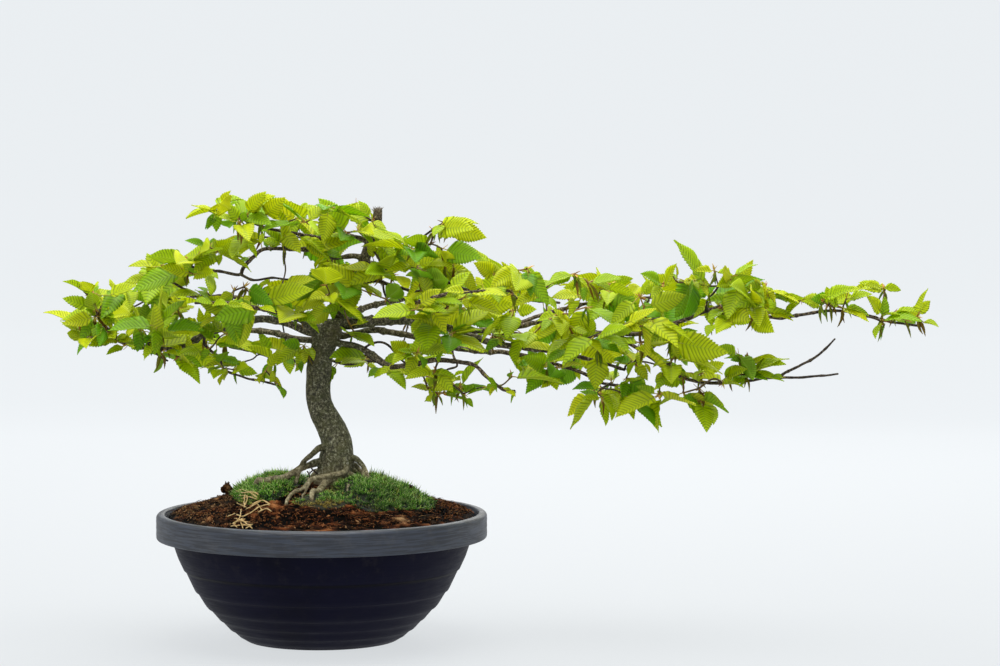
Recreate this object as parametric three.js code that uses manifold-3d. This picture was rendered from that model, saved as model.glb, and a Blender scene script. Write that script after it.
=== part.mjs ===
// A small tree in a round bowl: wood, leafy sprays, moss, soil and pot.
// Millimetres, +Z up, origin at the centre of the pot's flat base.
import * as THREE from "three";
import { mergeVertices } from "three/addons/utils/BufferGeometryUtils.js";
import Module from "manifold-3d";

const wasm = await Module();
wasm.setup();

// ---- driving dimensions
const RIM_R = 165.5; // outside radius of the rim band
const RIM_TOP = 128; // height of the rim above the base
const RIM_BAND = 25; // height of the rim band
const LIP_R = 157; // inner radius of the lip
const BASE_R = 75; // radius of the flat base
const WALL = 3; // thickness of the bowl's wall
const STEP = 0.65; // half the width of each step in the bowl's wall
const STEPS = [11, 21, 32.5, 49.5, 71]; // heights of the steps
const POT_SEGMENTS = 40;
const GAP = 0.35; // clearance between pieces that touch
const SOIL_SEGMENTS = 32;
const MOSS_SEGMENTS = 20;
const LEAF_KEEL = [0.6, 0.5]; // depth of a leaf's keel at its two cross-sections
const LEAF_AT = [0.27, 0.66]; // where along the blade those cross-sections lie

// outside radius of the bowl against height, without its steps
const BOWL = [[0, 77], [4, 82], [12, 92.5], [20, 101], [36, 116.5], [52, 127.5], [68, 136], [84, 144], [92, 147], [104, 151.5], [122, 156]];

// height of the soil against the distance from the axis
const SOIL = [[0, 155], [40, 154], [60, 151.5], [80, 147.5], [95, 143.5], [110, 139], [125, 134], [140, 130], [150, 127], [156, 124.5], [170, 120]];

// moss pads: centre x, y, radii x, y, thickness, edge power, slope along x, outline phase
const PADS = {
  moss_left: [-54, -4, 36, 68, 11.6, 2.4, 0.3, 0.3],
  moss_right: [60, -21, 48, 71, 11.3, 1.7, -0.6, 1.7],
  moss_back: [4, 84, 56, 30, 8.5, 2.2, 0, 2.9],
  moss_front: [6, -76, 27, 23, 4.5, 2.2, 0, 4.1],
};

// wood: rows of x, y, z, radius along each axis line
const TRUNK = [[11.0,0.0,128.0,15.0],[11.0,0.0,140.0,18.6],[11.0,0.0,149.9,20.0],[11.3,0.0,159.9,19.5],[11.8,0.0,165.0,18.2],[13.1,0.0,172.0,17.3],[15.0,2.0,185.9,16.6],[13.9,4.0,199.8,15.2],[7.8,6.0,213.8,14.2],[0.3,7.0,227.8,13.2],[-3.4,8.0,241.8,12.7],[-3.8,8.0,255.9,12.5],[-2.4,6.0,277.1,12.4],[-0.0,4.0,288.3,12.0],[4.0,1.0,300.5,12.3],[7.1,-1.0,309.7,13.0],[7.6,-0.6,315.0,9.6]];

const ROOTS = {
  r1: [[6.8,-3.0,194.9,3.4],[0.6,-8.0,193.9,3.4],[-4.2,-12.0,191.3,3.12],[-10.9,-17.0,185.8,2.85],[-18.7,-20.0,178.1,2.57],[-24.7,-20.0,161.1,2.3],[-28.7,-20.0,156.8,1.72]],
  r2: [[4.9,-2.9,179.4,3.8],[-2.6,-6.0,178.4,3.8],[-13.5,-14.0,175.8,3.67],[-22.0,-20.0,173.1,3.53],[-35.2,-22.0,165.2,3.4],[-46.6,-34.0,164.6,3.27],[-56.6,-32.0,162.9,3.13],[-62.4,-28.0,162.5,3.0],[-65.7,-25.7,155.2,2.25]],
  r3: [[18.9,-6.5,182.9,3.4],[22.6,-13.0,181.9,3.4],[25.5,-19.0,174.0,3.23],[20.4,-25.0,169.4,3.05],[7.6,-32.0,167.3,2.88],[-7.6,-38.0,164.6,2.7],[-16.5,-39.0,154.9,2.52],[-22.5,-46.0,153.9,2.35],[-27.1,-59.5,151.5,2.17],[-29.9,-80.0,147.0,2.0],[-30.4,-84.0,139.9,1.5]],
  r3b: [[-8.1,-38.0,165.2,1.9],[-10.8,-42.0,160.5,1.7],[-14.0,-48.0,152.5,1.5],[-14.5,-74.0,152.6,1.3],[-14.6,-78.0,146.6,0.98]],
  r4: [[14.2,-10.4,166.4,4.2],[16.1,-19.0,165.4,4.2],[5.8,-31.0,160.7,3.8],[-0.9,-52.0,153.8,3.4],[-4.6,-66.0,156.0,3.0],[-5.1,-80.0,153.9,2.6],[-5.2,-84.0,146.0,1.95]],
  r5: [[23.2,-7.1,167.3,2.2],[32.2,-13.0,166.3,2.2],[29.9,-22.0,159.9,1.8],[28.6,-54.0,159.0,1.4],[28.4,-58.0,151.6,1.05]],
  r6: [[24.8,-1.6,183.0,3.2],[33.3,-4.0,182.0,3.2],[39.4,-6.0,177.1,2.87],[43.6,-9.0,170.9,2.53],[46.4,-18.0,165.9,2.2],[47.7,-21.8,159.2,1.65]],
  r7: [[24.0,1.3,176.2,2.6],[32.5,2.0,175.2,2.6],[38.1,0.0,170.0,2.2],[42.3,-14.0,166.6,1.8],[43.4,-17.8,160.2,1.35]],
  r8: [[12.0,8.0,172.0,4.2],[3.0,19.0,170.5,4.0],[-6.0,31.0,165.0,3.6],[-16.0,44.0,155.0,3.1],[-27.0,54.0,153.1,2.7],[-37.0,60.0,150.6,2.2],[-41.0,63.0,144.1,1.6]],
  r9: [[18.0,8.0,174.0,4.2],[27.0,20.0,171.0,4.0],[36.0,31.0,164.0,3.5],[47.0,43.0,157.1,3.0],[57.0,52.0,149.7,2.5],[62.0,57.0,141.7,1.7]],
};

const LIMBS = {
  upper_trunk: [[13.5,5,312.5,6.3],[17.0,6,323.0,6.1],[22.4,7,337.5,6.0],[30.3,8,350.4,5.9],[37.3,9,360.3,5.8],[42.2,11,378.2,5.7],[46.1,13,391.2,5.5],[51.1,15,404.2,5.4],[55.1,17,419.2,5.1],[56.1,18,430.2,4.6]],
  limb_r1: [[3.6,-4.0,315.0,5.7],[15.0,-9.0,317.1,5.7],[28.2,-14.0,317.4,5.6],[54.4,-20.0,320.7,5.3],[82.7,-22.0,321.8,4.8],[109.1,-24.0,318.9,4.2],[126.9,-24.0,313.9,3.8],[145.7,-20.0,306.8,3.42],[164.6,-15.0,300.5,3.18],[187.5,-10.0,295.2,2.94],[226.5,0.0,289.6,2.5],[253.7,6.0,284.2,2.18],[279.0,14.0,277.6,1.82],[304.4,20.0,269.1,1.34]],
  limb_r1b: [[119.0,-24.0,315.9,2.77],[140.7,-17.0,310.6,2.71],[164.5,-9.0,311.1,2.64],[188.5,-3.0,313.8,2.57],[201.5,0.0,314.6,2.53],[218.5,4.0,318.4,2.48],[245.5,2.0,316.5,2.41],[272.3,-5.0,308.9,2.34],[291.1,-11.0,308.2,2.28],[313.7,-18.0,307.6,2.21],[328.4,-22.0,311.9,2.17],[347.1,-25.0,317.0,2.11],[365.7,-28.0,324.1,2.05],[385.3,-30.0,332.1,1.98],[403.9,-32.0,336.2,1.92],[427.9,-30.0,331.1,1.84],[451.0,-26.0,324.0,1.75],[475.2,-22.0,326.8,1.67],[502.4,-18.0,330.5,1.57],[519.6,-15.0,330.4,1.5],[542.9,-12.0,326.2,1.4],[556.1,-10.0,322.1,1.34],[568.4,-8.0,319.1,1.28],[583.8,-5.0,316.9,1.19],[599.0,-3.0,314.8,1.09]],
  limb_r1c: [[294.0,-12.0,308.3,2.09],[307.2,-8.0,298.1,2.03],[321.3,-6.0,288.9,1.97],[331.4,-4.0,281.8,1.92],[345.6,0.0,271.5,1.85],[362.8,2.0,262.3,1.78],[390.7,0.0,257.5,1.66],[424.2,-6.0,259.9,1.52],[443.8,-10.0,263.2,1.42],[483.5,-12.0,264.4,1.22],[515.2,-14.0,267.5,1.0]],
  twig_bare: [[456.7,-11.0,263.3,1.5],[462.5,-13.0,268.4,1.45],[476.1,-16.0,275.6,1.34],[490.8,-18.0,283.7,1.2],[499.6,-19.0,290.8,1.1],[511.3,-20.0,302.8,0.9]],
  limb_r2: [[12.4,2.0,306.5,3.48],[21.2,5.0,304.3,3.41],[35.1,8.0,307.1,3.31],[50.1,10.0,310.0,3.21],[66.0,12.0,308.4,3.11],[96.0,20.0,302.4,2.93],[114.9,26.0,297.0,2.8],[129.0,30.0,291.7,2.71],[161.3,36.0,286.3,2.48],[179.5,40.0,286.0,2.38],[198.8,43.0,282.8,2.24],[216.1,45.0,278.6,2.12],[231.3,47.0,274.4,2.01],[259.6,40.0,265.7,1.76],[281.6,30.0,255.2,1.53],[301.4,20.0,252.9,1.26]],
  limb_r3: [[8.6,-2.0,300.7,3.63],[16.8,-6.0,297.9,3.52],[35.0,-12.0,295.3,3.31],[47.2,-18.0,289.7,3.14],[57.4,-24.0,283.1,3.01],[68.5,-30.0,276.6,2.88],[82.6,-36.0,277.0,2.72],[98.5,-40.0,280.2,2.54],[114.4,-44.0,283.5,2.37],[138.2,-50.0,281.9,2.09],[152.9,-54.0,279.2,1.91],[166.7,-60.0,266.9,1.64],[182.4,-64.0,255.3,1.33],[193.2,-66.0,254.5,1.09]],
  twig_arch: [[42.2,-16.0,292.6,1.26],[50.3,-20.0,297.8,1.21],[59.4,-22.0,299.9,1.17],[67.4,-24.0,297.1,1.12],[75.3,-25.0,289.2,1.06],[83.2,-22.0,280.0,0.98],[90.0,-20.0,272.9,0.9]],
  twig_zig: [[130.0,30.0,291.7,1.18],[132.1,24.0,282.0,1.13],[135.2,20.0,273.1,1.09],[125.2,16.0,269.4,1.04],[126.2,14.0,264.5,1.02],[130.3,12.0,256.6,0.97],[128.3,10.0,246.7,0.9]],
  twig_low: [[19.9,-8.0,295.1,1.26],[28.6,-4.0,288.8,1.19],[38.5,-1.0,286.6,1.12],[48.4,0.0,282.6,1.04],[61.4,0.0,274.5,0.9]],
  limb_l1: [[0.5,0.0,306.6,4.27],[-12.3,-3.0,308.8,4.13],[-23.9,-8.0,314.1,3.99],[-36.4,-14.0,319.4,3.84],[-54.9,-20.0,322.7,3.64],[-67.5,-24.0,321.9,3.5],[-88.0,-28.0,315.2,3.27],[-111.6,-30.0,309.3,3.03],[-125.5,-30.0,301.4,2.89],[-143.6,-28.0,295.3,2.71],[-166.6,-26.0,294.2,2.48],[-189.4,-26.0,298.2,2.25],[-201.9,-28.0,303.3,2.11],[-208.6,-30.0,311.3,1.99],[-218.1,-32.0,325.3,1.78],[-223.6,-34.0,341.2,1.57],[-235.1,-36.0,355.2,1.29],[-242.0,-36.0,361.1,1.09]],
  limb_l2: [[0.3,3.0,300.4,3.63],[-14.1,9.0,300.1,3.45],[-30.6,16.0,301.6,3.25],[-47.4,26.0,306.1,3.04],[-64.2,34.0,307.7,2.86],[-77.9,40.0,309.4,2.69],[-102.8,48.0,324.2,2.37],[-117.4,52.0,332.1,2.18],[-140.3,58.0,340.0,1.87],[-155.8,60.0,339.9,1.66],[-181.6,62.0,337.7,1.18]],
  limb_l3: [[-76.3,-25.0,320.0,1.95],[-86.6,-32.0,325.3,1.84],[-95.0,-37.0,330.5,1.75],[-115.9,-44.0,343.7,1.52],[-133.9,-50.0,354.8,1.29],[-145.2,-54.0,361.8,1.09]],
  twig_lowleft: [[-112.6,-30.0,309.3,1.42],[-114.8,-28.0,299.3,1.38],[-107.1,-26.0,290.2,1.34],[-100.3,-25.0,285.2,1.29],[-97.5,-24.0,276.2,1.25],[-92.6,-23.0,271.1,1.22],[-73.0,-20.0,263.9,1.12],[-50.3,-18.0,258.8,0.99],[-40.5,-16.0,255.7,0.9]],
  twig_backleft: [[-1.0,8.0,288.1,1.5],[-10.7,17.0,280.4,1.44],[-23.4,26.0,276.8,1.36],[-47.3,36.0,281.2,1.24],[-76.0,41.0,286.9,1.06],[-96.6,44.0,290.8,0.9]],
  twig_backright: [[-0.0,8.0,287.0,1.5],[10.3,19.0,278.3,1.4],[26.0,28.0,274.6,1.28],[48.0,33.0,277.3,1.12],[69.1,36.0,272.1,0.9]],
  twig_bud: [[-165.6,-26.0,294.2,1.18],[-161.1,-22.0,287.0,1.07],[-151.5,-20.0,280.9,0.9]],
  limb_u1: [[43.2,10.0,382.3,2.77],[30.4,7.0,384.4,2.68],[13.6,2.0,382.6,2.55],[3.1,-5.0,386.8,2.46],[-7.5,-12.0,391.0,2.38],[-29.4,-25.0,392.3,2.2],[-54.1,-38.0,392.7,1.98],[-63.7,-42.0,386.0,1.88],[-74.2,-47.0,374.3,1.74],[-77.9,-50.0,367.6,1.66],[-98.7,-58.0,371.8,1.44],[-109.1,-62.0,371.9,1.32],[-123.3,-66.0,376.9,1.09]],
  twig_u1b: [[-76.9,-50.0,368.5,1.26],[-64.4,-47.0,362.5,1.18],[-46.9,-44.0,364.4,1.07],[-26.5,-40.0,362.2,0.9]],
  limb_u2: [[49.1,14.0,399.2,2.23],[36.5,6.0,403.4,2.14],[23.9,-2.0,404.6,2.05],[9.3,-9.0,402.8,1.95],[-6.2,-16.0,404.0,1.83],[-37.5,-35.0,410.4,1.57],[-49.8,-42.0,413.5,1.46],[-69.6,-52.0,420.6,1.25],[-80.0,-56.0,427.5,1.09]],
  limb_v1: [[35.3,7.0,357.4,2.02],[46.6,0.0,359.6,1.92],[59.9,-8.0,359.0,1.79],[79.2,-18.0,353.4,1.6],[98.3,-28.0,349.9,1.39],[119.3,-38.0,348.3,1.09]],
  limb_v2: [[43.2,10.0,378.3,2.36],[54.6,2.0,376.6,2.29],[66.9,-8.0,372.9,2.21],[91.3,-25.0,373.5,2.04],[114.4,-38.0,366.1,1.88],[130.3,-45.0,358.5,1.76],[146.1,-52.0,352.9,1.63],[172.6,-60.0,353.2,1.43],[198.1,-62.0,351.4,1.18]],
  twig_v3: [[92.3,-25.0,373.5,1.42],[92.5,-30.0,383.6,1.35],[97.6,-34.0,396.6,1.24],[103.6,-38.0,405.5,1.16],[122.6,-50.0,418.6,0.9]],
  twig_v4: [[62.0,-9.0,360.0,1.18],[62.8,-5.0,348.9,1.09],[66.6,-2.0,339.7,1.0],[69.5,0.0,331.6,0.9]],
  back_l: [[4.2,6.0,310.3,3.32],[-4.5,16.0,313.7,3.18],[-24.8,50.0,320.0,2.86],[-63.8,95.0,333.1,2.32],[-107.8,125.0,339.0,1.76],[-145.8,140.0,337.2,1.18]],
  back_r: [[12.2,5.0,315.3,3.32],[19.7,16.0,317.8,3.22],[41.3,50.0,330.2,2.97],[85.7,95.0,338.3,2.58],[136.9,125.0,341.1,2.2],[189.0,140.0,336.2,1.79],[241.2,138.0,331.1,1.26]],
  front_l: [[-5.1,-6.0,309.9,2.77],[-11.5,-16.0,314.5,2.67],[-23.4,-45.0,325.0,2.41],[-53.0,-80.0,335.6,2.01],[-83.8,-105.0,342.6,1.62],[-114.6,-115.0,343.1,1.18]],
  front_r: [[51.5,-22.0,320.3,2.63],[61.9,-34.0,324.4,2.51],[78.3,-52.0,332.2,2.33],[104.7,-85.0,344.6,1.99],[135.2,-110.0,352.5,1.63],[168.9,-122.0,355.0,1.18]],
  back_far: [[190.5,-2.0,314.7,2.09],[203.7,20.0,318.5,2.01],[224.2,46.0,324.3,1.9],[265.6,76.0,333.0,1.72],[322.6,90.0,338.5,1.5],[384.1,86.0,338.7,1.18]],
  front_far: [[230.5,1.0,288.5,1.8],[244.1,-20.0,292.8,1.7],[266.9,-52.0,305.7,1.53],[300.6,-70.0,319.5,1.32],[334.4,-76.0,326.6,1.09]],
  top_back: [[48.1,14.0,395.2,2.09],[39.3,32.0,399.7,1.98],[20.6,62.0,406.1,1.76],[-8.6,90.0,411.6,1.49],[-38.4,105.0,410.2,1.18]],
  top_backr: [[50.1,15.0,400.2,1.95],[61.4,34.0,397.7,1.84],[81.7,62.0,391.8,1.66],[108.7,84.0,381.9,1.44],[137.3,96.0,369.2,1.18]],
};

// leafy sprays. nodes: x, y, z, radius of each twig node. links: node it leaves (-1 is a limb), node it reaches,
// radii at both ends, points between. leaves: node, offset of the blade's base from the node, direction,
// normal at mid blade, length, width, droop and fold angles.
const SPRAYS = [
  {
    nodes: [[-220.4,30.6,320.5,1.45],[-235.4,41.7,344.2,1.06],[-236.5,33.2,303.9,1.17],[-243.4,21.0,314.5,1.06]],
    links: [[-1,0,0.96,1.16,[-182.6,60.9,337.2],[-184.4,59.1,336.3],[-195.2,46.1,330.6],[-207.8,40.4,325.8]],[0,2,1.03,0.93,[-227.8,30.0,314.4]],[2,3,0.94,0.85,[-239.5,25.9,308.0]],[0,1,0.94,0.85,[-225.0,37.9,329.3],[-228.1,40.4,339.8]]],
    leaves: [[0,-1.6,-0.7,-2.2,-0.574,-0.263,-0.776,-0.655,-0.422,0.629,43.1,25.4,0.45,0.16],
      [0,2.2,-2.8,0.4,0.624,-0.773,0.116,-0.603,-0.38,0.702,45.4,25.2,0.5,0.19],
      [0,-0.2,3.7,1.0,-0.052,0.967,0.249,-0.415,-0.248,0.876,49.4,28.1,0.55,0.37],
      [1,1.7,-2.8,-0.8,0.497,-0.831,-0.25,-0.711,-0.555,0.434,34.4,18.2,0.65,0.32],
      [1,-0.1,4.4,0.8,-0.025,0.982,0.184,-0.461,-0.174,0.869,34.1,17.4,0.59,0.37],
      [1,0.1,2.5,-3.2,0.022,0.618,-0.786,-0.992,0.112,0.06,47.1,25.8,0.74,0.26],
      [2,-3.7,3.7,1.8,-0.67,0.667,0.327,0.361,-0.093,0.928,50.8,26.1,0.66,0.35],
      [3,-4.3,1.6,1.3,-0.904,0.326,0.275,0.151,-0.359,0.921,39.0,17.0,0.44,0.38],
      [3,-2.6,3.6,-2.6,-0.512,0.7,-0.497,-0.781,-0.62,-0.068,14.8,8.4,0.29,0.25],
      [1,3.7,1.3,1.2,0.902,0.428,0.063,0.167,-0.478,0.862,20.0,12.1,0.19,0.11]],
  },
  {
    nodes: [[-232.9,-44.6,353.6,1.06],[-222.0,-43.1,347.8,1.24],[-221.6,-45.5,347.9,1.06],[-192.3,-16.1,355.3,1.06],[-222.6,-42.3,335.1,1.38],[-220.8,-41.2,325.8,1.45],[-217.5,-36.0,331.7,1.81],[-231.2,-29.7,303.0,1.24],[-237.0,-32.0,312.4,1.06],[-228.8,-22.1,307.3,1.06],[-221.2,-32.3,306.5,1.38]],
    links: [[-1,6,1.51,1.45,[-218.4,-34.3,330.4],[-216.8,-36.4,331.0]],[6,5,1.21,1.09],[6,4,1.16,1.04],[4,1,1.1,0.99],[1,2,0.94,0.85],[1,0,0.94,0.85],[5,10,1.16,1.04,[-221.4,-33.5,317.7]],[10,7,1.1,0.99],[7,9,0.94,0.85],[7,8,0.94,0.85],[6,3,0.94,0.85,[-212.8,-32.3,339.5],[-204.7,-20.0,349.0]]],
    leaves: [[0,-2.4,-2.4,1.2,-0.66,-0.675,0.328,0.007,0.43,0.903,20.9,10.9,0.17,0.55],
      [1,16.1,3.4,-0.7,0.943,0.02,0.334,-0.235,-0.671,0.703,30.8,15.9,0.52,0.21],
      [2,-1.3,-4.9,2.6,-0.243,-0.849,0.467,-0.237,0.52,0.821,24.7,12.9,0.38,0.13],
      [3,1.1,-5.1,-3.5,0.181,-0.809,-0.559,0.486,-0.421,0.766,31.8,16.5,0.42,0.65],
      [4,-5.4,-2.8,2.0,-0.853,-0.426,0.303,0.514,-0.787,0.338,26.2,13.7,0.2,0.33],
      [4,-0.7,4.1,-6.8,-0.773,0.615,-0.159,-0.399,-0.275,0.874,46.4,23.6,0.27,0.28],
      [5,-3.9,-1.6,-0.9,-0.905,-0.375,-0.199,0.231,-0.828,0.512,29.1,15.2,0.28,0.27],
      [5,5.6,-3.7,-7.6,0.05,-0.724,-0.687,0.754,-0.424,0.501,29.1,15.2,0.28,0.15],
      [6,2.2,2.7,1.9,0.554,0.693,0.46,0.193,-0.645,0.74,29.4,15.2,0.52,0.22],
      [7,-2.8,-3.2,1.2,-0.62,-0.729,0.292,-0.735,0.669,0.11,21.5,11.2,0.39,0.54],
      [8,-2.7,-3.4,1.3,-0.577,-0.767,0.281,-0.358,0.546,0.757,19.2,10.0,0.2,0.44],
      [9,-1.3,4.7,1.7,-0.26,0.908,0.327,-0.5,-0.417,0.759,35.8,19.1,0.35,0.41],
      [10,-0.7,-7.3,-1.4,-0.095,-0.978,-0.188,-0.309,-0.15,0.939,38.6,23.0,0.43,0.34],
      [6,2.8,-1.1,-3.2,0.557,-0.357,-0.75,0.304,-0.753,0.584,20.0,10.6,0.48,0.33],
      [7,-3.5,1.4,2.4,-0.82,0.142,0.555,0.451,-0.438,0.778,27.7,13.5,0.49,0.2],
      [2,-3.2,0.9,2.0,-0.831,0.216,0.512,0.494,-0.136,0.859,21.6,11.7,0.41,0.38]],
  },
  {
    nodes: [[-179.5,39.2,313.5,1.45],[-206.3,28.0,310.1,1.06],[-146.4,19.1,330.7,1.06],[-172.7,44.9,304.0,1.06]],
    links: [[-1,0,1.02,1.16,[-178.6,60.6,336.8],[-178.6,58.8,334.8],[-183.6,52.8,328.0],[-175.0,50.4,322.8]],[0,3,0.94,0.85],[0,1,0.94,0.85,[-189.0,40.6,314.6],[-198.8,29.0,315.7]],[0,2,0.94,0.85,[-169.1,37.3,314.1],[-160.0,27.9,321.2]]],
    leaves: [[0,-3.4,-10.9,-2.6,-0.295,-0.933,-0.209,-0.357,-0.096,0.929,32.0,18.7,0.22,0.27],
      [1,-1.2,8.5,-0.8,-0.143,0.983,-0.113,-0.674,-0.011,0.739,37.5,19.8,0.65,0.33],
      [2,0.8,-9.2,2.9,0.09,-0.947,0.308,0.558,0.304,0.773,33.3,18.5,0.46,0.27],
      [2,-3.3,-7.9,-5.3,-0.325,-0.788,-0.523,-0.391,-0.391,0.833,32.7,19.1,0.22,0.07],
      [3,-12.2,1.7,2.8,-0.957,0.155,0.237,0.219,-0.121,0.967,39.4,21.4,0.15,0.14],
      [1,0.2,2.5,2.9,0.035,0.639,0.768,0.13,-0.765,0.63,46.0,26.4,0.59,0.34],
      [0,-0.4,-0.9,4.1,-0.006,-0.233,0.973,-0.319,0.922,0.219,20.0,12.0,0.22,0.14],
      [0,3.8,-0.1,-2.7,0.806,-0.044,-0.59,0.459,-0.582,0.671,28.7,16.2,0.15,0.29]],
  },
  {
    nodes: [[-149.7,-17.1,302.2,1.06],[-174.7,-39.7,316.1,1.06],[-156.8,-31.1,291.6,1.51],[-156.7,-50.8,318.4,1.17],[-154.2,-46.9,312.3,1.29]],
    links: [[-1,2,1.36,1.21,[-158.4,-29.2,292.8],[-158.0,-31.5,291.2]],[2,0,0.94,0.85,[-167.0,-56.0,300.7]],[2,4,1.1,0.99,[-158.2,-41.3,299.8],[-153.9,-45.3,308.4]],[4,3,1.03,0.93],[3,1,0.94,0.85,[-164.7,-46.1,317.7]]],
    leaves: [[0,-8.8,10.5,-16.2,-0.421,0.493,-0.762,0.882,0.029,-0.471,23.8,12.4,0.22,0.59],
      [1,3.0,-3.9,-7.7,0.316,-0.441,-0.839,0.5,-0.674,0.543,23.8,12.4,0.15,0.54],
      [2,4.5,-4.8,-0.5,0.68,-0.728,-0.073,-0.195,-0.277,0.941,20.4,10.6,0.2,0.34],
      [3,-7.4,-2.8,-0.7,-0.938,-0.336,-0.089,0.072,-0.442,0.894,43.3,25.2,0.15,0.39],
      [3,-1.9,6.2,-1.1,-0.282,0.94,-0.19,-0.934,-0.226,0.277,46.3,23.4,0.34,0.18],
      [4,-3.2,-3.5,-5.5,-0.445,-0.472,-0.761,-0.505,-0.569,0.648,28.6,16.7,0.12,0.18],
      [4,4.3,-1.4,0.0,0.949,-0.314,0.009,-0.166,-0.475,0.864,40.3,21.5,0.37,0.37],
      [1,-0.8,-0.3,-4.2,-0.195,0.003,-0.981,0.319,-0.945,-0.066,21.0,12.9,0.41,0.23],
      [1,-1.5,0.1,3.6,-0.445,0.115,0.888,0.831,0.424,0.361,20.0,10.5,0.25,0.19],
      [4,0.8,0.2,5.1,-0.023,0.188,0.982,-0.975,-0.221,0.019,39.8,20.7,0.35,0.2]],
  },
  {
    nodes: [[-167.0,55.4,332.0,1.17],[-158.6,53.9,345.4,1.63],[-147.6,26.1,334.5,1.06],[-151.5,57.8,328.0,1.06],[-161.9,62.5,350.5,1.24],[-171.6,44.9,372.3,1.06],[-124.9,68.7,371.2,1.06]],
    links: [[-1,1,1.4,1.3,[-158.0,58.7,341.1],[-158.3,56.6,343.0]],[1,4,1.1,0.99],[1,0,1.03,0.93,[-162.0,53.7,337.8]],[0,3,0.94,0.85,[-158.6,57.8,328.8]],[4,5,0.94,0.85,[-168.8,56.4,359.7],[-169.1,51.2,365.2]],[1,2,0.94,0.85,[-155.8,46.1,345.4],[-150.4,34.4,337.7]],[4,6,0.94,0.85,[-149.0,54.5,359.1],[-137.4,66.7,364.9]]],
    leaves: [[0,-3.4,-4.0,1.4,-0.63,-0.732,0.26,-0.243,0.503,0.83,38.1,20.5,0.43,0.42],
      [1,-0.2,5.2,0.9,-0.024,0.985,0.174,-0.518,-0.162,0.841,45.1,24.1,0.58,0.41],
      [1,0.6,3.8,-1.6,0.131,0.909,-0.396,0.089,0.388,0.918,39.3,22.5,0.46,0.38],
      [1,0.3,-3.6,-1.2,0.075,-0.946,-0.316,-0.974,-0.001,-0.229,42.9,24.1,0.37,0.29],
      [2,3.4,-1.9,0.1,0.874,-0.488,0.008,0.03,0.07,0.997,51.8,30.0,0.68,0.11],
      [3,-3.4,3.0,-0.4,-0.746,0.66,-0.087,-0.579,-0.578,0.575,30.8,15.8,0.19,0.17],
      [3,1.7,4.0,0.3,0.401,0.914,0.06,0.317,-0.2,0.927,31.4,16.7,0.46,0.15],
      [3,-0.5,4.0,-2.0,-0.114,0.892,-0.437,-0.484,0.335,0.808,37.2,19.5,0.34,0.33],
      [4,0.5,4.6,-3.3,0.099,0.806,-0.584,-0.143,0.592,0.793,47.3,24.2,0.69,0.42],
      [4,-5.7,0.6,-1.8,-0.951,0.106,-0.289,-0.31,-0.285,0.907,42.5,21.6,0.14,0.07],
      [5,2.8,3.0,-1.7,0.634,0.678,-0.374,-0.097,0.549,0.83,35.8,18.9,0.13,0.21],
      [5,-0.3,-2.4,-2.2,-0.088,-0.727,-0.681,0.305,-0.671,0.676,50.5,28.7,0.19,0.39],
      [6,-3.1,3.2,-1.6,-0.658,0.67,-0.343,-0.207,0.276,0.939,38.2,19.5,0.47,0.18],
      [6,0.9,-2.6,-3.0,0.219,-0.636,-0.74,0.8,-0.317,0.509,36.5,19.1,0.53,0.26],
      [0,-3.1,3.1,-1.6,-0.632,0.681,-0.37,-0.716,-0.332,0.614,20.0,10.6,0.25,0.34],
      [6,2.7,-2.4,-2.5,0.692,-0.556,-0.461,0.19,-0.476,0.859,20.1,11.9,0.46,0.2]],
  },
  {
    nodes: [[-143.0,49.7,299.6,1.17],[-124.5,45.3,308.4,1.29],[-98.4,41.2,296.1,1.45],[-156.6,46.6,286.6,1.06]],
    links: [[-1,2,0.8,1.16,[-96.8,43.3,292.0],[-97.3,42.0,294.2]],[2,1,1.1,0.99,[-109.6,47.7,298.8],[-114.2,42.3,305.1]],[1,0,1.03,0.93,[-133.6,50.3,305.4]],[0,3,0.94,0.85,[-150.7,47.1,295.6]]],
    leaves: [[0,-3.3,1.5,-1.4,-0.85,0.391,-0.355,-0.506,-0.405,0.762,47.4,24.4,0.16,0.41],
      [0,2.9,2.8,-3.5,0.54,0.523,-0.659,-0.284,0.851,0.442,48.1,24.2,0.56,0.34],
      [0,-3.3,0.8,1.0,-0.941,0.215,0.26,0.24,-0.117,0.965,46.6,26.8,0.43,0.39],
      [1,-0.1,3.5,0.2,-0.029,0.998,0.056,-0.604,-0.062,0.795,50.9,27.6,0.67,0.17],
      [1,-0.5,-5.0,-1.3,-0.102,-0.962,-0.254,0.404,-0.274,0.873,44.0,25.3,0.6,0.13],
      [1,-3.7,-3.7,0.4,-0.705,-0.704,0.079,-0.522,0.592,0.614,40.2,22.7,0.29,0.23],
      [2,3.2,-2.2,-1.2,0.785,-0.541,-0.301,0.082,-0.391,0.917,36.0,19.7,0.7,0.39],
      [2,-0.5,-3.8,0.1,-0.13,-0.991,0.017,-0.439,0.073,0.895,44.8,24.8,0.42,0.22],
      [2,2.5,2.1,-0.8,0.733,0.634,-0.246,0.2,0.144,0.969,48.7,26.0,0.12,0.39],
      [3,0.1,4.3,-1.1,0.022,0.967,-0.254,-0.457,0.236,0.858,41.4,24.7,0.67,0.28],
      [2,1.5,2.7,2.8,0.385,0.566,0.729,0.142,-0.817,0.559,35.7,21.0,0.66,0.3],
      [3,4.2,-0.8,-2.4,0.897,-0.132,-0.422,-0.03,-0.97,0.241,31.9,15.8,0.36,0.16],
      [1,-0.5,-1.4,3.8,-0.041,-0.335,0.941,0.592,0.751,0.293,20.0,11.3,0.22,0.24],
      [3,3.0,-1.8,2.3,0.753,-0.383,0.535,-0.416,0.353,0.838,26.7,14.0,0.43,0.19],
      [1,3.8,2.1,-2.0,0.798,0.308,-0.518,0.485,-0.839,0.247,20.0,10.5,0.6,0.14]],
  },
  {
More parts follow.
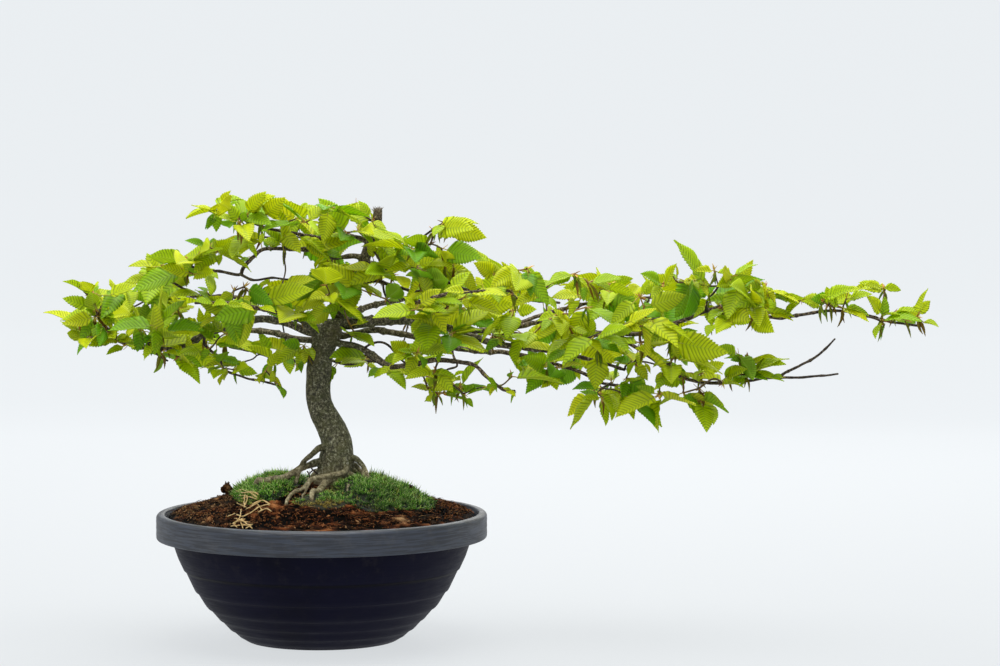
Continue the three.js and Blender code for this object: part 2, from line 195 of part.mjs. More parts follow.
    nodes: [[-105.5,-67.0,395.5,1.17],[-96.3,-65.9,390.9,1.06],[-125.8,-74.4,382.6,1.06],[-149.2,-61.4,375.8,1.17],[-120.6,-73.6,369.4,1.06],[-156.2,-60.6,364.0,1.06],[-121.2,-73.2,380.5,1.72],[-115.9,-74.1,387.9,1.29],[-127.6,-72.2,373.3,1.31]],
    links: [[-1,6,0.88,1.38,[-122.8,-67.3,377.6],[-121.8,-69.5,378.7]],[6,2,0.94,0.85],[6,7,1.1,0.99],[6,8,1.16,1.04],[8,4,0.94,0.85],[7,0,1.03,0.93,[-110.6,-72.2,391.7]],[0,1,0.94,0.85],[8,3,1.03,0.93,[-138.8,-64.2,372.6]],[3,5,0.94,0.85]],
    leaves: [[0,-3.2,-2.1,1.0,-0.813,-0.531,0.239,0.496,-0.413,0.764,23.0,11.9,0.46,0.21],
      [0,8.7,-2.0,-2.6,0.542,-0.771,0.335,-0.733,-0.629,-0.259,29.2,15.2,0.31,0.28],
      [1,5.1,-1.3,-3.0,0.841,-0.209,-0.498,0.54,0.351,0.765,32.8,16.9,0.54,0.12],
      [2,-5.8,-4.1,0.8,-0.823,-0.554,0.116,-0.333,0.639,0.692,37.1,19.2,0.21,0.19],
      [3,-10.9,-2.7,0.1,-0.97,-0.243,0.022,0.138,-0.473,0.87,24.3,12.6,0.35,0.46],
      [4,-3.7,-1.3,0.9,-0.923,-0.316,0.217,0.384,-0.75,0.539,29.1,15.2,0.17,0.16],
      [4,3.0,-3.6,0.4,0.632,-0.772,0.065,-0.662,-0.496,0.561,32.0,16.7,0.3,0.29],
      [5,-3.8,-1.2,-0.3,-0.95,-0.304,-0.067,0.171,-0.69,0.703,29.2,15.2,0.39,0.11],
      [6,-3.1,12.0,-3.4,-0.249,0.929,-0.274,0.436,0.359,0.822,47.8,24.5,0.27,0.14],
      [6,-0.9,-4.4,-0.0,-0.193,-0.981,-0.009,0.402,-0.087,0.912,48.9,26.5,0.45,0.32],
      [7,1.7,-4.8,0.8,0.32,-0.938,0.137,-0.774,-0.176,0.607,44.4,24.3,0.15,0.27],
      [8,-3.2,6.7,-3.7,-0.394,0.805,-0.446,0.567,0.594,0.572,33.7,20.2,0.13,0.14],
      [8,-6.4,-1.1,-2.5,-0.915,-0.155,-0.372,-0.15,-0.725,0.672,50.1,25.6,0.36,0.24],
      [1,-2.9,-2.7,-1.8,-0.587,-0.623,-0.517,0.145,-0.71,0.69,32.1,18.2,0.58,0.1],
      [1,-3.2,1.7,0.1,-0.766,0.63,-0.131,-0.497,-0.45,0.742,46.0,26.6,0.2,0.28],
      [5,-1.6,0.9,3.1,-0.395,0.23,0.89,0.187,-0.928,0.323,25.1,14.1,0.55,0.22],
      [1,3.3,1.8,-1.2,0.904,0.329,-0.274,0.372,-0.284,0.884,25.0,12.0,0.27,0.4]],
  },
  {
    nodes: [[-138.9,-38.2,286.1,1.06],[-95.7,-32.8,274.8,1.17],[-112.1,-35.7,290.8,1.51],[-85.2,-31.0,273.0,1.06],[-92.8,-36.8,309.1,1.06]],
    links: [[-1,2,1.13,1.21,[-110.2,-28.3,292.9],[-110.7,-30.9,292.0]],[2,1,1.03,0.93,[-101.7,-28.4,283.6]],[1,3,0.94,0.85],[2,0,0.94,0.85,[-119.1,-33.4,289.1],[-131.4,-39.6,288.8]],[2,4,0.94,0.85,[-104.9,-40.3,296.9],[-99.0,-33.8,305.0]]],
    leaves: [[0,2.1,-3.6,-1.0,0.485,-0.842,-0.236,0.654,0.171,0.736,31.0,16.1,0.36,0.2],
      [1,-0.8,-3.8,-1.0,-0.198,-0.948,-0.248,-0.057,-0.241,0.969,28.8,15.0,0.31,0.11],
      [1,-3.6,-3.9,6.2,0.325,-0.865,0.383,-0.273,0.303,0.913,29.3,15.2,0.44,0.21],
      [2,-3.1,-2.4,-0.2,-0.783,-0.618,-0.063,0.301,-0.466,0.832,29.3,15.2,0.47,0.16],
      [3,2.0,-3.3,0.6,0.515,-0.844,0.151,-0.707,-0.318,0.632,29.1,15.2,0.16,0.22],
      [4,2.8,-4.3,-1.1,0.536,-0.813,-0.225,-0.752,-0.581,0.309,30.8,15.8,0.59,0.27],
      [0,1.9,-3.4,-2.9,0.58,-0.557,-0.595,0.356,-0.483,0.8,36.1,19.4,0.14,0.23],
      [4,-2.7,0.3,2.5,-0.693,0.042,0.72,0.609,-0.499,0.616,20.0,11.5,0.33,0.15],
      [4,-4.5,0.9,1.8,-0.928,0.108,0.358,0.27,-0.469,0.841,25.7,15.4,0.31,0.1],
      [3,3.8,-0.2,-0.2,0.977,0.079,-0.196,0.142,-0.934,0.328,20.0,10.8,0.16,0.2]],
  },
  {
    nodes: [[-62.8,-67.9,347.3,1.17],[-81.6,-67.7,352.8,1.38],[-87.8,-43.1,328.8,1.57],[-56.0,-54.5,341.2,1.06],[-108.8,-46.4,349.0,1.06],[-71.7,-63.2,356.5,1.29]],
    links: [[-1,2,1.41,1.26,[-91.0,-37.1,328.7],[-89.5,-39.7,328.7]],[2,4,0.94,0.85,[-93.5,-44.0,336.0],[-101.7,-46.9,342.5]],[2,1,1.16,1.04],[1,5,1.1,0.99],[5,0,1.03,0.93],[0,3,0.94,0.85,[-59.1,-63.5,342.4]]],
    leaves: [[0,-3.6,-2.5,-13.6,-0.254,-0.157,-0.955,0.839,0.457,-0.297,37.5,22.5,0.31,0.25],
      [1,-1.2,-1.3,-4.8,-0.247,-0.258,-0.933,-0.821,-0.454,0.344,32.8,17.0,0.36,0.32],
      [2,-5.6,-3.2,-2.8,-0.794,-0.464,-0.393,-0.34,-0.197,0.919,29.4,15.2,0.51,0.33],
      [3,7.3,-1.5,1.7,0.957,-0.18,0.227,-0.28,-0.785,0.552,46.9,23.7,0.47,0.22],
      [4,1.4,4.0,-2.9,0.266,0.792,-0.551,0.201,0.514,0.834,36.4,19.8,0.16,0.37],
      [4,-7.1,-4.4,-0.5,-0.843,-0.535,-0.053,0.114,-0.274,0.955,35.4,20.7,0.58,0.12],
      [5,5.0,-4.0,-2.7,0.713,-0.586,-0.388,-0.621,-0.783,0.043,34.7,18.0,0.5,0.08],
      [2,-4.1,-0.3,2.7,-0.893,-0.1,0.438,0.116,-0.993,0.011,32.6,16.4,0.7,0.24],
      [3,-2.1,-2.3,-2.9,-0.483,-0.487,-0.727,-0.267,-0.709,0.652,20.0,9.6,0.26,0.31],
      [1,-2.1,2.3,-2.0,-0.627,0.534,-0.567,0.107,0.78,0.616,20.0,10.1,0.46,0.2]],
  },
  {
    nodes: [[-81.8,-64.3,430.6,1.17],[-70.0,-62.0,425.7,1.57],[-54.2,-55.9,422.6,1.06],[-100.4,-53.5,433.0,1.06],[-73.6,-52.2,404.7,1.06],[-75.1,-67.4,419.2,1.17]],
    links: [[-1,1,0.95,1.26,[-74.5,-55.6,424.7],[-73.2,-57.9,425.2]],[1,5,1.03,0.93],[1,0,1.03,0.93],[1,2,0.94,0.85,[-61.6,-61.5,423.1]],[5,4,0.94,0.85,[-74.9,-57.7,412.9]],[0,3,0.94,0.85,[-90.6,-59.5,434.6]]],
    leaves: [[0,-2.6,-12.2,2.3,-0.201,-0.96,0.19,-0.808,0.272,0.524,32.3,22.4,0.18,0.22],
      [0,-10.5,-5.4,-5.3,-0.914,-0.202,0.351,0.381,-0.139,0.914,31.4,16.3,0.23,0.28],
      [1,3.1,-1.9,3.6,0.613,-0.365,0.702,-0.267,-0.93,-0.251,29.4,15.2,0.54,0.12],
      [2,4.4,-3.7,3.9,0.628,-0.53,0.571,-0.365,-0.847,-0.386,31.0,17.3,0.55,0.24],
      [3,-5.4,-4.1,-2.0,-0.76,-0.587,-0.277,-0.282,-0.087,0.954,27.6,14.4,0.2,0.55],
      [3,1.3,-1.1,-4.5,-0.544,-0.217,-0.811,-0.762,-0.276,0.585,19.3,10.0,0.37,0.51],
      [3,-0.5,-8.1,-8.9,-0.321,-0.719,-0.617,0.215,-0.689,0.692,18.3,9.5,0.25,0.66],
      [4,-7.7,0.4,-4.9,-0.843,0.035,-0.537,-0.538,-0.079,0.84,37.2,21.7,0.32,0.25],
      [4,-1.0,-6.2,-2.8,-0.148,-0.889,-0.433,-0.168,-0.409,0.898,38.8,23.1,0.19,0.26],
      [4,-1.4,3.3,-1.0,-0.366,0.897,-0.245,-0.757,-0.134,0.641,38.3,22.2,0.29,0.32],
      [5,1.6,-5.0,-2.2,0.271,-0.878,-0.394,-0.084,-0.428,0.899,37.7,20.0,0.41,0.39],
      [3,2.6,2.6,0.8,0.694,0.684,0.226,-0.034,-0.283,0.959,32.6,20.1,0.62,0.39],
      [5,-2.0,-0.8,3.3,-0.551,-0.31,0.775,0.604,-0.789,0.113,20.0,12.2,0.28,0.15],
      [4,2.8,-0.3,-3.2,0.523,-0.006,-0.852,0.753,-0.464,0.466,20.0,11.2,0.3,0.14],
      [3,0.3,1.1,-3.7,-0.009,0.221,-0.975,-0.017,0.975,0.222,20.0,11.6,0.33,0.32],
      [5,-4.2,-2.0,1.4,-0.881,-0.387,0.272,0.428,-0.406,0.808,22.8,11.3,0.41,0.18],
      [2,3.0,0.8,3.7,0.621,0.139,0.772,-0.635,-0.487,0.599,21.0,10.7,0.44,0.22]],
  },
  {
    nodes: [[-86.3,49.6,421.0,1.06],[-63.9,72.8,401.5,1.29]],
    links: [[-1,1,1.09,1.03,[-25.9,96.8,410.4],[-27.3,94.6,409.9],[-37.6,84.9,410.2],[-50.8,79.5,402.2]],[1,0,0.94,0.85,[-73.4,67.1,407.1],[-80.5,62.3,413.1]]],
    leaves: [[0,3.8,0.7,1.0,0.947,0.187,0.26,-0.123,-0.534,0.837,38.1,22.8,0.27,0.14],
      [0,0.7,6.7,1.5,0.091,0.971,0.226,0.724,-0.22,0.653,52.4,27.9,0.44,0.08],
      [0,-1.2,3.6,-0.9,-0.298,0.925,-0.237,-0.313,0.14,0.939,42.1,24.2,0.43,0.17],
      [1,-4.4,-2.1,-0.8,-0.876,-0.447,-0.175,-0.204,0.013,0.979,46.6,25.7,0.49,0.25],
      [1,-3.3,2.7,-1.0,-0.744,0.621,-0.247,-0.425,-0.154,0.892,25.1,14.8,0.53,0.16],
      [1,-0.2,4.3,-0.9,-0.054,0.976,-0.21,0.965,0.103,0.238,38.5,23.0,0.16,0.28],
      [1,-4.7,-0.0,-0.9,-0.985,-0.03,-0.168,-0.147,-0.348,0.926,20.0,10.9,0.33,0.17]],
  },
  {
    nodes: [[-48.5,24.7,278.9,1.38],[-85.3,25.5,275.6,1.06],[-17.2,-5.4,295.3,1.06]],
    links: [[-1,0,1.03,1.1,[-44.9,33.2,280.4],[-46.0,30.8,279.9]],[0,1,0.94,0.85,[-64.3,28.5,284.2],[-71.3,27.7,279.6]],[0,2,0.94,0.85,[-28.4,16.1,279.1],[-21.0,3.9,272.1]]],
    leaves: [[0,-1.6,-0.8,-2.6,-0.503,-0.265,-0.822,-0.733,-0.373,0.569,22.3,11.6,0.3,0.61],
      [1,-2.7,1.9,-1.0,-0.784,0.551,-0.285,-0.399,-0.097,0.912,38.7,22.8,0.51,0.31],
      [1,-4.9,-1.5,-0.6,-0.951,-0.287,-0.115,-0.221,0.371,0.902,34.5,18.4,0.51,0.32],
      [2,-2.7,-1.1,-1.9,-0.774,-0.319,-0.547,-0.171,-0.726,0.666,31.5,16.1,0.56,0.35],
      [2,-0.6,3.2,-3.9,-0.304,0.585,-0.752,0.301,0.808,0.507,26.4,14.8,0.29,0.25],
      [2,-3.3,-1.8,1.3,-0.906,-0.414,0.093,0.408,-0.788,0.461,20.0,11.8,0.2,0.14],
      [2,2.2,-3.3,-3.0,0.43,-0.73,-0.532,0.208,-0.493,0.845,20.0,10.7,0.58,0.4]],
  },
  {
    nodes: [[-43.8,-25.8,258.4,1.29],[-53.8,-26.6,271.6,1.06]],
    links: [[-1,0,0.8,1.03,[-45.9,-18.5,257.6],[-45.2,-21.1,257.9]],[0,1,0.94,0.85,[-48.6,-28.7,265.9]]],
    leaves: [[0,1.1,-2.7,-1.5,0.326,-0.828,-0.456,0.615,-0.18,0.768,23.8,12.4,0.22,0.44],
      [1,0.1,3.2,-1.0,0.031,0.956,-0.293,-0.588,0.254,0.768,36.2,20.8,0.52,0.3],
      [1,2.8,1.6,3.7,0.51,0.35,0.786,-0.036,-0.904,0.426,20.0,9.9,0.46,0.31],
      [0,-0.9,-2.9,2.6,-0.092,-0.801,0.591,-0.845,0.377,0.38,20.0,9.8,0.23,0.21]],
  },
  {
    nodes: [[-40.4,93.1,282.3,1.17]],
    links: [[-1,0,1.09,0.94,[-45.5,75.4,324.3],[-45.1,76.6,321.3],[-44.1,78.9,309.7],[-42.5,84.9,297.7]]],
    leaves: [[0,-2.2,4.6,0.2,-0.436,0.899,0.048,0.708,0.31,0.635,38.2,19.9,0.44,0.36],
      [0,-1.7,2.8,-0.6,-0.512,0.846,-0.148,-0.86,-0.504,0.088,29.0,16.8,0.2,0.08],
      [0,-2.7,-2.8,1.0,-0.667,-0.703,0.248,-0.088,0.405,0.91,45.2,22.9,0.65,0.18],
      [0,0.2,-1.8,-3.3,0.14,-0.544,-0.827,0.03,-0.833,0.553,22.1,12.6,0.26,0.19]],
  },
  {
    nodes: [[-35.4,-53.7,357.9,1.06],[-34.1,-36.2,395.9,1.29]],
    links: [[-1,1,1.18,1.03,[-36.8,-31.5,393.5],[-35.6,-34.0,394.7]],[1,0,0.94,0.85,[-34.3,-34.9,382.6],[-32.9,-40.9,371.4]]],
    leaves: [[0,3.9,0.5,0.6,0.981,0.108,0.161,-0.055,-0.644,0.763,29.3,15.2,0.42,0.18],
      [1,0.2,3.2,0.7,0.049,0.973,0.226,0.567,-0.213,0.796,40.8,22.6,0.66,0.17],
      [1,-3.4,-0.3,2.9,-0.79,-0.089,0.606,0.532,-0.591,0.607,25.1,13.2,0.28,0.34],
      [1,-4.3,2.3,0.8,-0.876,0.425,0.23,-0.248,-0.803,0.542,20.0,11.6,0.69,0.21]],
  },
  {
    nodes: [[-29.2,83.5,421.0,1.06],[-42.1,97.8,404.7,1.45],[-23.0,96.8,398.4,1.06],[-44.5,93.8,416.0,1.17]],
    links: [[-1,1,0.96,1.16,[-39.4,104.1,409.3],[-41.0,102.6,407.8]],[1,3,1.03,0.93],[3,0,0.94,0.85,[-36.7,89.6,417.9]],[1,2,0.94,0.85,[-33.1,99.6,402.2]]],
    leaves: [[0,0.1,4.1,0.9,0.034,0.974,0.227,-0.1,-0.223,0.97,36.9,19.5,0.35,0.14],
      [0,-2.8,-0.9,0.9,-0.901,-0.319,0.292,-0.104,0.816,0.569,48.7,26.8,0.56,0.37],
      [0,2.9,-3.2,-2.2,0.598,-0.658,-0.457,0.426,-0.222,0.877,32.8,17.6,0.61,0.28],
      [1,-0.7,3.0,-0.6,-0.249,0.948,-0.199,0.431,0.292,0.854,33.5,17.7,0.65,0.08],
      [2,2.3,0.8,-1.6,0.787,0.266,-0.558,-0.087,0.941,0.326,50.2,29.1,0.33,0.26],
      [2,-0.4,3.7,-1.1,-0.104,0.955,-0.278,-0.641,0.15,0.753,30.5,17.1,0.51,0.29],
      [2,4.5,2.3,-0.3,0.887,0.457,-0.065,-0.434,0.873,0.221,49.0,25.2,0.37,0.18],
      [3,3.1,2.7,-0.2,0.756,0.653,-0.045,0.063,-0.006,0.998,41.6,23.7,0.39,0.16],
      [0,1.6,-0.8,-3.8,0.579,-0.197,-0.791,0.283,-0.862,0.421,20.0,10.1,0.35,0.36],
      [0,3.1,1.0,2.0,0.794,0.295,0.532,-0.183,-0.718,0.671,20.0,12.4,0.47,0.17],
      [0,-2.0,-1.2,-3.5,-0.379,-0.268,-0.886,-0.012,-0.956,0.294,20.0,12.1,0.32,0.33]],
  },
  {
    nodes: [[-13.0,91.8,336.3,1.29],[-75.4,88.3,338.9,1.51],[1.2,95.7,322.7,1.17],[7.5,92.6,338.4,1.06],[-38.1,96.8,347.5,1.38]],
    links: [[-1,1,1.36,1.21,[-69.0,95.6,334.7],[-70.6,93.2,335.9]],[1,4,1.16,1.04,[-64.1,93.3,340.3],[-51.9,94.9,345.3]],[4,0,1.1,0.99,[-30.9,93.7,342.6],[-20.2,94.5,342.3]],[0,2,1.03,0.93,[-3.4,96.5,330.7]],[2,3,0.94,0.85,[4.2,98.7,331.3]]],
    leaves: [[0,-3.1,-1.2,1.2,-0.87,-0.348,0.349,0.339,-0.937,-0.087,51.2,30.5,0.43,0.4],
      [0,4.1,2.2,1.1,0.862,0.454,0.226,-0.504,0.714,0.487,46.4,25.7,0.12,0.41],
      [0,0.1,4.2,1.6,0.033,0.932,0.361,0.872,-0.204,0.446,45.4,24.1,0.59,0.4],
      [1,-2.9,-1.3,-2.5,-0.716,-0.332,-0.614,0.021,-0.89,0.456,41.6,22.3,0.19,0.31],
      [1,4.5,2.2,1.6,0.853,0.422,0.305,-0.518,0.628,0.581,31.7,16.4,0.12,0.11],
      [1,-0.7,-3.1,-2.2,-0.193,-0.799,-0.57,-0.251,-0.521,0.815,27.7,15.8,0.25,0.12],
      [2,2.9,1.1,0.5,0.926,0.338,0.17,-0.362,0.658,0.661,30.9,17.4,0.44,0.3],
      [2,-1.8,-3.2,-0.4,-0.483,-0.867,-0.121,-0.075,-0.097,0.993,42.8,25.1,0.57,0.19],
      [3,-0.8,-4.3,1.1,-0.171,-0.952,0.255,-0.274,0.295,0.916,51.1,28.8,0.24,0.1],
      [3,-4.0,-2.5,-1.1,-0.832,-0.514,-0.207,-0.229,-0.02,0.973,32.8,17.0,0.17,0.24],
      [4,-1.6,3.7,-3.0,-0.327,0.736,-0.593,-0.503,0.396,0.768,44.9,23.7,0.2,0.29],
      [4,1.4,2.4,0.9,0.491,0.806,0.33,-0.209,-0.259,0.943,30.6,17.3,0.39,0.12],
      [1,2.8,-0.6,3.8,0.642,-0.164,0.749,-0.66,0.38,0.648,21.0,11.4,0.36,0.25],
      [2,2.8,2.9,2.7,0.447,0.619,0.646,-0.7,-0.207,0.683,22.3,12.3,0.25,0.36]],
  },
  {
    nodes: [[8.4,-61.8,358.0,1.06],[22.4,-6.7,333.5,1.31],[9.5,-40.6,347.7,1.51],[26.0,-8.8,356.6,1.17],[11.4,-19.2,335.6,1.45],[31.4,-8.3,306.4,1.06],[-22.0,-35.5,331.1,1.68],[64.5,-12.8,342.4,1.06]],
    links: [[-1,6,1.49,1.34,[-21.3,-38.1,325.6],[-21.7,-36.9,328.4]],[6,2,1.3,1.17,[-10.2,-37.4,337.3],[-1.5,-34.4,344.4]],[2,0,0.94,0.85,[10.8,-48.7,350.3]],[2,4,1.21,1.09,[10.3,-27.0,340.8]],[4,1,1.16,1.04,[19.1,-12.3,331.0]],[1,3,1.03,0.93,[22.9,-14.0,336.9]],[1,5,0.94,0.85,[28.4,-38.7,322.2],[35.1,-7.7,304.6]],[3,7,0.94,0.85,[39.9,-11.0,351.7],[50.8,-8.9,347.1]]],
    leaves: [[0,-0.1,-4.6,1.9,-0.018,-0.924,0.382,0.155,0.375,0.914,43.6,29.6,0.4,0.15],
      [2,0.7,-3.6,-1.0,0.226,-0.946,-0.232,-0.315,-0.297,0.901,29.3,15.2,0.42,0.11],
      [3,-0.1,-4.7,-1.4,-0.032,-0.958,-0.285,0.372,-0.276,0.886,38.7,26.5,0.5,0.18],
      [4,-2.4,-2.6,-1.9,-0.6,-0.646,-0.471,-0.62,0.748,-0.236,29.2,18.4,0.4,0.31],
      [5,2.7,-2.7,-1.2,0.678,-0.672,-0.299,-0.039,-0.439,0.898,29.1,15.2,0.29,0.33],
      [6,-3.4,-1.9,0.4,-0.865,-0.49,0.108,-0.372,0.771,0.516,34.2,19.1,0.49,0.17],
      [6,-1.2,-4.8,-0.8,-0.234,-0.96,-0.152,0.321,-0.224,0.92,50.7,29.3,0.29,0.28],
      [6,3.3,-2.6,0.9,0.771,-0.602,0.207,-0.534,-0.435,0.725,32.7,17.5,0.19,0.36],
      [7,1.9,-4.7,1.6,0.362,-0.883,0.3,0.612,0.468,0.638,38.6,19.4,0.29,0.3],
      [5,-0.3,-4.4,-0.3,-0.145,-0.976,0.163,0.291,0.114,0.949,38.2,21.3,0.22,0.26],
      [3,0.1,-3.2,-3.4,0.13,-0.568,-0.813,0.589,-0.615,0.524,31.1,17.4,0.64,0.25],
      [2,3.9,-1.1,-3.2,0.772,-0.183,-0.609,0.56,-0.26,0.787,39.6,19.1,0.23,0.25],
      [7,-3.8,1.1,1.4,-0.902,0.201,0.381,0.37,-0.095,0.924,34.2,18.5,0.53,0.33],
      [6,3.1,1.3,-3.4,0.696,0.152,-0.702,0.707,-0.314,0.633,25.9,14.2,0.12,0.31]],
  },
  {
    nodes: [[50.9,5.9,419.7,1.45],[9.9,-26.4,435.2,1.17],[33.4,28.1,437.0,1.06],[-12.1,-47.2,419.1,1.06]],
    links: [[-1,0,1.31,1.16,[52.3,11.2,416.7],[51.5,8.8,417.4]],[0,2,0.94,0.85,[42.1,12.5,421.4],[40.7,18.2,429.1]],[0,1,1.03,0.93,[32.0,-14.2,431.2],[21.3,-18.8,430.4]],[1,3,0.94,0.85,[-0.2,-30.3,425.2],[-3.0,-43.1,425.6]]],
    leaves: [[0,2.5,-2.3,-4.7,0.424,-0.394,-0.816,0.556,-0.597,0.577,40.8,21.0,0.26,0.17],
      [1,-1.3,-4.3,-7.2,-0.159,-0.521,-0.839,0.581,-0.737,0.347,33.3,19.5,0.18,0.09],
      [1,6.6,-2.4,-3.5,0.833,-0.317,-0.454,0.502,0.083,0.859,34.4,17.9,0.18,0.08],
      [1,-0.6,-13.4,-0.9,-0.065,-0.995,-0.064,0.028,-0.067,0.996,36.7,19.7,0.4,0.13],
      [2,3.2,2.8,-12.7,0.253,0.198,-0.948,0.819,0.476,0.318,36.7,18.5,0.34,0.32],
      [3,-9.0,-9.5,-1.5,-0.677,-0.725,-0.132,-0.04,-0.141,0.988,45.6,26.6,0.39,0.3],
      [0,-3.7,-0.3,3.6,-0.508,-0.152,0.848,0.665,-0.695,0.273,20.0,11.5,0.66,0.22],
      [0,-3.2,1.8,1.2,-0.814,0.495,0.307,-0.287,-0.798,0.528,36.7,21.0,0.33,0.27],
      [3,-2.7,1.4,2.2,-0.725,0.488,0.486,0.476,-0.156,0.866,46.0,26.7,0.2,0.22],
      [3,2.8,0.2,2.5,0.738,0.28,0.614,-0.263,-0.718,0.644,24.0,13.5,0.3,0.25]],
  },
  {
    nodes: [[65.9,91.0,363.3,1.06],[29.3,66.7,372.5,1.17],[6.3,78.9,368.8,1.29],[6.3,79.7,385.1,1.38],[8.4,79.2,385.2,1.51]],
    links: [[-1,4,1.36,1.21,[7.9,74.7,406.4],[8.0,75.2,403.7],[9.5,79.8,395.3]],[4,3,1.16,1.04],[3,2,1.1,0.99,[6.1,82.2,378.5]],[2,1,1.03,0.93,[12.4,75.7,371.5],[20.0,68.2,371.0]],[1,0,0.94,0.85,[38.7,77.8,371.9],[48.5,81.3,368.4]]],
    leaves: [[0,-2.3,-2.4,-1.1,-0.666,-0.678,-0.311,-0.182,-0.256,0.949,50.8,26.8,0.49,0.16],
      [0,1.9,3.9,-2.2,0.384,0.807,-0.447,0.323,0.336,0.885,37.7,21.8,0.5,0.36],
      [0,2.5,2.4,0.6,0.707,0.688,0.167,-0.105,-0.131,0.986,37.4,19.1,0.62,0.22],
      [1,-1.8,5.0,-3.1,-0.291,0.815,-0.501,0.616,0.56,0.555,42.5,24.2,0.6,0.3],
      [2,-2.7,-1.0,-2.5,-0.713,-0.258,-0.653,-0.463,0.871,0.162,45.1,23.6,0.14,0.33],
      [2,0.9,-4.3,0.5,0.211,-0.972,0.102,0.056,0.116,0.992,47.5,24.7,0.32,0.18],
      [3,3.7,-1.9,1.1,0.863,-0.441,0.248,-0.239,0.075,0.968,47.8,28.3,0.52,0.42],
      [3,2.6,3.8,1.4,0.541,0.786,0.299,-0.839,0.531,0.121,38.0,22.7,0.71,0.11],
      [4,-4.7,-0.5,0.8,-0.98,-0.105,0.172,0.2,-0.6,0.775,39.2,22.3,0.51,0.38],
      [4,-1.2,3.3,-4.1,-0.215,0.611,-0.762,-0.624,0.514,0.588,44.5,24.7,0.12,0.41],
      [0,1.4,-2.4,3.2,0.422,-0.563,0.711,-0.615,0.399,0.681,46.0,25.4,0.64,0.21],
      [1,1.8,-2.3,-3.0,0.53,-0.493,-0.69,0.436,-0.54,0.72,20.0,10.6,0.47,0.31]],
  },
  {
    nodes: [[50.1,4.3,395.9,1.38],[60.1,-11.6,374.0,1.57],[26.3,-11.7,408.3,1.17],[68.0,-14.8,370.2,1.06],[37.2,-10.2,409.8,1.29],[4.4,-11.5,390.9,1.06]],
    links: [[-1,1,1.41,1.26,[62.9,-8.1,373.8],[61.0,-10.5,373.9]],[1,3,0.94,0.85],[1,0,1.16,1.04,[57.5,-8.1,382.7],[52.2,1.1,389.7]],[0,4,1.1,0.99,[44.6,-2.7,402.4]],[4,2,1.03,0.93],[2,5,0.94,0.85,[21.3,-19.1,401.2],[10.0,-2.7,393.3]]],
    leaves: [[0,5.1,-1.0,-4.2,0.771,-0.145,-0.62,0.145,-0.909,0.391,37.6,19.5,0.42,0.32],
      [1,-9.0,0.7,-0.7,-0.997,0.078,-0.051,-0.085,-0.528,0.846,30.2,15.8,0.27,0.2],
      [2,-0.6,-6.3,-1.1,-0.094,-0.98,-0.173,0.528,-0.196,0.827,34.5,20.7,0.44,0.3],
      [3,-2.6,-4.6,-0.2,-0.489,-0.872,-0.03,0.579,-0.35,0.737,39.8,20.2,0.2,0.29],
      [3,0.9,-4.9,1.9,0.176,-0.915,0.363,-0.518,0.228,0.825,41.9,25.1,0.68,0.37],
      [4,5.5,-0.9,-1.5,0.952,-0.159,-0.259,0.164,-0.449,0.878,33.8,19.0,0.37,0.16],
      [4,2.3,-4.9,-0.4,0.409,-0.911,-0.058,-0.35,-0.216,0.911,37.3,22.0,0.54,0.4],
      [2,-2.5,-1.6,2.7,-0.62,-0.124,0.775,0.382,-0.91,0.161,40.8,22.7,0.64,0.3],
      [1,2.9,-0.3,-2.1,0.725,-0.287,-0.627,-0.205,-0.958,0.202,18.6,9.4,0.38,0.34]],
  },
  {
    nodes: [[84.1,98.4,312.9,1.29],[44.1,67.7,278.4,1.06]],
    links: [[-1,0,1.18,1.03,[84.2,94.1,335.0],[84.2,94.7,331.8],[82.5,96.0,324.2]],[0,1,0.94,0.85,[77.2,88.3,289.6],[60.3,76.9,275.4]]],
    leaves: [[0,3.9,-0.2,-0.1,0.998,-0.066,-0.028,0.068,0.992,0.104,37.2,21.3,0.57,0.22],
      [1,0.4,3.2,-0.8,0.102,0.964,-0.245,0.071,0.238,0.968,31.5,17.3,0.58,0.19],
      [1,-3.2,-0.9,-1.9,-0.926,-0.222,-0.305,0.052,-0.876,0.479,23.4,13.8,0.26,0.29],
      [0,0.9,-1.7,4.8,0.156,-0.424,0.892,0.071,0.906,0.418,18.3,9.3,0.12,0.12]],
  },
  {
    nodes: [[87.8,-34.2,287.4,1.81],[96.9,-50.3,290.8,1.06],[62.4,-9.5,273.1,1.29],[66.7,-38.6,274.3,1.38],[106.7,-37.8,256.0,1.45],[137.9,-9.1,253.8,1.06],[112.1,-29.0,252.2,1.38],[128.6,75.5,249.8,1.06],[87.5,39.9,267.1,1.17],[121.3,-12.8,248.3,1.17],[116.1,-27.2,249.2,1.29]],
    links: [[-1,0,1.6,1.45,[88.6,-36.5,281.2],[88.2,-35.4,284.2]],[0,1,0.94,0.85,[85.8,-52.6,291.6]],[0,3,1.16,1.04,[77.4,-36.2,283.4]],[3,2,1.1,0.99,[62.8,-28.9,271.0],[63.5,-7.4,272.9]],[0,4,1.21,1.09,[94.6,-26.1,283.3],[101.8,-39.0,269.5]],[4,6,1.16,1.04],[6,10,1.1,0.99],[10,9,1.03,0.93,[118.5,-19.2,249.6]],[9,5,0.94,0.85,[130.1,-9.3,249.0]],[2,8,1.03,0.93,[70.4,9.3,272.5],[82.8,21.4,274.1]],[8,7,0.94,0.85]],
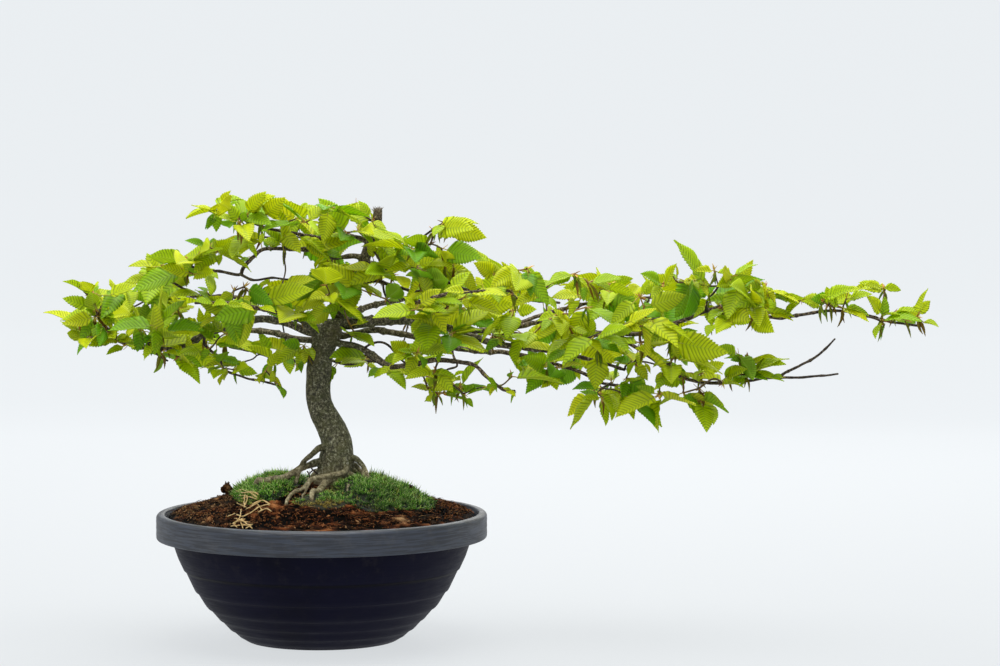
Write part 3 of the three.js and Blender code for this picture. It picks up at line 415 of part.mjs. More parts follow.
    leaves: [[0,-2.2,-3.2,2.0,-0.508,-0.73,0.457,0.685,-0.664,-0.299,29.1,17.3,0.21,0.17],
      [1,1.1,-4.3,-2.3,0.223,-0.856,-0.468,0.682,-0.206,0.702,24.0,12.4,0.52,0.53],
      [2,-2.2,-3.0,-1.1,-0.551,-0.781,-0.292,0.163,-0.445,0.88,22.2,11.5,0.49,0.12],
      [3,2.3,-2.4,-2.2,0.569,-0.602,-0.56,0.245,-0.526,0.814,29.4,15.2,0.51,0.16],
      [4,1.6,-3.4,1.4,0.409,-0.845,0.346,0.167,0.443,0.882,22.1,11.4,0.45,0.68],
      [5,4.6,-1.1,-0.6,0.963,-0.236,-0.133,0.088,-0.19,0.979,29.4,15.2,0.54,0.24],
      [6,-0.2,-5.5,-1.6,-0.043,-0.959,-0.287,-0.957,-0.044,0.289,25.2,13.1,0.21,0.66],
      [7,-5.3,5.1,0.3,-0.722,0.691,0.042,0.542,0.525,0.657,34.1,18.5,0.48,0.32],
      [8,-3.0,-3.2,-0.1,-0.679,-0.734,-0.025,0.388,-0.388,0.836,32.6,16.7,0.37,0.08],
      [8,2.5,9.7,0.6,0.247,0.967,0.071,0.828,-0.249,0.5,50.0,25.1,0.47,0.27],
      [8,6.3,-5.7,-1.4,0.718,-0.678,-0.159,0.125,-0.097,0.987,43.8,22.2,0.65,0.19],
      [9,3.2,2.7,-1.4,0.72,0.633,-0.286,0.323,0.058,0.945,32.1,18.1,0.19,0.27],
      [10,2.2,4.5,1.0,0.433,0.883,0.185,-0.143,-0.136,0.981,47.4,24.5,0.61,0.33],
      [1,3.8,2.4,-0.6,0.841,0.537,-0.065,-0.274,0.528,0.804,37.2,20.7,0.66,0.16],
      [8,-1.5,0.2,3.9,-0.299,-0.081,0.951,0.818,-0.535,0.212,23.6,14.1,0.29,0.23],
      [9,-2.8,1.8,-1.5,-0.757,0.518,-0.398,-0.599,-0.308,0.739,20.0,11.6,0.32,0.12],
      [2,3.3,2.2,2.7,0.613,0.447,0.651,-0.176,-0.725,0.665,20.0,10.9,0.44,0.14],
      [1,-1.6,-1.5,-3.1,-0.45,-0.381,-0.808,0.151,-0.924,0.351,22.8,10.9,0.26,0.18],
      [9,3.6,0.6,-0.1,0.975,0.193,0.108,0.001,-0.495,0.869,29.4,16.7,0.5,0.27],
      [4,3.6,1.7,-0.6,0.856,0.488,-0.171,-0.323,0.763,0.559,20.0,9.6,0.35,0.27],
      [6,-3.5,-2.2,1.0,-0.9,-0.407,0.156,0.353,-0.471,0.809,20.0,9.8,0.61,0.13],
      [5,3.1,0.5,4.0,0.624,0.133,0.77,-0.735,0.433,0.521,32.7,17.8,0.24,0.27]],
  },
  {
    nodes: [[123.1,-59.0,419.5,1.06],[113.8,-53.5,411.8,1.72],[121.4,-51.9,393.5,1.29],[110.3,-47.6,398.1,1.46],[95.6,-36.1,375.9,1.17],[100.7,-42.3,371.3,1.06],[132.3,-51.1,376.4,1.06],[92.0,-43.9,393.0,1.29],[124.2,-49.0,377.7,1.17]],
    links: [[-1,1,0.8,1.38,[115.5,-47.1,413.6],[114.6,-49.5,412.8]],[1,0,0.94,0.85],[1,3,1.3,1.17,[112.8,-48.2,405.6]],[3,2,1.1,0.99,[115.4,-49.9,396.7]],[2,8,1.03,0.93,[121.6,-53.9,386.0]],[8,6,0.94,0.85],[3,7,1.1,0.99,[100.4,-43.7,393.8]],[7,4,1.03,0.93,[93.7,-41.4,384.8]],[4,5,0.94,0.85]],
    leaves: [[0,5.1,0.7,-1.9,0.931,0.138,-0.338,0.154,-0.988,0.021,39.6,20.2,0.24,0.18],
      [1,5.1,-3.9,0.1,0.771,-0.637,0.021,-0.575,-0.679,0.452,44.1,22.3,0.38,0.18],
      [2,4.9,-4.0,-1.0,0.768,-0.622,-0.159,-0.494,-0.733,0.468,44.5,22.5,0.3,0.13],
      [3,-2.9,-2.7,0.6,-0.723,-0.674,0.152,-0.407,0.593,0.694,32.2,16.7,0.31,0.11],
      [4,3.7,-1.0,1.2,0.919,-0.254,0.301,0.175,0.948,0.265,29.4,20.4,0.24,0.33],
      [5,3.6,-0.1,-0.1,0.999,-0.021,-0.015,-0.011,-0.898,0.44,45.6,23.2,0.3,0.2],
      [6,3.1,-1.6,-3.6,0.62,-0.299,-0.725,0.392,-0.683,0.616,33.6,17.4,0.52,0.2],
      [7,0.4,-4.0,-1.2,0.106,-0.95,-0.294,0.222,-0.265,0.938,40.8,22.3,0.74,0.21],
      [7,2.5,-2.4,-0.7,0.705,-0.684,-0.19,0.591,0.417,0.691,34.7,20.8,0.63,0.12],
      [7,-3.4,1.6,0.1,-0.904,0.425,0.031,0.151,0.252,0.956,51.8,28.5,0.37,0.18],
      [8,0.6,-4.1,1.6,0.136,-0.932,0.338,0.558,0.354,0.749,32.5,17.1,0.26,0.21],
      [5,-1.7,1.6,-2.9,-0.469,0.414,-0.78,0.512,0.847,0.142,20.0,11.7,0.45,0.32],
      [7,-3.3,-1.6,2.8,-0.793,-0.408,0.453,0.56,-0.195,0.805,31.5,17.7,0.44,0.15],
      [5,-4.3,0.5,2.8,-0.775,0.044,0.631,0.465,0.716,0.521,20.0,10.0,0.46,0.21],
      [0,-1.5,-3.1,-2.5,-0.409,-0.747,-0.524,-0.198,-0.488,0.85,20.0,11.3,0.23,0.11]],
  },
  {
    nodes: [[141.8,-58.5,344.5,1.06],[127.5,-54.5,337.3,1.38],[109.2,-37.2,325.5,1.29],[98.1,-90.7,336.0,1.06],[101.6,-51.9,361.3,1.06],[126.8,-39.3,308.5,1.17],[131.9,-44.5,309.2,1.06],[106.2,-38.0,354.1,1.72],[105.9,-53.1,353.2,1.51]],
    links: [[-1,7,1.03,1.38,[107.9,-34.0,350.3],[107.2,-35.9,352.0]],[7,8,1.34,1.21,[105.5,-43.2,356.2]],[8,4,0.94,0.85],[8,1,1.21,1.09,[112.3,-52.4,349.5],[120.4,-53.6,343.0]],[1,0,0.94,0.85,[132.7,-55.7,341.8]],[1,2,1.1,0.99,[124.6,-46.5,334.3],[116.6,-41.0,330.2]],[2,5,1.03,0.93,[117.5,-42.3,317.9]],[5,6,0.94,0.85],[8,3,0.94,0.85,[107.9,-68.7,345.2],[111.7,-65.3,333.6]]],
    leaves: [[0,5.0,0.4,-2.2,0.919,0.073,-0.386,0.348,-0.615,0.708,34.6,17.9,0.47,0.32],
      [1,0.2,-3.0,2.6,0.045,-0.757,0.652,-0.171,0.637,0.752,29.1,17.3,0.21,0.26],
      [2,-0.8,-5.1,2.9,-0.129,-0.864,0.487,0.014,0.489,0.872,34.0,23.5,0.4,0.14],
      [2,0.6,-5.0,-3.9,-0.052,-0.778,-0.626,-0.188,-0.607,0.772,43.8,29.6,0.48,0.24],
      [3,-6.2,-1.7,-1.1,-0.953,-0.25,-0.172,0.02,-0.618,0.785,38.0,19.7,0.26,0.16],
      [4,-0.4,-4.6,1.2,-0.073,-0.959,0.273,0.331,0.235,0.914,45.9,23.4,0.24,0.19],
      [4,-1.5,2.2,-2.4,-0.433,0.628,-0.647,-0.901,-0.28,0.331,30.0,15.4,0.45,0.33],
      [4,3.5,-5.0,0.4,0.566,-0.821,0.079,0.748,0.552,0.369,39.8,22.4,0.37,0.16],
      [5,-6.2,2.0,-2.8,-0.882,0.284,-0.375,-0.288,-0.957,-0.049,36.9,19.2,0.62,0.14],
      [5,3.2,-0.7,-1.3,0.907,-0.193,-0.374,0.308,-0.303,0.902,39.6,23.5,0.12,0.15],
      [5,6.0,1.6,3.4,0.855,0.229,0.464,-0.267,-0.574,0.775,44.1,23.0,0.59,0.21],
      [6,-0.7,-5.5,-2.4,-0.109,-0.908,-0.406,0.188,-0.419,0.888,34.0,19.5,0.48,0.11],
      [7,4.7,1.5,-0.2,0.959,0.283,-0.037,0.228,-0.678,0.699,40.0,20.3,0.44,0.34],
      [8,-1.8,-3.3,-1.3,-0.461,-0.828,-0.32,-0.365,-0.152,0.918,33.7,17.4,0.27,0.2],
      [2,3.5,2.3,1.4,0.736,0.569,0.368,0.216,-0.711,0.669,46.0,23.7,0.16,0.38],
      [6,3.2,-1.2,1.4,0.943,-0.301,0.141,-0.161,-0.043,0.986,27.4,16.2,0.17,0.12],
      [6,-3.4,-2.5,-0.2,-0.789,-0.604,0.113,0.437,-0.422,0.795,20.0,12.1,0.22,0.35],
      [5,3.9,0.9,0.3,0.974,0.178,0.138,-0.059,-0.391,0.919,23.2,11.5,0.31,0.13]],
  },
  {
    nodes: [[139.4,45.5,330.0,1.06],[134.7,55.3,335.0,1.17],[108.3,70.1,354.7,1.38]],
    links: [[-1,2,1.19,1.1,[111.2,84.2,379.2],[110.8,82.8,376.8],[110.8,73.2,364.3]],[2,1,1.03,0.93,[116.3,64.1,349.4],[125.2,61.9,344.3]],[1,0,0.94,0.85]],
    leaves: [[0,3.5,0.3,-2.3,0.837,0.075,-0.542,0.369,-0.81,0.457,39.4,22.8,0.12,0.22],
      [0,-2.7,-1.7,-2.4,-0.671,-0.429,-0.604,-0.639,0.748,0.178,37.1,19.6,0.56,0.07],
      [0,5.7,1.3,0.4,0.974,0.217,0.07,0.217,-0.976,0.005,49.9,25.0,0.62,0.14],
      [1,1.8,3.8,0.5,0.414,0.902,0.12,0.415,-0.305,0.857,38.0,21.6,0.15,0.19],
      [1,0.3,3.8,-3.2,0.051,0.765,-0.642,0.46,0.553,0.695,31.9,18.9,0.22,0.33],
      [2,-2.6,-0.7,-2.0,-0.782,-0.202,-0.59,-0.111,-0.886,0.45,31.0,16.9,0.39,0.07],
      [2,-3.2,3.0,0.7,-0.716,0.676,0.173,0.438,0.241,0.866,33.0,18.5,0.49,0.24]],
  },
  {
    nodes: [[115.0,-53.3,274.5,1.38],[142.1,-27.3,249.0,1.17],[190.3,-58.9,268.2,1.06]],
    links: [[-1,0,1.25,1.1,[116.9,-46.6,281.3],[116.2,-48.8,279.2],[115.2,-50.6,276.7]],[0,1,1.03,0.93,[123.4,-45.5,263.0],[130.3,-39.2,259.6]],[1,2,0.94,0.85,[158.6,-42.6,255.9],[178.6,-50.0,258.4]]],
    leaves: [[0,-3.4,-1.8,-0.9,-0.861,-0.457,-0.222,0.103,-0.586,0.804,29.1,15.2,0.22,0.29],
      [0,-2.9,-0.9,-4.5,0.953,-0.254,-0.164,0.065,-0.357,0.932,26.2,13.5,0.55,0.69],
      [1,1.6,-2.6,1.3,0.482,-0.785,0.39,0.32,0.572,0.755,19.6,10.2,0.31,0.52],
      [2,5.2,1.3,-0.9,0.959,0.235,-0.156,0.183,-0.096,0.978,47.1,24.3,0.32,0.37]],
  },
  {
    nodes: [[174.6,-68.0,367.6,1.06],[189.9,-70.3,350.9,1.77],[195.5,-71.5,344.5,1.63],[218.3,-83.0,351.3,1.46],[204.6,-96.2,375.2,1.17],[251.2,-81.8,370.0,1.38],[259.3,-43.4,346.9,1.06],[281.9,-42.0,357.4,1.06],[264.8,-54.4,359.9,1.24],[197.2,-89.7,373.6,1.06]],
    links: [[-1,1,1.02,1.42,[191.9,-63.2,351.6],[191.6,-65.9,351.3]],[1,2,1.34,1.21],[1,0,0.94,0.85,[181.1,-72.1,359.5]],[2,3,1.3,1.17,[204.5,-74.1,349.5],[212.2,-75.8,348.4]],[3,4,1.03,0.93,[215.9,-84.8,364.4],[210.2,-90.7,367.9]],[4,9,0.94,0.85],[3,5,1.16,1.04,[226.9,-75.2,359.3],[242.2,-77.7,367.1]],[5,8,1.1,0.99,[255.3,-73.1,364.3],[260.6,-65.1,364.2]],[8,6,0.94,0.85,[264.0,-47.4,354.0]],[8,7,0.94,0.85,[271.7,-46.4,361.5]]],
    leaves: [[0,-2.6,-2.5,1.6,-0.653,-0.641,0.402,0.639,-0.752,-0.162,29.3,15.3,0.47,0.13],
      [1,-1.2,-1.2,3.7,-0.298,-0.301,0.905,0.684,-0.73,-0.019,29.2,18.4,0.33,0.23],
      [2,3.2,-3.1,3.3,0.582,-0.543,0.604,-0.813,-0.408,0.417,31.6,16.4,0.35,0.11],
      [3,1.8,-2.0,-1.8,0.563,-0.613,-0.555,0.334,-0.445,0.831,23.8,12.4,0.16,0.17],
      [4,0.8,-3.5,-4.0,0.081,-0.66,-0.745,0.293,-0.7,0.652,29.2,15.2,0.39,0.29],
      [5,-3.2,-2.0,-1.3,-0.8,-0.505,-0.325,-0.074,-0.455,0.887,29.4,15.2,0.53,0.3],
      [5,1.9,2.5,-3.6,0.676,0.1,-0.73,0.71,-0.353,0.609,17.7,9.2,0.53,0.26],
      [6,-3.7,-1.5,-0.2,-0.927,-0.372,-0.058,0.169,-0.55,0.818,29.3,15.2,0.44,0.25],
      [7,3.5,-1.4,-1.2,0.888,-0.343,-0.306,0.459,0.619,0.638,29.1,15.2,0.18,0.12],
      [8,3.9,-1.0,0.5,0.96,-0.254,0.12,-0.237,-0.502,0.832,29.8,15.4,0.45,0.15],
      [9,-0.3,-4.6,-1.5,-0.069,-0.946,-0.318,0.623,-0.289,0.726,49.7,27.9,0.41,0.2],
      [9,-3.7,-3.2,-2.1,-0.702,-0.595,-0.39,0.373,-0.775,0.511,34.8,18.6,0.62,0.19],
      [4,3.1,0.1,-3.9,0.693,0.147,-0.706,0.34,-0.93,0.14,20.0,11.7,0.34,0.28],
      [1,-2.5,2.6,3.2,-0.575,0.514,0.637,0.772,0.083,0.63,46.0,24.0,0.62,0.37],
      [3,1.0,3.7,0.6,0.349,0.906,0.239,0.04,-0.269,0.962,34.8,18.2,0.63,0.36],
      [6,-2.2,0.6,-4.4,-0.524,0.034,-0.851,-0.619,0.671,0.408,21.0,11.2,0.17,0.33],
      [5,-4.1,-1.4,-2.3,-0.875,-0.229,-0.426,-0.053,-0.829,0.556,20.0,10.0,0.43,0.41],
      [0,-3.0,-0.7,1.9,-0.786,-0.064,0.616,0.58,-0.423,0.696,28.5,14.0,0.67,0.27],
      [9,3.1,2.8,-1.0,0.739,0.631,-0.235,0.598,-0.455,0.66,20.0,10.2,0.59,0.23],
      [1,-4.0,1.5,-1.9,-0.899,0.27,-0.344,-0.385,-0.112,0.916,20.0,10.7,0.65,0.22]],
  },
  {
    nodes: [[275.8,-11.8,292.1,1.06],[264.0,-27.6,334.9,1.06],[268.0,-16.4,303.9,1.17],[250.8,-23.8,308.0,1.31],[205.3,-18.1,302.0,1.57],[200.6,-14.0,307.5,1.63],[236.6,-25.6,328.1,1.45],[171.1,-12.6,305.6,1.81],[191.4,-38.6,332.1,1.06],[251.0,-15.1,291.5,1.06],[179.3,-25.8,305.7,1.68]],
    links: [[-1,7,1.6,1.45,[171.5,-13.0,302.4],[171.9,-12.3,305.8]],[7,10,1.42,1.27,[176.0,-17.7,304.6]],[10,5,1.34,1.21,[189.5,-21.1,309.1]],[5,4,1.3,1.17],[10,8,0.94,0.85,[187.6,-30.0,315.5],[187.3,-33.6,329.5]],[4,6,1.26,1.13,[214.7,-24.2,311.5],[227.8,-27.3,322.9]],[6,3,1.16,1.04,[244.8,-25.0,318.5]],[3,9,0.94,0.85,[250.1,-20.0,299.3]],[3,2,1.03,0.93,[260.9,-16.3,306.2]],[2,0,0.94,0.85,[271.9,-17.5,297.9]],[6,1,0.94,0.85,[248.6,-32.9,328.9],[253.6,-29.4,331.9]]],
    leaves: [[0,-0.6,0.0,-7.9,-0.061,-0.002,-0.998,0.379,-0.926,-0.021,32.3,22.3,0.45,0.24],
      [1,-2.1,1.4,-4.3,-0.424,0.27,-0.864,-0.333,-0.935,-0.129,34.3,17.9,0.22,0.16],
      [2,3.7,-0.1,-1.8,0.89,-0.042,-0.454,0.301,-0.692,0.656,30.4,15.8,0.4,0.25],
      [3,-6.8,-5.8,-5.3,-0.664,-0.549,-0.508,-0.323,-0.402,0.857,29.2,15.2,0.31,0.29],
      [4,5.1,-1.5,2.2,0.884,-0.254,0.393,-0.43,-0.774,0.466,34.6,18.0,0.26,0.29],
      [5,-5.3,-0.7,3.6,-0.825,-0.111,0.554,0.562,-0.259,0.785,35.8,18.7,0.24,0.17],
      [6,0.2,-4.2,-2.5,0.052,-0.847,-0.528,0.386,-0.471,0.794,33.0,17.8,0.39,0.11],
      [7,1.5,4.0,-0.0,0.346,0.938,-0.009,0.265,-0.089,0.96,39.6,22.1,0.22,0.29],
      [8,-1.3,-6.4,-5.1,-0.155,-0.774,-0.613,0.074,-0.628,0.774,34.2,19.6,0.67,0.1],
      [9,-0.2,7.6,-0.3,-0.034,1.0,-0.023,-0.096,0.021,0.996,36.2,20.3,0.11,0.23],
      [10,2.6,-5.4,-0.1,0.433,-0.901,-0.035,-0.029,-0.052,0.998,51.1,29.4,0.38,0.09],
      [1,3.3,-2.5,-2.1,0.691,-0.532,-0.49,0.351,-0.345,0.871,45.5,23.4,0.57,0.26],
      [5,-1.3,-1.0,-4.2,-0.204,-0.084,-0.975,-0.7,-0.684,0.205,28.9,17.6,0.42,0.32],
      [8,4.5,-2.3,-0.2,0.925,-0.367,0.098,-0.38,-0.897,0.228,20.0,12.3,0.34,0.23],
      [3,0.3,1.1,-3.9,0.123,0.223,-0.967,-0.167,0.965,0.201,22.9,11.1,0.48,0.24],
      [2,-0.1,-2.8,3.3,0.091,-0.488,0.868,0.174,0.866,0.468,20.0,10.7,0.63,0.37],
      [4,2.6,1.4,2.5,0.62,0.474,0.625,-0.239,-0.645,0.726,20.0,10.4,0.23,0.34],
      [7,3.9,1.1,-1.1,0.932,0.152,-0.328,0.176,0.601,0.78,20.0,11.3,0.37,0.33],
      [8,-3.2,-1.7,-2.6,-0.637,-0.393,-0.663,-0.715,-0.022,0.699,46.0,24.1,0.43,0.3],
      [10,-1.1,-0.5,3.4,-0.306,-0.258,0.916,0.605,-0.796,-0.022,21.2,10.3,0.66,0.26],
      [6,-4.2,1.9,-1.2,-0.838,0.429,-0.337,-0.539,-0.558,0.631,20.1,11.1,0.53,0.21],
      [10,-2.8,-1.6,-2.3,-0.649,-0.373,-0.662,-0.237,-0.729,0.643,20.0,10.1,0.47,0.13]],
  },
  {
    nodes: [[198.4,98.2,353.5,1.06],[238.0,49.6,316.5,1.29],[226.6,65.6,322.1,1.17],[250.2,60.0,335.3,1.45]],
    links: [[-1,3,1.31,1.16,[249.3,62.7,331.2],[249.9,61.2,333.7]],[3,1,1.1,0.99,[261.1,51.9,333.1]],[1,2,1.03,0.93,[232.0,59.9,320.3]],[2,0,0.94,0.85,[223.2,74.2,344.7],[208.7,90.4,340.1]]],
    leaves: [[0,-5.2,0.1,-0.7,-0.99,0.019,-0.138,-0.045,0.895,0.443,42.8,25.0,0.33,0.27],
      [0,2.4,-2.7,-1.6,0.583,-0.702,-0.406,-0.517,-0.708,0.481,40.5,23.7,0.59,0.15],
      [0,-0.4,3.8,-3.1,-0.091,0.771,-0.63,-0.409,0.548,0.73,49.4,25.7,0.27,0.4],
      [1,3.2,0.1,-2.0,0.834,0.019,-0.551,0.007,0.999,0.045,42.7,25.3,0.38,0.11],
      [1,-2.9,1.8,-3.6,-0.592,0.36,-0.722,-0.016,0.889,0.458,47.2,24.6,0.47,0.33],
      [1,-0.4,1.9,-2.4,-0.121,0.616,-0.779,0.564,0.688,0.456,36.9,18.9,0.25,0.21],
      [2,0.7,4.4,-0.4,0.153,0.983,-0.099,0.958,-0.123,0.26,37.5,20.3,0.23,0.1],
      [3,1.2,-6.5,1.7,0.192,-0.95,0.248,-0.866,-0.045,0.496,37.2,18.9,0.51,0.31],
      [2,3.7,1.0,-0.7,0.945,0.29,-0.154,-0.223,0.911,0.346,20.0,11.9,0.49,0.36]],
  },
  {
    nodes: [[230.9,34.8,270.7,1.29],[225.6,22.3,273.1,1.06],[236.3,26.9,271.1,1.17],[229.3,40.4,275.7,1.45]],
    links: [[-1,3,1.31,1.16,[229.9,44.4,275.1],[230.0,41.4,275.4]],[3,0,1.1,0.99],[0,2,1.03,0.93],[2,1,0.94,0.85]],
    leaves: [[0,-3.1,-1.2,-3.1,-0.684,-0.254,-0.684,-0.118,-0.887,0.447,33.7,17.5,0.47,0.24],
      [0,-7.5,-1.6,4.6,-0.911,-0.409,-0.058,0.252,-0.661,0.707,29.1,15.2,0.2,0.33],
      [1,-3.0,-3.6,1.3,-0.615,-0.74,0.273,0.722,-0.667,-0.182,36.9,18.7,0.64,0.22],
      [2,-0.9,-4.3,-0.8,-0.206,-0.961,-0.184,0.6,-0.273,0.752,35.7,21.4,0.47,0.19],
      [2,3.8,-0.9,-0.0,0.975,-0.22,0.016,0.038,0.245,0.968,31.5,17.5,0.74,0.19],
      [1,2.3,1.9,3.3,0.624,0.352,0.698,-0.237,-0.765,0.599,20.0,10.3,0.63,0.15],
      [0,0.5,-1.9,-3.9,0.237,-0.305,-0.923,-0.097,-0.952,0.29,20.0,12.2,0.17,0.19],
      [3,3.5,-2.0,0.5,0.881,-0.454,0.136,-0.26,-0.223,0.94,31.1,17.4,0.4,0.17],
      [1,-1.9,2.2,3.5,-0.431,0.438,0.789,0.636,-0.473,0.61,20.0,10.1,0.39,0.23]],
  },
  {
    nodes: [[255.9,50.8,280.7,1.17]],
    links: [[-1,0,1.09,0.94,[250.1,43.8,270.6],[251.2,45.3,272.8]]],
    leaves: [[0,-2.3,3.0,-3.0,-0.475,0.616,-0.628,0.819,0.57,-0.059,44.6,24.2,0.46,0.34],
      [0,-4.2,0.6,0.8,-0.973,0.136,0.186,0.153,-0.22,0.963,38.8,21.6,0.51,0.2],
      [0,3.5,-1.5,-0.2,0.919,-0.388,-0.052,-0.371,-0.905,0.21,39.7,22.3,0.11,0.12]],
  },
  {
    nodes: [[281.0,45.9,342.2,1.29],[289.5,30.2,348.8,1.06],[282.9,55.4,350.5,1.51],[290.8,37.3,355.1,1.17],[275.3,59.3,358.3,1.06]],
    links: [[-1,2,1.36,1.21,[277.6,77.1,335.3],[278.1,74.8,336.9],[280.1,62.7,345.0]],[2,4,0.94,0.85],[2,0,1.1,0.99],[0,3,1.03,0.93,[286.6,43.4,348.9]],[3,1,0.94,0.85]],
    leaves: [[0,-1.3,-2.6,-2.4,-0.343,-0.692,-0.635,0.235,-0.718,0.655,38.5,20.9,0.54,0.34],
      [0,-2.3,2.3,0.4,-0.701,0.701,0.134,0.669,0.579,0.466,49.2,29.3,0.1,0.16],
      [0,5.8,-2.2,-3.2,0.826,-0.318,-0.465,-0.471,-0.845,-0.257,43.7,23.9,0.14,0.14],
      [1,3.1,-2.0,-2.3,0.693,-0.457,-0.559,-0.32,-0.889,0.33,36.0,20.8,0.22,0.09],
      [1,-0.6,-5.1,-1.8,-0.103,-0.939,-0.329,0.056,-0.335,0.94,35.1,18.3,0.72,0.28],
      [1,2.6,-1.2,-2.4,0.696,-0.313,-0.646,0.652,0.653,0.386,43.6,23.8,0.55,0.31],
      [2,3.5,-1.5,0.7,0.904,-0.378,0.19,0.201,0.78,0.594,28.6,16.9,0.54,0.36],
      [2,0.1,4.4,0.6,0.01,0.988,0.153,0.661,-0.122,0.741,50.4,26.3,0.58,0.26],
      [3,-2.5,4.6,-1.6,-0.454,0.842,-0.292,0.434,0.495,0.753,35.7,19.6,0.27,0.17],
      [3,-4.6,-0.5,0.9,-0.977,-0.098,0.189,0.113,0.515,0.85,35.4,19.5,0.2,0.09],
      [4,3.3,1.3,-0.4,0.923,0.37,-0.103,0.161,-0.129,0.979,33.3,17.3,0.22,0.31],
      [3,3.8,-1.7,1.1,0.898,-0.369,0.239,0.242,0.869,0.431,20.0,10.3,0.28,0.27]],
  },
  {
    nodes: [[280.7,14.9,250.9,1.63],[275.4,-0.8,247.5,1.17],[281.2,-12.6,243.4,1.06],[301.4,4.7,246.9,1.06],[297.6,56.4,248.6,1.29],[292.4,67.6,253.0,1.17],[270.7,77.7,240.2,1.06]],
    links: [[-1,0,1.22,1.3,[287.3,25.1,254.0],[286.0,22.8,253.3]],[0,1,1.03,0.93,[277.5,6.9,248.7]],[1,2,0.94,0.85],[0,3,0.94,0.85,[292.2,10.3,250.0]],[0,4,1.1,0.99,[282.9,24.1,251.0],[291.6,39.8,247.0]],[4,5,1.03,0.93],[5,6,0.94,0.85,[284.4,74.6,246.9],[277.1,73.2,245.6]]],
    leaves: [[0,-3.5,-1.8,0.0,-0.886,-0.463,-0.0,0.244,-0.467,0.85,29.3,15.2,0.46,0.3],
      [0,-0.6,-2.9,-11.9,0.162,-0.305,-0.939,0.712,-0.622,0.326,26.6,13.9,0.5,0.16],
      [1,-4.0,2.6,-5.8,-0.532,0.331,-0.779,-0.838,-0.333,0.432,40.8,21.1,0.24,0.21],
      [2,1.1,-3.9,-2.9,0.237,-0.781,-0.579,0.716,-0.262,0.647,29.3,15.2,0.48,0.24],
      [3,5.6,-7.2,-5.2,0.535,-0.679,-0.502,0.403,-0.318,0.858,46.4,23.5,0.24,0.2],
      [4,8.6,-2.6,-4.5,0.86,-0.259,-0.44,0.169,-0.668,0.725,38.3,22.9,0.25,0.42],
      [4,-0.0,-6.0,-3.3,0.015,-0.872,-0.489,-0.41,-0.453,0.791,40.9,23.0,0.39,0.24],
      [4,3.0,3.3,-3.0,0.569,0.616,-0.544,0.592,0.153,0.791,41.0,22.1,0.35,0.33],
      [5,0.0,5.2,1.3,0.002,0.969,0.249,-0.133,-0.246,0.96,30.1,17.4,0.67,0.09],
      [6,1.3,3.5,0.2,0.35,0.936,0.045,0.402,-0.193,0.895,39.5,21.2,0.56,0.15],
      [6,-2.7,2.1,-3.0,-0.602,0.458,-0.655,0.39,0.883,0.259,32.4,16.6,0.31,0.38],
      [3,4.0,-1.0,-3.1,0.74,-0.181,-0.647,0.46,-0.565,0.685,46.0,27.9,0.24,0.31],
      [2,-4.5,1.2,0.5,-0.915,0.275,0.296,0.072,-0.612,0.788,20.0,9.8,0.31,0.22],
      [1,3.2,1.7,-2.5,0.708,0.365,-0.605,0.578,-0.792,0.198,20.0,11.4,0.13,0.37],
      [2,-3.8,-1.9,0.2,-0.88,-0.475,0.009,0.266,-0.477,0.838,20.0,10.7,0.13,0.21],
      [4,3.5,-1.6,1.3,0.827,-0.4,0.395,-0.46,-0.077,0.884,21.1,13.0,0.53,0.27],
      [1,4.5,0.9,-0.3,0.938,0.346,-0.015,0.121,-0.287,0.95,20.0,9.7,0.2,0.32]],
  },
  {
    nodes: [[319.3,43.6,321.4,1.17],[333.3,48.8,347.4,1.38],[305.1,39.2,337.8,1.06]],
    links: [[-1,1,1.2,1.1,[335.9,87.4,339.0],[335.7,84.6,339.5],[332.7,72.7,343.1],[335.7,64.8,343.8]],[1,0,1.03,0.93,[330.2,46.7,339.9],[323.6,47.9,328.5]],[0,2,0.94,0.85,[315.1,39.2,330.6]]],
    leaves: [[0,3.1,7.2,-3.5,0.384,0.83,-0.407,0.682,-0.551,-0.478,47.2,26.9,0.45,0.14],
      [0,1.1,6.0,-3.3,0.137,0.866,-0.479,-0.763,0.402,0.507,35.1,20.4,0.69,0.07],
      [1,5.5,-12.3,2.8,0.386,-0.898,0.212,0.572,0.412,0.712,44.9,25.7,0.5,0.2],
      [1,-3.4,4.4,-9.1,-0.324,0.404,-0.856,-0.87,0.229,0.437,47.6,26.1,0.34,0.33],
      [1,5.0,8.8,1.1,0.496,0.866,0.079,0.167,-0.185,0.967,48.2,28.8,0.28,0.29],
      [2,4.2,8.3,3.1,0.411,0.856,0.314,0.449,-0.488,0.749,31.3,17.1,0.52,0.42]],
  },
  {
    nodes: [[305.1,3.1,262.4,1.06],[350.1,-15.3,284.7,1.06],[312.8,-2.0,277.9,1.51],[348.4,-19.8,278.8,1.24],[336.8,-24.1,247.8,1.06]],
    links: [[-1,2,1.36,1.21,[318.9,-5.5,287.7],[317.3,-4.6,285.4]],[2,0,0.94,0.85,[308.7,0.4,269.5]],[2,3,1.1,0.99,[322.6,-16.7,279.8],[337.1,-22.4,277.0]],[3,1,0.94,0.85],[3,4,0.94,0.85,[340.8,-36.5,271.8],[337.4,-27.6,261.0]]],
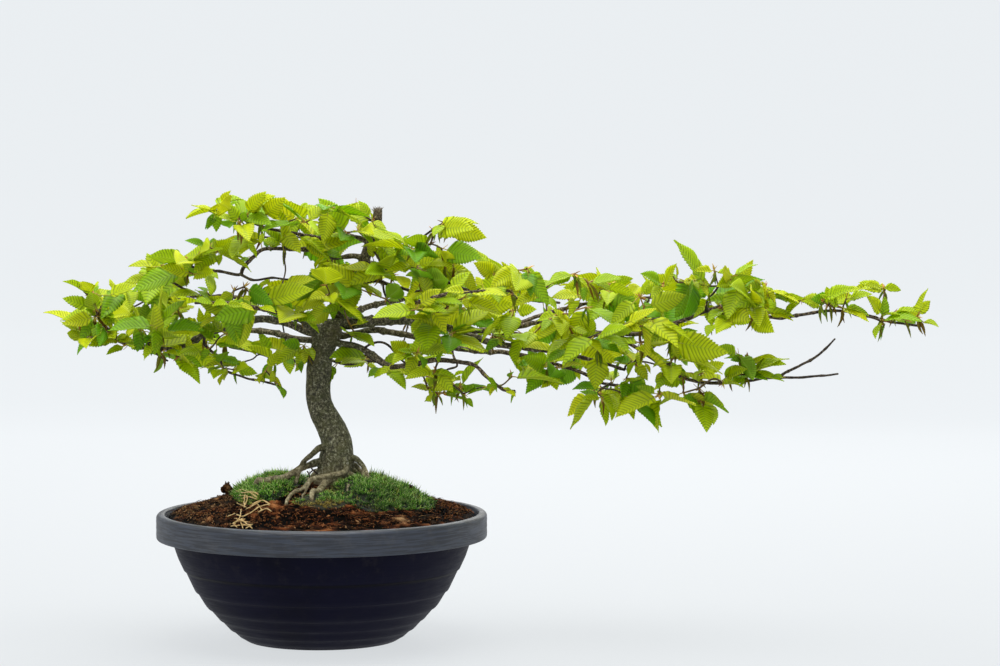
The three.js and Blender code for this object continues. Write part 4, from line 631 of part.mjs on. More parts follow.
    leaves: [[0,3.7,-0.3,-3.3,0.747,-0.063,-0.661,-0.103,-0.995,-0.022,29.2,15.2,0.18,0.27],
      [1,5.6,-2.8,-1.9,0.863,-0.422,-0.278,0.231,-0.161,0.96,48.9,24.5,0.5,0.17],
      [2,-9.5,4.8,9.5,-0.666,0.329,0.67,0.611,-0.275,0.743,30.3,17.1,0.31,0.08],
      [2,0.3,3.7,0.8,0.088,0.975,0.204,-0.167,-0.187,0.968,31.8,17.3,0.47,0.26],
      [3,-0.1,-6.3,-2.7,-0.03,-0.921,-0.39,0.014,-0.391,0.92,38.9,21.3,0.2,0.39],
      [4,4.6,-6.1,-1.1,0.604,-0.786,-0.134,0.35,0.111,0.93,47.5,23.9,0.14,0.33],
      [4,-5.2,-2.6,-2.5,-0.825,-0.407,-0.392,-0.149,-0.513,0.846,47.5,27.4,0.26,0.34],
      [2,2.4,1.5,-2.7,0.564,0.279,-0.777,-0.011,0.944,0.331,20.0,11.4,0.38,0.33],
      [0,-0.8,-2.5,-3.3,-0.199,-0.557,-0.806,0.265,-0.822,0.503,20.0,10.9,0.18,0.34],
      [4,-4.8,1.7,0.9,-0.871,0.354,0.341,0.04,-0.641,0.767,20.0,12.2,0.24,0.31],
      [2,-3.7,2.4,0.2,-0.83,0.541,0.138,-0.248,-0.578,0.777,20.0,10.2,0.68,0.26],
      [0,1.8,-3.0,3.2,0.362,-0.642,0.676,-0.921,-0.36,0.151,20.0,9.6,0.57,0.32],
      [3,-0.5,0.4,3.9,-0.17,0.049,0.984,0.792,-0.587,0.166,32.3,18.4,0.6,0.32]],
  },
  {
    nodes: [[299.9,54.1,295.2,1.06],[328.1,44.6,287.6,1.45],[355.5,34.6,301.5,1.06],[343.9,44.0,302.0,1.17]],
    links: [[-1,1,1.12,1.16,[304.5,21.1,270.5],[304.9,22.8,272.5],[314.4,26.3,280.5],[321.8,32.9,281.4]],[1,3,1.03,0.93,[335.9,45.0,291.1]],[3,2,0.94,0.85,[349.8,39.7,302.0]],[1,0,0.94,0.85]],
    leaves: [[0,-1.0,2.9,-2.5,-0.261,0.722,-0.641,0.071,0.677,0.733,37.2,21.8,0.27,0.18],
      [0,1.0,2.4,-3.0,0.254,0.605,-0.754,0.737,0.384,0.556,35.4,18.0,0.71,0.3],
      [0,1.7,-3.0,-3.0,0.383,-0.647,-0.66,0.738,-0.215,0.639,43.6,24.8,0.6,0.25],
      [1,2.3,-0.4,-2.3,0.696,-0.132,-0.706,0.706,0.309,0.638,35.0,18.9,0.6,0.15],
      [1,-0.4,4.1,-1.0,-0.101,0.969,-0.227,0.672,0.235,0.701,32.1,17.3,0.13,0.2],
      [2,0.1,3.9,-1.6,0.015,0.925,-0.382,0.534,0.315,0.784,40.0,20.4,0.4,0.35],
      [2,1.7,3.6,-3.5,0.313,0.689,-0.653,0.88,-0.47,-0.075,41.6,24.3,0.23,0.18],
      [3,4.8,-3.2,2.0,0.786,-0.522,0.33,-0.323,0.109,0.94,37.7,21.3,0.6,0.33],
      [2,3.5,0.2,1.4,0.967,-0.055,0.248,-0.239,-0.529,0.814,20.0,11.0,0.5,0.36],
      [3,-0.5,1.3,4.4,-0.139,0.279,0.95,0.966,-0.174,0.193,32.2,17.9,0.5,0.22]],
  },
  {
    nodes: [[320.5,-40.1,335.5,1.17],[316.3,-41.2,345.9,1.06],[317.8,-30.4,317.9,1.38],[350.7,-35.2,312.5,1.63],[346.5,-35.0,302.1,1.51],[318.1,-24.0,299.4,1.45],[353.0,-28.0,292.0,1.06],[356.7,-28.2,312.1,1.72],[318.8,-35.9,324.5,1.29]],
    links: [[-1,7,1.53,1.38,[354.0,-26.6,317.0],[355.0,-27.3,314.3]],[7,3,1.34,1.21],[3,4,1.3,1.17],[4,6,0.94,0.85],[4,5,1.21,1.09,[334.4,-34.3,305.1],[329.0,-25.9,302.5]],[5,2,1.16,1.04,[317.4,-26.4,308.0]],[2,8,1.1,0.99],[8,0,1.03,0.93],[0,1,0.94,0.85]],
    leaves: [[0,6.6,-0.6,2.0,0.953,-0.101,0.286,0.108,0.994,-0.007,35.9,19.4,0.34,0.12],
      [1,-6.4,-2.7,-5.8,-0.717,-0.298,-0.631,-0.108,-0.846,0.522,31.1,16.2,0.33,0.25],
      [2,-4.7,-3.1,-1.6,-0.791,-0.536,-0.294,-0.61,0.668,0.426,29.3,15.2,0.48,0.12],
      [3,-6.6,-1.8,0.5,-0.962,-0.263,0.073,0.275,-0.934,0.227,29.3,15.2,0.47,0.24],
      [4,7.9,-4.6,-1.5,0.848,-0.507,-0.153,-0.521,-0.852,-0.056,55.5,27.7,0.38,0.12],
      [5,2.5,-4.4,-2.9,0.439,-0.756,-0.485,0.84,0.155,0.519,26.7,15.3,0.58,0.41],
      [5,2.9,1.4,0.1,0.894,0.446,0.037,0.298,-0.655,0.695,30.6,17.3,0.21,0.36],
      [7,4.8,4.0,-4.8,0.607,0.516,-0.604,0.626,0.156,0.763,47.9,25.8,0.62,0.33],
      [8,0.9,-2.9,-1.3,0.285,-0.87,-0.403,0.095,-0.393,0.915,30.6,16.8,0.16,0.4],
      [8,1.8,3.4,1.1,0.449,0.847,0.283,0.452,-0.489,0.746,31.8,19.0,0.52,0.12],
      [1,2.1,-3.1,2.9,0.461,-0.511,0.725,-0.873,-0.408,0.268,20.0,10.5,0.5,0.12],
      [6,0.8,2.0,3.8,0.075,0.506,0.86,-0.028,-0.861,0.509,20.2,11.4,0.46,0.41],
      [1,4.3,0.9,2.3,0.827,0.197,0.527,-0.431,0.823,0.37,20.0,10.3,0.69,0.33],
      [7,3.3,-0.7,-1.2,0.865,-0.212,-0.455,0.413,-0.213,0.885,20.0,12.3,0.38,0.3],
      [5,-4.1,1.1,-0.3,-0.988,0.152,-0.035,-0.076,-0.272,0.959,28.5,17.4,0.16,0.33]],
  },
  {
    nodes: [[338.5,-49.2,358.5,1.06],[380.5,-52.1,356.7,1.29],[389.0,-51.2,371.7,1.06],[405.2,-48.3,366.0,1.06],[393.4,-44.6,356.4,1.57],[367.7,-40.3,362.2,1.17]],
    links: [[-1,4,1.41,1.26,[382.8,-31.2,333.3],[382.2,-32.7,335.6],[383.7,-34.0,342.2],[390.4,-40.1,350.8]],[4,1,1.1,0.99,[387.8,-49.3,356.6]],[4,3,0.94,0.85,[398.5,-47.2,363.6]],[4,2,0.94,0.85,[390.8,-45.5,365.6]],[1,5,1.03,0.93,[374.9,-44.4,358.7]],[5,0,0.94,0.85,[354.0,-40.9,359.9],[346.0,-45.9,368.2]]],
    leaves: [[0,-2.7,-2.5,1.3,-0.691,-0.643,0.33,0.706,-0.505,0.497,29.3,15.2,0.47,0.22],
      [0,2.5,-2.7,-2.3,0.347,-0.501,0.792,-0.894,-0.435,0.117,29.1,15.2,0.15,0.24],
      [1,-2.8,-1.3,3.9,-0.564,-0.254,0.785,0.778,-0.481,0.404,52.1,26.2,0.33,0.12],
      [2,-2.8,-1.6,0.1,-0.87,-0.493,0.02,0.359,-0.605,0.711,20.4,10.6,0.25,0.52],
      [3,-2.0,-3.1,-1.2,-0.526,-0.797,-0.299,0.722,-0.603,0.337,26.2,13.7,0.29,0.28],
      [3,-0.3,-5.2,-1.5,-0.347,-0.848,0.401,-0.928,0.375,-0.009,27.7,15.5,0.22,0.21],
      [4,4.7,0.4,0.9,0.974,0.09,0.205,-0.216,0.62,0.754,35.1,18.3,0.26,0.15],
      [5,0.3,3.9,-2.9,0.071,0.801,-0.594,0.113,0.586,0.803,43.6,25.3,0.7,0.41],
      [5,-1.3,2.5,-3.4,-0.292,0.558,-0.778,0.635,0.72,0.279,45.3,27.0,0.64,0.17],
      [5,-1.3,-3.7,-3.7,-0.233,-0.684,-0.691,0.928,-0.369,0.052,46.3,27.2,0.53,0.38],
      [3,4.5,-0.0,1.8,0.907,-0.06,0.416,-0.413,-0.309,0.857,24.0,11.9,0.63,0.18],
      [2,3.7,1.8,-1.5,0.88,0.346,-0.326,0.452,-0.395,0.8,20.0,10.1,0.51,0.37],
      [0,-2.1,-3.4,-2.0,-0.522,-0.654,-0.547,-0.035,-0.624,0.78,20.0,10.1,0.63,0.15]],
  },
  {
    nodes: [[360.7,-14.7,248.6,1.29],[377.0,-10.5,252.9,1.38],[361.1,-7.2,261.2,1.17],[425.3,-16.2,282.6,1.17],[422.3,-15.1,267.3,1.29],[400.9,-10.8,258.3,1.51],[380.8,15.2,265.7,1.06],[415.9,-18.3,287.0,1.06],[379.1,-10.7,240.9,1.06],[408.4,-3.6,263.7,1.77]],
    links: [[-1,9,1.37,1.42,[408.9,-3.4,260.8],[408.6,-3.6,263.6]],[9,5,1.26,1.13],[9,4,1.1,0.99,[415.5,-10.1,266.2]],[4,3,1.03,0.93,[425.6,-14.7,273.6]],[3,7,0.94,0.85],[5,1,1.21,1.09,[391.5,-6.7,262.2]],[1,8,0.94,0.85],[1,0,1.1,0.99],[0,2,1.03,0.93,[361.8,-11.4,253.1]],[2,6,0.94,0.85,[368.4,1.7,267.3],[375.9,8.7,265.1]]],
    leaves: [[0,3.1,0.9,-4.0,0.633,0.196,-0.749,0.683,-0.597,0.422,35.7,18.2,0.44,0.11],
      [1,4.6,2.4,-3.9,0.698,0.382,-0.607,0.565,0.229,0.792,31.5,16.3,0.27,0.29],
      [2,-3.4,-2.0,0.0,-0.862,-0.507,-0.0,0.468,-0.795,0.387,29.1,15.2,0.23,0.24],
      [3,4.2,1.9,-0.4,0.905,0.412,-0.107,-0.078,0.408,0.91,34.8,18.0,0.37,0.24],
      [3,-2.2,0.7,4.2,-0.044,0.625,-0.78,0.918,-0.28,-0.277,23.9,12.4,0.34,0.55],
      [4,5.7,-1.5,-1.0,0.958,-0.235,-0.157,0.081,-0.306,0.949,33.8,17.5,0.51,0.25],
      [5,2.0,-3.0,-0.4,0.538,-0.839,-0.075,0.343,0.134,0.93,30.0,15.5,0.55,0.16],
      [5,3.5,-2.8,6.3,0.633,-0.707,0.316,-0.753,-0.466,0.465,29.2,15.2,0.41,0.25],
      [6,-0.2,6.4,1.0,-0.024,0.988,0.157,0.584,-0.113,0.805,47.0,26.1,0.6,0.18],
      [6,-4.7,2.7,-1.9,-0.814,0.477,-0.331,-0.203,0.3,0.932,49.6,25.8,0.51,0.2],
      [7,1.3,-3.2,-2.5,0.311,-0.743,-0.592,0.757,0.57,-0.318,34.2,17.4,0.3,0.35],
      [8,1.9,3.2,-3.7,0.379,0.607,-0.699,0.519,0.486,0.704,32.7,17.2,0.68,0.29],
      [8,1.3,3.0,-0.2,0.38,0.922,-0.069,0.92,-0.37,0.127,34.8,18.7,0.63,0.22],
      [9,1.5,2.8,0.3,0.465,0.882,0.078,0.589,-0.374,0.717,31.2,16.9,0.15,0.08],
      [6,2.9,1.6,1.8,0.895,0.253,0.368,0.122,-0.931,0.343,23.3,12.8,0.21,0.22],
      [7,-3.2,-1.1,1.7,-0.834,-0.39,0.39,0.537,-0.737,0.412,20.0,12.3,0.31,0.15],
      [4,3.7,-1.1,1.2,0.92,-0.166,0.357,-0.381,-0.141,0.914,42.8,21.2,0.53,0.11],
      [1,-0.4,2.1,-4.1,-0.119,0.443,-0.888,0.635,0.722,0.275,20.0,11.1,0.17,0.1],
      [5,4.9,-0.4,0.5,0.952,-0.258,0.162,-0.271,-0.474,0.838,20.0,10.9,0.15,0.11],
      [6,-1.9,-0.8,3.4,-0.453,-0.226,0.862,0.85,0.182,0.495,20.0,10.5,0.69,0.15],
      [8,0.3,-3.3,-3.7,0.114,-0.615,-0.781,0.384,-0.698,0.605,33.4,20.1,0.51,0.13],
      [6,0.6,-1.9,3.5,0.08,-0.409,0.909,0.666,0.7,0.257,20.0,9.9,0.14,0.1],
      [0,-3.8,-0.7,-1.3,-0.878,-0.069,-0.472,-0.461,0.383,0.8,24.7,14.6,0.15,0.28],
      [8,-3.7,-2.7,0.3,-0.786,-0.597,0.164,0.595,-0.656,0.464,20.0,11.7,0.24,0.26],
      [3,-3.8,-0.5,-0.1,-0.989,-0.142,0.052,-0.012,0.415,0.91,20.0,11.7,0.32,0.27]],
  },
  {
    nodes: [[376.7,54.3,341.1,1.29],[394.7,37.9,317.1,1.17],[448.1,54.6,341.4,1.06],[383.6,63.8,354.0,1.45]],
    links: [[-1,3,0.96,1.16,[384.4,84.8,339.7],[384.8,82.8,341.5],[385.5,72.3,346.9]],[3,0,1.1,0.99,[378.9,59.9,346.8]],[0,1,1.03,0.93,[380.3,51.2,331.4],[388.1,43.3,325.1]],[1,2,0.94,0.85]],
    leaves: [[0,-2.8,-1.3,-3.1,-0.647,-0.287,-0.707,-0.437,-0.62,0.651,46.2,26.8,0.16,0.18],
      [0,2.7,-0.9,1.3,0.859,-0.279,0.429,-0.454,-0.803,0.385,20.8,10.5,0.35,0.09],
      [0,0.4,-3.1,1.0,0.13,-0.941,0.313,-0.061,0.308,0.95,39.5,22.6,0.57,0.31],
      [1,3.4,3.0,1.1,0.735,0.638,0.23,-0.677,0.706,0.206,38.0,19.5,0.15,0.18],
      [2,-0.1,5.0,-0.1,-0.019,0.999,-0.017,0.011,0.017,1.0,32.8,18.3,0.39,0.32],
      [2,3.8,3.5,-0.8,0.724,0.671,-0.161,0.037,0.195,0.98,35.1,17.8,0.5,0.35],
      [3,2.7,0.2,-3.4,0.625,0.05,-0.779,0.769,-0.212,0.603,52.0,26.7,0.14,0.21],
      [3,-1.4,4.4,0.3,-0.308,0.949,0.066,0.762,0.204,0.615,32.1,16.7,0.71,0.08],
      [1,-1.5,-3.4,-2.9,-0.319,-0.748,-0.581,-0.258,-0.521,0.813,20.0,11.0,0.57,0.25]],
  },
  {
    nodes: [[388.0,-13.3,341.8,1.06],[397.4,-40.4,334.7,1.24],[429.1,-38.6,330.6,1.81],[439.4,-40.9,354.4,1.06],[444.3,-39.7,346.1,1.24],[476.1,-32.0,341.6,1.06],[440.6,-36.8,331.3,1.38],[426.5,-43.6,337.8,1.51],[403.3,-50.4,324.0,1.06],[411.0,-33.5,343.5,1.38],[414.3,-37.1,357.2,1.06]],
    links: [[-1,2,1.6,1.45,[427.6,-32.3,331.1],[427.9,-35.2,331.0]],[2,7,1.26,1.13],[2,6,1.16,1.04],[6,4,1.1,0.99,[442.3,-38.8,340.3]],[4,3,0.94,0.85],[7,9,1.21,1.09,[418.4,-40.5,343.2]],[9,10,0.94,0.85,[413.2,-31.0,351.5]],[9,1,1.1,0.99,[405.1,-35.2,338.9]],[1,8,0.94,0.85,[400.3,-42.8,329.4]],[1,0,0.94,0.85,[394.6,-31.4,339.2],[390.5,-22.9,340.8]],[4,5,0.94,0.85,[455.1,-40.3,347.6],[463.1,-38.9,341.3]]],
    leaves: [[0,6.2,1.0,2.2,0.929,0.169,0.33,-0.173,-0.586,0.792,51.3,25.6,0.37,0.24],
      [1,3.4,-3.1,-1.4,0.701,-0.649,-0.294,-0.537,-0.752,0.381,32.9,20.7,0.29,0.19],
      [2,3.1,-7.3,-3.3,0.364,-0.846,-0.389,-0.818,-0.49,0.302,37.1,22.6,0.43,0.22],
      [3,5.3,-2.3,-2.4,0.847,-0.381,-0.37,0.305,-0.219,0.926,31.2,16.2,0.31,0.13],
      [4,2.5,-1.9,-0.9,0.783,-0.563,-0.263,0.543,0.413,0.732,17.4,9.0,0.45,0.68],
      [5,-1.9,-1.9,-1.9,-0.556,-0.581,-0.594,-0.472,-0.368,0.801,23.9,12.4,0.39,0.55],
      [6,3.3,-0.9,-0.6,0.951,-0.254,-0.174,0.284,0.508,0.813,25.6,13.3,0.26,0.33],
      [7,-0.8,-7.5,3.1,-0.097,-0.924,0.371,0.817,0.139,0.559,35.8,19.3,0.6,0.4],
      [7,0.4,-3.0,-1.9,0.122,-0.832,-0.541,0.064,-0.537,0.841,34.4,18.5,0.4,0.39],
      [7,-2.0,-3.6,1.8,-0.456,-0.805,0.379,0.822,-0.216,0.528,49.9,27.6,0.57,0.26],
      [8,-2.3,-4.7,-1.9,-0.4,-0.849,-0.347,0.282,-0.473,0.835,31.2,16.6,0.54,0.19],
      [9,3.6,2.8,-2.7,0.687,0.526,-0.502,-0.052,0.724,0.688,44.4,22.4,0.65,0.19],
      [9,2.2,6.3,1.2,0.325,0.928,0.183,0.893,-0.365,0.264,38.4,22.6,0.74,0.08],
      [10,-1.7,-2.9,-4.2,-0.308,-0.541,-0.783,-0.216,-0.762,0.611,36.6,19.7,0.26,0.09],
      [0,0.5,-0.7,-5.0,0.005,-0.25,-0.968,-0.416,-0.881,0.225,21.2,13.0,0.24,0.21],
      [2,1.8,3.0,1.4,0.433,0.793,0.428,0.568,-0.609,0.554,46.5,26.1,0.63,0.18],
      [4,4.8,1.2,-0.6,0.951,0.257,-0.172,0.124,0.19,0.973,41.0,23.1,0.15,0.3],
      [0,-1.9,4.2,-1.4,-0.428,0.808,-0.404,-0.773,-0.56,-0.299,21.4,11.2,0.59,0.24],
      [9,3.9,-0.5,2.5,0.909,-0.024,0.416,-0.406,-0.281,0.87,21.5,11.8,0.19,0.33],
      [3,-3.3,-2.7,0.3,-0.829,-0.557,0.053,-0.485,0.763,0.428,20.0,11.7,0.3,0.15]],
  },
  {
    nodes: [[498.0,-27.6,340.6,1.06],[521.7,-22.5,342.7,1.06],[562.2,-7.9,352.0,1.06],[558.5,-17.7,328.6,1.45],[518.2,-24.2,333.9,1.38],[569.4,-15.2,328.4,1.38],[593.9,-11.9,325.0,1.17],[582.1,-14.2,321.9,1.29],[557.6,-18.6,320.4,1.85],[506.4,-19.5,344.1,1.06],[504.1,-23.1,336.2,1.24],[590.9,-1.5,325.9,1.06]],
    links: [[-1,8,1.12,1.48,[555.5,-11.8,322.1],[555.9,-14.5,321.6]],[8,3,1.26,1.13],[3,5,1.16,1.04],[5,7,1.1,0.99,[577.2,-14.2,324.2]],[7,6,1.03,0.93],[6,11,0.94,0.85],[3,2,0.94,0.85,[559.4,-14.2,339.8]],[8,4,1.21,1.09,[545.7,-20.8,324.6],[532.3,-18.6,326.2]],[4,1,0.94,0.85],[4,10,1.1,0.99,[510.0,-23.6,335.5]],[10,0,0.94,0.85],[10,9,0.94,0.85]],
    leaves: [[0,-3.3,5.2,-0.1,-0.54,0.84,0.011,0.834,0.535,0.142,29.1,15.2,0.26,0.27],
      [0,4.2,-3.4,3.9,0.771,-0.542,0.335,-0.626,-0.545,0.559,30.9,16.1,0.27,0.34],
      [1,4.0,-2.7,1.0,0.821,-0.539,0.189,-0.507,-0.535,0.676,23.8,12.4,0.3,0.28],
      [2,-5.2,-4.5,1.2,-0.74,-0.645,0.194,0.603,-0.506,0.616,22.9,11.9,0.43,0.16],
      [2,-1.4,-3.6,1.3,0.938,0.302,-0.166,0.339,-0.894,0.293,18.4,9.5,0.5,0.52],
      [3,-2.7,-3.2,2.6,-0.547,-0.66,0.515,0.801,-0.592,0.092,29.1,15.2,0.19,0.12],
      [4,3.0,-0.8,-0.9,0.926,-0.254,-0.279,0.135,-0.466,0.874,23.9,12.4,0.33,0.6],
      [5,2.8,-1.7,0.2,0.853,-0.517,0.068,-0.241,-0.276,0.93,23.8,12.4,0.26,0.66],
      [6,1.4,-4.5,5.5,0.185,-0.641,0.746,-0.786,0.359,0.502,30.5,15.9,0.26,0.31],
      [6,6.0,-1.4,-5.9,0.75,-0.621,-0.231,-0.001,-0.35,0.937,18.0,9.4,0.39,0.54],
      [7,-1.7,2.7,-0.3,-0.534,0.843,-0.08,-0.454,-0.205,0.866,24.0,12.4,0.49,0.25],
      [8,-1.4,-2.7,-2.7,-0.318,-0.675,-0.666,-0.694,-0.313,0.649,20.6,10.6,0.47,0.23],
      [9,3.7,-2.9,1.2,0.76,-0.604,0.24,-0.483,-0.277,0.831,31.5,15.9,0.48,0.18],
      [10,5.3,5.1,1.6,0.722,0.655,0.222,0.348,-0.621,0.702,30.6,16.4,0.62,0.22],
      [11,-1.8,7.6,-1.6,-0.24,0.942,-0.237,0.736,0.336,0.588,36.1,18.3,0.23,0.12],
      [2,-3.5,-1.2,1.2,-0.933,-0.282,0.223,0.339,-0.486,0.805,25.1,13.9,0.16,0.1],
      [7,3.1,2.7,2.9,0.77,0.37,0.519,0.326,-0.928,0.178,20.0,11.2,0.63,0.22],
      [8,1.3,-0.4,4.6,0.084,0.075,0.994,0.29,-0.956,0.048,20.0,10.2,0.24,0.25],
      [4,-4.5,-1.2,2.2,-0.785,-0.404,0.469,0.619,-0.516,0.592,24.5,12.9,0.12,0.19],
      [11,3.7,2.4,2.2,0.737,0.38,0.559,0.401,-0.912,0.092,20.0,11.6,0.52,0.41],
      [2,-4.7,0.8,0.6,-0.969,0.239,-0.055,-0.172,-0.499,0.849,20.0,11.8,0.31,0.41],
      [3,4.1,-1.4,-0.9,0.889,-0.451,-0.078,0.031,-0.111,0.993,20.0,11.1,0.38,0.2],
      [9,-4.2,-3.0,0.1,-0.833,-0.55,-0.056,0.55,-0.835,0.007,20.0,11.9,0.6,0.17]],
  },
];
// ---- small vector helpers
const add = (a, b) => [a[0] + b[0], a[1] + b[1], a[2] + b[2]];
const sub = (a, b) => [a[0] - b[0], a[1] - b[1], a[2] - b[2]];
const mul = (a, k) => [a[0] * k, a[1] * k, a[2] * k];
const dot = (a, b) => a[0] * b[0] + a[1] * b[1] + a[2] * b[2];
const cross = (a, b) => [a[1] * b[2] - a[2] * b[1], a[2] * b[0] - a[0] * b[2], a[0] * b[1] - a[1] * b[0]];
const len = (a) => Math.hypot(a[0], a[1], a[2]);
const unit = (a) => mul(a, 1 / len(a));
const lerp = (a, b, k) => a + (b - a) * k;
function table(rows, x) {
  if (x <= rows[0][0]) return rows[0][1];
  for (let i = 1; i < rows.length; i++)
    if (x <= rows[i][0])
      return lerp(rows[i - 1][1], rows[i][1], (x - rows[i - 1][0]) / (rows[i][0] - rows[i - 1][0]));
  return rows[rows.length - 1][1];
}

function solid(vertices, faces) {
  return new wasm.Manifold(
    new wasm.Mesh({
      numProp: 3,
      vertProperties: new Float32Array(vertices.flat()),
      triVerts: new Uint32Array(faces.flat()),
    }),
  );
}
function solidOfGeometry(geometry) {
  const g = geometry.clone();
  g.deleteAttribute("normal");
  g.deleteAttribute("uv");
  const m = mergeVertices(g, 1e-3);
  return new wasm.Manifold(
    new wasm.Mesh({ numProp: 3, vertProperties: m.attributes.position.array, triVerts: new Uint32Array(m.index.array) }),
  );
}
function geometryOf(manifold) {
  const m = manifold.getMesh();
  const g = new THREE.BufferGeometry();
  g.setAttribute("position", new THREE.BufferAttribute(Float32Array.from(m.vertProperties), 3));
  g.setIndex(new THREE.BufferAttribute(Uint32Array.from(m.triVerts), 1));
  g.computeVertexNormals();
  return g;
}
function geometryOfFaces(vertices, faces) {
  const g = new THREE.BufferGeometry();
  g.setAttribute("position", new THREE.BufferAttribute(new Float32Array(vertices.flat()), 3));
  g.setIndex(faces.flat());
  g.computeVertexNormals();
  return g;
}

// a tube of a given number of sides along rows of x, y, z, radius, optionally grown all over
function tube(rows, sides, phase, grow) {
  const P = rows.map((r) => r.slice(0, 3)), R = rows.map((r) => r[3] + grow), n = P.length, T = [];
  for (let i = 0; i < n; i++) {
    if (i === 0) T.push(unit(sub(P[1], P[0])));
    else if (i === n - 1) T.push(unit(sub(P[n - 1], P[n - 2])));
    else T.push(unit(add(unit(sub(P[i], P[i - 1])), unit(sub(P[i + 1], P[i])))));
  }
  P[0] = sub(P[0], mul(T[0], grow));
  P[n - 1] = add(P[n - 1], mul(T[n - 1], grow));
  let u = cross(T[0], [0, 0, 1]);
  if (len(u) < 0.2) u = cross(T[0], [1, 0, 0]);
  u = unit(u);
  const V = [], F = [];
  for (let i = 0; i < n; i++) {
    u = unit(sub(u, mul(T[i], dot(u, T[i]))));
    const v = cross(T[i], u);
    for (let k = 0; k < sides; k++) {
      const a = (2 * Math.PI * k) / sides + phase;
      V.push(add(P[i], add(mul(u, R[i] * Math.cos(a)), mul(v, R[i] * Math.sin(a)))));
    }
  }
  for (let i = 0; i < n - 1; i++)
    for (let k = 0; k < sides; k++) {
      const a = i * sides + k, b = i * sides + ((k + 1) % sides), c = a + sides, d = b + sides;
      F.push([a, b, d], [a, d, c]);
    }
  const o = (n - 1) * sides;
  for (let k = 1; k < sides - 1; k++) F.push([0, k + 1, k], [o, o + k, o + k + 1]);
  return solid(V, F);
}

// ---- leafy sprays: twigs with an eight-faced knot at each node, a shoot or a leaf growing out of a face of it
const HALF_WIDTH = [[0, 0], [0.04, 0.3], [0.1, 0.62], [0.2, 0.88], [0.33, 1], [0.45, 0.98], [0.6, 0.84], [0.74, 0.62], [0.86, 0.36], [0.94, 0.16], [1, 0]];
const KNOT = [[1, 0, 0], [-1, 0, 0], [0, 1, 0], [0, -1, 0], [0, 0, 1], [0, 0, -1]];
const KNOT_FACES = [[0, 2, 4], [2, 1, 4], [1, 3, 4], [3, 0, 4], [2, 0, 5], [1, 2, 5], [3, 1, 5], [0, 3, 5]];
const KNOT_NORMALS = KNOT_FACES.map((f) => unit(add(add(KNOT[f[0]], KNOT[f[1]]), KNOT[f[2]])));

function leafFrame(row, node) {
  const b = add(node, row.slice(1, 4)), c = unit(row.slice(4, 7));
  let n = row.slice(7, 10);
  n = unit(sub(n, mul(c, dot(n, c))));
  const [L, W, D0, fold] = row.slice(10, 14), h = D0 / 2, D = Math.max(D0, 1e-4);
  const d0 = add(mul(c, Math.cos(h)), mul(n, Math.sin(h))), n0 = sub(mul(n, Math.cos(h)), mul(c, Math.sin(h)));
  const s = cross(n0, d0);
  const normal = (t) => add(mul(n0, Math.cos(D * t)), mul(d0, Math.sin(D * t)));
  const at = (t, w) => {
    const half = ((w * W) / 2) * table(HALF_WIDTH, t);
    const mid = add(b, sub(mul(d0, (L * Math.sin(D * t)) / D), mul(n0, (L * (1 - Math.cos(D * t))) / D)));
    return add(mid, add(mul(s, half * Math.cos(fold)), mul(normal(t), Math.abs(half) * Math.sin(fold))));
  };
  return { b, c, L, at, normal };
}

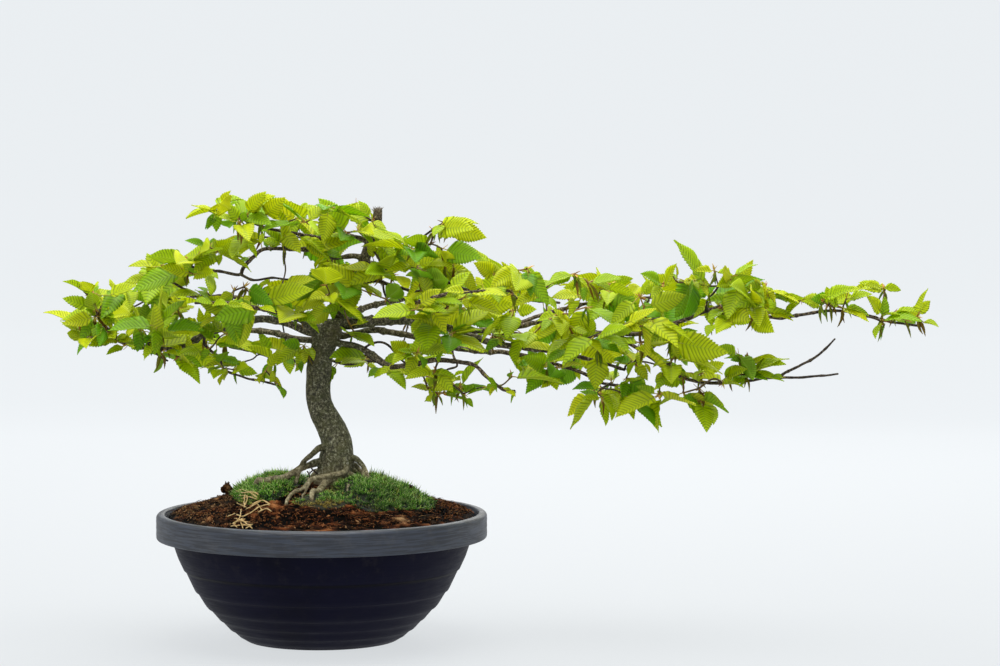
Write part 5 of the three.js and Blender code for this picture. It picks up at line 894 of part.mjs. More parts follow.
function spray(data) {
  const V = [], F = [];
  const vertex = (p) => V.push(p) - 1;
  const join = (a, b) => {
    let best = Infinity, k = 0;
    for (let r = 0; r < 3; r++) {
      let d = 0;
      for (let i = 0; i < 3; i++) d += len(sub(V[a[i]], V[b[(i + r) % 3]]));
      if (d < best) [best, k] = [d, r];
    }
    for (let i = 0; i < 3; i++) {
      const p = a[i], q = a[(i + 1) % 3], c = b[(i + k) % 3], d = b[(i + 1 + k) % 3];
      F.push([p, q, d], [p, d, c]);
    }
  };
  const ring = (p, d, r, ref) => {
    let u = sub(ref, mul(d, dot(ref, d)));
    if (len(u) < 1e-6) u = cross(d, Math.abs(d[2]) < 0.9 ? [0, 0, 1] : [1, 0, 0]);
    u = unit(u);
    const v = cross(d, u);
    return [0, 1, 2].map((q) => {
      const a = (q * 2 * Math.PI) / 3;
      return vertex(add(p, add(mul(u, r * Math.cos(a)), mul(v, r * Math.sin(a)))));
    });
  };
  const node = (i) => data.nodes[i].slice(0, 3);
  const links = data.links.map(([from, to, ra, rb, ...mid]) => ({
    from, to, ra, rb,
    points: from < 0 ? [...mid, node(to)] : [node(from), ...mid, node(to)],
  }));
  const leaves = data.leaves.map((row) => ({ knot: row[0], ...leafFrame(row, node(row[0])) }));
  const grown = data.nodes.map(() => []);
  links.forEach((l, i) => {
    const p = l.points, m = p.length;
    grown[l.to].push([unit(sub(p[m - 2], p[m - 1])), "in" + i]);
    if (l.from >= 0) grown[l.from].push([unit(sub(p[1], p[0])), "out" + i]);
  });
  leaves.forEach((l, i) => grown[l.knot].push([unit(sub(add(l.b, mul(l.c, 0.25 * l.L)), node(l.knot))), "leaf" + i]));
  const face = {};
  grown.forEach((list, j) => {
    const p = node(j), r = data.nodes[j][3], ids = KNOT.map((o) => vertex(add(p, mul(o, r))));
    const free = [0, 1, 2, 3, 4, 5, 6, 7];
    const order = list
      .map((g, i) => [Math.max(...KNOT_NORMALS.map((n) => dot(g[0], n))), i])
      .sort((a, b) => b[0] - a[0] || a[1] - b[1]);
    for (const [, i] of order) {
      let best = free[0];
      for (const f of free) if (dot(list[i][0], KNOT_NORMALS[f]) > dot(list[i][0], KNOT_NORMALS[best])) best = f;
      free.splice(free.indexOf(best), 1);
      face[list[i][1]] = KNOT_FACES[best].map((x) => ids[x]);
    }
    for (const f of free) F.push(KNOT_FACES[f].map((x) => ids[x]));
  });
  links.forEach((l, i) => {
    const p = l.points, m = p.length, end = face["in" + i];
    let cur;
    if (l.from < 0) {
      cur = ring(p[0], unit(sub(p[1], p[0])), l.ra, [0.3, 0.2, 1]);
      F.push([cur[0], cur[2], cur[1]]);
    } else cur = face["out" + i];
    for (let k = 1; k < m - 1; k++) {
      const d = unit(add(unit(sub(p[k], p[k - 1])), unit(sub(p[k + 1], p[k]))));
      const next = ring(p[k], d, lerp(l.ra, l.rb, k / (m - 1)), sub(V[cur[0]], p[k - 1]));
      join(cur, next);
      cur = next;
    }
    join(cur, [end[0], end[2], end[1]]);
  });
  leaves.forEach((l, i) => {
    let cur = face["leaf" + i];
    LEAF_AT.forEach((t, j) => {
      const e0 = l.at(t, 1), e1 = l.at(t, -1), keel = sub(l.at(t, 0), mul(l.normal(t), LEAF_KEEL[j]));
      let next = [vertex(e0), vertex(e1), vertex(keel)];
      if (dot(cross(sub(e1, e0), sub(keel, e0)), l.c) < 0) next = [next[0], next[2], next[1]];
      join(cur, next);
      cur = next;
    });
    const tip = vertex(l.at(1, 0));
    for (let k = 0; k < 3; k++) F.push([cur[k], cur[(k + 1) % 3], tip]);
  });
  return geometryOfFaces(V, F);
}

// ---- pot
function bowl(z) {
  return table(BOWL, z);
}
function potGeometry() {
  const p = [[0, 0], [BASE_R, 0], [BASE_R + 2, 0.8]];
  let z0 = 4;
  for (const z1 of [...STEPS, RIM_TOP - RIM_BAND + 3]) {
    p.push([bowl(z0) + STEP, z0]);
    if (z1 - z0 > 30) p.push([bowl((z0 + z1) / 2) + 0.3, (z0 + z1) / 2]);
    p.push([bowl(z1) - (z1 > 100 ? 0 : STEP), z1]);
    z0 = z1 + 0.5;
  }
  const low = RIM_TOP - RIM_BAND;
  p.push([RIM_R - 3.5, low + 3], [RIM_R - 3, low], [RIM_R - 0.8, low + 0.2], [RIM_R, low + 2], [RIM_R, RIM_TOP - 5]);
  p.push([RIM_R - 1, RIM_TOP - 2], [RIM_R - 3.2, RIM_TOP - 0.3], [LIP_R + 2, RIM_TOP], [LIP_R, RIM_TOP - 1], [LIP_R - 0.5, RIM_TOP - 5]);
  for (const z of [104, 72, 40, 18, 6]) p.push([bowl(z) - WALL, z]);
  p.push([BASE_R - 2, WALL], [0, WALL]);
  const g = new THREE.LatheGeometry(p.map(([r, z]) => new THREE.Vector2(r, z)), POT_SEGMENTS);
  g.rotateX(Math.PI / 2);
  return g;
}

// ---- soil and moss
function soilHeight(x, y) {
  const r = Math.hypot(x, y), w = Math.min(1, Math.max(0, (150 - r) / 60));
  return (
    table(SOIL, r) +
    w * (1.2 * Math.sin(x * 0.061 + 1.3) * Math.cos(y * 0.053 + 0.4) + 0.8 * Math.sin(x * 0.13 - y * 0.09 + 2.0))
  );
}
// rings of vertices closed with a fan at each end
function ringed(rings, top, bottom) {
  const V = [top], F = [], n = rings[0].length;
  for (const r of rings) V.push(...r);
  V.push(bottom);
  const at = (i, k) => 1 + i * n + (k % n), last = V.length - 1, m = rings.length;
  for (let k = 0; k < n; k++) {
    F.push([0, at(0, k), at(0, k + 1)]);
    for (let i = 0; i < m - 1; i++) {
      F.push([at(i, k), at(i + 1, k), at(i + 1, k + 1)], [at(i, k), at(i + 1, k + 1), at(i, k + 1)]);
    }
    F.push([at(m - 1, k), last, at(m - 1, k + 1)]);
  }
  return solid(V, F);
}
function soilSolid(lift) {
  const rings = [], circle = (f) => Array.from({ length: SOIL_SEGMENTS }, (_, k) => f((2 * Math.PI * k) / SOIL_SEGMENTS));
  for (const r of [20, 42, 62, 80, 97, 112, 126, 140])
    rings.push(circle((a) => [r * Math.cos(a), r * Math.sin(a), soilHeight(r * Math.cos(a), r * Math.sin(a)) + lift]));
  const wall = (z) => bowl(z) - WALL - 1.2;
  rings.push(circle((a) => [wall(122) * Math.cos(a), wall(122) * Math.sin(a), 125.5 + lift]));
  for (const z of [104, 72, 40, 18, 7]) rings.push(circle((a) => [wall(z) * Math.cos(a), wall(z) * Math.sin(a), z + lift]));
  rings.push(circle((a) => [(BASE_R - 4) * Math.cos(a), (BASE_R - 4) * Math.sin(a), WALL + GAP + lift]));
  return ringed(rings, [0, 0, soilHeight(0, 0) + lift], [0, 0, WALL + GAP + lift]);
}
function padSolid([cx, cy, rx, ry, T, power, slope, phase]) {
  const rings = [], levels = [0.35, 0.62, 0.8, 0.92, 1];
  const height = (u, v, rho) =>
    soilHeight(cx + rx * u, cy + ry * v) + 1.2 + T * (1 + slope * u) * Math.pow(Math.max(0, 1 - Math.pow(rho, power)), 0.8);
  for (const rho of levels)
    rings.push(
      Array.from({ length: MOSS_SEGMENTS }, (_, k) => {
        const a = (2 * Math.PI * k) / MOSS_SEGMENTS, R = rho * (1 + 0.07 * Math.sin(3 * a + phase) + 0.04 * Math.sin(5 * a + 2 * phase));
        const u = R * Math.cos(a), v = R * Math.sin(a);
        return [cx + rx * u, cy + ry * v, height(u, v, rho)];
      }),
    );
  rings.push(rings[rings.length - 1].map(([x, y]) => [x, y, 118]));
  return ringed(rings, [cx, cy, height(0, 0, 0)], [cx, cy, 118]);
}
function largest(s) {
  return s.decompose().sort((a, b) => b.volume() - a.volume())[0];
}

// ---- wood
const rootSides = (rows) => (rows[0][3] > 2.8 ? 6 : 5);
const limbSides = (rows) => (rows[0][3] > 5 ? 6 : rows[0][3] > 3.6 ? 5 : 4);
function foot(grow) {
  let s = tube(TRUNK, 10, 0, grow);
  for (const r of Object.values(ROOTS)) s = s.add(tube(r, rootSides(r), 0.4, grow));
  return s;
}
let wood = foot(0);
for (const l of Object.values(LIMBS)) wood = wood.add(tube(l, limbSides(l), 0.4, 0));

// ---- lay the pieces together
const group = new THREE.Group();
function place(name, geometry, colour, roughness) {
  const material = new THREE.MeshStandardMaterial({ color: colour, roughness, metalness: 0, side: THREE.DoubleSide });
  const mesh = new THREE.Mesh(geometry, material);
  mesh.name = name;
  group.add(mesh);
}

place("pot", potGeometry(), 0x23232c, 0.55);
const hollow = foot(GAP);
place("soil", geometryOf(largest(soilSolid(0).subtract(hollow))), 0x4a2f1e, 0.95);
const floor = soilSolid(GAP);
const beside = padSolid(PADS.moss_right.map((v, i) => (i > 1 && i < 5 ? v + 2 * GAP : v)));
for (const [name, row] of Object.entries(PADS)) {
  let pad = padSolid(row).subtract(floor).subtract(hollow);
  if (name === "moss_front") pad = pad.subtract(beside);
  place(name, geometryOf(largest(pad)), name === "moss_front" ? 0x6f8030 : 0x4f7a2c, 0.9);
}
place("trunk_and_branches", geometryOf(wood), 0x5c5b49, 0.85);
const GREENS = [0x86a822, 0x6f9a24, 0x9cb428, 0x5c8a24];
SPRAYS.forEach((s, i) => place("spray_" + String(i + 1).padStart(2, "0"), spray(s), GREENS[i % GREENS.length], 0.55));

// dry straw lying on the moss: rows of x, y, z, radius
const STRAW = {
  straw_1: [[-83.0,-26.5,150.3,0.7],[-79.0,-34.3,153.1,0.7],[-75.0,-42.2,154.1,0.7],[-71.0,-50.0,153.5,0.7],[-64.7,-58.0,153.4,0.7],[-58.3,-66.0,153.2,0.7]],
  straw_2: [[-70.9,-76.0,142.6,0.65],[-69.4,-64.0,148.2,0.65],[-71.0,-56.5,150.7,0.65]],
  straw_3: [[-63.7,-80.0,144.1,0.7],[-54.2,-76.0,147.5,0.7],[-45.6,-86.0,144.8,0.7]],
  straw_4: [[-77.8,-97.0,136.2,0.6],[-70.3,-106.0,135.4,0.6],[-64.9,-100.5,137.7,0.6]],
  rootlet_1: [[-78.6,-122.0,130.5,0.8],[-72.3,-116.5,132.8,0.8],[-65.9,-124.0,131.7,0.8]],
  rootlet_2: [[-70.2,-130.0,129.5,0.7],[-65.3,-131.5,129.8,0.7],[-58.6,-131.0,130.7,0.7]],
};
for (const [name, rows] of Object.entries(STRAW)) place(name, geometryOf(tube(rows, 4, 0.3, 0)), 0xb39a6a, 0.7);

// small lumps: centre, radii, turn about Z
function lump(name, [x, y, z], [a, b, c], turn, colour) {
  const g = new THREE.IcosahedronGeometry(1, 1);
  const p = g.attributes.position;
  for (let i = 0; i < p.count; i++) {
    const k = 1 + 0.13 * Math.sin(3.1 * p.getX(i) + 1.7) * Math.cos(2.7 * p.getY(i)) + 0.09 * Math.sin(4.3 * p.getZ(i) + 0.6);
    p.setXYZ(i, p.getX(i) * k * a, p.getY(i) * k * b, p.getZ(i) * k * c);
  }
  g.rotateZ(turn);
  g.translate(x, y, z);
  place(name, geometryOf(solidOfGeometry(g)), colour, 0.95);
}
lump("clod", [-96.7,2.0,151.5], [6, 5.5, 6], 0.4, 0x2c2119);
lump("bark_chip", [89.7,-14.0,154.0], [2.6, 2.2, 2.2], 0.9, 0x3a2c20);
export default group;
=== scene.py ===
import math

import bpy
import numpy as np
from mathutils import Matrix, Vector, noise


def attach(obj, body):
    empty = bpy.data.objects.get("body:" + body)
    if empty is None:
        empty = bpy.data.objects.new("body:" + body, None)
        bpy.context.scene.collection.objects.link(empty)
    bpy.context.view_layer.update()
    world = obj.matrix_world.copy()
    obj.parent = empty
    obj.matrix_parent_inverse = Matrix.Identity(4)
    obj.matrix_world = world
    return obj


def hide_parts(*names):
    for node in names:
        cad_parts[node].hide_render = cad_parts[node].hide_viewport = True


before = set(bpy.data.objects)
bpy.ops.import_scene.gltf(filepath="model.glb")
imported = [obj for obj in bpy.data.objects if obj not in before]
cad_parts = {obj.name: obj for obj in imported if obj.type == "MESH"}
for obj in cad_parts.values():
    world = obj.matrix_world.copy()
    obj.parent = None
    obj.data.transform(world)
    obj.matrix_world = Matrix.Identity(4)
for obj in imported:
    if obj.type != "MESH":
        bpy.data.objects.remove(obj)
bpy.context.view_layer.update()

# ------------------------------------------------------------------ dimensions, mm (the CAD's own)
RIM_R, RIM_TOP, RIM_BAND, LIP_R, BASE_R, WALL, STEP = 165.5, 128.0, 25.0, 157.0, 75.0, 3.0, 0.65
STEPS = [11, 21, 32.5, 49.5, 71]
BOWL = [[0, 77], [4, 82], [12, 92.5], [20, 101], [36, 116.5], [52, 127.5], [68, 136], [84, 144], [92, 147], [104, 151.5], [122, 156]]
SOIL = [[0, 155], [40, 154], [60, 151.5], [80, 147.5], [95, 143.5], [110, 139], [125, 134], [140, 130], [150, 127], [156, 124.5], [170, 120]]
PADS = {
    "moss_left": (-54, -4, 36, 68, 11.6, 2.4, 0.3, 0.3),
    "moss_right": (60, -21, 48, 71, 11.3, 1.7, -0.6, 1.7),
    "moss_back": (4, 84, 56, 30, 8.5, 2.2, 0, 2.9),
    "moss_front": (6, -76, 27, 23, 4.5, 2.2, 0, 4.1),
}
TRUNK = [[11.0,0.0,128.0,15.0],[11.0,0.0,140.0,18.6],[11.0,0.0,149.9,20.0],[11.3,0.0,159.9,19.5],[11.8,0.0,165.0,18.2],[13.1,0.0,172.0,17.3],[15.0,2.0,185.9,16.6],[13.9,4.0,199.8,15.2],[7.8,6.0,213.8,14.2],[0.3,7.0,227.8,13.2],[-3.4,8.0,241.8,12.7],[-3.8,8.0,255.9,12.5],[-2.4,6.0,277.1,12.4],[-0.0,4.0,288.3,12.0],[4.0,1.0,300.5,12.3],[7.1,-1.0,309.7,13.0],[7.6,-0.6,315.0,9.6]]
ROOTS = {
    "r1": [[6.8,-3.0,194.9,3.4],[0.6,-8.0,193.9,3.4],[-4.2,-12.0,191.3,3.12],[-10.9,-17.0,185.8,2.85],[-18.7,-20.0,178.1,2.57],[-24.7,-20.0,161.1,2.3],[-28.7,-20.0,156.8,1.72]],
    "r2": [[4.9,-2.9,179.4,3.8],[-2.6,-6.0,178.4,3.8],[-13.5,-14.0,175.8,3.67],[-22.0,-20.0,173.1,3.53],[-35.2,-22.0,165.2,3.4],[-46.6,-34.0,164.6,3.27],[-56.6,-32.0,162.9,3.13],[-62.4,-28.0,162.5,3.0],[-65.7,-25.7,155.2,2.25]],
    "r3": [[18.9,-6.5,182.9,3.4],[22.6,-13.0,181.9,3.4],[25.5,-19.0,174.0,3.23],[20.4,-25.0,169.4,3.05],[7.6,-32.0,167.3,2.88],[-7.6,-38.0,164.6,2.7],[-16.5,-39.0,154.9,2.52],[-22.5,-46.0,153.9,2.35],[-27.1,-59.5,151.5,2.17],[-29.9,-80.0,147.0,2.0],[-30.4,-84.0,139.9,1.5]],
    "r3b": [[-8.1,-38.0,165.2,1.9],[-10.8,-42.0,160.5,1.7],[-14.0,-48.0,152.5,1.5],[-14.5,-74.0,152.6,1.3],[-14.6,-78.0,146.6,0.98]],
    "r4": [[14.2,-10.4,166.4,4.2],[16.1,-19.0,165.4,4.2],[5.8,-31.0,160.7,3.8],[-0.9,-52.0,153.8,3.4],[-4.6,-66.0,156.0,3.0],[-5.1,-80.0,153.9,2.6],[-5.2,-84.0,146.0,1.95]],
    "r5": [[23.2,-7.1,167.3,2.2],[32.2,-13.0,166.3,2.2],[29.9,-22.0,159.9,1.8],[28.6,-54.0,159.0,1.4],[28.4,-58.0,151.6,1.05]],
    "r6": [[24.8,-1.6,183.0,3.2],[33.3,-4.0,182.0,3.2],[39.4,-6.0,177.1,2.87],[43.6,-9.0,170.9,2.53],[46.4,-18.0,165.9,2.2],[47.7,-21.8,159.2,1.65]],
    "r7": [[24.0,1.3,176.2,2.6],[32.5,2.0,175.2,2.6],[38.1,0.0,170.0,2.2],[42.3,-14.0,166.6,1.8],[43.4,-17.8,160.2,1.35]],
    "r8": [[12.0,8.0,172.0,4.2],[3.0,19.0,170.5,4.0],[-6.0,31.0,165.0,3.6],[-16.0,44.0,155.0,3.1],[-27.0,54.0,153.1,2.7],[-37.0,60.0,150.6,2.2],[-41.0,63.0,144.1,1.6]],
    "r9": [[18.0,8.0,174.0,4.2],[27.0,20.0,171.0,4.0],[36.0,31.0,164.0,3.5],[47.0,43.0,157.1,3.0],[57.0,52.0,149.7,2.5],[62.0,57.0,141.7,1.7]],
}
LIMBS = {
    "upper_trunk": [[13.5,5,312.5,6.3],[17.0,6,323.0,6.1],[22.4,7,337.5,6.0],[30.3,8,350.4,5.9],[37.3,9,360.3,5.8],[42.2,11,378.2,5.7],[46.1,13,391.2,5.5],[51.1,15,404.2,5.4],[55.1,17,419.2,5.1],[56.1,18,430.2,4.6]],
    "limb_r1": [[3.6,-4.0,315.0,5.7],[15.0,-9.0,317.1,5.7],[28.2,-14.0,317.4,5.6],[54.4,-20.0,320.7,5.3],[82.7,-22.0,321.8,4.8],[109.1,-24.0,318.9,4.2],[126.9,-24.0,313.9,3.8],[145.7,-20.0,306.8,3.42],[164.6,-15.0,300.5,3.18],[187.5,-10.0,295.2,2.94],[226.5,0.0,289.6,2.5],[253.7,6.0,284.2,2.18],[279.0,14.0,277.6,1.82],[304.4,20.0,269.1,1.34]],
    "limb_r1b": [[119.0,-24.0,315.9,2.77],[140.7,-17.0,310.6,2.71],[164.5,-9.0,311.1,2.64],[188.5,-3.0,313.8,2.57],[201.5,0.0,314.6,2.53],[218.5,4.0,318.4,2.48],[245.5,2.0,316.5,2.41],[272.3,-5.0,308.9,2.34],[291.1,-11.0,308.2,2.28],[313.7,-18.0,307.6,2.21],[328.4,-22.0,311.9,2.17],[347.1,-25.0,317.0,2.11],[365.7,-28.0,324.1,2.05],[385.3,-30.0,332.1,1.98],[403.9,-32.0,336.2,1.92],[427.9,-30.0,331.1,1.84],[451.0,-26.0,324.0,1.75],[475.2,-22.0,326.8,1.67],[502.4,-18.0,330.5,1.57],[519.6,-15.0,330.4,1.5],[542.9,-12.0,326.2,1.4],[556.1,-10.0,322.1,1.34],[568.4,-8.0,319.1,1.28],[583.8,-5.0,316.9,1.19],[599.0,-3.0,314.8,1.09]],
    "limb_r1c": [[294.0,-12.0,308.3,2.09],[307.2,-8.0,298.1,2.03],[321.3,-6.0,288.9,1.97],[331.4,-4.0,281.8,1.92],[345.6,0.0,271.5,1.85],[362.8,2.0,262.3,1.78],[390.7,0.0,257.5,1.66],[424.2,-6.0,259.9,1.52],[443.8,-10.0,263.2,1.42],[483.5,-12.0,264.4,1.22],[515.2,-14.0,267.5,1.0]],
    "twig_bare": [[456.7,-11.0,263.3,1.5],[462.5,-13.0,268.4,1.45],[476.1,-16.0,275.6,1.34],[490.8,-18.0,283.7,1.2],[499.6,-19.0,290.8,1.1],[511.3,-20.0,302.8,0.9]],
    "limb_r2": [[12.4,2.0,306.5,3.48],[21.2,5.0,304.3,3.41],[35.1,8.0,307.1,3.31],[50.1,10.0,310.0,3.21],[66.0,12.0,308.4,3.11],[96.0,20.0,302.4,2.93],[114.9,26.0,297.0,2.8],[129.0,30.0,291.7,2.71],[161.3,36.0,286.3,2.48],[179.5,40.0,286.0,2.38],[198.8,43.0,282.8,2.24],[216.1,45.0,278.6,2.12],[231.3,47.0,274.4,2.01],[259.6,40.0,265.7,1.76],[281.6,30.0,255.2,1.53],[301.4,20.0,252.9,1.26]],
    "limb_r3": [[8.6,-2.0,300.7,3.63],[16.8,-6.0,297.9,3.52],[35.0,-12.0,295.3,3.31],[47.2,-18.0,289.7,3.14],[57.4,-24.0,283.1,3.01],[68.5,-30.0,276.6,2.88],[82.6,-36.0,277.0,2.72],[98.5,-40.0,280.2,2.54],[114.4,-44.0,283.5,2.37],[138.2,-50.0,281.9,2.09],[152.9,-54.0,279.2,1.91],[166.7,-60.0,266.9,1.64],[182.4,-64.0,255.3,1.33],[193.2,-66.0,254.5,1.09]],
    "twig_arch": [[42.2,-16.0,292.6,1.26],[50.3,-20.0,297.8,1.21],[59.4,-22.0,299.9,1.17],[67.4,-24.0,297.1,1.12],[75.3,-25.0,289.2,1.06],[83.2,-22.0,280.0,0.98],[90.0,-20.0,272.9,0.9]],
    "twig_zig": [[130.0,30.0,291.7,1.18],[132.1,24.0,282.0,1.13],[135.2,20.0,273.1,1.09],[125.2,16.0,269.4,1.04],[126.2,14.0,264.5,1.02],[130.3,12.0,256.6,0.97],[128.3,10.0,246.7,0.9]],
    "twig_low": [[19.9,-8.0,295.1,1.26],[28.6,-4.0,288.8,1.19],[38.5,-1.0,286.6,1.12],[48.4,0.0,282.6,1.04],[61.4,0.0,274.5,0.9]],
    "limb_l1": [[0.5,0.0,306.6,4.27],[-12.3,-3.0,308.8,4.13],[-23.9,-8.0,314.1,3.99],[-36.4,-14.0,319.4,3.84],[-54.9,-20.0,322.7,3.64],[-67.5,-24.0,321.9,3.5],[-88.0,-28.0,315.2,3.27],[-111.6,-30.0,309.3,3.03],[-125.5,-30.0,301.4,2.89],[-143.6,-28.0,295.3,2.71],[-166.6,-26.0,294.2,2.48],[-189.4,-26.0,298.2,2.25],[-201.9,-28.0,303.3,2.11],[-208.6,-30.0,311.3,1.99],[-218.1,-32.0,325.3,1.78],[-223.6,-34.0,341.2,1.57],[-235.1,-36.0,355.2,1.29],[-242.0,-36.0,361.1,1.09]],
    "limb_l2": [[0.3,3.0,300.4,3.63],[-14.1,9.0,300.1,3.45],[-30.6,16.0,301.6,3.25],[-47.4,26.0,306.1,3.04],[-64.2,34.0,307.7,2.86],[-77.9,40.0,309.4,2.69],[-102.8,48.0,324.2,2.37],[-117.4,52.0,332.1,2.18],[-140.3,58.0,340.0,1.87],[-155.8,60.0,339.9,1.66],[-181.6,62.0,337.7,1.18]],
    "limb_l3": [[-76.3,-25.0,320.0,1.95],[-86.6,-32.0,325.3,1.84],[-95.0,-37.0,330.5,1.75],[-115.9,-44.0,343.7,1.52],[-133.9,-50.0,354.8,1.29],[-145.2,-54.0,361.8,1.09]],
    "twig_lowleft": [[-112.6,-30.0,309.3,1.42],[-114.8,-28.0,299.3,1.38],[-107.1,-26.0,290.2,1.34],[-100.3,-25.0,285.2,1.29],[-97.5,-24.0,276.2,1.25],[-92.6,-23.0,271.1,1.22],[-73.0,-20.0,263.9,1.12],[-50.3,-18.0,258.8,0.99],[-40.5,-16.0,255.7,0.9]],
    "twig_backleft": [[-1.0,8.0,288.1,1.5],[-10.7,17.0,280.4,1.44],[-23.4,26.0,276.8,1.36],[-47.3,36.0,281.2,1.24],[-76.0,41.0,286.9,1.06],[-96.6,44.0,290.8,0.9]],
    "twig_backright": [[-0.0,8.0,287.0,1.5],[10.3,19.0,278.3,1.4],[26.0,28.0,274.6,1.28],[48.0,33.0,277.3,1.12],[69.1,36.0,272.1,0.9]],
    "twig_bud": [[-165.6,-26.0,294.2,1.18],[-161.1,-22.0,287.0,1.07],[-151.5,-20.0,280.9,0.9]],
    "limb_u1": [[43.2,10.0,382.3,2.77],[30.4,7.0,384.4,2.68],[13.6,2.0,382.6,2.55],[3.1,-5.0,386.8,2.46],[-7.5,-12.0,391.0,2.38],[-29.4,-25.0,392.3,2.2],[-54.1,-38.0,392.7,1.98],[-63.7,-42.0,386.0,1.88],[-74.2,-47.0,374.3,1.74],[-77.9,-50.0,367.6,1.66],[-98.7,-58.0,371.8,1.44],[-109.1,-62.0,371.9,1.32],[-123.3,-66.0,376.9,1.09]],
    "twig_u1b": [[-76.9,-50.0,368.5,1.26],[-64.4,-47.0,362.5,1.18],[-46.9,-44.0,364.4,1.07],[-26.5,-40.0,362.2,0.9]],
    "limb_u2": [[49.1,14.0,399.2,2.23],[36.5,6.0,403.4,2.14],[23.9,-2.0,404.6,2.05],[9.3,-9.0,402.8,1.95],[-6.2,-16.0,404.0,1.83],[-37.5,-35.0,410.4,1.57],[-49.8,-42.0,413.5,1.46],[-69.6,-52.0,420.6,1.25],[-80.0,-56.0,427.5,1.09]],
    "limb_v1": [[35.3,7.0,357.4,2.02],[46.6,0.0,359.6,1.92],[59.9,-8.0,359.0,1.79],[79.2,-18.0,353.4,1.6],[98.3,-28.0,349.9,1.39],[119.3,-38.0,348.3,1.09]],
    "limb_v2": [[43.2,10.0,378.3,2.36],[54.6,2.0,376.6,2.29],[66.9,-8.0,372.9,2.21],[91.3,-25.0,373.5,2.04],[114.4,-38.0,366.1,1.88],[130.3,-45.0,358.5,1.76],[146.1,-52.0,352.9,1.63],[172.6,-60.0,353.2,1.43],[198.1,-62.0,351.4,1.18]],
    "twig_v3": [[92.3,-25.0,373.5,1.42],[92.5,-30.0,383.6,1.35],[97.6,-34.0,396.6,1.24],[103.6,-38.0,405.5,1.16],[122.6,-50.0,418.6,0.9]],
    "twig_v4": [[62.0,-9.0,360.0,1.18],[62.8,-5.0,348.9,1.09],[66.6,-2.0,339.7,1.0],[69.5,0.0,331.6,0.9]],
    "back_l": [[4.2,6.0,310.3,3.32],[-4.5,16.0,313.7,3.18],[-24.8,50.0,320.0,2.86],[-63.8,95.0,333.1,2.32],[-107.8,125.0,339.0,1.76],[-145.8,140.0,337.2,1.18]],
    "back_r": [[12.2,5.0,315.3,3.32],[19.7,16.0,317.8,3.22],[41.3,50.0,330.2,2.97],[85.7,95.0,338.3,2.58],[136.9,125.0,341.1,2.2],[189.0,140.0,336.2,1.79],[241.2,138.0,331.1,1.26]],
    "front_l": [[-5.1,-6.0,309.9,2.77],[-11.5,-16.0,314.5,2.67],[-23.4,-45.0,325.0,2.41],[-53.0,-80.0,335.6,2.01],[-83.8,-105.0,342.6,1.62],[-114.6,-115.0,343.1,1.18]],
    "front_r": [[51.5,-22.0,320.3,2.63],[61.9,-34.0,324.4,2.51],[78.3,-52.0,332.2,2.33],[104.7,-85.0,344.6,1.99],[135.2,-110.0,352.5,1.63],[168.9,-122.0,355.0,1.18]],
    "back_far": [[190.5,-2.0,314.7,2.09],[203.7,20.0,318.5,2.01],[224.2,46.0,324.3,1.9],[265.6,76.0,333.0,1.72],[322.6,90.0,338.5,1.5],[384.1,86.0,338.7,1.18]],
    "front_far": [[230.5,1.0,288.5,1.8],[244.1,-20.0,292.8,1.7],[266.9,-52.0,305.7,1.53],[300.6,-70.0,319.5,1.32],[334.4,-76.0,326.6,1.09]],
    "top_back": [[48.1,14.0,395.2,2.09],[39.3,32.0,399.7,1.98],[20.6,62.0,406.1,1.76],[-8.6,90.0,411.6,1.49],[-38.4,105.0,410.2,1.18]],
    "top_backr": [[50.1,15.0,400.2,1.95],[61.4,34.0,397.7,1.84],[81.7,62.0,391.8,1.66],[108.7,84.0,381.9,1.44],[137.3,96.0,369.2,1.18]],
}
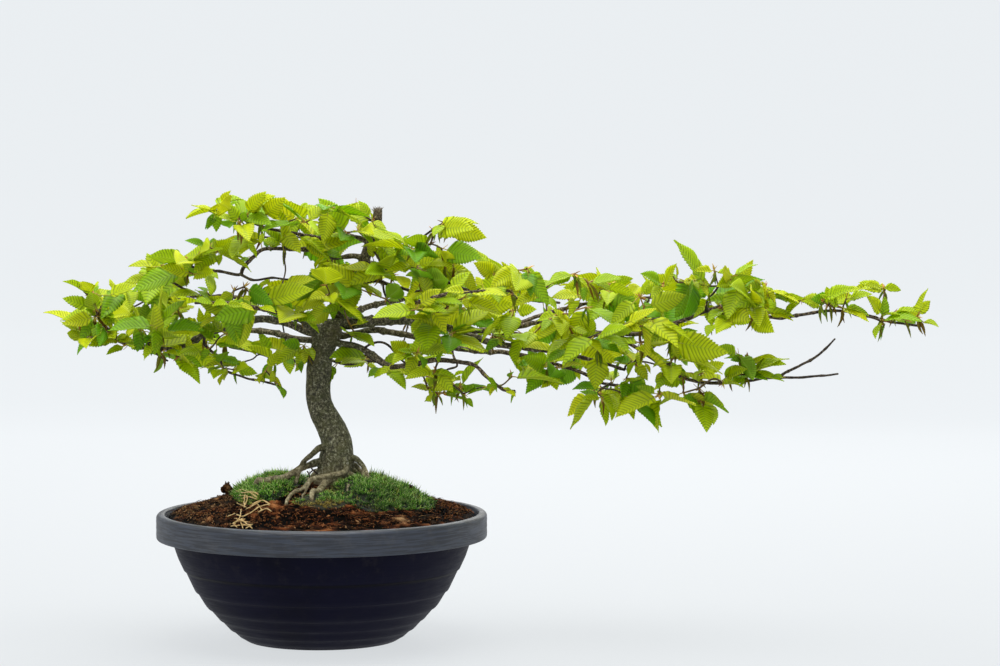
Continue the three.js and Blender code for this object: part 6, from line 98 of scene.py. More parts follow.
# sprays as in the CAD part; a leaf row ends with a letter for its shade
SPRAYS = [
    {"nodes": [[-220.4,30.6,320.5,1.45],[-235.4,41.7,344.2,1.06],[-236.5,33.2,303.9,1.17],[-243.4,21.0,314.5,1.06]],
     "links": [[-1,0,0.96,1.16,[-182.6,60.9,337.2],[-184.4,59.1,336.3],[-195.2,46.1,330.6],[-207.8,40.4,325.8]],[0,2,1.03,0.93,[-227.8,30.0,314.4]],[2,3,0.94,0.85,[-239.5,25.9,308.0]],[0,1,0.94,0.85,[-225.0,37.9,329.3],[-228.1,40.4,339.8]]],
     "leaves": [
      [0,-1.6,-0.7,-2.2,-0.574,-0.263,-0.776,-0.655,-0.422,0.629,43.1,25.4,0.45,0.16,"d"],
      [0,2.2,-2.8,0.4,0.624,-0.773,0.116,-0.603,-0.38,0.702,45.4,25.2,0.5,0.19,"y"],
      [0,-0.2,3.7,1.0,-0.052,0.967,0.249,-0.415,-0.248,0.876,49.4,28.1,0.55,0.37],
      [1,1.7,-2.8,-0.8,0.497,-0.831,-0.25,-0.711,-0.555,0.434,34.4,18.2,0.65,0.32],
      [1,-0.1,4.4,0.8,-0.025,0.982,0.184,-0.461,-0.174,0.869,34.1,17.4,0.59,0.37,"y"],
      [1,0.1,2.5,-3.2,0.022,0.618,-0.786,-0.992,0.112,0.06,47.1,25.8,0.74,0.26],
      [2,-3.7,3.7,1.8,-0.67,0.667,0.327,0.361,-0.093,0.928,50.8,26.1,0.66,0.35,"y"],
      [3,-4.3,1.6,1.3,-0.904,0.326,0.275,0.151,-0.359,0.921,39.0,17.0,0.44,0.38,"y"],
      [3,-2.6,3.6,-2.6,-0.512,0.7,-0.497,-0.781,-0.62,-0.068,14.8,8.4,0.29,0.25,"y"],
      [1,3.7,1.3,1.2,0.902,0.428,0.063,0.167,-0.478,0.862,20.0,12.1,0.19,0.11],
     ]},
    {"nodes": [[-232.9,-44.6,353.6,1.06],[-222.0,-43.1,347.8,1.24],[-221.6,-45.5,347.9,1.06],[-192.3,-16.1,355.3,1.06],[-222.6,-42.3,335.1,1.38],[-220.8,-41.2,325.8,1.45],[-217.5,-36.0,331.7,1.81],[-231.2,-29.7,303.0,1.24],[-237.0,-32.0,312.4,1.06],[-228.8,-22.1,307.3,1.06],[-221.2,-32.3,306.5,1.38]],
     "links": [[-1,6,1.51,1.45,[-218.4,-34.3,330.4],[-216.8,-36.4,331.0]],[6,5,1.21,1.09],[6,4,1.16,1.04],[4,1,1.1,0.99],[1,2,0.94,0.85],[1,0,0.94,0.85],[5,10,1.16,1.04,[-221.4,-33.5,317.7]],[10,7,1.1,0.99],[7,9,0.94,0.85],[7,8,0.94,0.85],[6,3,0.94,0.85,[-212.8,-32.3,339.5],[-204.7,-20.0,349.0]]],
     "leaves": [
      [0,-2.4,-2.4,1.2,-0.66,-0.675,0.328,0.007,0.43,0.903,20.9,10.9,0.17,0.55,"s"],
      [1,16.1,3.4,-0.7,0.943,0.02,0.334,-0.235,-0.671,0.703,30.8,15.9,0.52,0.21,"y"],
      [2,-1.3,-4.9,2.6,-0.243,-0.849,0.467,-0.237,0.52,0.821,24.7,12.9,0.38,0.13,"y"],
      [3,1.1,-5.1,-3.5,0.181,-0.809,-0.559,0.486,-0.421,0.766,31.8,16.5,0.42,0.65,"s"],
      [4,-5.4,-2.8,2.0,-0.853,-0.426,0.303,0.514,-0.787,0.338,26.2,13.7,0.2,0.33],
      [4,-0.7,4.1,-6.8,-0.773,0.615,-0.159,-0.399,-0.275,0.874,46.4,23.6,0.27,0.28,"u"],
      [5,-3.9,-1.6,-0.9,-0.905,-0.375,-0.199,0.231,-0.828,0.512,29.1,15.2,0.28,0.27,"y"],
      [5,5.6,-3.7,-7.6,0.05,-0.724,-0.687,0.754,-0.424,0.501,29.1,15.2,0.28,0.15,"d"],
      [6,2.2,2.7,1.9,0.554,0.693,0.46,0.193,-0.645,0.74,29.4,15.2,0.52,0.22,"y"],
      [7,-2.8,-3.2,1.2,-0.62,-0.729,0.292,-0.735,0.669,0.11,21.5,11.2,0.39,0.54,"us"],
      [8,-2.7,-3.4,1.3,-0.577,-0.767,0.281,-0.358,0.546,0.757,19.2,10.0,0.2,0.44,"us"],
      [9,-1.3,4.7,1.7,-0.26,0.908,0.327,-0.5,-0.417,0.759,35.8,19.1,0.35,0.41,"d"],
      [10,-0.7,-7.3,-1.4,-0.095,-0.978,-0.188,-0.309,-0.15,0.939,38.6,23.0,0.43,0.34,"y"],
      [6,2.8,-1.1,-3.2,0.557,-0.357,-0.75,0.304,-0.753,0.584,20.0,10.6,0.48,0.33],
      [7,-3.5,1.4,2.4,-0.82,0.142,0.555,0.451,-0.438,0.778,27.7,13.5,0.49,0.2],
      [2,-3.2,0.9,2.0,-0.831,0.216,0.512,0.494,-0.136,0.859,21.6,11.7,0.41,0.38],
     ]},
    {"nodes": [[-179.5,39.2,313.5,1.45],[-206.3,28.0,310.1,1.06],[-146.4,19.1,330.7,1.06],[-172.7,44.9,304.0,1.06]],
     "links": [[-1,0,1.02,1.16,[-178.6,60.6,336.8],[-178.6,58.8,334.8],[-183.6,52.8,328.0],[-175.0,50.4,322.8]],[0,3,0.94,0.85],[0,1,0.94,0.85,[-189.0,40.6,314.6],[-198.8,29.0,315.7]],[0,2,0.94,0.85,[-169.1,37.3,314.1],[-160.0,27.9,321.2]]],
     "leaves": [
      [0,-3.4,-10.9,-2.6,-0.295,-0.933,-0.209,-0.357,-0.096,0.929,32.0,18.7,0.22,0.27,"y"],
      [1,-1.2,8.5,-0.8,-0.143,0.983,-0.113,-0.674,-0.011,0.739,37.5,19.8,0.65,0.33],
      [2,0.8,-9.2,2.9,0.09,-0.947,0.308,0.558,0.304,0.773,33.3,18.5,0.46,0.27,"y"],
      [2,-3.3,-7.9,-5.3,-0.325,-0.788,-0.523,-0.391,-0.391,0.833,32.7,19.1,0.22,0.07],
      [3,-12.2,1.7,2.8,-0.957,0.155,0.237,0.219,-0.121,0.967,39.4,21.4,0.15,0.14],
      [1,0.2,2.5,2.9,0.035,0.639,0.768,0.13,-0.765,0.63,46.0,26.4,0.59,0.34],
      [0,-0.4,-0.9,4.1,-0.006,-0.233,0.973,-0.319,0.922,0.219,20.0,12.0,0.22,0.14],
      [0,3.8,-0.1,-2.7,0.806,-0.044,-0.59,0.459,-0.582,0.671,28.7,16.2,0.15,0.29],
     ]},
    {"nodes": [[-149.7,-17.1,302.2,1.06],[-174.7,-39.7,316.1,1.06],[-156.8,-31.1,291.6,1.51],[-156.7,-50.8,318.4,1.17],[-154.2,-46.9,312.3,1.29]],
     "links": [[-1,2,1.36,1.21,[-158.4,-29.2,292.8],[-158.0,-31.5,291.2]],[2,0,0.94,0.85,[-167.0,-56.0,300.7]],[2,4,1.1,0.99,[-158.2,-41.3,299.8],[-153.9,-45.3,308.4]],[4,3,1.03,0.93],[3,1,0.94,0.85,[-164.7,-46.1,317.7]]],
     "leaves": [
      [0,-8.8,10.5,-16.2,-0.421,0.493,-0.762,0.882,0.029,-0.471,23.8,12.4,0.22,0.59,"ds"],
      [1,3.0,-3.9,-7.7,0.316,-0.441,-0.839,0.5,-0.674,0.543,23.8,12.4,0.15,0.54,"ds"],
      [2,4.5,-4.8,-0.5,0.68,-0.728,-0.073,-0.195,-0.277,0.941,20.4,10.6,0.2,0.34],
      [3,-7.4,-2.8,-0.7,-0.938,-0.336,-0.089,0.072,-0.442,0.894,43.3,25.2,0.15,0.39,"d"],
      [3,-1.9,6.2,-1.1,-0.282,0.94,-0.19,-0.934,-0.226,0.277,46.3,23.4,0.34,0.18],
      [4,-3.2,-3.5,-5.5,-0.445,-0.472,-0.761,-0.505,-0.569,0.648,28.6,16.7,0.12,0.18],
      [4,4.3,-1.4,0.0,0.949,-0.314,0.009,-0.166,-0.475,0.864,40.3,21.5,0.37,0.37],
      [1,-0.8,-0.3,-4.2,-0.195,0.003,-0.981,0.319,-0.945,-0.066,21.0,12.9,0.41,0.23],
      [1,-1.5,0.1,3.6,-0.445,0.115,0.888,0.831,0.424,0.361,20.0,10.5,0.25,0.19],
      [4,0.8,0.2,5.1,-0.023,0.188,0.982,-0.975,-0.221,0.019,39.8,20.7,0.35,0.2],
     ]},
    {"nodes": [[-167.0,55.4,332.0,1.17],[-158.6,53.9,345.4,1.63],[-147.6,26.1,334.5,1.06],[-151.5,57.8,328.0,1.06],[-161.9,62.5,350.5,1.24],[-171.6,44.9,372.3,1.06],[-124.9,68.7,371.2,1.06]],
     "links": [[-1,1,1.4,1.3,[-158.0,58.7,341.1],[-158.3,56.6,343.0]],[1,4,1.1,0.99],[1,0,1.03,0.93,[-162.0,53.7,337.8]],[0,3,0.94,0.85,[-158.6,57.8,328.8]],[4,5,0.94,0.85,[-168.8,56.4,359.7],[-169.1,51.2,365.2]],[1,2,0.94,0.85,[-155.8,46.1,345.4],[-150.4,34.4,337.7]],[4,6,0.94,0.85,[-149.0,54.5,359.1],[-137.4,66.7,364.9]]],
     "leaves": [
      [0,-3.4,-4.0,1.4,-0.63,-0.732,0.26,-0.243,0.503,0.83,38.1,20.5,0.43,0.42,"d"],
      [1,-0.2,5.2,0.9,-0.024,0.985,0.174,-0.518,-0.162,0.841,45.1,24.1,0.58,0.41,"d"],
      [1,0.6,3.8,-1.6,0.131,0.909,-0.396,0.089,0.388,0.918,39.3,22.5,0.46,0.38],
      [1,0.3,-3.6,-1.2,0.075,-0.946,-0.316,-0.974,-0.001,-0.229,42.9,24.1,0.37,0.29],
      [2,3.4,-1.9,0.1,0.874,-0.488,0.008,0.03,0.07,0.997,51.8,30.0,0.68,0.11],
      [3,-3.4,3.0,-0.4,-0.746,0.66,-0.087,-0.579,-0.578,0.575,30.8,15.8,0.19,0.17,"y"],
      [3,1.7,4.0,0.3,0.401,0.914,0.06,0.317,-0.2,0.927,31.4,16.7,0.46,0.15,"y"],
      [3,-0.5,4.0,-2.0,-0.114,0.892,-0.437,-0.484,0.335,0.808,37.2,19.5,0.34,0.33,"d"],
      [4,0.5,4.6,-3.3,0.099,0.806,-0.584,-0.143,0.592,0.793,47.3,24.2,0.69,0.42,"y"],
      [4,-5.7,0.6,-1.8,-0.951,0.106,-0.289,-0.31,-0.285,0.907,42.5,21.6,0.14,0.07,"y"],
      [5,2.8,3.0,-1.7,0.634,0.678,-0.374,-0.097,0.549,0.83,35.8,18.9,0.13,0.21],
      [5,-0.3,-2.4,-2.2,-0.088,-0.727,-0.681,0.305,-0.671,0.676,50.5,28.7,0.19,0.39],
      [6,-3.1,3.2,-1.6,-0.658,0.67,-0.343,-0.207,0.276,0.939,38.2,19.5,0.47,0.18,"d"],
      [6,0.9,-2.6,-3.0,0.219,-0.636,-0.74,0.8,-0.317,0.509,36.5,19.1,0.53,0.26],
      [0,-3.1,3.1,-1.6,-0.632,0.681,-0.37,-0.716,-0.332,0.614,20.0,10.6,0.25,0.34],
      [6,2.7,-2.4,-2.5,0.692,-0.556,-0.461,0.19,-0.476,0.859,20.1,11.9,0.46,0.2],
     ]},
    {"nodes": [[-143.0,49.7,299.6,1.17],[-124.5,45.3,308.4,1.29],[-98.4,41.2,296.1,1.45],[-156.6,46.6,286.6,1.06]],
     "links": [[-1,2,0.8,1.16,[-96.8,43.3,292.0],[-97.3,42.0,294.2]],[2,1,1.1,0.99,[-109.6,47.7,298.8],[-114.2,42.3,305.1]],[1,0,1.03,0.93,[-133.6,50.3,305.4]],[0,3,0.94,0.85,[-150.7,47.1,295.6]]],
     "leaves": [
      [0,-3.3,1.5,-1.4,-0.85,0.391,-0.355,-0.506,-0.405,0.762,47.4,24.4,0.16,0.41,"y"],
      [0,2.9,2.8,-3.5,0.54,0.523,-0.659,-0.284,0.851,0.442,48.1,24.2,0.56,0.34],
      [0,-3.3,0.8,1.0,-0.941,0.215,0.26,0.24,-0.117,0.965,46.6,26.8,0.43,0.39],
      [1,-0.1,3.5,0.2,-0.029,0.998,0.056,-0.604,-0.062,0.795,50.9,27.6,0.67,0.17,"y"],
      [1,-0.5,-5.0,-1.3,-0.102,-0.962,-0.254,0.404,-0.274,0.873,44.0,25.3,0.6,0.13,"y"],
      [1,-3.7,-3.7,0.4,-0.705,-0.704,0.079,-0.522,0.592,0.614,40.2,22.7,0.29,0.23],
      [2,3.2,-2.2,-1.2,0.785,-0.541,-0.301,0.082,-0.391,0.917,36.0,19.7,0.7,0.39],
      [2,-0.5,-3.8,0.1,-0.13,-0.991,0.017,-0.439,0.073,0.895,44.8,24.8,0.42,0.22,"y"],
      [2,2.5,2.1,-0.8,0.733,0.634,-0.246,0.2,0.144,0.969,48.7,26.0,0.12,0.39],
      [3,0.1,4.3,-1.1,0.022,0.967,-0.254,-0.457,0.236,0.858,41.4,24.7,0.67,0.28,"d"],
      [2,1.5,2.7,2.8,0.385,0.566,0.729,0.142,-0.817,0.559,35.7,21.0,0.66,0.3],
      [3,4.2,-0.8,-2.4,0.897,-0.132,-0.422,-0.03,-0.97,0.241,31.9,15.8,0.36,0.16],
      [1,-0.5,-1.4,3.8,-0.041,-0.335,0.941,0.592,0.751,0.293,20.0,11.3,0.22,0.24],
      [3,3.0,-1.8,2.3,0.753,-0.383,0.535,-0.416,0.353,0.838,26.7,14.0,0.43,0.19],
      [1,3.8,2.1,-2.0,0.798,0.308,-0.518,0.485,-0.839,0.247,20.0,10.5,0.6,0.14],
     ]},
    {"nodes": [[-105.5,-67.0,395.5,1.17],[-96.3,-65.9,390.9,1.06],[-125.8,-74.4,382.6,1.06],[-149.2,-61.4,375.8,1.17],[-120.6,-73.6,369.4,1.06],[-156.2,-60.6,364.0,1.06],[-121.2,-73.2,380.5,1.72],[-115.9,-74.1,387.9,1.29],[-127.6,-72.2,373.3,1.31]],
     "links": [[-1,6,0.88,1.38,[-122.8,-67.3,377.6],[-121.8,-69.5,378.7]],[6,2,0.94,0.85],[6,7,1.1,0.99],[6,8,1.16,1.04],[8,4,0.94,0.85],[7,0,1.03,0.93,[-110.6,-72.2,391.7]],[0,1,0.94,0.85],[8,3,1.03,0.93,[-138.8,-64.2,372.6]],[3,5,0.94,0.85]],
     "leaves": [
      [0,-3.2,-2.1,1.0,-0.813,-0.531,0.239,0.496,-0.413,0.764,23.0,11.9,0.46,0.21,"d"],
      [0,8.7,-2.0,-2.6,0.542,-0.771,0.335,-0.733,-0.629,-0.259,29.2,15.2,0.31,0.28],
      [1,5.1,-1.3,-3.0,0.841,-0.209,-0.498,0.54,0.351,0.765,32.8,16.9,0.54,0.12,"u"],
      [2,-5.8,-4.1,0.8,-0.823,-0.554,0.116,-0.333,0.639,0.692,37.1,19.2,0.21,0.19,"u"],
      [3,-10.9,-2.7,0.1,-0.97,-0.243,0.022,0.138,-0.473,0.87,24.3,12.6,0.35,0.46,"ys"],
      [4,-3.7,-1.3,0.9,-0.923,-0.316,0.217,0.384,-0.75,0.539,29.1,15.2,0.17,0.16,"y"],
      [4,3.0,-3.6,0.4,0.632,-0.772,0.065,-0.662,-0.496,0.561,32.0,16.7,0.3,0.29,"y"],
      [5,-3.8,-1.2,-0.3,-0.95,-0.304,-0.067,0.171,-0.69,0.703,29.2,15.2,0.39,0.11,"y"],
      [6,-3.1,12.0,-3.4,-0.249,0.929,-0.274,0.436,0.359,0.822,47.8,24.5,0.27,0.14,"d"],
      [6,-0.9,-4.4,-0.0,-0.193,-0.981,-0.009,0.402,-0.087,0.912,48.9,26.5,0.45,0.32,"y"],
      [7,1.7,-4.8,0.8,0.32,-0.938,0.137,-0.774,-0.176,0.607,44.4,24.3,0.15,0.27,"y"],
      [8,-3.2,6.7,-3.7,-0.394,0.805,-0.446,0.567,0.594,0.572,33.7,20.2,0.13,0.14],
      [8,-6.4,-1.1,-2.5,-0.915,-0.155,-0.372,-0.15,-0.725,0.672,50.1,25.6,0.36,0.24],
      [1,-2.9,-2.7,-1.8,-0.587,-0.623,-0.517,0.145,-0.71,0.69,32.1,18.2,0.58,0.1],
      [1,-3.2,1.7,0.1,-0.766,0.63,-0.131,-0.497,-0.45,0.742,46.0,26.6,0.2,0.28],
      [5,-1.6,0.9,3.1,-0.395,0.23,0.89,0.187,-0.928,0.323,25.1,14.1,0.55,0.22],
      [1,3.3,1.8,-1.2,0.904,0.329,-0.274,0.372,-0.284,0.884,25.0,12.0,0.27,0.4],
     ]},
    {"nodes": [[-138.9,-38.2,286.1,1.06],[-95.7,-32.8,274.8,1.17],[-112.1,-35.7,290.8,1.51],[-85.2,-31.0,273.0,1.06],[-92.8,-36.8,309.1,1.06]],
     "links": [[-1,2,1.13,1.21,[-110.2,-28.3,292.9],[-110.7,-30.9,292.0]],[2,1,1.03,0.93,[-101.7,-28.4,283.6]],[1,3,0.94,0.85],[2,0,0.94,0.85,[-119.1,-33.4,289.1],[-131.4,-39.6,288.8]],[2,4,0.94,0.85,[-104.9,-40.3,296.9],[-99.0,-33.8,305.0]]],
     "leaves": [
      [0,2.1,-3.6,-1.0,0.485,-0.842,-0.236,0.654,0.171,0.736,31.0,16.1,0.36,0.2],
      [1,-0.8,-3.8,-1.0,-0.198,-0.948,-0.248,-0.057,-0.241,0.969,28.8,15.0,0.31,0.11],
      [1,-3.6,-3.9,6.2,0.325,-0.865,0.383,-0.273,0.303,0.913,29.3,15.2,0.44,0.21],
      [2,-3.1,-2.4,-0.2,-0.783,-0.618,-0.063,0.301,-0.466,0.832,29.3,15.2,0.47,0.16],
      [3,2.0,-3.3,0.6,0.515,-0.844,0.151,-0.707,-0.318,0.632,29.1,15.2,0.16,0.22],
      [4,2.8,-4.3,-1.1,0.536,-0.813,-0.225,-0.752,-0.581,0.309,30.8,15.8,0.59,0.27],
      [0,1.9,-3.4,-2.9,0.58,-0.557,-0.595,0.356,-0.483,0.8,36.1,19.4,0.14,0.23],
      [4,-2.7,0.3,2.5,-0.693,0.042,0.72,0.609,-0.499,0.616,20.0,11.5,0.33,0.15],
      [4,-4.5,0.9,1.8,-0.928,0.108,0.358,0.27,-0.469,0.841,25.7,15.4,0.31,0.1],
      [3,3.8,-0.2,-0.2,0.977,0.079,-0.196,0.142,-0.934,0.328,20.0,10.8,0.16,0.2],
     ]},
    {"nodes": [[-62.8,-67.9,347.3,1.17],[-81.6,-67.7,352.8,1.38],[-87.8,-43.1,328.8,1.57],[-56.0,-54.5,341.2,1.06],[-108.8,-46.4,349.0,1.06],[-71.7,-63.2,356.5,1.29]],
     "links": [[-1,2,1.41,1.26,[-91.0,-37.1,328.7],[-89.5,-39.7,328.7]],[2,4,0.94,0.85,[-93.5,-44.0,336.0],[-101.7,-46.9,342.5]],[2,1,1.16,1.04],[1,5,1.1,0.99],[5,0,1.03,0.93],[0,3,0.94,0.85,[-59.1,-63.5,342.4]]],
     "leaves": [
      [0,-3.6,-2.5,-13.6,-0.254,-0.157,-0.955,0.839,0.457,-0.297,37.5,22.5,0.31,0.25,"u"],
      [1,-1.2,-1.3,-4.8,-0.247,-0.258,-0.933,-0.821,-0.454,0.344,32.8,17.0,0.36,0.32],
      [2,-5.6,-3.2,-2.8,-0.794,-0.464,-0.393,-0.34,-0.197,0.919,29.4,15.2,0.51,0.33,"y"],
      [3,7.3,-1.5,1.7,0.957,-0.18,0.227,-0.28,-0.785,0.552,46.9,23.7,0.47,0.22],
      [4,1.4,4.0,-2.9,0.266,0.792,-0.551,0.201,0.514,0.834,36.4,19.8,0.16,0.37,"y"],
      [4,-7.1,-4.4,-0.5,-0.843,-0.535,-0.053,0.114,-0.274,0.955,35.4,20.7,0.58,0.12],
      [5,5.0,-4.0,-2.7,0.713,-0.586,-0.388,-0.621,-0.783,0.043,34.7,18.0,0.5,0.08,"d"],
      [2,-4.1,-0.3,2.7,-0.893,-0.1,0.438,0.116,-0.993,0.011,32.6,16.4,0.7,0.24],
      [3,-2.1,-2.3,-2.9,-0.483,-0.487,-0.727,-0.267,-0.709,0.652,20.0,9.6,0.26,0.31],
      [1,-2.1,2.3,-2.0,-0.627,0.534,-0.567,0.107,0.78,0.616,20.0,10.1,0.46,0.2],
     ]},
    {"nodes": [[-81.8,-64.3,430.6,1.17],[-70.0,-62.0,425.7,1.57],[-54.2,-55.9,422.6,1.06],[-100.4,-53.5,433.0,1.06],[-73.6,-52.2,404.7,1.06],[-75.1,-67.4,419.2,1.17]],
     "links": [[-1,1,0.95,1.26,[-74.5,-55.6,424.7],[-73.2,-57.9,425.2]],[1,5,1.03,0.93],[1,0,1.03,0.93],[1,2,0.94,0.85,[-61.6,-61.5,423.1]],[5,4,0.94,0.85,[-74.9,-57.7,412.9]],[0,3,0.94,0.85,[-90.6,-59.5,434.6]]],
     "leaves": [
      [0,-2.6,-12.2,2.3,-0.201,-0.96,0.19,-0.808,0.272,0.524,32.3,22.4,0.18,0.22,"y"],
      [0,-10.5,-5.4,-5.3,-0.914,-0.202,0.351,0.381,-0.139,0.914,31.4,16.3,0.23,0.28,"y"],
      [1,3.1,-1.9,3.6,0.613,-0.365,0.702,-0.267,-0.93,-0.251,29.4,15.2,0.54,0.12,"y"],
      [2,4.4,-3.7,3.9,0.628,-0.53,0.571,-0.365,-0.847,-0.386,31.0,17.3,0.55,0.24,"y"],
      [3,-5.4,-4.1,-2.0,-0.76,-0.587,-0.277,-0.282,-0.087,0.954,27.6,14.4,0.2,0.55,"ys"],
      [3,1.3,-1.1,-4.5,-0.544,-0.217,-0.811,-0.762,-0.276,0.585,19.3,10.0,0.37,0.51,"ds"],
      [3,-0.5,-8.1,-8.9,-0.321,-0.719,-0.617,0.215,-0.689,0.692,18.3,9.5,0.25,0.66,"ds"],
      [4,-7.7,0.4,-4.9,-0.843,0.035,-0.537,-0.538,-0.079,0.84,37.2,21.7,0.32,0.25,"d"],
      [4,-1.0,-6.2,-2.8,-0.148,-0.889,-0.433,-0.168,-0.409,0.898,38.8,23.1,0.19,0.26],
      [4,-1.4,3.3,-1.0,-0.366,0.897,-0.245,-0.757,-0.134,0.641,38.3,22.2,0.29,0.32],
      [5,1.6,-5.0,-2.2,0.271,-0.878,-0.394,-0.084,-0.428,0.899,37.7,20.0,0.41,0.39,"y"],
      [3,2.6,2.6,0.8,0.694,0.684,0.226,-0.034,-0.283,0.959,32.6,20.1,0.62,0.39],
      [5,-2.0,-0.8,3.3,-0.551,-0.31,0.775,0.604,-0.789,0.113,20.0,12.2,0.28,0.15],
      [4,2.8,-0.3,-3.2,0.523,-0.006,-0.852,0.753,-0.464,0.466,20.0,11.2,0.3,0.14],
      [3,0.3,1.1,-3.7,-0.009,0.221,-0.975,-0.017,0.975,0.222,20.0,11.6,0.33,0.32],
      [5,-4.2,-2.0,1.4,-0.881,-0.387,0.272,0.428,-0.406,0.808,22.8,11.3,0.41,0.18],
      [2,3.0,0.8,3.7,0.621,0.139,0.772,-0.635,-0.487,0.599,21.0,10.7,0.44,0.22],
     ]},
    {"nodes": [[-86.3,49.6,421.0,1.06],[-63.9,72.8,401.5,1.29]],
     "links": [[-1,1,1.09,1.03,[-25.9,96.8,410.4],[-27.3,94.6,409.9],[-37.6,84.9,410.2],[-50.8,79.5,402.2]],[1,0,0.94,0.85,[-73.4,67.1,407.1],[-80.5,62.3,413.1]]],
     "leaves": [
      [0,3.8,0.7,1.0,0.947,0.187,0.26,-0.123,-0.534,0.837,38.1,22.8,0.27,0.14,"d"],
      [0,0.7,6.7,1.5,0.091,0.971,0.226,0.724,-0.22,0.653,52.4,27.9,0.44,0.08],
      [0,-1.2,3.6,-0.9,-0.298,0.925,-0.237,-0.313,0.14,0.939,42.1,24.2,0.43,0.17,"d"],
      [1,-4.4,-2.1,-0.8,-0.876,-0.447,-0.175,-0.204,0.013,0.979,46.6,25.7,0.49,0.25,"y"],
      [1,-3.3,2.7,-1.0,-0.744,0.621,-0.247,-0.425,-0.154,0.892,25.1,14.8,0.53,0.16,"y"],
      [1,-0.2,4.3,-0.9,-0.054,0.976,-0.21,0.965,0.103,0.238,38.5,23.0,0.16,0.28,"d"],
      [1,-4.7,-0.0,-0.9,-0.985,-0.03,-0.168,-0.147,-0.348,0.926,20.0,10.9,0.33,0.17],
     ]},
    {"nodes": [[-48.5,24.7,278.9,1.38],[-85.3,25.5,275.6,1.06],[-17.2,-5.4,295.3,1.06]],
     "links": [[-1,0,1.03,1.1,[-44.9,33.2,280.4],[-46.0,30.8,279.9]],[0,1,0.94,0.85,[-64.3,28.5,284.2],[-71.3,27.7,279.6]],[0,2,0.94,0.85,[-28.4,16.1,279.1],[-21.0,3.9,272.1]]],
     "leaves": [
      [0,-1.6,-0.8,-2.6,-0.503,-0.265,-0.822,-0.733,-0.373,0.569,22.3,11.6,0.3,0.61,"ds"],
      [1,-2.7,1.9,-1.0,-0.784,0.551,-0.285,-0.399,-0.097,0.912,38.7,22.8,0.51,0.31],
      [1,-4.9,-1.5,-0.6,-0.951,-0.287,-0.115,-0.221,0.371,0.902,34.5,18.4,0.51,0.32,"y"],
      [2,-2.7,-1.1,-1.9,-0.774,-0.319,-0.547,-0.171,-0.726,0.666,31.5,16.1,0.56,0.35],
      [2,-0.6,3.2,-3.9,-0.304,0.585,-0.752,0.301,0.808,0.507,26.4,14.8,0.29,0.25],
      [2,-3.3,-1.8,1.3,-0.906,-0.414,0.093,0.408,-0.788,0.461,20.0,11.8,0.2,0.14],
      [2,2.2,-3.3,-3.0,0.43,-0.73,-0.532,0.208,-0.493,0.845,20.0,10.7,0.58,0.4],
     ]},
    {"nodes": [[-43.8,-25.8,258.4,1.29],[-53.8,-26.6,271.6,1.06]],
     "links": [[-1,0,0.8,1.03,[-45.9,-18.5,257.6],[-45.2,-21.1,257.9]],[0,1,0.94,0.85,[-48.6,-28.7,265.9]]],
     "leaves": [
      [0,1.1,-2.7,-1.5,0.326,-0.828,-0.456,0.615,-0.18,0.768,23.8,12.4,0.22,0.44,"ds"],
      [1,0.1,3.2,-1.0,0.031,0.956,-0.293,-0.588,0.254,0.768,36.2,20.8,0.52,0.3],
      [1,2.8,1.6,3.7,0.51,0.35,0.786,-0.036,-0.904,0.426,20.0,9.9,0.46,0.31],
      [0,-0.9,-2.9,2.6,-0.092,-0.801,0.591,-0.845,0.377,0.38,20.0,9.8,0.23,0.21],
     ]},
    {"nodes": [[-40.4,93.1,282.3,1.17]],
     "links": [[-1,0,1.09,0.94,[-45.5,75.4,324.3],[-45.1,76.6,321.3],[-44.1,78.9,309.7],[-42.5,84.9,297.7]]],
     "leaves": [
      [0,-2.2,4.6,0.2,-0.436,0.899,0.048,0.708,0.31,0.635,38.2,19.9,0.44,0.36,"y"],
      [0,-1.7,2.8,-0.6,-0.512,0.846,-0.148,-0.86,-0.504,0.088,29.0,16.8,0.2,0.08,"y"],
      [0,-2.7,-2.8,1.0,-0.667,-0.703,0.248,-0.088,0.405,0.91,45.2,22.9,0.65,0.18,"y"],
      [0,0.2,-1.8,-3.3,0.14,-0.544,-0.827,0.03,-0.833,0.553,22.1,12.6,0.26,0.19],
     ]},
    {"nodes": [[-35.4,-53.7,357.9,1.06],[-34.1,-36.2,395.9,1.29]],
     "links": [[-1,1,1.18,1.03,[-36.8,-31.5,393.5],[-35.6,-34.0,394.7]],[1,0,0.94,0.85,[-34.3,-34.9,382.6],[-32.9,-40.9,371.4]]],
     "leaves": [
      [0,3.9,0.5,0.6,0.981,0.108,0.161,-0.055,-0.644,0.763,29.3,15.2,0.42,0.18,"y"],
      [1,0.2,3.2,0.7,0.049,0.973,0.226,0.567,-0.213,0.796,40.8,22.6,0.66,0.17,"d"],
      [1,-3.4,-0.3,2.9,-0.79,-0.089,0.606,0.532,-0.591,0.607,25.1,13.2,0.28,0.34],
      [1,-4.3,2.3,0.8,-0.876,0.425,0.23,-0.248,-0.803,0.542,20.0,11.6,0.69,0.21],
     ]},
    {"nodes": [[-29.2,83.5,421.0,1.06],[-42.1,97.8,404.7,1.45],[-23.0,96.8,398.4,1.06],[-44.5,93.8,416.0,1.17]],
     "links": [[-1,1,0.96,1.16,[-39.4,104.1,409.3],[-41.0,102.6,407.8]],[1,3,1.03,0.93],[3,0,0.94,0.85,[-36.7,89.6,417.9]],[1,2,0.94,0.85,[-33.1,99.6,402.2]]],
     "leaves": [
      [0,0.1,4.1,0.9,0.034,0.974,0.227,-0.1,-0.223,0.97,36.9,19.5,0.35,0.14],
      [0,-2.8,-0.9,0.9,-0.901,-0.319,0.292,-0.104,0.816,0.569,48.7,26.8,0.56,0.37,"y"],
      [0,2.9,-3.2,-2.2,0.598,-0.658,-0.457,0.426,-0.222,0.877,32.8,17.6,0.61,0.28],
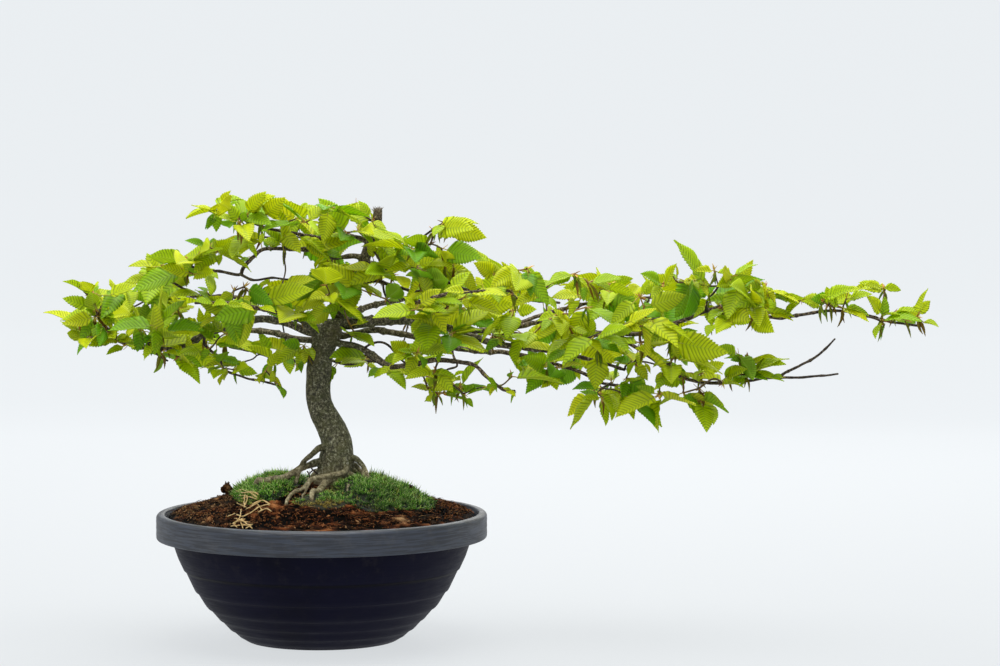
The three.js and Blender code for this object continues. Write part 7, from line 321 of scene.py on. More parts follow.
      [1,-0.7,3.0,-0.6,-0.249,0.948,-0.199,0.431,0.292,0.854,33.5,17.7,0.65,0.08],
      [2,2.3,0.8,-1.6,0.787,0.266,-0.558,-0.087,0.941,0.326,50.2,29.1,0.33,0.26,"d"],
      [2,-0.4,3.7,-1.1,-0.104,0.955,-0.278,-0.641,0.15,0.753,30.5,17.1,0.51,0.29],
      [2,4.5,2.3,-0.3,0.887,0.457,-0.065,-0.434,0.873,0.221,49.0,25.2,0.37,0.18],
      [3,3.1,2.7,-0.2,0.756,0.653,-0.045,0.063,-0.006,0.998,41.6,23.7,0.39,0.16,"y"],
      [0,1.6,-0.8,-3.8,0.579,-0.197,-0.791,0.283,-0.862,0.421,20.0,10.1,0.35,0.36],
      [0,3.1,1.0,2.0,0.794,0.295,0.532,-0.183,-0.718,0.671,20.0,12.4,0.47,0.17],
      [0,-2.0,-1.2,-3.5,-0.379,-0.268,-0.886,-0.012,-0.956,0.294,20.0,12.1,0.32,0.33],
     ]},
    {"nodes": [[-13.0,91.8,336.3,1.29],[-75.4,88.3,338.9,1.51],[1.2,95.7,322.7,1.17],[7.5,92.6,338.4,1.06],[-38.1,96.8,347.5,1.38]],
     "links": [[-1,1,1.36,1.21,[-69.0,95.6,334.7],[-70.6,93.2,335.9]],[1,4,1.16,1.04,[-64.1,93.3,340.3],[-51.9,94.9,345.3]],[4,0,1.1,0.99,[-30.9,93.7,342.6],[-20.2,94.5,342.3]],[0,2,1.03,0.93,[-3.4,96.5,330.7]],[2,3,0.94,0.85,[4.2,98.7,331.3]]],
     "leaves": [
      [0,-3.1,-1.2,1.2,-0.87,-0.348,0.349,0.339,-0.937,-0.087,51.2,30.5,0.43,0.4,"y"],
      [0,4.1,2.2,1.1,0.862,0.454,0.226,-0.504,0.714,0.487,46.4,25.7,0.12,0.41],
      [0,0.1,4.2,1.6,0.033,0.932,0.361,0.872,-0.204,0.446,45.4,24.1,0.59,0.4],
      [1,-2.9,-1.3,-2.5,-0.716,-0.332,-0.614,0.021,-0.89,0.456,41.6,22.3,0.19,0.31],
      [1,4.5,2.2,1.6,0.853,0.422,0.305,-0.518,0.628,0.581,31.7,16.4,0.12,0.11],
      [1,-0.7,-3.1,-2.2,-0.193,-0.799,-0.57,-0.251,-0.521,0.815,27.7,15.8,0.25,0.12],
      [2,2.9,1.1,0.5,0.926,0.338,0.17,-0.362,0.658,0.661,30.9,17.4,0.44,0.3,"y"],
      [2,-1.8,-3.2,-0.4,-0.483,-0.867,-0.121,-0.075,-0.097,0.993,42.8,25.1,0.57,0.19],
      [3,-0.8,-4.3,1.1,-0.171,-0.952,0.255,-0.274,0.295,0.916,51.1,28.8,0.24,0.1],
      [3,-4.0,-2.5,-1.1,-0.832,-0.514,-0.207,-0.229,-0.02,0.973,32.8,17.0,0.17,0.24,"y"],
      [4,-1.6,3.7,-3.0,-0.327,0.736,-0.593,-0.503,0.396,0.768,44.9,23.7,0.2,0.29,"d"],
      [4,1.4,2.4,0.9,0.491,0.806,0.33,-0.209,-0.259,0.943,30.6,17.3,0.39,0.12,"y"],
      [1,2.8,-0.6,3.8,0.642,-0.164,0.749,-0.66,0.38,0.648,21.0,11.4,0.36,0.25],
      [2,2.8,2.9,2.7,0.447,0.619,0.646,-0.7,-0.207,0.683,22.3,12.3,0.25,0.36],
     ]},
    {"nodes": [[8.4,-61.8,358.0,1.06],[22.4,-6.7,333.5,1.31],[9.5,-40.6,347.7,1.51],[26.0,-8.8,356.6,1.17],[11.4,-19.2,335.6,1.45],[31.4,-8.3,306.4,1.06],[-22.0,-35.5,331.1,1.68],[64.5,-12.8,342.4,1.06]],
     "links": [[-1,6,1.49,1.34,[-21.3,-38.1,325.6],[-21.7,-36.9,328.4]],[6,2,1.3,1.17,[-10.2,-37.4,337.3],[-1.5,-34.4,344.4]],[2,0,0.94,0.85,[10.8,-48.7,350.3]],[2,4,1.21,1.09,[10.3,-27.0,340.8]],[4,1,1.16,1.04,[19.1,-12.3,331.0]],[1,3,1.03,0.93,[22.9,-14.0,336.9]],[1,5,0.94,0.85,[28.4,-38.7,322.2],[35.1,-7.7,304.6]],[3,7,0.94,0.85,[39.9,-11.0,351.7],[50.8,-8.9,347.1]]],
     "leaves": [
      [0,-0.1,-4.6,1.9,-0.018,-0.924,0.382,0.155,0.375,0.914,43.6,29.6,0.4,0.15,"y"],
      [2,0.7,-3.6,-1.0,0.226,-0.946,-0.232,-0.315,-0.297,0.901,29.3,15.2,0.42,0.11,"y"],
      [3,-0.1,-4.7,-1.4,-0.032,-0.958,-0.285,0.372,-0.276,0.886,38.7,26.5,0.5,0.18,"d"],
      [4,-2.4,-2.6,-1.9,-0.6,-0.646,-0.471,-0.62,0.748,-0.236,29.2,18.4,0.4,0.31,"u"],
      [5,2.7,-2.7,-1.2,0.678,-0.672,-0.299,-0.039,-0.439,0.898,29.1,15.2,0.29,0.33],
      [6,-3.4,-1.9,0.4,-0.865,-0.49,0.108,-0.372,0.771,0.516,34.2,19.1,0.49,0.17,"d"],
      [6,-1.2,-4.8,-0.8,-0.234,-0.96,-0.152,0.321,-0.224,0.92,50.7,29.3,0.29,0.28,"y"],
      [6,3.3,-2.6,0.9,0.771,-0.602,0.207,-0.534,-0.435,0.725,32.7,17.5,0.19,0.36,"y"],
      [7,1.9,-4.7,1.6,0.362,-0.883,0.3,0.612,0.468,0.638,38.6,19.4,0.29,0.3,"d"],
      [5,-0.3,-4.4,-0.3,-0.145,-0.976,0.163,0.291,0.114,0.949,38.2,21.3,0.22,0.26],
      [3,0.1,-3.2,-3.4,0.13,-0.568,-0.813,0.589,-0.615,0.524,31.1,17.4,0.64,0.25],
      [2,3.9,-1.1,-3.2,0.772,-0.183,-0.609,0.56,-0.26,0.787,39.6,19.1,0.23,0.25],
      [7,-3.8,1.1,1.4,-0.902,0.201,0.381,0.37,-0.095,0.924,34.2,18.5,0.53,0.33],
      [6,3.1,1.3,-3.4,0.696,0.152,-0.702,0.707,-0.314,0.633,25.9,14.2,0.12,0.31],
     ]},
    {"nodes": [[50.9,5.9,419.7,1.45],[9.9,-26.4,435.2,1.17],[33.4,28.1,437.0,1.06],[-12.1,-47.2,419.1,1.06]],
     "links": [[-1,0,1.31,1.16,[52.3,11.2,416.7],[51.5,8.8,417.4]],[0,2,0.94,0.85,[42.1,12.5,421.4],[40.7,18.2,429.1]],[0,1,1.03,0.93,[32.0,-14.2,431.2],[21.3,-18.8,430.4]],[1,3,0.94,0.85,[-0.2,-30.3,425.2],[-3.0,-43.1,425.6]]],
     "leaves": [
      [0,2.5,-2.3,-4.7,0.424,-0.394,-0.816,0.556,-0.597,0.577,40.8,21.0,0.26,0.17],
      [1,-1.3,-4.3,-7.2,-0.159,-0.521,-0.839,0.581,-0.737,0.347,33.3,19.5,0.18,0.09,"y"],
      [1,6.6,-2.4,-3.5,0.833,-0.317,-0.454,0.502,0.083,0.859,34.4,17.9,0.18,0.08],
      [1,-0.6,-13.4,-0.9,-0.065,-0.995,-0.064,0.028,-0.067,0.996,36.7,19.7,0.4,0.13,"d"],
      [2,3.2,2.8,-12.7,0.253,0.198,-0.948,0.819,0.476,0.318,36.7,18.5,0.34,0.32,"d"],
      [3,-9.0,-9.5,-1.5,-0.677,-0.725,-0.132,-0.04,-0.141,0.988,45.6,26.6,0.39,0.3,"d"],
      [0,-3.7,-0.3,3.6,-0.508,-0.152,0.848,0.665,-0.695,0.273,20.0,11.5,0.66,0.22],
      [0,-3.2,1.8,1.2,-0.814,0.495,0.307,-0.287,-0.798,0.528,36.7,21.0,0.33,0.27],
      [3,-2.7,1.4,2.2,-0.725,0.488,0.486,0.476,-0.156,0.866,46.0,26.7,0.2,0.22],
      [3,2.8,0.2,2.5,0.738,0.28,0.614,-0.263,-0.718,0.644,24.0,13.5,0.3,0.25],
     ]},
    {"nodes": [[65.9,91.0,363.3,1.06],[29.3,66.7,372.5,1.17],[6.3,78.9,368.8,1.29],[6.3,79.7,385.1,1.38],[8.4,79.2,385.2,1.51]],
     "links": [[-1,4,1.36,1.21,[7.9,74.7,406.4],[8.0,75.2,403.7],[9.5,79.8,395.3]],[4,3,1.16,1.04],[3,2,1.1,0.99,[6.1,82.2,378.5]],[2,1,1.03,0.93,[12.4,75.7,371.5],[20.0,68.2,371.0]],[1,0,0.94,0.85,[38.7,77.8,371.9],[48.5,81.3,368.4]]],
     "leaves": [
      [0,-2.3,-2.4,-1.1,-0.666,-0.678,-0.311,-0.182,-0.256,0.949,50.8,26.8,0.49,0.16],
      [0,1.9,3.9,-2.2,0.384,0.807,-0.447,0.323,0.336,0.885,37.7,21.8,0.5,0.36,"y"],
      [0,2.5,2.4,0.6,0.707,0.688,0.167,-0.105,-0.131,0.986,37.4,19.1,0.62,0.22],
      [1,-1.8,5.0,-3.1,-0.291,0.815,-0.501,0.616,0.56,0.555,42.5,24.2,0.6,0.3,"d"],
      [2,-2.7,-1.0,-2.5,-0.713,-0.258,-0.653,-0.463,0.871,0.162,45.1,23.6,0.14,0.33,"d"],
      [2,0.9,-4.3,0.5,0.211,-0.972,0.102,0.056,0.116,0.992,47.5,24.7,0.32,0.18],
      [3,3.7,-1.9,1.1,0.863,-0.441,0.248,-0.239,0.075,0.968,47.8,28.3,0.52,0.42,"d"],
      [3,2.6,3.8,1.4,0.541,0.786,0.299,-0.839,0.531,0.121,38.0,22.7,0.71,0.11,"y"],
      [4,-4.7,-0.5,0.8,-0.98,-0.105,0.172,0.2,-0.6,0.775,39.2,22.3,0.51,0.38,"y"],
      [4,-1.2,3.3,-4.1,-0.215,0.611,-0.762,-0.624,0.514,0.588,44.5,24.7,0.12,0.41,"y"],
      [0,1.4,-2.4,3.2,0.422,-0.563,0.711,-0.615,0.399,0.681,46.0,25.4,0.64,0.21],
      [1,1.8,-2.3,-3.0,0.53,-0.493,-0.69,0.436,-0.54,0.72,20.0,10.6,0.47,0.31],
     ]},
    {"nodes": [[50.1,4.3,395.9,1.38],[60.1,-11.6,374.0,1.57],[26.3,-11.7,408.3,1.17],[68.0,-14.8,370.2,1.06],[37.2,-10.2,409.8,1.29],[4.4,-11.5,390.9,1.06]],
     "links": [[-1,1,1.41,1.26,[62.9,-8.1,373.8],[61.0,-10.5,373.9]],[1,3,0.94,0.85],[1,0,1.16,1.04,[57.5,-8.1,382.7],[52.2,1.1,389.7]],[0,4,1.1,0.99,[44.6,-2.7,402.4]],[4,2,1.03,0.93],[2,5,0.94,0.85,[21.3,-19.1,401.2],[10.0,-2.7,393.3]]],
     "leaves": [
      [0,5.1,-1.0,-4.2,0.771,-0.145,-0.62,0.145,-0.909,0.391,37.6,19.5,0.42,0.32],
      [1,-9.0,0.7,-0.7,-0.997,0.078,-0.051,-0.085,-0.528,0.846,30.2,15.8,0.27,0.2,"y"],
      [2,-0.6,-6.3,-1.1,-0.094,-0.98,-0.173,0.528,-0.196,0.827,34.5,20.7,0.44,0.3,"d"],
      [3,-2.6,-4.6,-0.2,-0.489,-0.872,-0.03,0.579,-0.35,0.737,39.8,20.2,0.2,0.29],
      [3,0.9,-4.9,1.9,0.176,-0.915,0.363,-0.518,0.228,0.825,41.9,25.1,0.68,0.37],
      [4,5.5,-0.9,-1.5,0.952,-0.159,-0.259,0.164,-0.449,0.878,33.8,19.0,0.37,0.16],
      [4,2.3,-4.9,-0.4,0.409,-0.911,-0.058,-0.35,-0.216,0.911,37.3,22.0,0.54,0.4,"y"],
      [2,-2.5,-1.6,2.7,-0.62,-0.124,0.775,0.382,-0.91,0.161,40.8,22.7,0.64,0.3],
      [1,2.9,-0.3,-2.1,0.725,-0.287,-0.627,-0.205,-0.958,0.202,18.6,9.4,0.38,0.34],
     ]},
    {"nodes": [[84.1,98.4,312.9,1.29],[44.1,67.7,278.4,1.06]],
     "links": [[-1,0,1.18,1.03,[84.2,94.1,335.0],[84.2,94.7,331.8],[82.5,96.0,324.2]],[0,1,0.94,0.85,[77.2,88.3,289.6],[60.3,76.9,275.4]]],
     "leaves": [
      [0,3.9,-0.2,-0.1,0.998,-0.066,-0.028,0.068,0.992,0.104,37.2,21.3,0.57,0.22,"y"],
      [1,0.4,3.2,-0.8,0.102,0.964,-0.245,0.071,0.238,0.968,31.5,17.3,0.58,0.19,"y"],
      [1,-3.2,-0.9,-1.9,-0.926,-0.222,-0.305,0.052,-0.876,0.479,23.4,13.8,0.26,0.29],
      [0,0.9,-1.7,4.8,0.156,-0.424,0.892,0.071,0.906,0.418,18.3,9.3,0.12,0.12],
     ]},
    {"nodes": [[87.8,-34.2,287.4,1.81],[96.9,-50.3,290.8,1.06],[62.4,-9.5,273.1,1.29],[66.7,-38.6,274.3,1.38],[106.7,-37.8,256.0,1.45],[137.9,-9.1,253.8,1.06],[112.1,-29.0,252.2,1.38],[128.6,75.5,249.8,1.06],[87.5,39.9,267.1,1.17],[121.3,-12.8,248.3,1.17],[116.1,-27.2,249.2,1.29]],
     "links": [[-1,0,1.6,1.45,[88.6,-36.5,281.2],[88.2,-35.4,284.2]],[0,1,0.94,0.85,[85.8,-52.6,291.6]],[0,3,1.16,1.04,[77.4,-36.2,283.4]],[3,2,1.1,0.99,[62.8,-28.9,271.0],[63.5,-7.4,272.9]],[0,4,1.21,1.09,[94.6,-26.1,283.3],[101.8,-39.0,269.5]],[4,6,1.16,1.04],[6,10,1.1,0.99],[10,9,1.03,0.93,[118.5,-19.2,249.6]],[9,5,0.94,0.85,[130.1,-9.3,249.0]],[2,8,1.03,0.93,[70.4,9.3,272.5],[82.8,21.4,274.1]],[8,7,0.94,0.85]],
     "leaves": [
      [0,-2.2,-3.2,2.0,-0.508,-0.73,0.457,0.685,-0.664,-0.299,29.1,17.3,0.21,0.17],
      [1,1.1,-4.3,-2.3,0.223,-0.856,-0.468,0.682,-0.206,0.702,24.0,12.4,0.52,0.53,"ds"],
      [2,-2.2,-3.0,-1.1,-0.551,-0.781,-0.292,0.163,-0.445,0.88,22.2,11.5,0.49,0.12],
      [3,2.3,-2.4,-2.2,0.569,-0.602,-0.56,0.245,-0.526,0.814,29.4,15.2,0.51,0.16],
      [4,1.6,-3.4,1.4,0.409,-0.845,0.346,0.167,0.443,0.882,22.1,11.4,0.45,0.68,"s"],
      [5,4.6,-1.1,-0.6,0.963,-0.236,-0.133,0.088,-0.19,0.979,29.4,15.2,0.54,0.24],
      [6,-0.2,-5.5,-1.6,-0.043,-0.959,-0.287,-0.957,-0.044,0.289,25.2,13.1,0.21,0.66,"us"],
      [7,-5.3,5.1,0.3,-0.722,0.691,0.042,0.542,0.525,0.657,34.1,18.5,0.48,0.32],
      [8,-3.0,-3.2,-0.1,-0.679,-0.734,-0.025,0.388,-0.388,0.836,32.6,16.7,0.37,0.08,"y"],
      [8,2.5,9.7,0.6,0.247,0.967,0.071,0.828,-0.249,0.5,50.0,25.1,0.47,0.27,"y"],
      [8,6.3,-5.7,-1.4,0.718,-0.678,-0.159,0.125,-0.097,0.987,43.8,22.2,0.65,0.19],
      [9,3.2,2.7,-1.4,0.72,0.633,-0.286,0.323,0.058,0.945,32.1,18.1,0.19,0.27],
      [10,2.2,4.5,1.0,0.433,0.883,0.185,-0.143,-0.136,0.981,47.4,24.5,0.61,0.33,"y"],
      [1,3.8,2.4,-0.6,0.841,0.537,-0.065,-0.274,0.528,0.804,37.2,20.7,0.66,0.16],
      [8,-1.5,0.2,3.9,-0.299,-0.081,0.951,0.818,-0.535,0.212,23.6,14.1,0.29,0.23],
      [9,-2.8,1.8,-1.5,-0.757,0.518,-0.398,-0.599,-0.308,0.739,20.0,11.6,0.32,0.12],
      [2,3.3,2.2,2.7,0.613,0.447,0.651,-0.176,-0.725,0.665,20.0,10.9,0.44,0.14],
      [1,-1.6,-1.5,-3.1,-0.45,-0.381,-0.808,0.151,-0.924,0.351,22.8,10.9,0.26,0.18],
      [9,3.6,0.6,-0.1,0.975,0.193,0.108,0.001,-0.495,0.869,29.4,16.7,0.5,0.27],
      [4,3.6,1.7,-0.6,0.856,0.488,-0.171,-0.323,0.763,0.559,20.0,9.6,0.35,0.27],
      [6,-3.5,-2.2,1.0,-0.9,-0.407,0.156,0.353,-0.471,0.809,20.0,9.8,0.61,0.13],
      [5,3.1,0.5,4.0,0.624,0.133,0.77,-0.735,0.433,0.521,32.7,17.8,0.24,0.27],
     ]},
    {"nodes": [[123.1,-59.0,419.5,1.06],[113.8,-53.5,411.8,1.72],[121.4,-51.9,393.5,1.29],[110.3,-47.6,398.1,1.46],[95.6,-36.1,375.9,1.17],[100.7,-42.3,371.3,1.06],[132.3,-51.1,376.4,1.06],[92.0,-43.9,393.0,1.29],[124.2,-49.0,377.7,1.17]],
     "links": [[-1,1,0.8,1.38,[115.5,-47.1,413.6],[114.6,-49.5,412.8]],[1,0,0.94,0.85],[1,3,1.3,1.17,[112.8,-48.2,405.6]],[3,2,1.1,0.99,[115.4,-49.9,396.7]],[2,8,1.03,0.93,[121.6,-53.9,386.0]],[8,6,0.94,0.85],[3,7,1.1,0.99,[100.4,-43.7,393.8]],[7,4,1.03,0.93,[93.7,-41.4,384.8]],[4,5,0.94,0.85]],
     "leaves": [
      [0,5.1,0.7,-1.9,0.931,0.138,-0.338,0.154,-0.988,0.021,39.6,20.2,0.24,0.18,"y"],
      [1,5.1,-3.9,0.1,0.771,-0.637,0.021,-0.575,-0.679,0.452,44.1,22.3,0.38,0.18,"y"],
      [2,4.9,-4.0,-1.0,0.768,-0.622,-0.159,-0.494,-0.733,0.468,44.5,22.5,0.3,0.13,"d"],
      [3,-2.9,-2.7,0.6,-0.723,-0.674,0.152,-0.407,0.593,0.694,32.2,16.7,0.31,0.11,"u"],
      [4,3.7,-1.0,1.2,0.919,-0.254,0.301,0.175,0.948,0.265,29.4,20.4,0.24,0.33,"u"],
      [5,3.6,-0.1,-0.1,0.999,-0.021,-0.015,-0.011,-0.898,0.44,45.6,23.2,0.3,0.2,"y"],
      [6,3.1,-1.6,-3.6,0.62,-0.299,-0.725,0.392,-0.683,0.616,33.6,17.4,0.52,0.2,"y"],
      [7,0.4,-4.0,-1.2,0.106,-0.95,-0.294,0.222,-0.265,0.938,40.8,22.3,0.74,0.21,"d"],
      [7,2.5,-2.4,-0.7,0.705,-0.684,-0.19,0.591,0.417,0.691,34.7,20.8,0.63,0.12,"d"],
      [7,-3.4,1.6,0.1,-0.904,0.425,0.031,0.151,0.252,0.956,51.8,28.5,0.37,0.18],
      [8,0.6,-4.1,1.6,0.136,-0.932,0.338,0.558,0.354,0.749,32.5,17.1,0.26,0.21,"y"],
      [5,-1.7,1.6,-2.9,-0.469,0.414,-0.78,0.512,0.847,0.142,20.0,11.7,0.45,0.32],
      [7,-3.3,-1.6,2.8,-0.793,-0.408,0.453,0.56,-0.195,0.805,31.5,17.7,0.44,0.15],
      [5,-4.3,0.5,2.8,-0.775,0.044,0.631,0.465,0.716,0.521,20.0,10.0,0.46,0.21],
      [0,-1.5,-3.1,-2.5,-0.409,-0.747,-0.524,-0.198,-0.488,0.85,20.0,11.3,0.23,0.11],
     ]},
    {"nodes": [[141.8,-58.5,344.5,1.06],[127.5,-54.5,337.3,1.38],[109.2,-37.2,325.5,1.29],[98.1,-90.7,336.0,1.06],[101.6,-51.9,361.3,1.06],[126.8,-39.3,308.5,1.17],[131.9,-44.5,309.2,1.06],[106.2,-38.0,354.1,1.72],[105.9,-53.1,353.2,1.51]],
     "links": [[-1,7,1.03,1.38,[107.9,-34.0,350.3],[107.2,-35.9,352.0]],[7,8,1.34,1.21,[105.5,-43.2,356.2]],[8,4,0.94,0.85],[8,1,1.21,1.09,[112.3,-52.4,349.5],[120.4,-53.6,343.0]],[1,0,0.94,0.85,[132.7,-55.7,341.8]],[1,2,1.1,0.99,[124.6,-46.5,334.3],[116.6,-41.0,330.2]],[2,5,1.03,0.93,[117.5,-42.3,317.9]],[5,6,0.94,0.85],[8,3,0.94,0.85,[107.9,-68.7,345.2],[111.7,-65.3,333.6]]],
     "leaves": [
      [0,5.0,0.4,-2.2,0.919,0.073,-0.386,0.348,-0.615,0.708,34.6,17.9,0.47,0.32,"y"],
      [1,0.2,-3.0,2.6,0.045,-0.757,0.652,-0.171,0.637,0.752,29.1,17.3,0.21,0.26],
      [2,-0.8,-5.1,2.9,-0.129,-0.864,0.487,0.014,0.489,0.872,34.0,23.5,0.4,0.14,"d"],
      [2,0.6,-5.0,-3.9,-0.052,-0.778,-0.626,-0.188,-0.607,0.772,43.8,29.6,0.48,0.24],
      [3,-6.2,-1.7,-1.1,-0.953,-0.25,-0.172,0.02,-0.618,0.785,38.0,19.7,0.26,0.16],
      [4,-0.4,-4.6,1.2,-0.073,-0.959,0.273,0.331,0.235,0.914,45.9,23.4,0.24,0.19,"d"],
      [4,-1.5,2.2,-2.4,-0.433,0.628,-0.647,-0.901,-0.28,0.331,30.0,15.4,0.45,0.33,"y"],
      [4,3.5,-5.0,0.4,0.566,-0.821,0.079,0.748,0.552,0.369,39.8,22.4,0.37,0.16,"d"],
      [5,-6.2,2.0,-2.8,-0.882,0.284,-0.375,-0.288,-0.957,-0.049,36.9,19.2,0.62,0.14],
      [5,3.2,-0.7,-1.3,0.907,-0.193,-0.374,0.308,-0.303,0.902,39.6,23.5,0.12,0.15,"y"],
      [5,6.0,1.6,3.4,0.855,0.229,0.464,-0.267,-0.574,0.775,44.1,23.0,0.59,0.21],
      [6,-0.7,-5.5,-2.4,-0.109,-0.908,-0.406,0.188,-0.419,0.888,34.0,19.5,0.48,0.11,"d"],
      [7,4.7,1.5,-0.2,0.959,0.283,-0.037,0.228,-0.678,0.699,40.0,20.3,0.44,0.34],
      [8,-1.8,-3.3,-1.3,-0.461,-0.828,-0.32,-0.365,-0.152,0.918,33.7,17.4,0.27,0.2,"y"],
      [2,3.5,2.3,1.4,0.736,0.569,0.368,0.216,-0.711,0.669,46.0,23.7,0.16,0.38],
      [6,3.2,-1.2,1.4,0.943,-0.301,0.141,-0.161,-0.043,0.986,27.4,16.2,0.17,0.12],
      [6,-3.4,-2.5,-0.2,-0.789,-0.604,0.113,0.437,-0.422,0.795,20.0,12.1,0.22,0.35],
      [5,3.9,0.9,0.3,0.974,0.178,0.138,-0.059,-0.391,0.919,23.2,11.5,0.31,0.13],
     ]},
    {"nodes": [[139.4,45.5,330.0,1.06],[134.7,55.3,335.0,1.17],[108.3,70.1,354.7,1.38]],
     "links": [[-1,2,1.19,1.1,[111.2,84.2,379.2],[110.8,82.8,376.8],[110.8,73.2,364.3]],[2,1,1.03,0.93,[116.3,64.1,349.4],[125.2,61.9,344.3]],[1,0,0.94,0.85]],
     "leaves": [
      [0,3.5,0.3,-2.3,0.837,0.075,-0.542,0.369,-0.81,0.457,39.4,22.8,0.12,0.22,"d"],
      [0,-2.7,-1.7,-2.4,-0.671,-0.429,-0.604,-0.639,0.748,0.178,37.1,19.6,0.56,0.07,"y"],
      [0,5.7,1.3,0.4,0.974,0.217,0.07,0.217,-0.976,0.005,49.9,25.0,0.62,0.14,"y"],
      [1,1.8,3.8,0.5,0.414,0.902,0.12,0.415,-0.305,0.857,38.0,21.6,0.15,0.19],
      [1,0.3,3.8,-3.2,0.051,0.765,-0.642,0.46,0.553,0.695,31.9,18.9,0.22,0.33],
      [2,-2.6,-0.7,-2.0,-0.782,-0.202,-0.59,-0.111,-0.886,0.45,31.0,16.9,0.39,0.07],
      [2,-3.2,3.0,0.7,-0.716,0.676,0.173,0.438,0.241,0.866,33.0,18.5,0.49,0.24],
     ]},
    {"nodes": [[115.0,-53.3,274.5,1.38],[142.1,-27.3,249.0,1.17],[190.3,-58.9,268.2,1.06]],
     "links": [[-1,0,1.25,1.1,[116.9,-46.6,281.3],[116.2,-48.8,279.2],[115.2,-50.6,276.7]],[0,1,1.03,0.93,[123.4,-45.5,263.0],[130.3,-39.2,259.6]],[1,2,0.94,0.85,[158.6,-42.6,255.9],[178.6,-50.0,258.4]]],
     "leaves": [
      [0,-3.4,-1.8,-0.9,-0.861,-0.457,-0.222,0.103,-0.586,0.804,29.1,15.2,0.22,0.29],
      [0,-2.9,-0.9,-4.5,0.953,-0.254,-0.164,0.065,-0.357,0.932,26.2,13.5,0.55,0.69,"s"],
      [1,1.6,-2.6,1.3,0.482,-0.785,0.39,0.32,0.572,0.755,19.6,10.2,0.31,0.52,"ds"],
      [2,5.2,1.3,-0.9,0.959,0.235,-0.156,0.183,-0.096,0.978,47.1,24.3,0.32,0.37],
     ]},
    {"nodes": [[174.6,-68.0,367.6,1.06],[189.9,-70.3,350.9,1.77],[195.5,-71.5,344.5,1.63],[218.3,-83.0,351.3,1.46],[204.6,-96.2,375.2,1.17],[251.2,-81.8,370.0,1.38],[259.3,-43.4,346.9,1.06],[281.9,-42.0,357.4,1.06],[264.8,-54.4,359.9,1.24],[197.2,-89.7,373.6,1.06]],
     "links": [[-1,1,1.02,1.42,[191.9,-63.2,351.6],[191.6,-65.9,351.3]],[1,2,1.34,1.21],[1,0,0.94,0.85,[181.1,-72.1,359.5]],[2,3,1.3,1.17,[204.5,-74.1,349.5],[212.2,-75.8,348.4]],[3,4,1.03,0.93,[215.9,-84.8,364.4],[210.2,-90.7,367.9]],[4,9,0.94,0.85],[3,5,1.16,1.04,[226.9,-75.2,359.3],[242.2,-77.7,367.1]],[5,8,1.1,0.99,[255.3,-73.1,364.3],[260.6,-65.1,364.2]],[8,6,0.94,0.85,[264.0,-47.4,354.0]],[8,7,0.94,0.85,[271.7,-46.4,361.5]]],
     "leaves": [
      [0,-2.6,-2.5,1.6,-0.653,-0.641,0.402,0.639,-0.752,-0.162,29.3,15.3,0.47,0.13,"y"],
      [1,-1.2,-1.2,3.7,-0.298,-0.301,0.905,0.684,-0.73,-0.019,29.2,18.4,0.33,0.23,"y"],
      [2,3.2,-3.1,3.3,0.582,-0.543,0.604,-0.813,-0.408,0.417,31.6,16.4,0.35,0.11,"y"],
      [3,1.8,-2.0,-1.8,0.563,-0.613,-0.555,0.334,-0.445,0.831,23.8,12.4,0.16,0.17],
      [4,0.8,-3.5,-4.0,0.081,-0.66,-0.745,0.293,-0.7,0.652,29.2,15.2,0.39,0.29,"d"],
      [5,-3.2,-2.0,-1.3,-0.8,-0.505,-0.325,-0.074,-0.455,0.887,29.4,15.2,0.53,0.3],
      [5,1.9,2.5,-3.6,0.676,0.1,-0.73,0.71,-0.353,0.609,17.7,9.2,0.53,0.26,"u"],
      [6,-3.7,-1.5,-0.2,-0.927,-0.372,-0.058,0.169,-0.55,0.818,29.3,15.2,0.44,0.25,"y"],
      [7,3.5,-1.4,-1.2,0.888,-0.343,-0.306,0.459,0.619,0.638,29.1,15.2,0.18,0.12,"u"],
      [8,3.9,-1.0,0.5,0.96,-0.254,0.12,-0.237,-0.502,0.832,29.8,15.4,0.45,0.15],
      [9,-0.3,-4.6,-1.5,-0.069,-0.946,-0.318,0.623,-0.289,0.726,49.7,27.9,0.41,0.2],
      [9,-3.7,-3.2,-2.1,-0.702,-0.595,-0.39,0.373,-0.775,0.511,34.8,18.6,0.62,0.19,"y"],
      [4,3.1,0.1,-3.9,0.693,0.147,-0.706,0.34,-0.93,0.14,20.0,11.7,0.34,0.28],
      [1,-2.5,2.6,3.2,-0.575,0.514,0.637,0.772,0.083,0.63,46.0,24.0,0.62,0.37],
      [3,1.0,3.7,0.6,0.349,0.906,0.239,0.04,-0.269,0.962,34.8,18.2,0.63,0.36],
      [6,-2.2,0.6,-4.4,-0.524,0.034,-0.851,-0.619,0.671,0.408,21.0,11.2,0.17,0.33],
      [5,-4.1,-1.4,-2.3,-0.875,-0.229,-0.426,-0.053,-0.829,0.556,20.0,10.0,0.43,0.41],
      [0,-3.0,-0.7,1.9,-0.786,-0.064,0.616,0.58,-0.423,0.696,28.5,14.0,0.67,0.27],
      [9,3.1,2.8,-1.0,0.739,0.631,-0.235,0.598,-0.455,0.66,20.0,10.2,0.59,0.23],
      [1,-4.0,1.5,-1.9,-0.899,0.27,-0.344,-0.385,-0.112,0.916,20.0,10.7,0.65,0.22],
     ]},
    {"nodes": [[275.8,-11.8,292.1,1.06],[264.0,-27.6,334.9,1.06],[268.0,-16.4,303.9,1.17],[250.8,-23.8,308.0,1.31],[205.3,-18.1,302.0,1.57],[200.6,-14.0,307.5,1.63],[236.6,-25.6,328.1,1.45],[171.1,-12.6,305.6,1.81],[191.4,-38.6,332.1,1.06],[251.0,-15.1,291.5,1.06],[179.3,-25.8,305.7,1.68]],
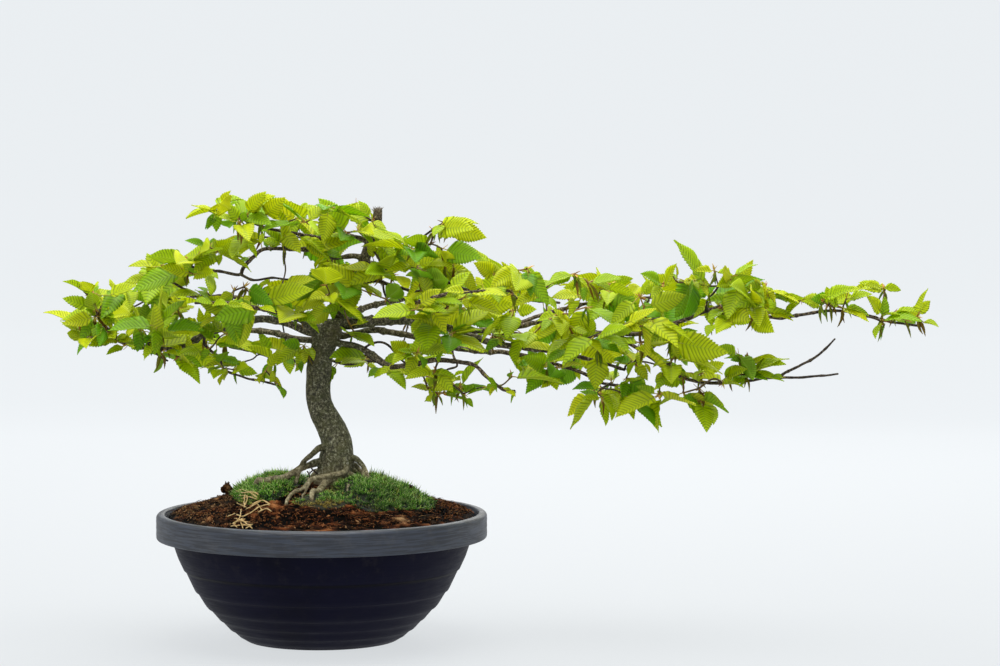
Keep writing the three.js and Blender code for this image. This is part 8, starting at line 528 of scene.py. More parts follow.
     "links": [[-1,7,1.6,1.45,[171.5,-13.0,302.4],[171.9,-12.3,305.8]],[7,10,1.42,1.27,[176.0,-17.7,304.6]],[10,5,1.34,1.21,[189.5,-21.1,309.1]],[5,4,1.3,1.17],[10,8,0.94,0.85,[187.6,-30.0,315.5],[187.3,-33.6,329.5]],[4,6,1.26,1.13,[214.7,-24.2,311.5],[227.8,-27.3,322.9]],[6,3,1.16,1.04,[244.8,-25.0,318.5]],[3,9,0.94,0.85,[250.1,-20.0,299.3]],[3,2,1.03,0.93,[260.9,-16.3,306.2]],[2,0,0.94,0.85,[271.9,-17.5,297.9]],[6,1,0.94,0.85,[248.6,-32.9,328.9],[253.6,-29.4,331.9]]],
     "leaves": [
      [0,-0.6,0.0,-7.9,-0.061,-0.002,-0.998,0.379,-0.926,-0.021,32.3,22.3,0.45,0.24,"y"],
      [1,-2.1,1.4,-4.3,-0.424,0.27,-0.864,-0.333,-0.935,-0.129,34.3,17.9,0.22,0.16],
      [2,3.7,-0.1,-1.8,0.89,-0.042,-0.454,0.301,-0.692,0.656,30.4,15.8,0.4,0.25,"d"],
      [3,-6.8,-5.8,-5.3,-0.664,-0.549,-0.508,-0.323,-0.402,0.857,29.2,15.2,0.31,0.29],
      [4,5.1,-1.5,2.2,0.884,-0.254,0.393,-0.43,-0.774,0.466,34.6,18.0,0.26,0.29,"y"],
      [5,-5.3,-0.7,3.6,-0.825,-0.111,0.554,0.562,-0.259,0.785,35.8,18.7,0.24,0.17,"y"],
      [6,0.2,-4.2,-2.5,0.052,-0.847,-0.528,0.386,-0.471,0.794,33.0,17.8,0.39,0.11,"y"],
      [7,1.5,4.0,-0.0,0.346,0.938,-0.009,0.265,-0.089,0.96,39.6,22.1,0.22,0.29],
      [8,-1.3,-6.4,-5.1,-0.155,-0.774,-0.613,0.074,-0.628,0.774,34.2,19.6,0.67,0.1],
      [9,-0.2,7.6,-0.3,-0.034,1.0,-0.023,-0.096,0.021,0.996,36.2,20.3,0.11,0.23],
      [10,2.6,-5.4,-0.1,0.433,-0.901,-0.035,-0.029,-0.052,0.998,51.1,29.4,0.38,0.09],
      [1,3.3,-2.5,-2.1,0.691,-0.532,-0.49,0.351,-0.345,0.871,45.5,23.4,0.57,0.26],
      [5,-1.3,-1.0,-4.2,-0.204,-0.084,-0.975,-0.7,-0.684,0.205,28.9,17.6,0.42,0.32],
      [8,4.5,-2.3,-0.2,0.925,-0.367,0.098,-0.38,-0.897,0.228,20.0,12.3,0.34,0.23],
      [3,0.3,1.1,-3.9,0.123,0.223,-0.967,-0.167,0.965,0.201,22.9,11.1,0.48,0.24],
      [2,-0.1,-2.8,3.3,0.091,-0.488,0.868,0.174,0.866,0.468,20.0,10.7,0.63,0.37],
      [4,2.6,1.4,2.5,0.62,0.474,0.625,-0.239,-0.645,0.726,20.0,10.4,0.23,0.34],
      [7,3.9,1.1,-1.1,0.932,0.152,-0.328,0.176,0.601,0.78,20.0,11.3,0.37,0.33],
      [8,-3.2,-1.7,-2.6,-0.637,-0.393,-0.663,-0.715,-0.022,0.699,46.0,24.1,0.43,0.3],
      [10,-1.1,-0.5,3.4,-0.306,-0.258,0.916,0.605,-0.796,-0.022,21.2,10.3,0.66,0.26],
      [6,-4.2,1.9,-1.2,-0.838,0.429,-0.337,-0.539,-0.558,0.631,20.1,11.1,0.53,0.21],
      [10,-2.8,-1.6,-2.3,-0.649,-0.373,-0.662,-0.237,-0.729,0.643,20.0,10.1,0.47,0.13],
     ]},
    {"nodes": [[198.4,98.2,353.5,1.06],[238.0,49.6,316.5,1.29],[226.6,65.6,322.1,1.17],[250.2,60.0,335.3,1.45]],
     "links": [[-1,3,1.31,1.16,[249.3,62.7,331.2],[249.9,61.2,333.7]],[3,1,1.1,0.99,[261.1,51.9,333.1]],[1,2,1.03,0.93,[232.0,59.9,320.3]],[2,0,0.94,0.85,[223.2,74.2,344.7],[208.7,90.4,340.1]]],
     "leaves": [
      [0,-5.2,0.1,-0.7,-0.99,0.019,-0.138,-0.045,0.895,0.443,42.8,25.0,0.33,0.27],
      [0,2.4,-2.7,-1.6,0.583,-0.702,-0.406,-0.517,-0.708,0.481,40.5,23.7,0.59,0.15,"d"],
      [0,-0.4,3.8,-3.1,-0.091,0.771,-0.63,-0.409,0.548,0.73,49.4,25.7,0.27,0.4,"y"],
      [1,3.2,0.1,-2.0,0.834,0.019,-0.551,0.007,0.999,0.045,42.7,25.3,0.38,0.11,"y"],
      [1,-2.9,1.8,-3.6,-0.592,0.36,-0.722,-0.016,0.889,0.458,47.2,24.6,0.47,0.33,"d"],
      [1,-0.4,1.9,-2.4,-0.121,0.616,-0.779,0.564,0.688,0.456,36.9,18.9,0.25,0.21,"y"],
      [2,0.7,4.4,-0.4,0.153,0.983,-0.099,0.958,-0.123,0.26,37.5,20.3,0.23,0.1,"y"],
      [3,1.2,-6.5,1.7,0.192,-0.95,0.248,-0.866,-0.045,0.496,37.2,18.9,0.51,0.31],
      [2,3.7,1.0,-0.7,0.945,0.29,-0.154,-0.223,0.911,0.346,20.0,11.9,0.49,0.36],
     ]},
    {"nodes": [[230.9,34.8,270.7,1.29],[225.6,22.3,273.1,1.06],[236.3,26.9,271.1,1.17],[229.3,40.4,275.7,1.45]],
     "links": [[-1,3,1.31,1.16,[229.9,44.4,275.1],[230.0,41.4,275.4]],[3,0,1.1,0.99],[0,2,1.03,0.93],[2,1,0.94,0.85]],
     "leaves": [
      [0,-3.1,-1.2,-3.1,-0.684,-0.254,-0.684,-0.118,-0.887,0.447,33.7,17.5,0.47,0.24,"d"],
      [0,-7.5,-1.6,4.6,-0.911,-0.409,-0.058,0.252,-0.661,0.707,29.1,15.2,0.2,0.33,"d"],
      [1,-3.0,-3.6,1.3,-0.615,-0.74,0.273,0.722,-0.667,-0.182,36.9,18.7,0.64,0.22],
      [2,-0.9,-4.3,-0.8,-0.206,-0.961,-0.184,0.6,-0.273,0.752,35.7,21.4,0.47,0.19,"d"],
      [2,3.8,-0.9,-0.0,0.975,-0.22,0.016,0.038,0.245,0.968,31.5,17.5,0.74,0.19,"y"],
      [1,2.3,1.9,3.3,0.624,0.352,0.698,-0.237,-0.765,0.599,20.0,10.3,0.63,0.15],
      [0,0.5,-1.9,-3.9,0.237,-0.305,-0.923,-0.097,-0.952,0.29,20.0,12.2,0.17,0.19],
      [3,3.5,-2.0,0.5,0.881,-0.454,0.136,-0.26,-0.223,0.94,31.1,17.4,0.4,0.17],
      [1,-1.9,2.2,3.5,-0.431,0.438,0.789,0.636,-0.473,0.61,20.0,10.1,0.39,0.23],
     ]},
    {"nodes": [[255.9,50.8,280.7,1.17]],
     "links": [[-1,0,1.09,0.94,[250.1,43.8,270.6],[251.2,45.3,272.8]]],
     "leaves": [
      [0,-2.3,3.0,-3.0,-0.475,0.616,-0.628,0.819,0.57,-0.059,44.6,24.2,0.46,0.34,"d"],
      [0,-4.2,0.6,0.8,-0.973,0.136,0.186,0.153,-0.22,0.963,38.8,21.6,0.51,0.2],
      [0,3.5,-1.5,-0.2,0.919,-0.388,-0.052,-0.371,-0.905,0.21,39.7,22.3,0.11,0.12,"y"],
     ]},
    {"nodes": [[281.0,45.9,342.2,1.29],[289.5,30.2,348.8,1.06],[282.9,55.4,350.5,1.51],[290.8,37.3,355.1,1.17],[275.3,59.3,358.3,1.06]],
     "links": [[-1,2,1.36,1.21,[277.6,77.1,335.3],[278.1,74.8,336.9],[280.1,62.7,345.0]],[2,4,0.94,0.85],[2,0,1.1,0.99],[0,3,1.03,0.93,[286.6,43.4,348.9]],[3,1,0.94,0.85]],
     "leaves": [
      [0,-1.3,-2.6,-2.4,-0.343,-0.692,-0.635,0.235,-0.718,0.655,38.5,20.9,0.54,0.34],
      [0,-2.3,2.3,0.4,-0.701,0.701,0.134,0.669,0.579,0.466,49.2,29.3,0.1,0.16],
      [0,5.8,-2.2,-3.2,0.826,-0.318,-0.465,-0.471,-0.845,-0.257,43.7,23.9,0.14,0.14,"d"],
      [1,3.1,-2.0,-2.3,0.693,-0.457,-0.559,-0.32,-0.889,0.33,36.0,20.8,0.22,0.09],
      [1,-0.6,-5.1,-1.8,-0.103,-0.939,-0.329,0.056,-0.335,0.94,35.1,18.3,0.72,0.28],
      [1,2.6,-1.2,-2.4,0.696,-0.313,-0.646,0.652,0.653,0.386,43.6,23.8,0.55,0.31,"y"],
      [2,3.5,-1.5,0.7,0.904,-0.378,0.19,0.201,0.78,0.594,28.6,16.9,0.54,0.36,"y"],
      [2,0.1,4.4,0.6,0.01,0.988,0.153,0.661,-0.122,0.741,50.4,26.3,0.58,0.26,"y"],
      [3,-2.5,4.6,-1.6,-0.454,0.842,-0.292,0.434,0.495,0.753,35.7,19.6,0.27,0.17,"y"],
      [3,-4.6,-0.5,0.9,-0.977,-0.098,0.189,0.113,0.515,0.85,35.4,19.5,0.2,0.09,"y"],
      [4,3.3,1.3,-0.4,0.923,0.37,-0.103,0.161,-0.129,0.979,33.3,17.3,0.22,0.31,"y"],
      [3,3.8,-1.7,1.1,0.898,-0.369,0.239,0.242,0.869,0.431,20.0,10.3,0.28,0.27],
     ]},
    {"nodes": [[280.7,14.9,250.9,1.63],[275.4,-0.8,247.5,1.17],[281.2,-12.6,243.4,1.06],[301.4,4.7,246.9,1.06],[297.6,56.4,248.6,1.29],[292.4,67.6,253.0,1.17],[270.7,77.7,240.2,1.06]],
     "links": [[-1,0,1.22,1.3,[287.3,25.1,254.0],[286.0,22.8,253.3]],[0,1,1.03,0.93,[277.5,6.9,248.7]],[1,2,0.94,0.85],[0,3,0.94,0.85,[292.2,10.3,250.0]],[0,4,1.1,0.99,[282.9,24.1,251.0],[291.6,39.8,247.0]],[4,5,1.03,0.93],[5,6,0.94,0.85,[284.4,74.6,246.9],[277.1,73.2,245.6]]],
     "leaves": [
      [0,-3.5,-1.8,0.0,-0.886,-0.463,-0.0,0.244,-0.467,0.85,29.3,15.2,0.46,0.3,"d"],
      [0,-0.6,-2.9,-11.9,0.162,-0.305,-0.939,0.712,-0.622,0.326,26.6,13.9,0.5,0.16],
      [1,-4.0,2.6,-5.8,-0.532,0.331,-0.779,-0.838,-0.333,0.432,40.8,21.1,0.24,0.21],
      [2,1.1,-3.9,-2.9,0.237,-0.781,-0.579,0.716,-0.262,0.647,29.3,15.2,0.48,0.24],
      [3,5.6,-7.2,-5.2,0.535,-0.679,-0.502,0.403,-0.318,0.858,46.4,23.5,0.24,0.2,"d"],
      [4,8.6,-2.6,-4.5,0.86,-0.259,-0.44,0.169,-0.668,0.725,38.3,22.9,0.25,0.42,"d"],
      [4,-0.0,-6.0,-3.3,0.015,-0.872,-0.489,-0.41,-0.453,0.791,40.9,23.0,0.39,0.24],
      [4,3.0,3.3,-3.0,0.569,0.616,-0.544,0.592,0.153,0.791,41.0,22.1,0.35,0.33],
      [5,0.0,5.2,1.3,0.002,0.969,0.249,-0.133,-0.246,0.96,30.1,17.4,0.67,0.09],
      [6,1.3,3.5,0.2,0.35,0.936,0.045,0.402,-0.193,0.895,39.5,21.2,0.56,0.15],
      [6,-2.7,2.1,-3.0,-0.602,0.458,-0.655,0.39,0.883,0.259,32.4,16.6,0.31,0.38,"y"],
      [3,4.0,-1.0,-3.1,0.74,-0.181,-0.647,0.46,-0.565,0.685,46.0,27.9,0.24,0.31],
      [2,-4.5,1.2,0.5,-0.915,0.275,0.296,0.072,-0.612,0.788,20.0,9.8,0.31,0.22],
      [1,3.2,1.7,-2.5,0.708,0.365,-0.605,0.578,-0.792,0.198,20.0,11.4,0.13,0.37],
      [2,-3.8,-1.9,0.2,-0.88,-0.475,0.009,0.266,-0.477,0.838,20.0,10.7,0.13,0.21],
      [4,3.5,-1.6,1.3,0.827,-0.4,0.395,-0.46,-0.077,0.884,21.1,13.0,0.53,0.27],
      [1,4.5,0.9,-0.3,0.938,0.346,-0.015,0.121,-0.287,0.95,20.0,9.7,0.2,0.32],
     ]},
    {"nodes": [[319.3,43.6,321.4,1.17],[333.3,48.8,347.4,1.38],[305.1,39.2,337.8,1.06]],
     "links": [[-1,1,1.2,1.1,[335.9,87.4,339.0],[335.7,84.6,339.5],[332.7,72.7,343.1],[335.7,64.8,343.8]],[1,0,1.03,0.93,[330.2,46.7,339.9],[323.6,47.9,328.5]],[0,2,0.94,0.85,[315.1,39.2,330.6]]],
     "leaves": [
      [0,3.1,7.2,-3.5,0.384,0.83,-0.407,0.682,-0.551,-0.478,47.2,26.9,0.45,0.14],
      [0,1.1,6.0,-3.3,0.137,0.866,-0.479,-0.763,0.402,0.507,35.1,20.4,0.69,0.07,"y"],
      [1,5.5,-12.3,2.8,0.386,-0.898,0.212,0.572,0.412,0.712,44.9,25.7,0.5,0.2],
      [1,-3.4,4.4,-9.1,-0.324,0.404,-0.856,-0.87,0.229,0.437,47.6,26.1,0.34,0.33,"d"],
      [1,5.0,8.8,1.1,0.496,0.866,0.079,0.167,-0.185,0.967,48.2,28.8,0.28,0.29,"y"],
      [2,4.2,8.3,3.1,0.411,0.856,0.314,0.449,-0.488,0.749,31.3,17.1,0.52,0.42,"y"],
     ]},
    {"nodes": [[305.1,3.1,262.4,1.06],[350.1,-15.3,284.7,1.06],[312.8,-2.0,277.9,1.51],[348.4,-19.8,278.8,1.24],[336.8,-24.1,247.8,1.06]],
     "links": [[-1,2,1.36,1.21,[318.9,-5.5,287.7],[317.3,-4.6,285.4]],[2,0,0.94,0.85,[308.7,0.4,269.5]],[2,3,1.1,0.99,[322.6,-16.7,279.8],[337.1,-22.4,277.0]],[3,1,0.94,0.85],[3,4,0.94,0.85,[340.8,-36.5,271.8],[337.4,-27.6,261.0]]],
     "leaves": [
      [0,3.7,-0.3,-3.3,0.747,-0.063,-0.661,-0.103,-0.995,-0.022,29.2,15.2,0.18,0.27,"d"],
      [1,5.6,-2.8,-1.9,0.863,-0.422,-0.278,0.231,-0.161,0.96,48.9,24.5,0.5,0.17,"y"],
      [2,-9.5,4.8,9.5,-0.666,0.329,0.67,0.611,-0.275,0.743,30.3,17.1,0.31,0.08,"y"],
      [2,0.3,3.7,0.8,0.088,0.975,0.204,-0.167,-0.187,0.968,31.8,17.3,0.47,0.26,"y"],
      [3,-0.1,-6.3,-2.7,-0.03,-0.921,-0.39,0.014,-0.391,0.92,38.9,21.3,0.2,0.39],
      [4,4.6,-6.1,-1.1,0.604,-0.786,-0.134,0.35,0.111,0.93,47.5,23.9,0.14,0.33,"y"],
      [4,-5.2,-2.6,-2.5,-0.825,-0.407,-0.392,-0.149,-0.513,0.846,47.5,27.4,0.26,0.34,"y"],
      [2,2.4,1.5,-2.7,0.564,0.279,-0.777,-0.011,0.944,0.331,20.0,11.4,0.38,0.33],
      [0,-0.8,-2.5,-3.3,-0.199,-0.557,-0.806,0.265,-0.822,0.503,20.0,10.9,0.18,0.34],
      [4,-4.8,1.7,0.9,-0.871,0.354,0.341,0.04,-0.641,0.767,20.0,12.2,0.24,0.31],
      [2,-3.7,2.4,0.2,-0.83,0.541,0.138,-0.248,-0.578,0.777,20.0,10.2,0.68,0.26],
      [0,1.8,-3.0,3.2,0.362,-0.642,0.676,-0.921,-0.36,0.151,20.0,9.6,0.57,0.32],
      [3,-0.5,0.4,3.9,-0.17,0.049,0.984,0.792,-0.587,0.166,32.3,18.4,0.6,0.32],
     ]},
    {"nodes": [[299.9,54.1,295.2,1.06],[328.1,44.6,287.6,1.45],[355.5,34.6,301.5,1.06],[343.9,44.0,302.0,1.17]],
     "links": [[-1,1,1.12,1.16,[304.5,21.1,270.5],[304.9,22.8,272.5],[314.4,26.3,280.5],[321.8,32.9,281.4]],[1,3,1.03,0.93,[335.9,45.0,291.1]],[3,2,0.94,0.85,[349.8,39.7,302.0]],[1,0,0.94,0.85]],
     "leaves": [
      [0,-1.0,2.9,-2.5,-0.261,0.722,-0.641,0.071,0.677,0.733,37.2,21.8,0.27,0.18,"y"],
      [0,1.0,2.4,-3.0,0.254,0.605,-0.754,0.737,0.384,0.556,35.4,18.0,0.71,0.3,"d"],
      [0,1.7,-3.0,-3.0,0.383,-0.647,-0.66,0.738,-0.215,0.639,43.6,24.8,0.6,0.25],
      [1,2.3,-0.4,-2.3,0.696,-0.132,-0.706,0.706,0.309,0.638,35.0,18.9,0.6,0.15],
      [1,-0.4,4.1,-1.0,-0.101,0.969,-0.227,0.672,0.235,0.701,32.1,17.3,0.13,0.2,"y"],
      [2,0.1,3.9,-1.6,0.015,0.925,-0.382,0.534,0.315,0.784,40.0,20.4,0.4,0.35,"d"],
      [2,1.7,3.6,-3.5,0.313,0.689,-0.653,0.88,-0.47,-0.075,41.6,24.3,0.23,0.18,"d"],
      [3,4.8,-3.2,2.0,0.786,-0.522,0.33,-0.323,0.109,0.94,37.7,21.3,0.6,0.33,"y"],
      [2,3.5,0.2,1.4,0.967,-0.055,0.248,-0.239,-0.529,0.814,20.0,11.0,0.5,0.36],
      [3,-0.5,1.3,4.4,-0.139,0.279,0.95,0.966,-0.174,0.193,32.2,17.9,0.5,0.22],
     ]},
    {"nodes": [[320.5,-40.1,335.5,1.17],[316.3,-41.2,345.9,1.06],[317.8,-30.4,317.9,1.38],[350.7,-35.2,312.5,1.63],[346.5,-35.0,302.1,1.51],[318.1,-24.0,299.4,1.45],[353.0,-28.0,292.0,1.06],[356.7,-28.2,312.1,1.72],[318.8,-35.9,324.5,1.29]],
     "links": [[-1,7,1.53,1.38,[354.0,-26.6,317.0],[355.0,-27.3,314.3]],[7,3,1.34,1.21],[3,4,1.3,1.17],[4,6,0.94,0.85],[4,5,1.21,1.09,[334.4,-34.3,305.1],[329.0,-25.9,302.5]],[5,2,1.16,1.04,[317.4,-26.4,308.0]],[2,8,1.1,0.99],[8,0,1.03,0.93],[0,1,0.94,0.85]],
     "leaves": [
      [0,6.6,-0.6,2.0,0.953,-0.101,0.286,0.108,0.994,-0.007,35.9,19.4,0.34,0.12,"u"],
      [1,-6.4,-2.7,-5.8,-0.717,-0.298,-0.631,-0.108,-0.846,0.522,31.1,16.2,0.33,0.25],
      [2,-4.7,-3.1,-1.6,-0.791,-0.536,-0.294,-0.61,0.668,0.426,29.3,15.2,0.48,0.12,"u"],
      [3,-6.6,-1.8,0.5,-0.962,-0.263,0.073,0.275,-0.934,0.227,29.3,15.2,0.47,0.24,"d"],
      [4,7.9,-4.6,-1.5,0.848,-0.507,-0.153,-0.521,-0.852,-0.056,55.5,27.7,0.38,0.12,"y"],
      [5,2.5,-4.4,-2.9,0.439,-0.756,-0.485,0.84,0.155,0.519,26.7,15.3,0.58,0.41],
      [5,2.9,1.4,0.1,0.894,0.446,0.037,0.298,-0.655,0.695,30.6,17.3,0.21,0.36,"y"],
      [7,4.8,4.0,-4.8,0.607,0.516,-0.604,0.626,0.156,0.763,47.9,25.8,0.62,0.33,"y"],
      [8,0.9,-2.9,-1.3,0.285,-0.87,-0.403,0.095,-0.393,0.915,30.6,16.8,0.16,0.4,"y"],
      [8,1.8,3.4,1.1,0.449,0.847,0.283,0.452,-0.489,0.746,31.8,19.0,0.52,0.12],
      [1,2.1,-3.1,2.9,0.461,-0.511,0.725,-0.873,-0.408,0.268,20.0,10.5,0.5,0.12],
      [6,0.8,2.0,3.8,0.075,0.506,0.86,-0.028,-0.861,0.509,20.2,11.4,0.46,0.41],
      [1,4.3,0.9,2.3,0.827,0.197,0.527,-0.431,0.823,0.37,20.0,10.3,0.69,0.33],
      [7,3.3,-0.7,-1.2,0.865,-0.212,-0.455,0.413,-0.213,0.885,20.0,12.3,0.38,0.3],
      [5,-4.1,1.1,-0.3,-0.988,0.152,-0.035,-0.076,-0.272,0.959,28.5,17.4,0.16,0.33],
     ]},
    {"nodes": [[338.5,-49.2,358.5,1.06],[380.5,-52.1,356.7,1.29],[389.0,-51.2,371.7,1.06],[405.2,-48.3,366.0,1.06],[393.4,-44.6,356.4,1.57],[367.7,-40.3,362.2,1.17]],
     "links": [[-1,4,1.41,1.26,[382.8,-31.2,333.3],[382.2,-32.7,335.6],[383.7,-34.0,342.2],[390.4,-40.1,350.8]],[4,1,1.1,0.99,[387.8,-49.3,356.6]],[4,3,0.94,0.85,[398.5,-47.2,363.6]],[4,2,0.94,0.85,[390.8,-45.5,365.6]],[1,5,1.03,0.93,[374.9,-44.4,358.7]],[5,0,0.94,0.85,[354.0,-40.9,359.9],[346.0,-45.9,368.2]]],
     "leaves": [
      [0,-2.7,-2.5,1.3,-0.691,-0.643,0.33,0.706,-0.505,0.497,29.3,15.2,0.47,0.22],
      [0,2.5,-2.7,-2.3,0.347,-0.501,0.792,-0.894,-0.435,0.117,29.1,15.2,0.15,0.24,"y"],
      [1,-2.8,-1.3,3.9,-0.564,-0.254,0.785,0.778,-0.481,0.404,52.1,26.2,0.33,0.12],
      [2,-2.8,-1.6,0.1,-0.87,-0.493,0.02,0.359,-0.605,0.711,20.4,10.6,0.25,0.52,"ys"],
      [3,-2.0,-3.1,-1.2,-0.526,-0.797,-0.299,0.722,-0.603,0.337,26.2,13.7,0.29,0.28,"u"],
      [3,-0.3,-5.2,-1.5,-0.347,-0.848,0.401,-0.928,0.375,-0.009,27.7,15.5,0.22,0.21,"y"],
      [4,4.7,0.4,0.9,0.974,0.09,0.205,-0.216,0.62,0.754,35.1,18.3,0.26,0.15,"u"],
      [5,0.3,3.9,-2.9,0.071,0.801,-0.594,0.113,0.586,0.803,43.6,25.3,0.7,0.41],
      [5,-1.3,2.5,-3.4,-0.292,0.558,-0.778,0.635,0.72,0.279,45.3,27.0,0.64,0.17,"d"],
      [5,-1.3,-3.7,-3.7,-0.233,-0.684,-0.691,0.928,-0.369,0.052,46.3,27.2,0.53,0.38,"d"],
      [3,4.5,-0.0,1.8,0.907,-0.06,0.416,-0.413,-0.309,0.857,24.0,11.9,0.63,0.18],
      [2,3.7,1.8,-1.5,0.88,0.346,-0.326,0.452,-0.395,0.8,20.0,10.1,0.51,0.37],
      [0,-2.1,-3.4,-2.0,-0.522,-0.654,-0.547,-0.035,-0.624,0.78,20.0,10.1,0.63,0.15],
     ]},
    {"nodes": [[360.7,-14.7,248.6,1.29],[377.0,-10.5,252.9,1.38],[361.1,-7.2,261.2,1.17],[425.3,-16.2,282.6,1.17],[422.3,-15.1,267.3,1.29],[400.9,-10.8,258.3,1.51],[380.8,15.2,265.7,1.06],[415.9,-18.3,287.0,1.06],[379.1,-10.7,240.9,1.06],[408.4,-3.6,263.7,1.77]],
     "links": [[-1,9,1.37,1.42,[408.9,-3.4,260.8],[408.6,-3.6,263.6]],[9,5,1.26,1.13],[9,4,1.1,0.99,[415.5,-10.1,266.2]],[4,3,1.03,0.93,[425.6,-14.7,273.6]],[3,7,0.94,0.85],[5,1,1.21,1.09,[391.5,-6.7,262.2]],[1,8,0.94,0.85],[1,0,1.1,0.99],[0,2,1.03,0.93,[361.8,-11.4,253.1]],[2,6,0.94,0.85,[368.4,1.7,267.3],[375.9,8.7,265.1]]],
     "leaves": [
      [0,3.1,0.9,-4.0,0.633,0.196,-0.749,0.683,-0.597,0.422,35.7,18.2,0.44,0.11],
      [1,4.6,2.4,-3.9,0.698,0.382,-0.607,0.565,0.229,0.792,31.5,16.3,0.27,0.29],
      [2,-3.4,-2.0,0.0,-0.862,-0.507,-0.0,0.468,-0.795,0.387,29.1,15.2,0.23,0.24],
      [3,4.2,1.9,-0.4,0.905,0.412,-0.107,-0.078,0.408,0.91,34.8,18.0,0.37,0.24],
      [3,-2.2,0.7,4.2,-0.044,0.625,-0.78,0.918,-0.28,-0.277,23.9,12.4,0.34,0.55,"ds"],
      [4,5.7,-1.5,-1.0,0.958,-0.235,-0.157,0.081,-0.306,0.949,33.8,17.5,0.51,0.25],
      [5,2.0,-3.0,-0.4,0.538,-0.839,-0.075,0.343,0.134,0.93,30.0,15.5,0.55,0.16],
      [5,3.5,-2.8,6.3,0.633,-0.707,0.316,-0.753,-0.466,0.465,29.2,15.2,0.41,0.25],
      [6,-0.2,6.4,1.0,-0.024,0.988,0.157,0.584,-0.113,0.805,47.0,26.1,0.6,0.18,"y"],
      [6,-4.7,2.7,-1.9,-0.814,0.477,-0.331,-0.203,0.3,0.932,49.6,25.8,0.51,0.2],
      [7,1.3,-3.2,-2.5,0.311,-0.743,-0.592,0.757,0.57,-0.318,34.2,17.4,0.3,0.35,"d"],
      [8,1.9,3.2,-3.7,0.379,0.607,-0.699,0.519,0.486,0.704,32.7,17.2,0.68,0.29],
      [8,1.3,3.0,-0.2,0.38,0.922,-0.069,0.92,-0.37,0.127,34.8,18.7,0.63,0.22,"y"],
      [9,1.5,2.8,0.3,0.465,0.882,0.078,0.589,-0.374,0.717,31.2,16.9,0.15,0.08],
      [6,2.9,1.6,1.8,0.895,0.253,0.368,0.122,-0.931,0.343,23.3,12.8,0.21,0.22],
      [7,-3.2,-1.1,1.7,-0.834,-0.39,0.39,0.537,-0.737,0.412,20.0,12.3,0.31,0.15],
      [4,3.7,-1.1,1.2,0.92,-0.166,0.357,-0.381,-0.141,0.914,42.8,21.2,0.53,0.11],
      [1,-0.4,2.1,-4.1,-0.119,0.443,-0.888,0.635,0.722,0.275,20.0,11.1,0.17,0.1],
      [5,4.9,-0.4,0.5,0.952,-0.258,0.162,-0.271,-0.474,0.838,20.0,10.9,0.15,0.11],
      [6,-1.9,-0.8,3.4,-0.453,-0.226,0.862,0.85,0.182,0.495,20.0,10.5,0.69,0.15],
      [8,0.3,-3.3,-3.7,0.114,-0.615,-0.781,0.384,-0.698,0.605,33.4,20.1,0.51,0.13],
      [6,0.6,-1.9,3.5,0.08,-0.409,0.909,0.666,0.7,0.257,20.0,9.9,0.14,0.1],
      [0,-3.8,-0.7,-1.3,-0.878,-0.069,-0.472,-0.461,0.383,0.8,24.7,14.6,0.15,0.28],
      [8,-3.7,-2.7,0.3,-0.786,-0.597,0.164,0.595,-0.656,0.464,20.0,11.7,0.24,0.26],
      [3,-3.8,-0.5,-0.1,-0.989,-0.142,0.052,-0.012,0.415,0.91,20.0,11.7,0.32,0.27],
     ]},
    {"nodes": [[376.7,54.3,341.1,1.29],[394.7,37.9,317.1,1.17],[448.1,54.6,341.4,1.06],[383.6,63.8,354.0,1.45]],
     "links": [[-1,3,0.96,1.16,[384.4,84.8,339.7],[384.8,82.8,341.5],[385.5,72.3,346.9]],[3,0,1.1,0.99,[378.9,59.9,346.8]],[0,1,1.03,0.93,[380.3,51.2,331.4],[388.1,43.3,325.1]],[1,2,0.94,0.85]],
     "leaves": [
      [0,-2.8,-1.3,-3.1,-0.647,-0.287,-0.707,-0.437,-0.62,0.651,46.2,26.8,0.16,0.18,"d"],
      [0,2.7,-0.9,1.3,0.859,-0.279,0.429,-0.454,-0.803,0.385,20.8,10.5,0.35,0.09,"d"],
      [0,0.4,-3.1,1.0,0.13,-0.941,0.313,-0.061,0.308,0.95,39.5,22.6,0.57,0.31,"y"],
      [1,3.4,3.0,1.1,0.735,0.638,0.23,-0.677,0.706,0.206,38.0,19.5,0.15,0.18],
      [2,-0.1,5.0,-0.1,-0.019,0.999,-0.017,0.011,0.017,1.0,32.8,18.3,0.39,0.32],
      [2,3.8,3.5,-0.8,0.724,0.671,-0.161,0.037,0.195,0.98,35.1,17.8,0.5,0.35,"d"],
      [3,2.7,0.2,-3.4,0.625,0.05,-0.779,0.769,-0.212,0.603,52.0,26.7,0.14,0.21,"y"],
      [3,-1.4,4.4,0.3,-0.308,0.949,0.066,0.762,0.204,0.615,32.1,16.7,0.71,0.08,"y"],
      [1,-1.5,-3.4,-2.9,-0.319,-0.748,-0.581,-0.258,-0.521,0.813,20.0,11.0,0.57,0.25],
     ]},
    {"nodes": [[388.0,-13.3,341.8,1.06],[397.4,-40.4,334.7,1.24],[429.1,-38.6,330.6,1.81],[439.4,-40.9,354.4,1.06],[444.3,-39.7,346.1,1.24],[476.1,-32.0,341.6,1.06],[440.6,-36.8,331.3,1.38],[426.5,-43.6,337.8,1.51],[403.3,-50.4,324.0,1.06],[411.0,-33.5,343.5,1.38],[414.3,-37.1,357.2,1.06]],
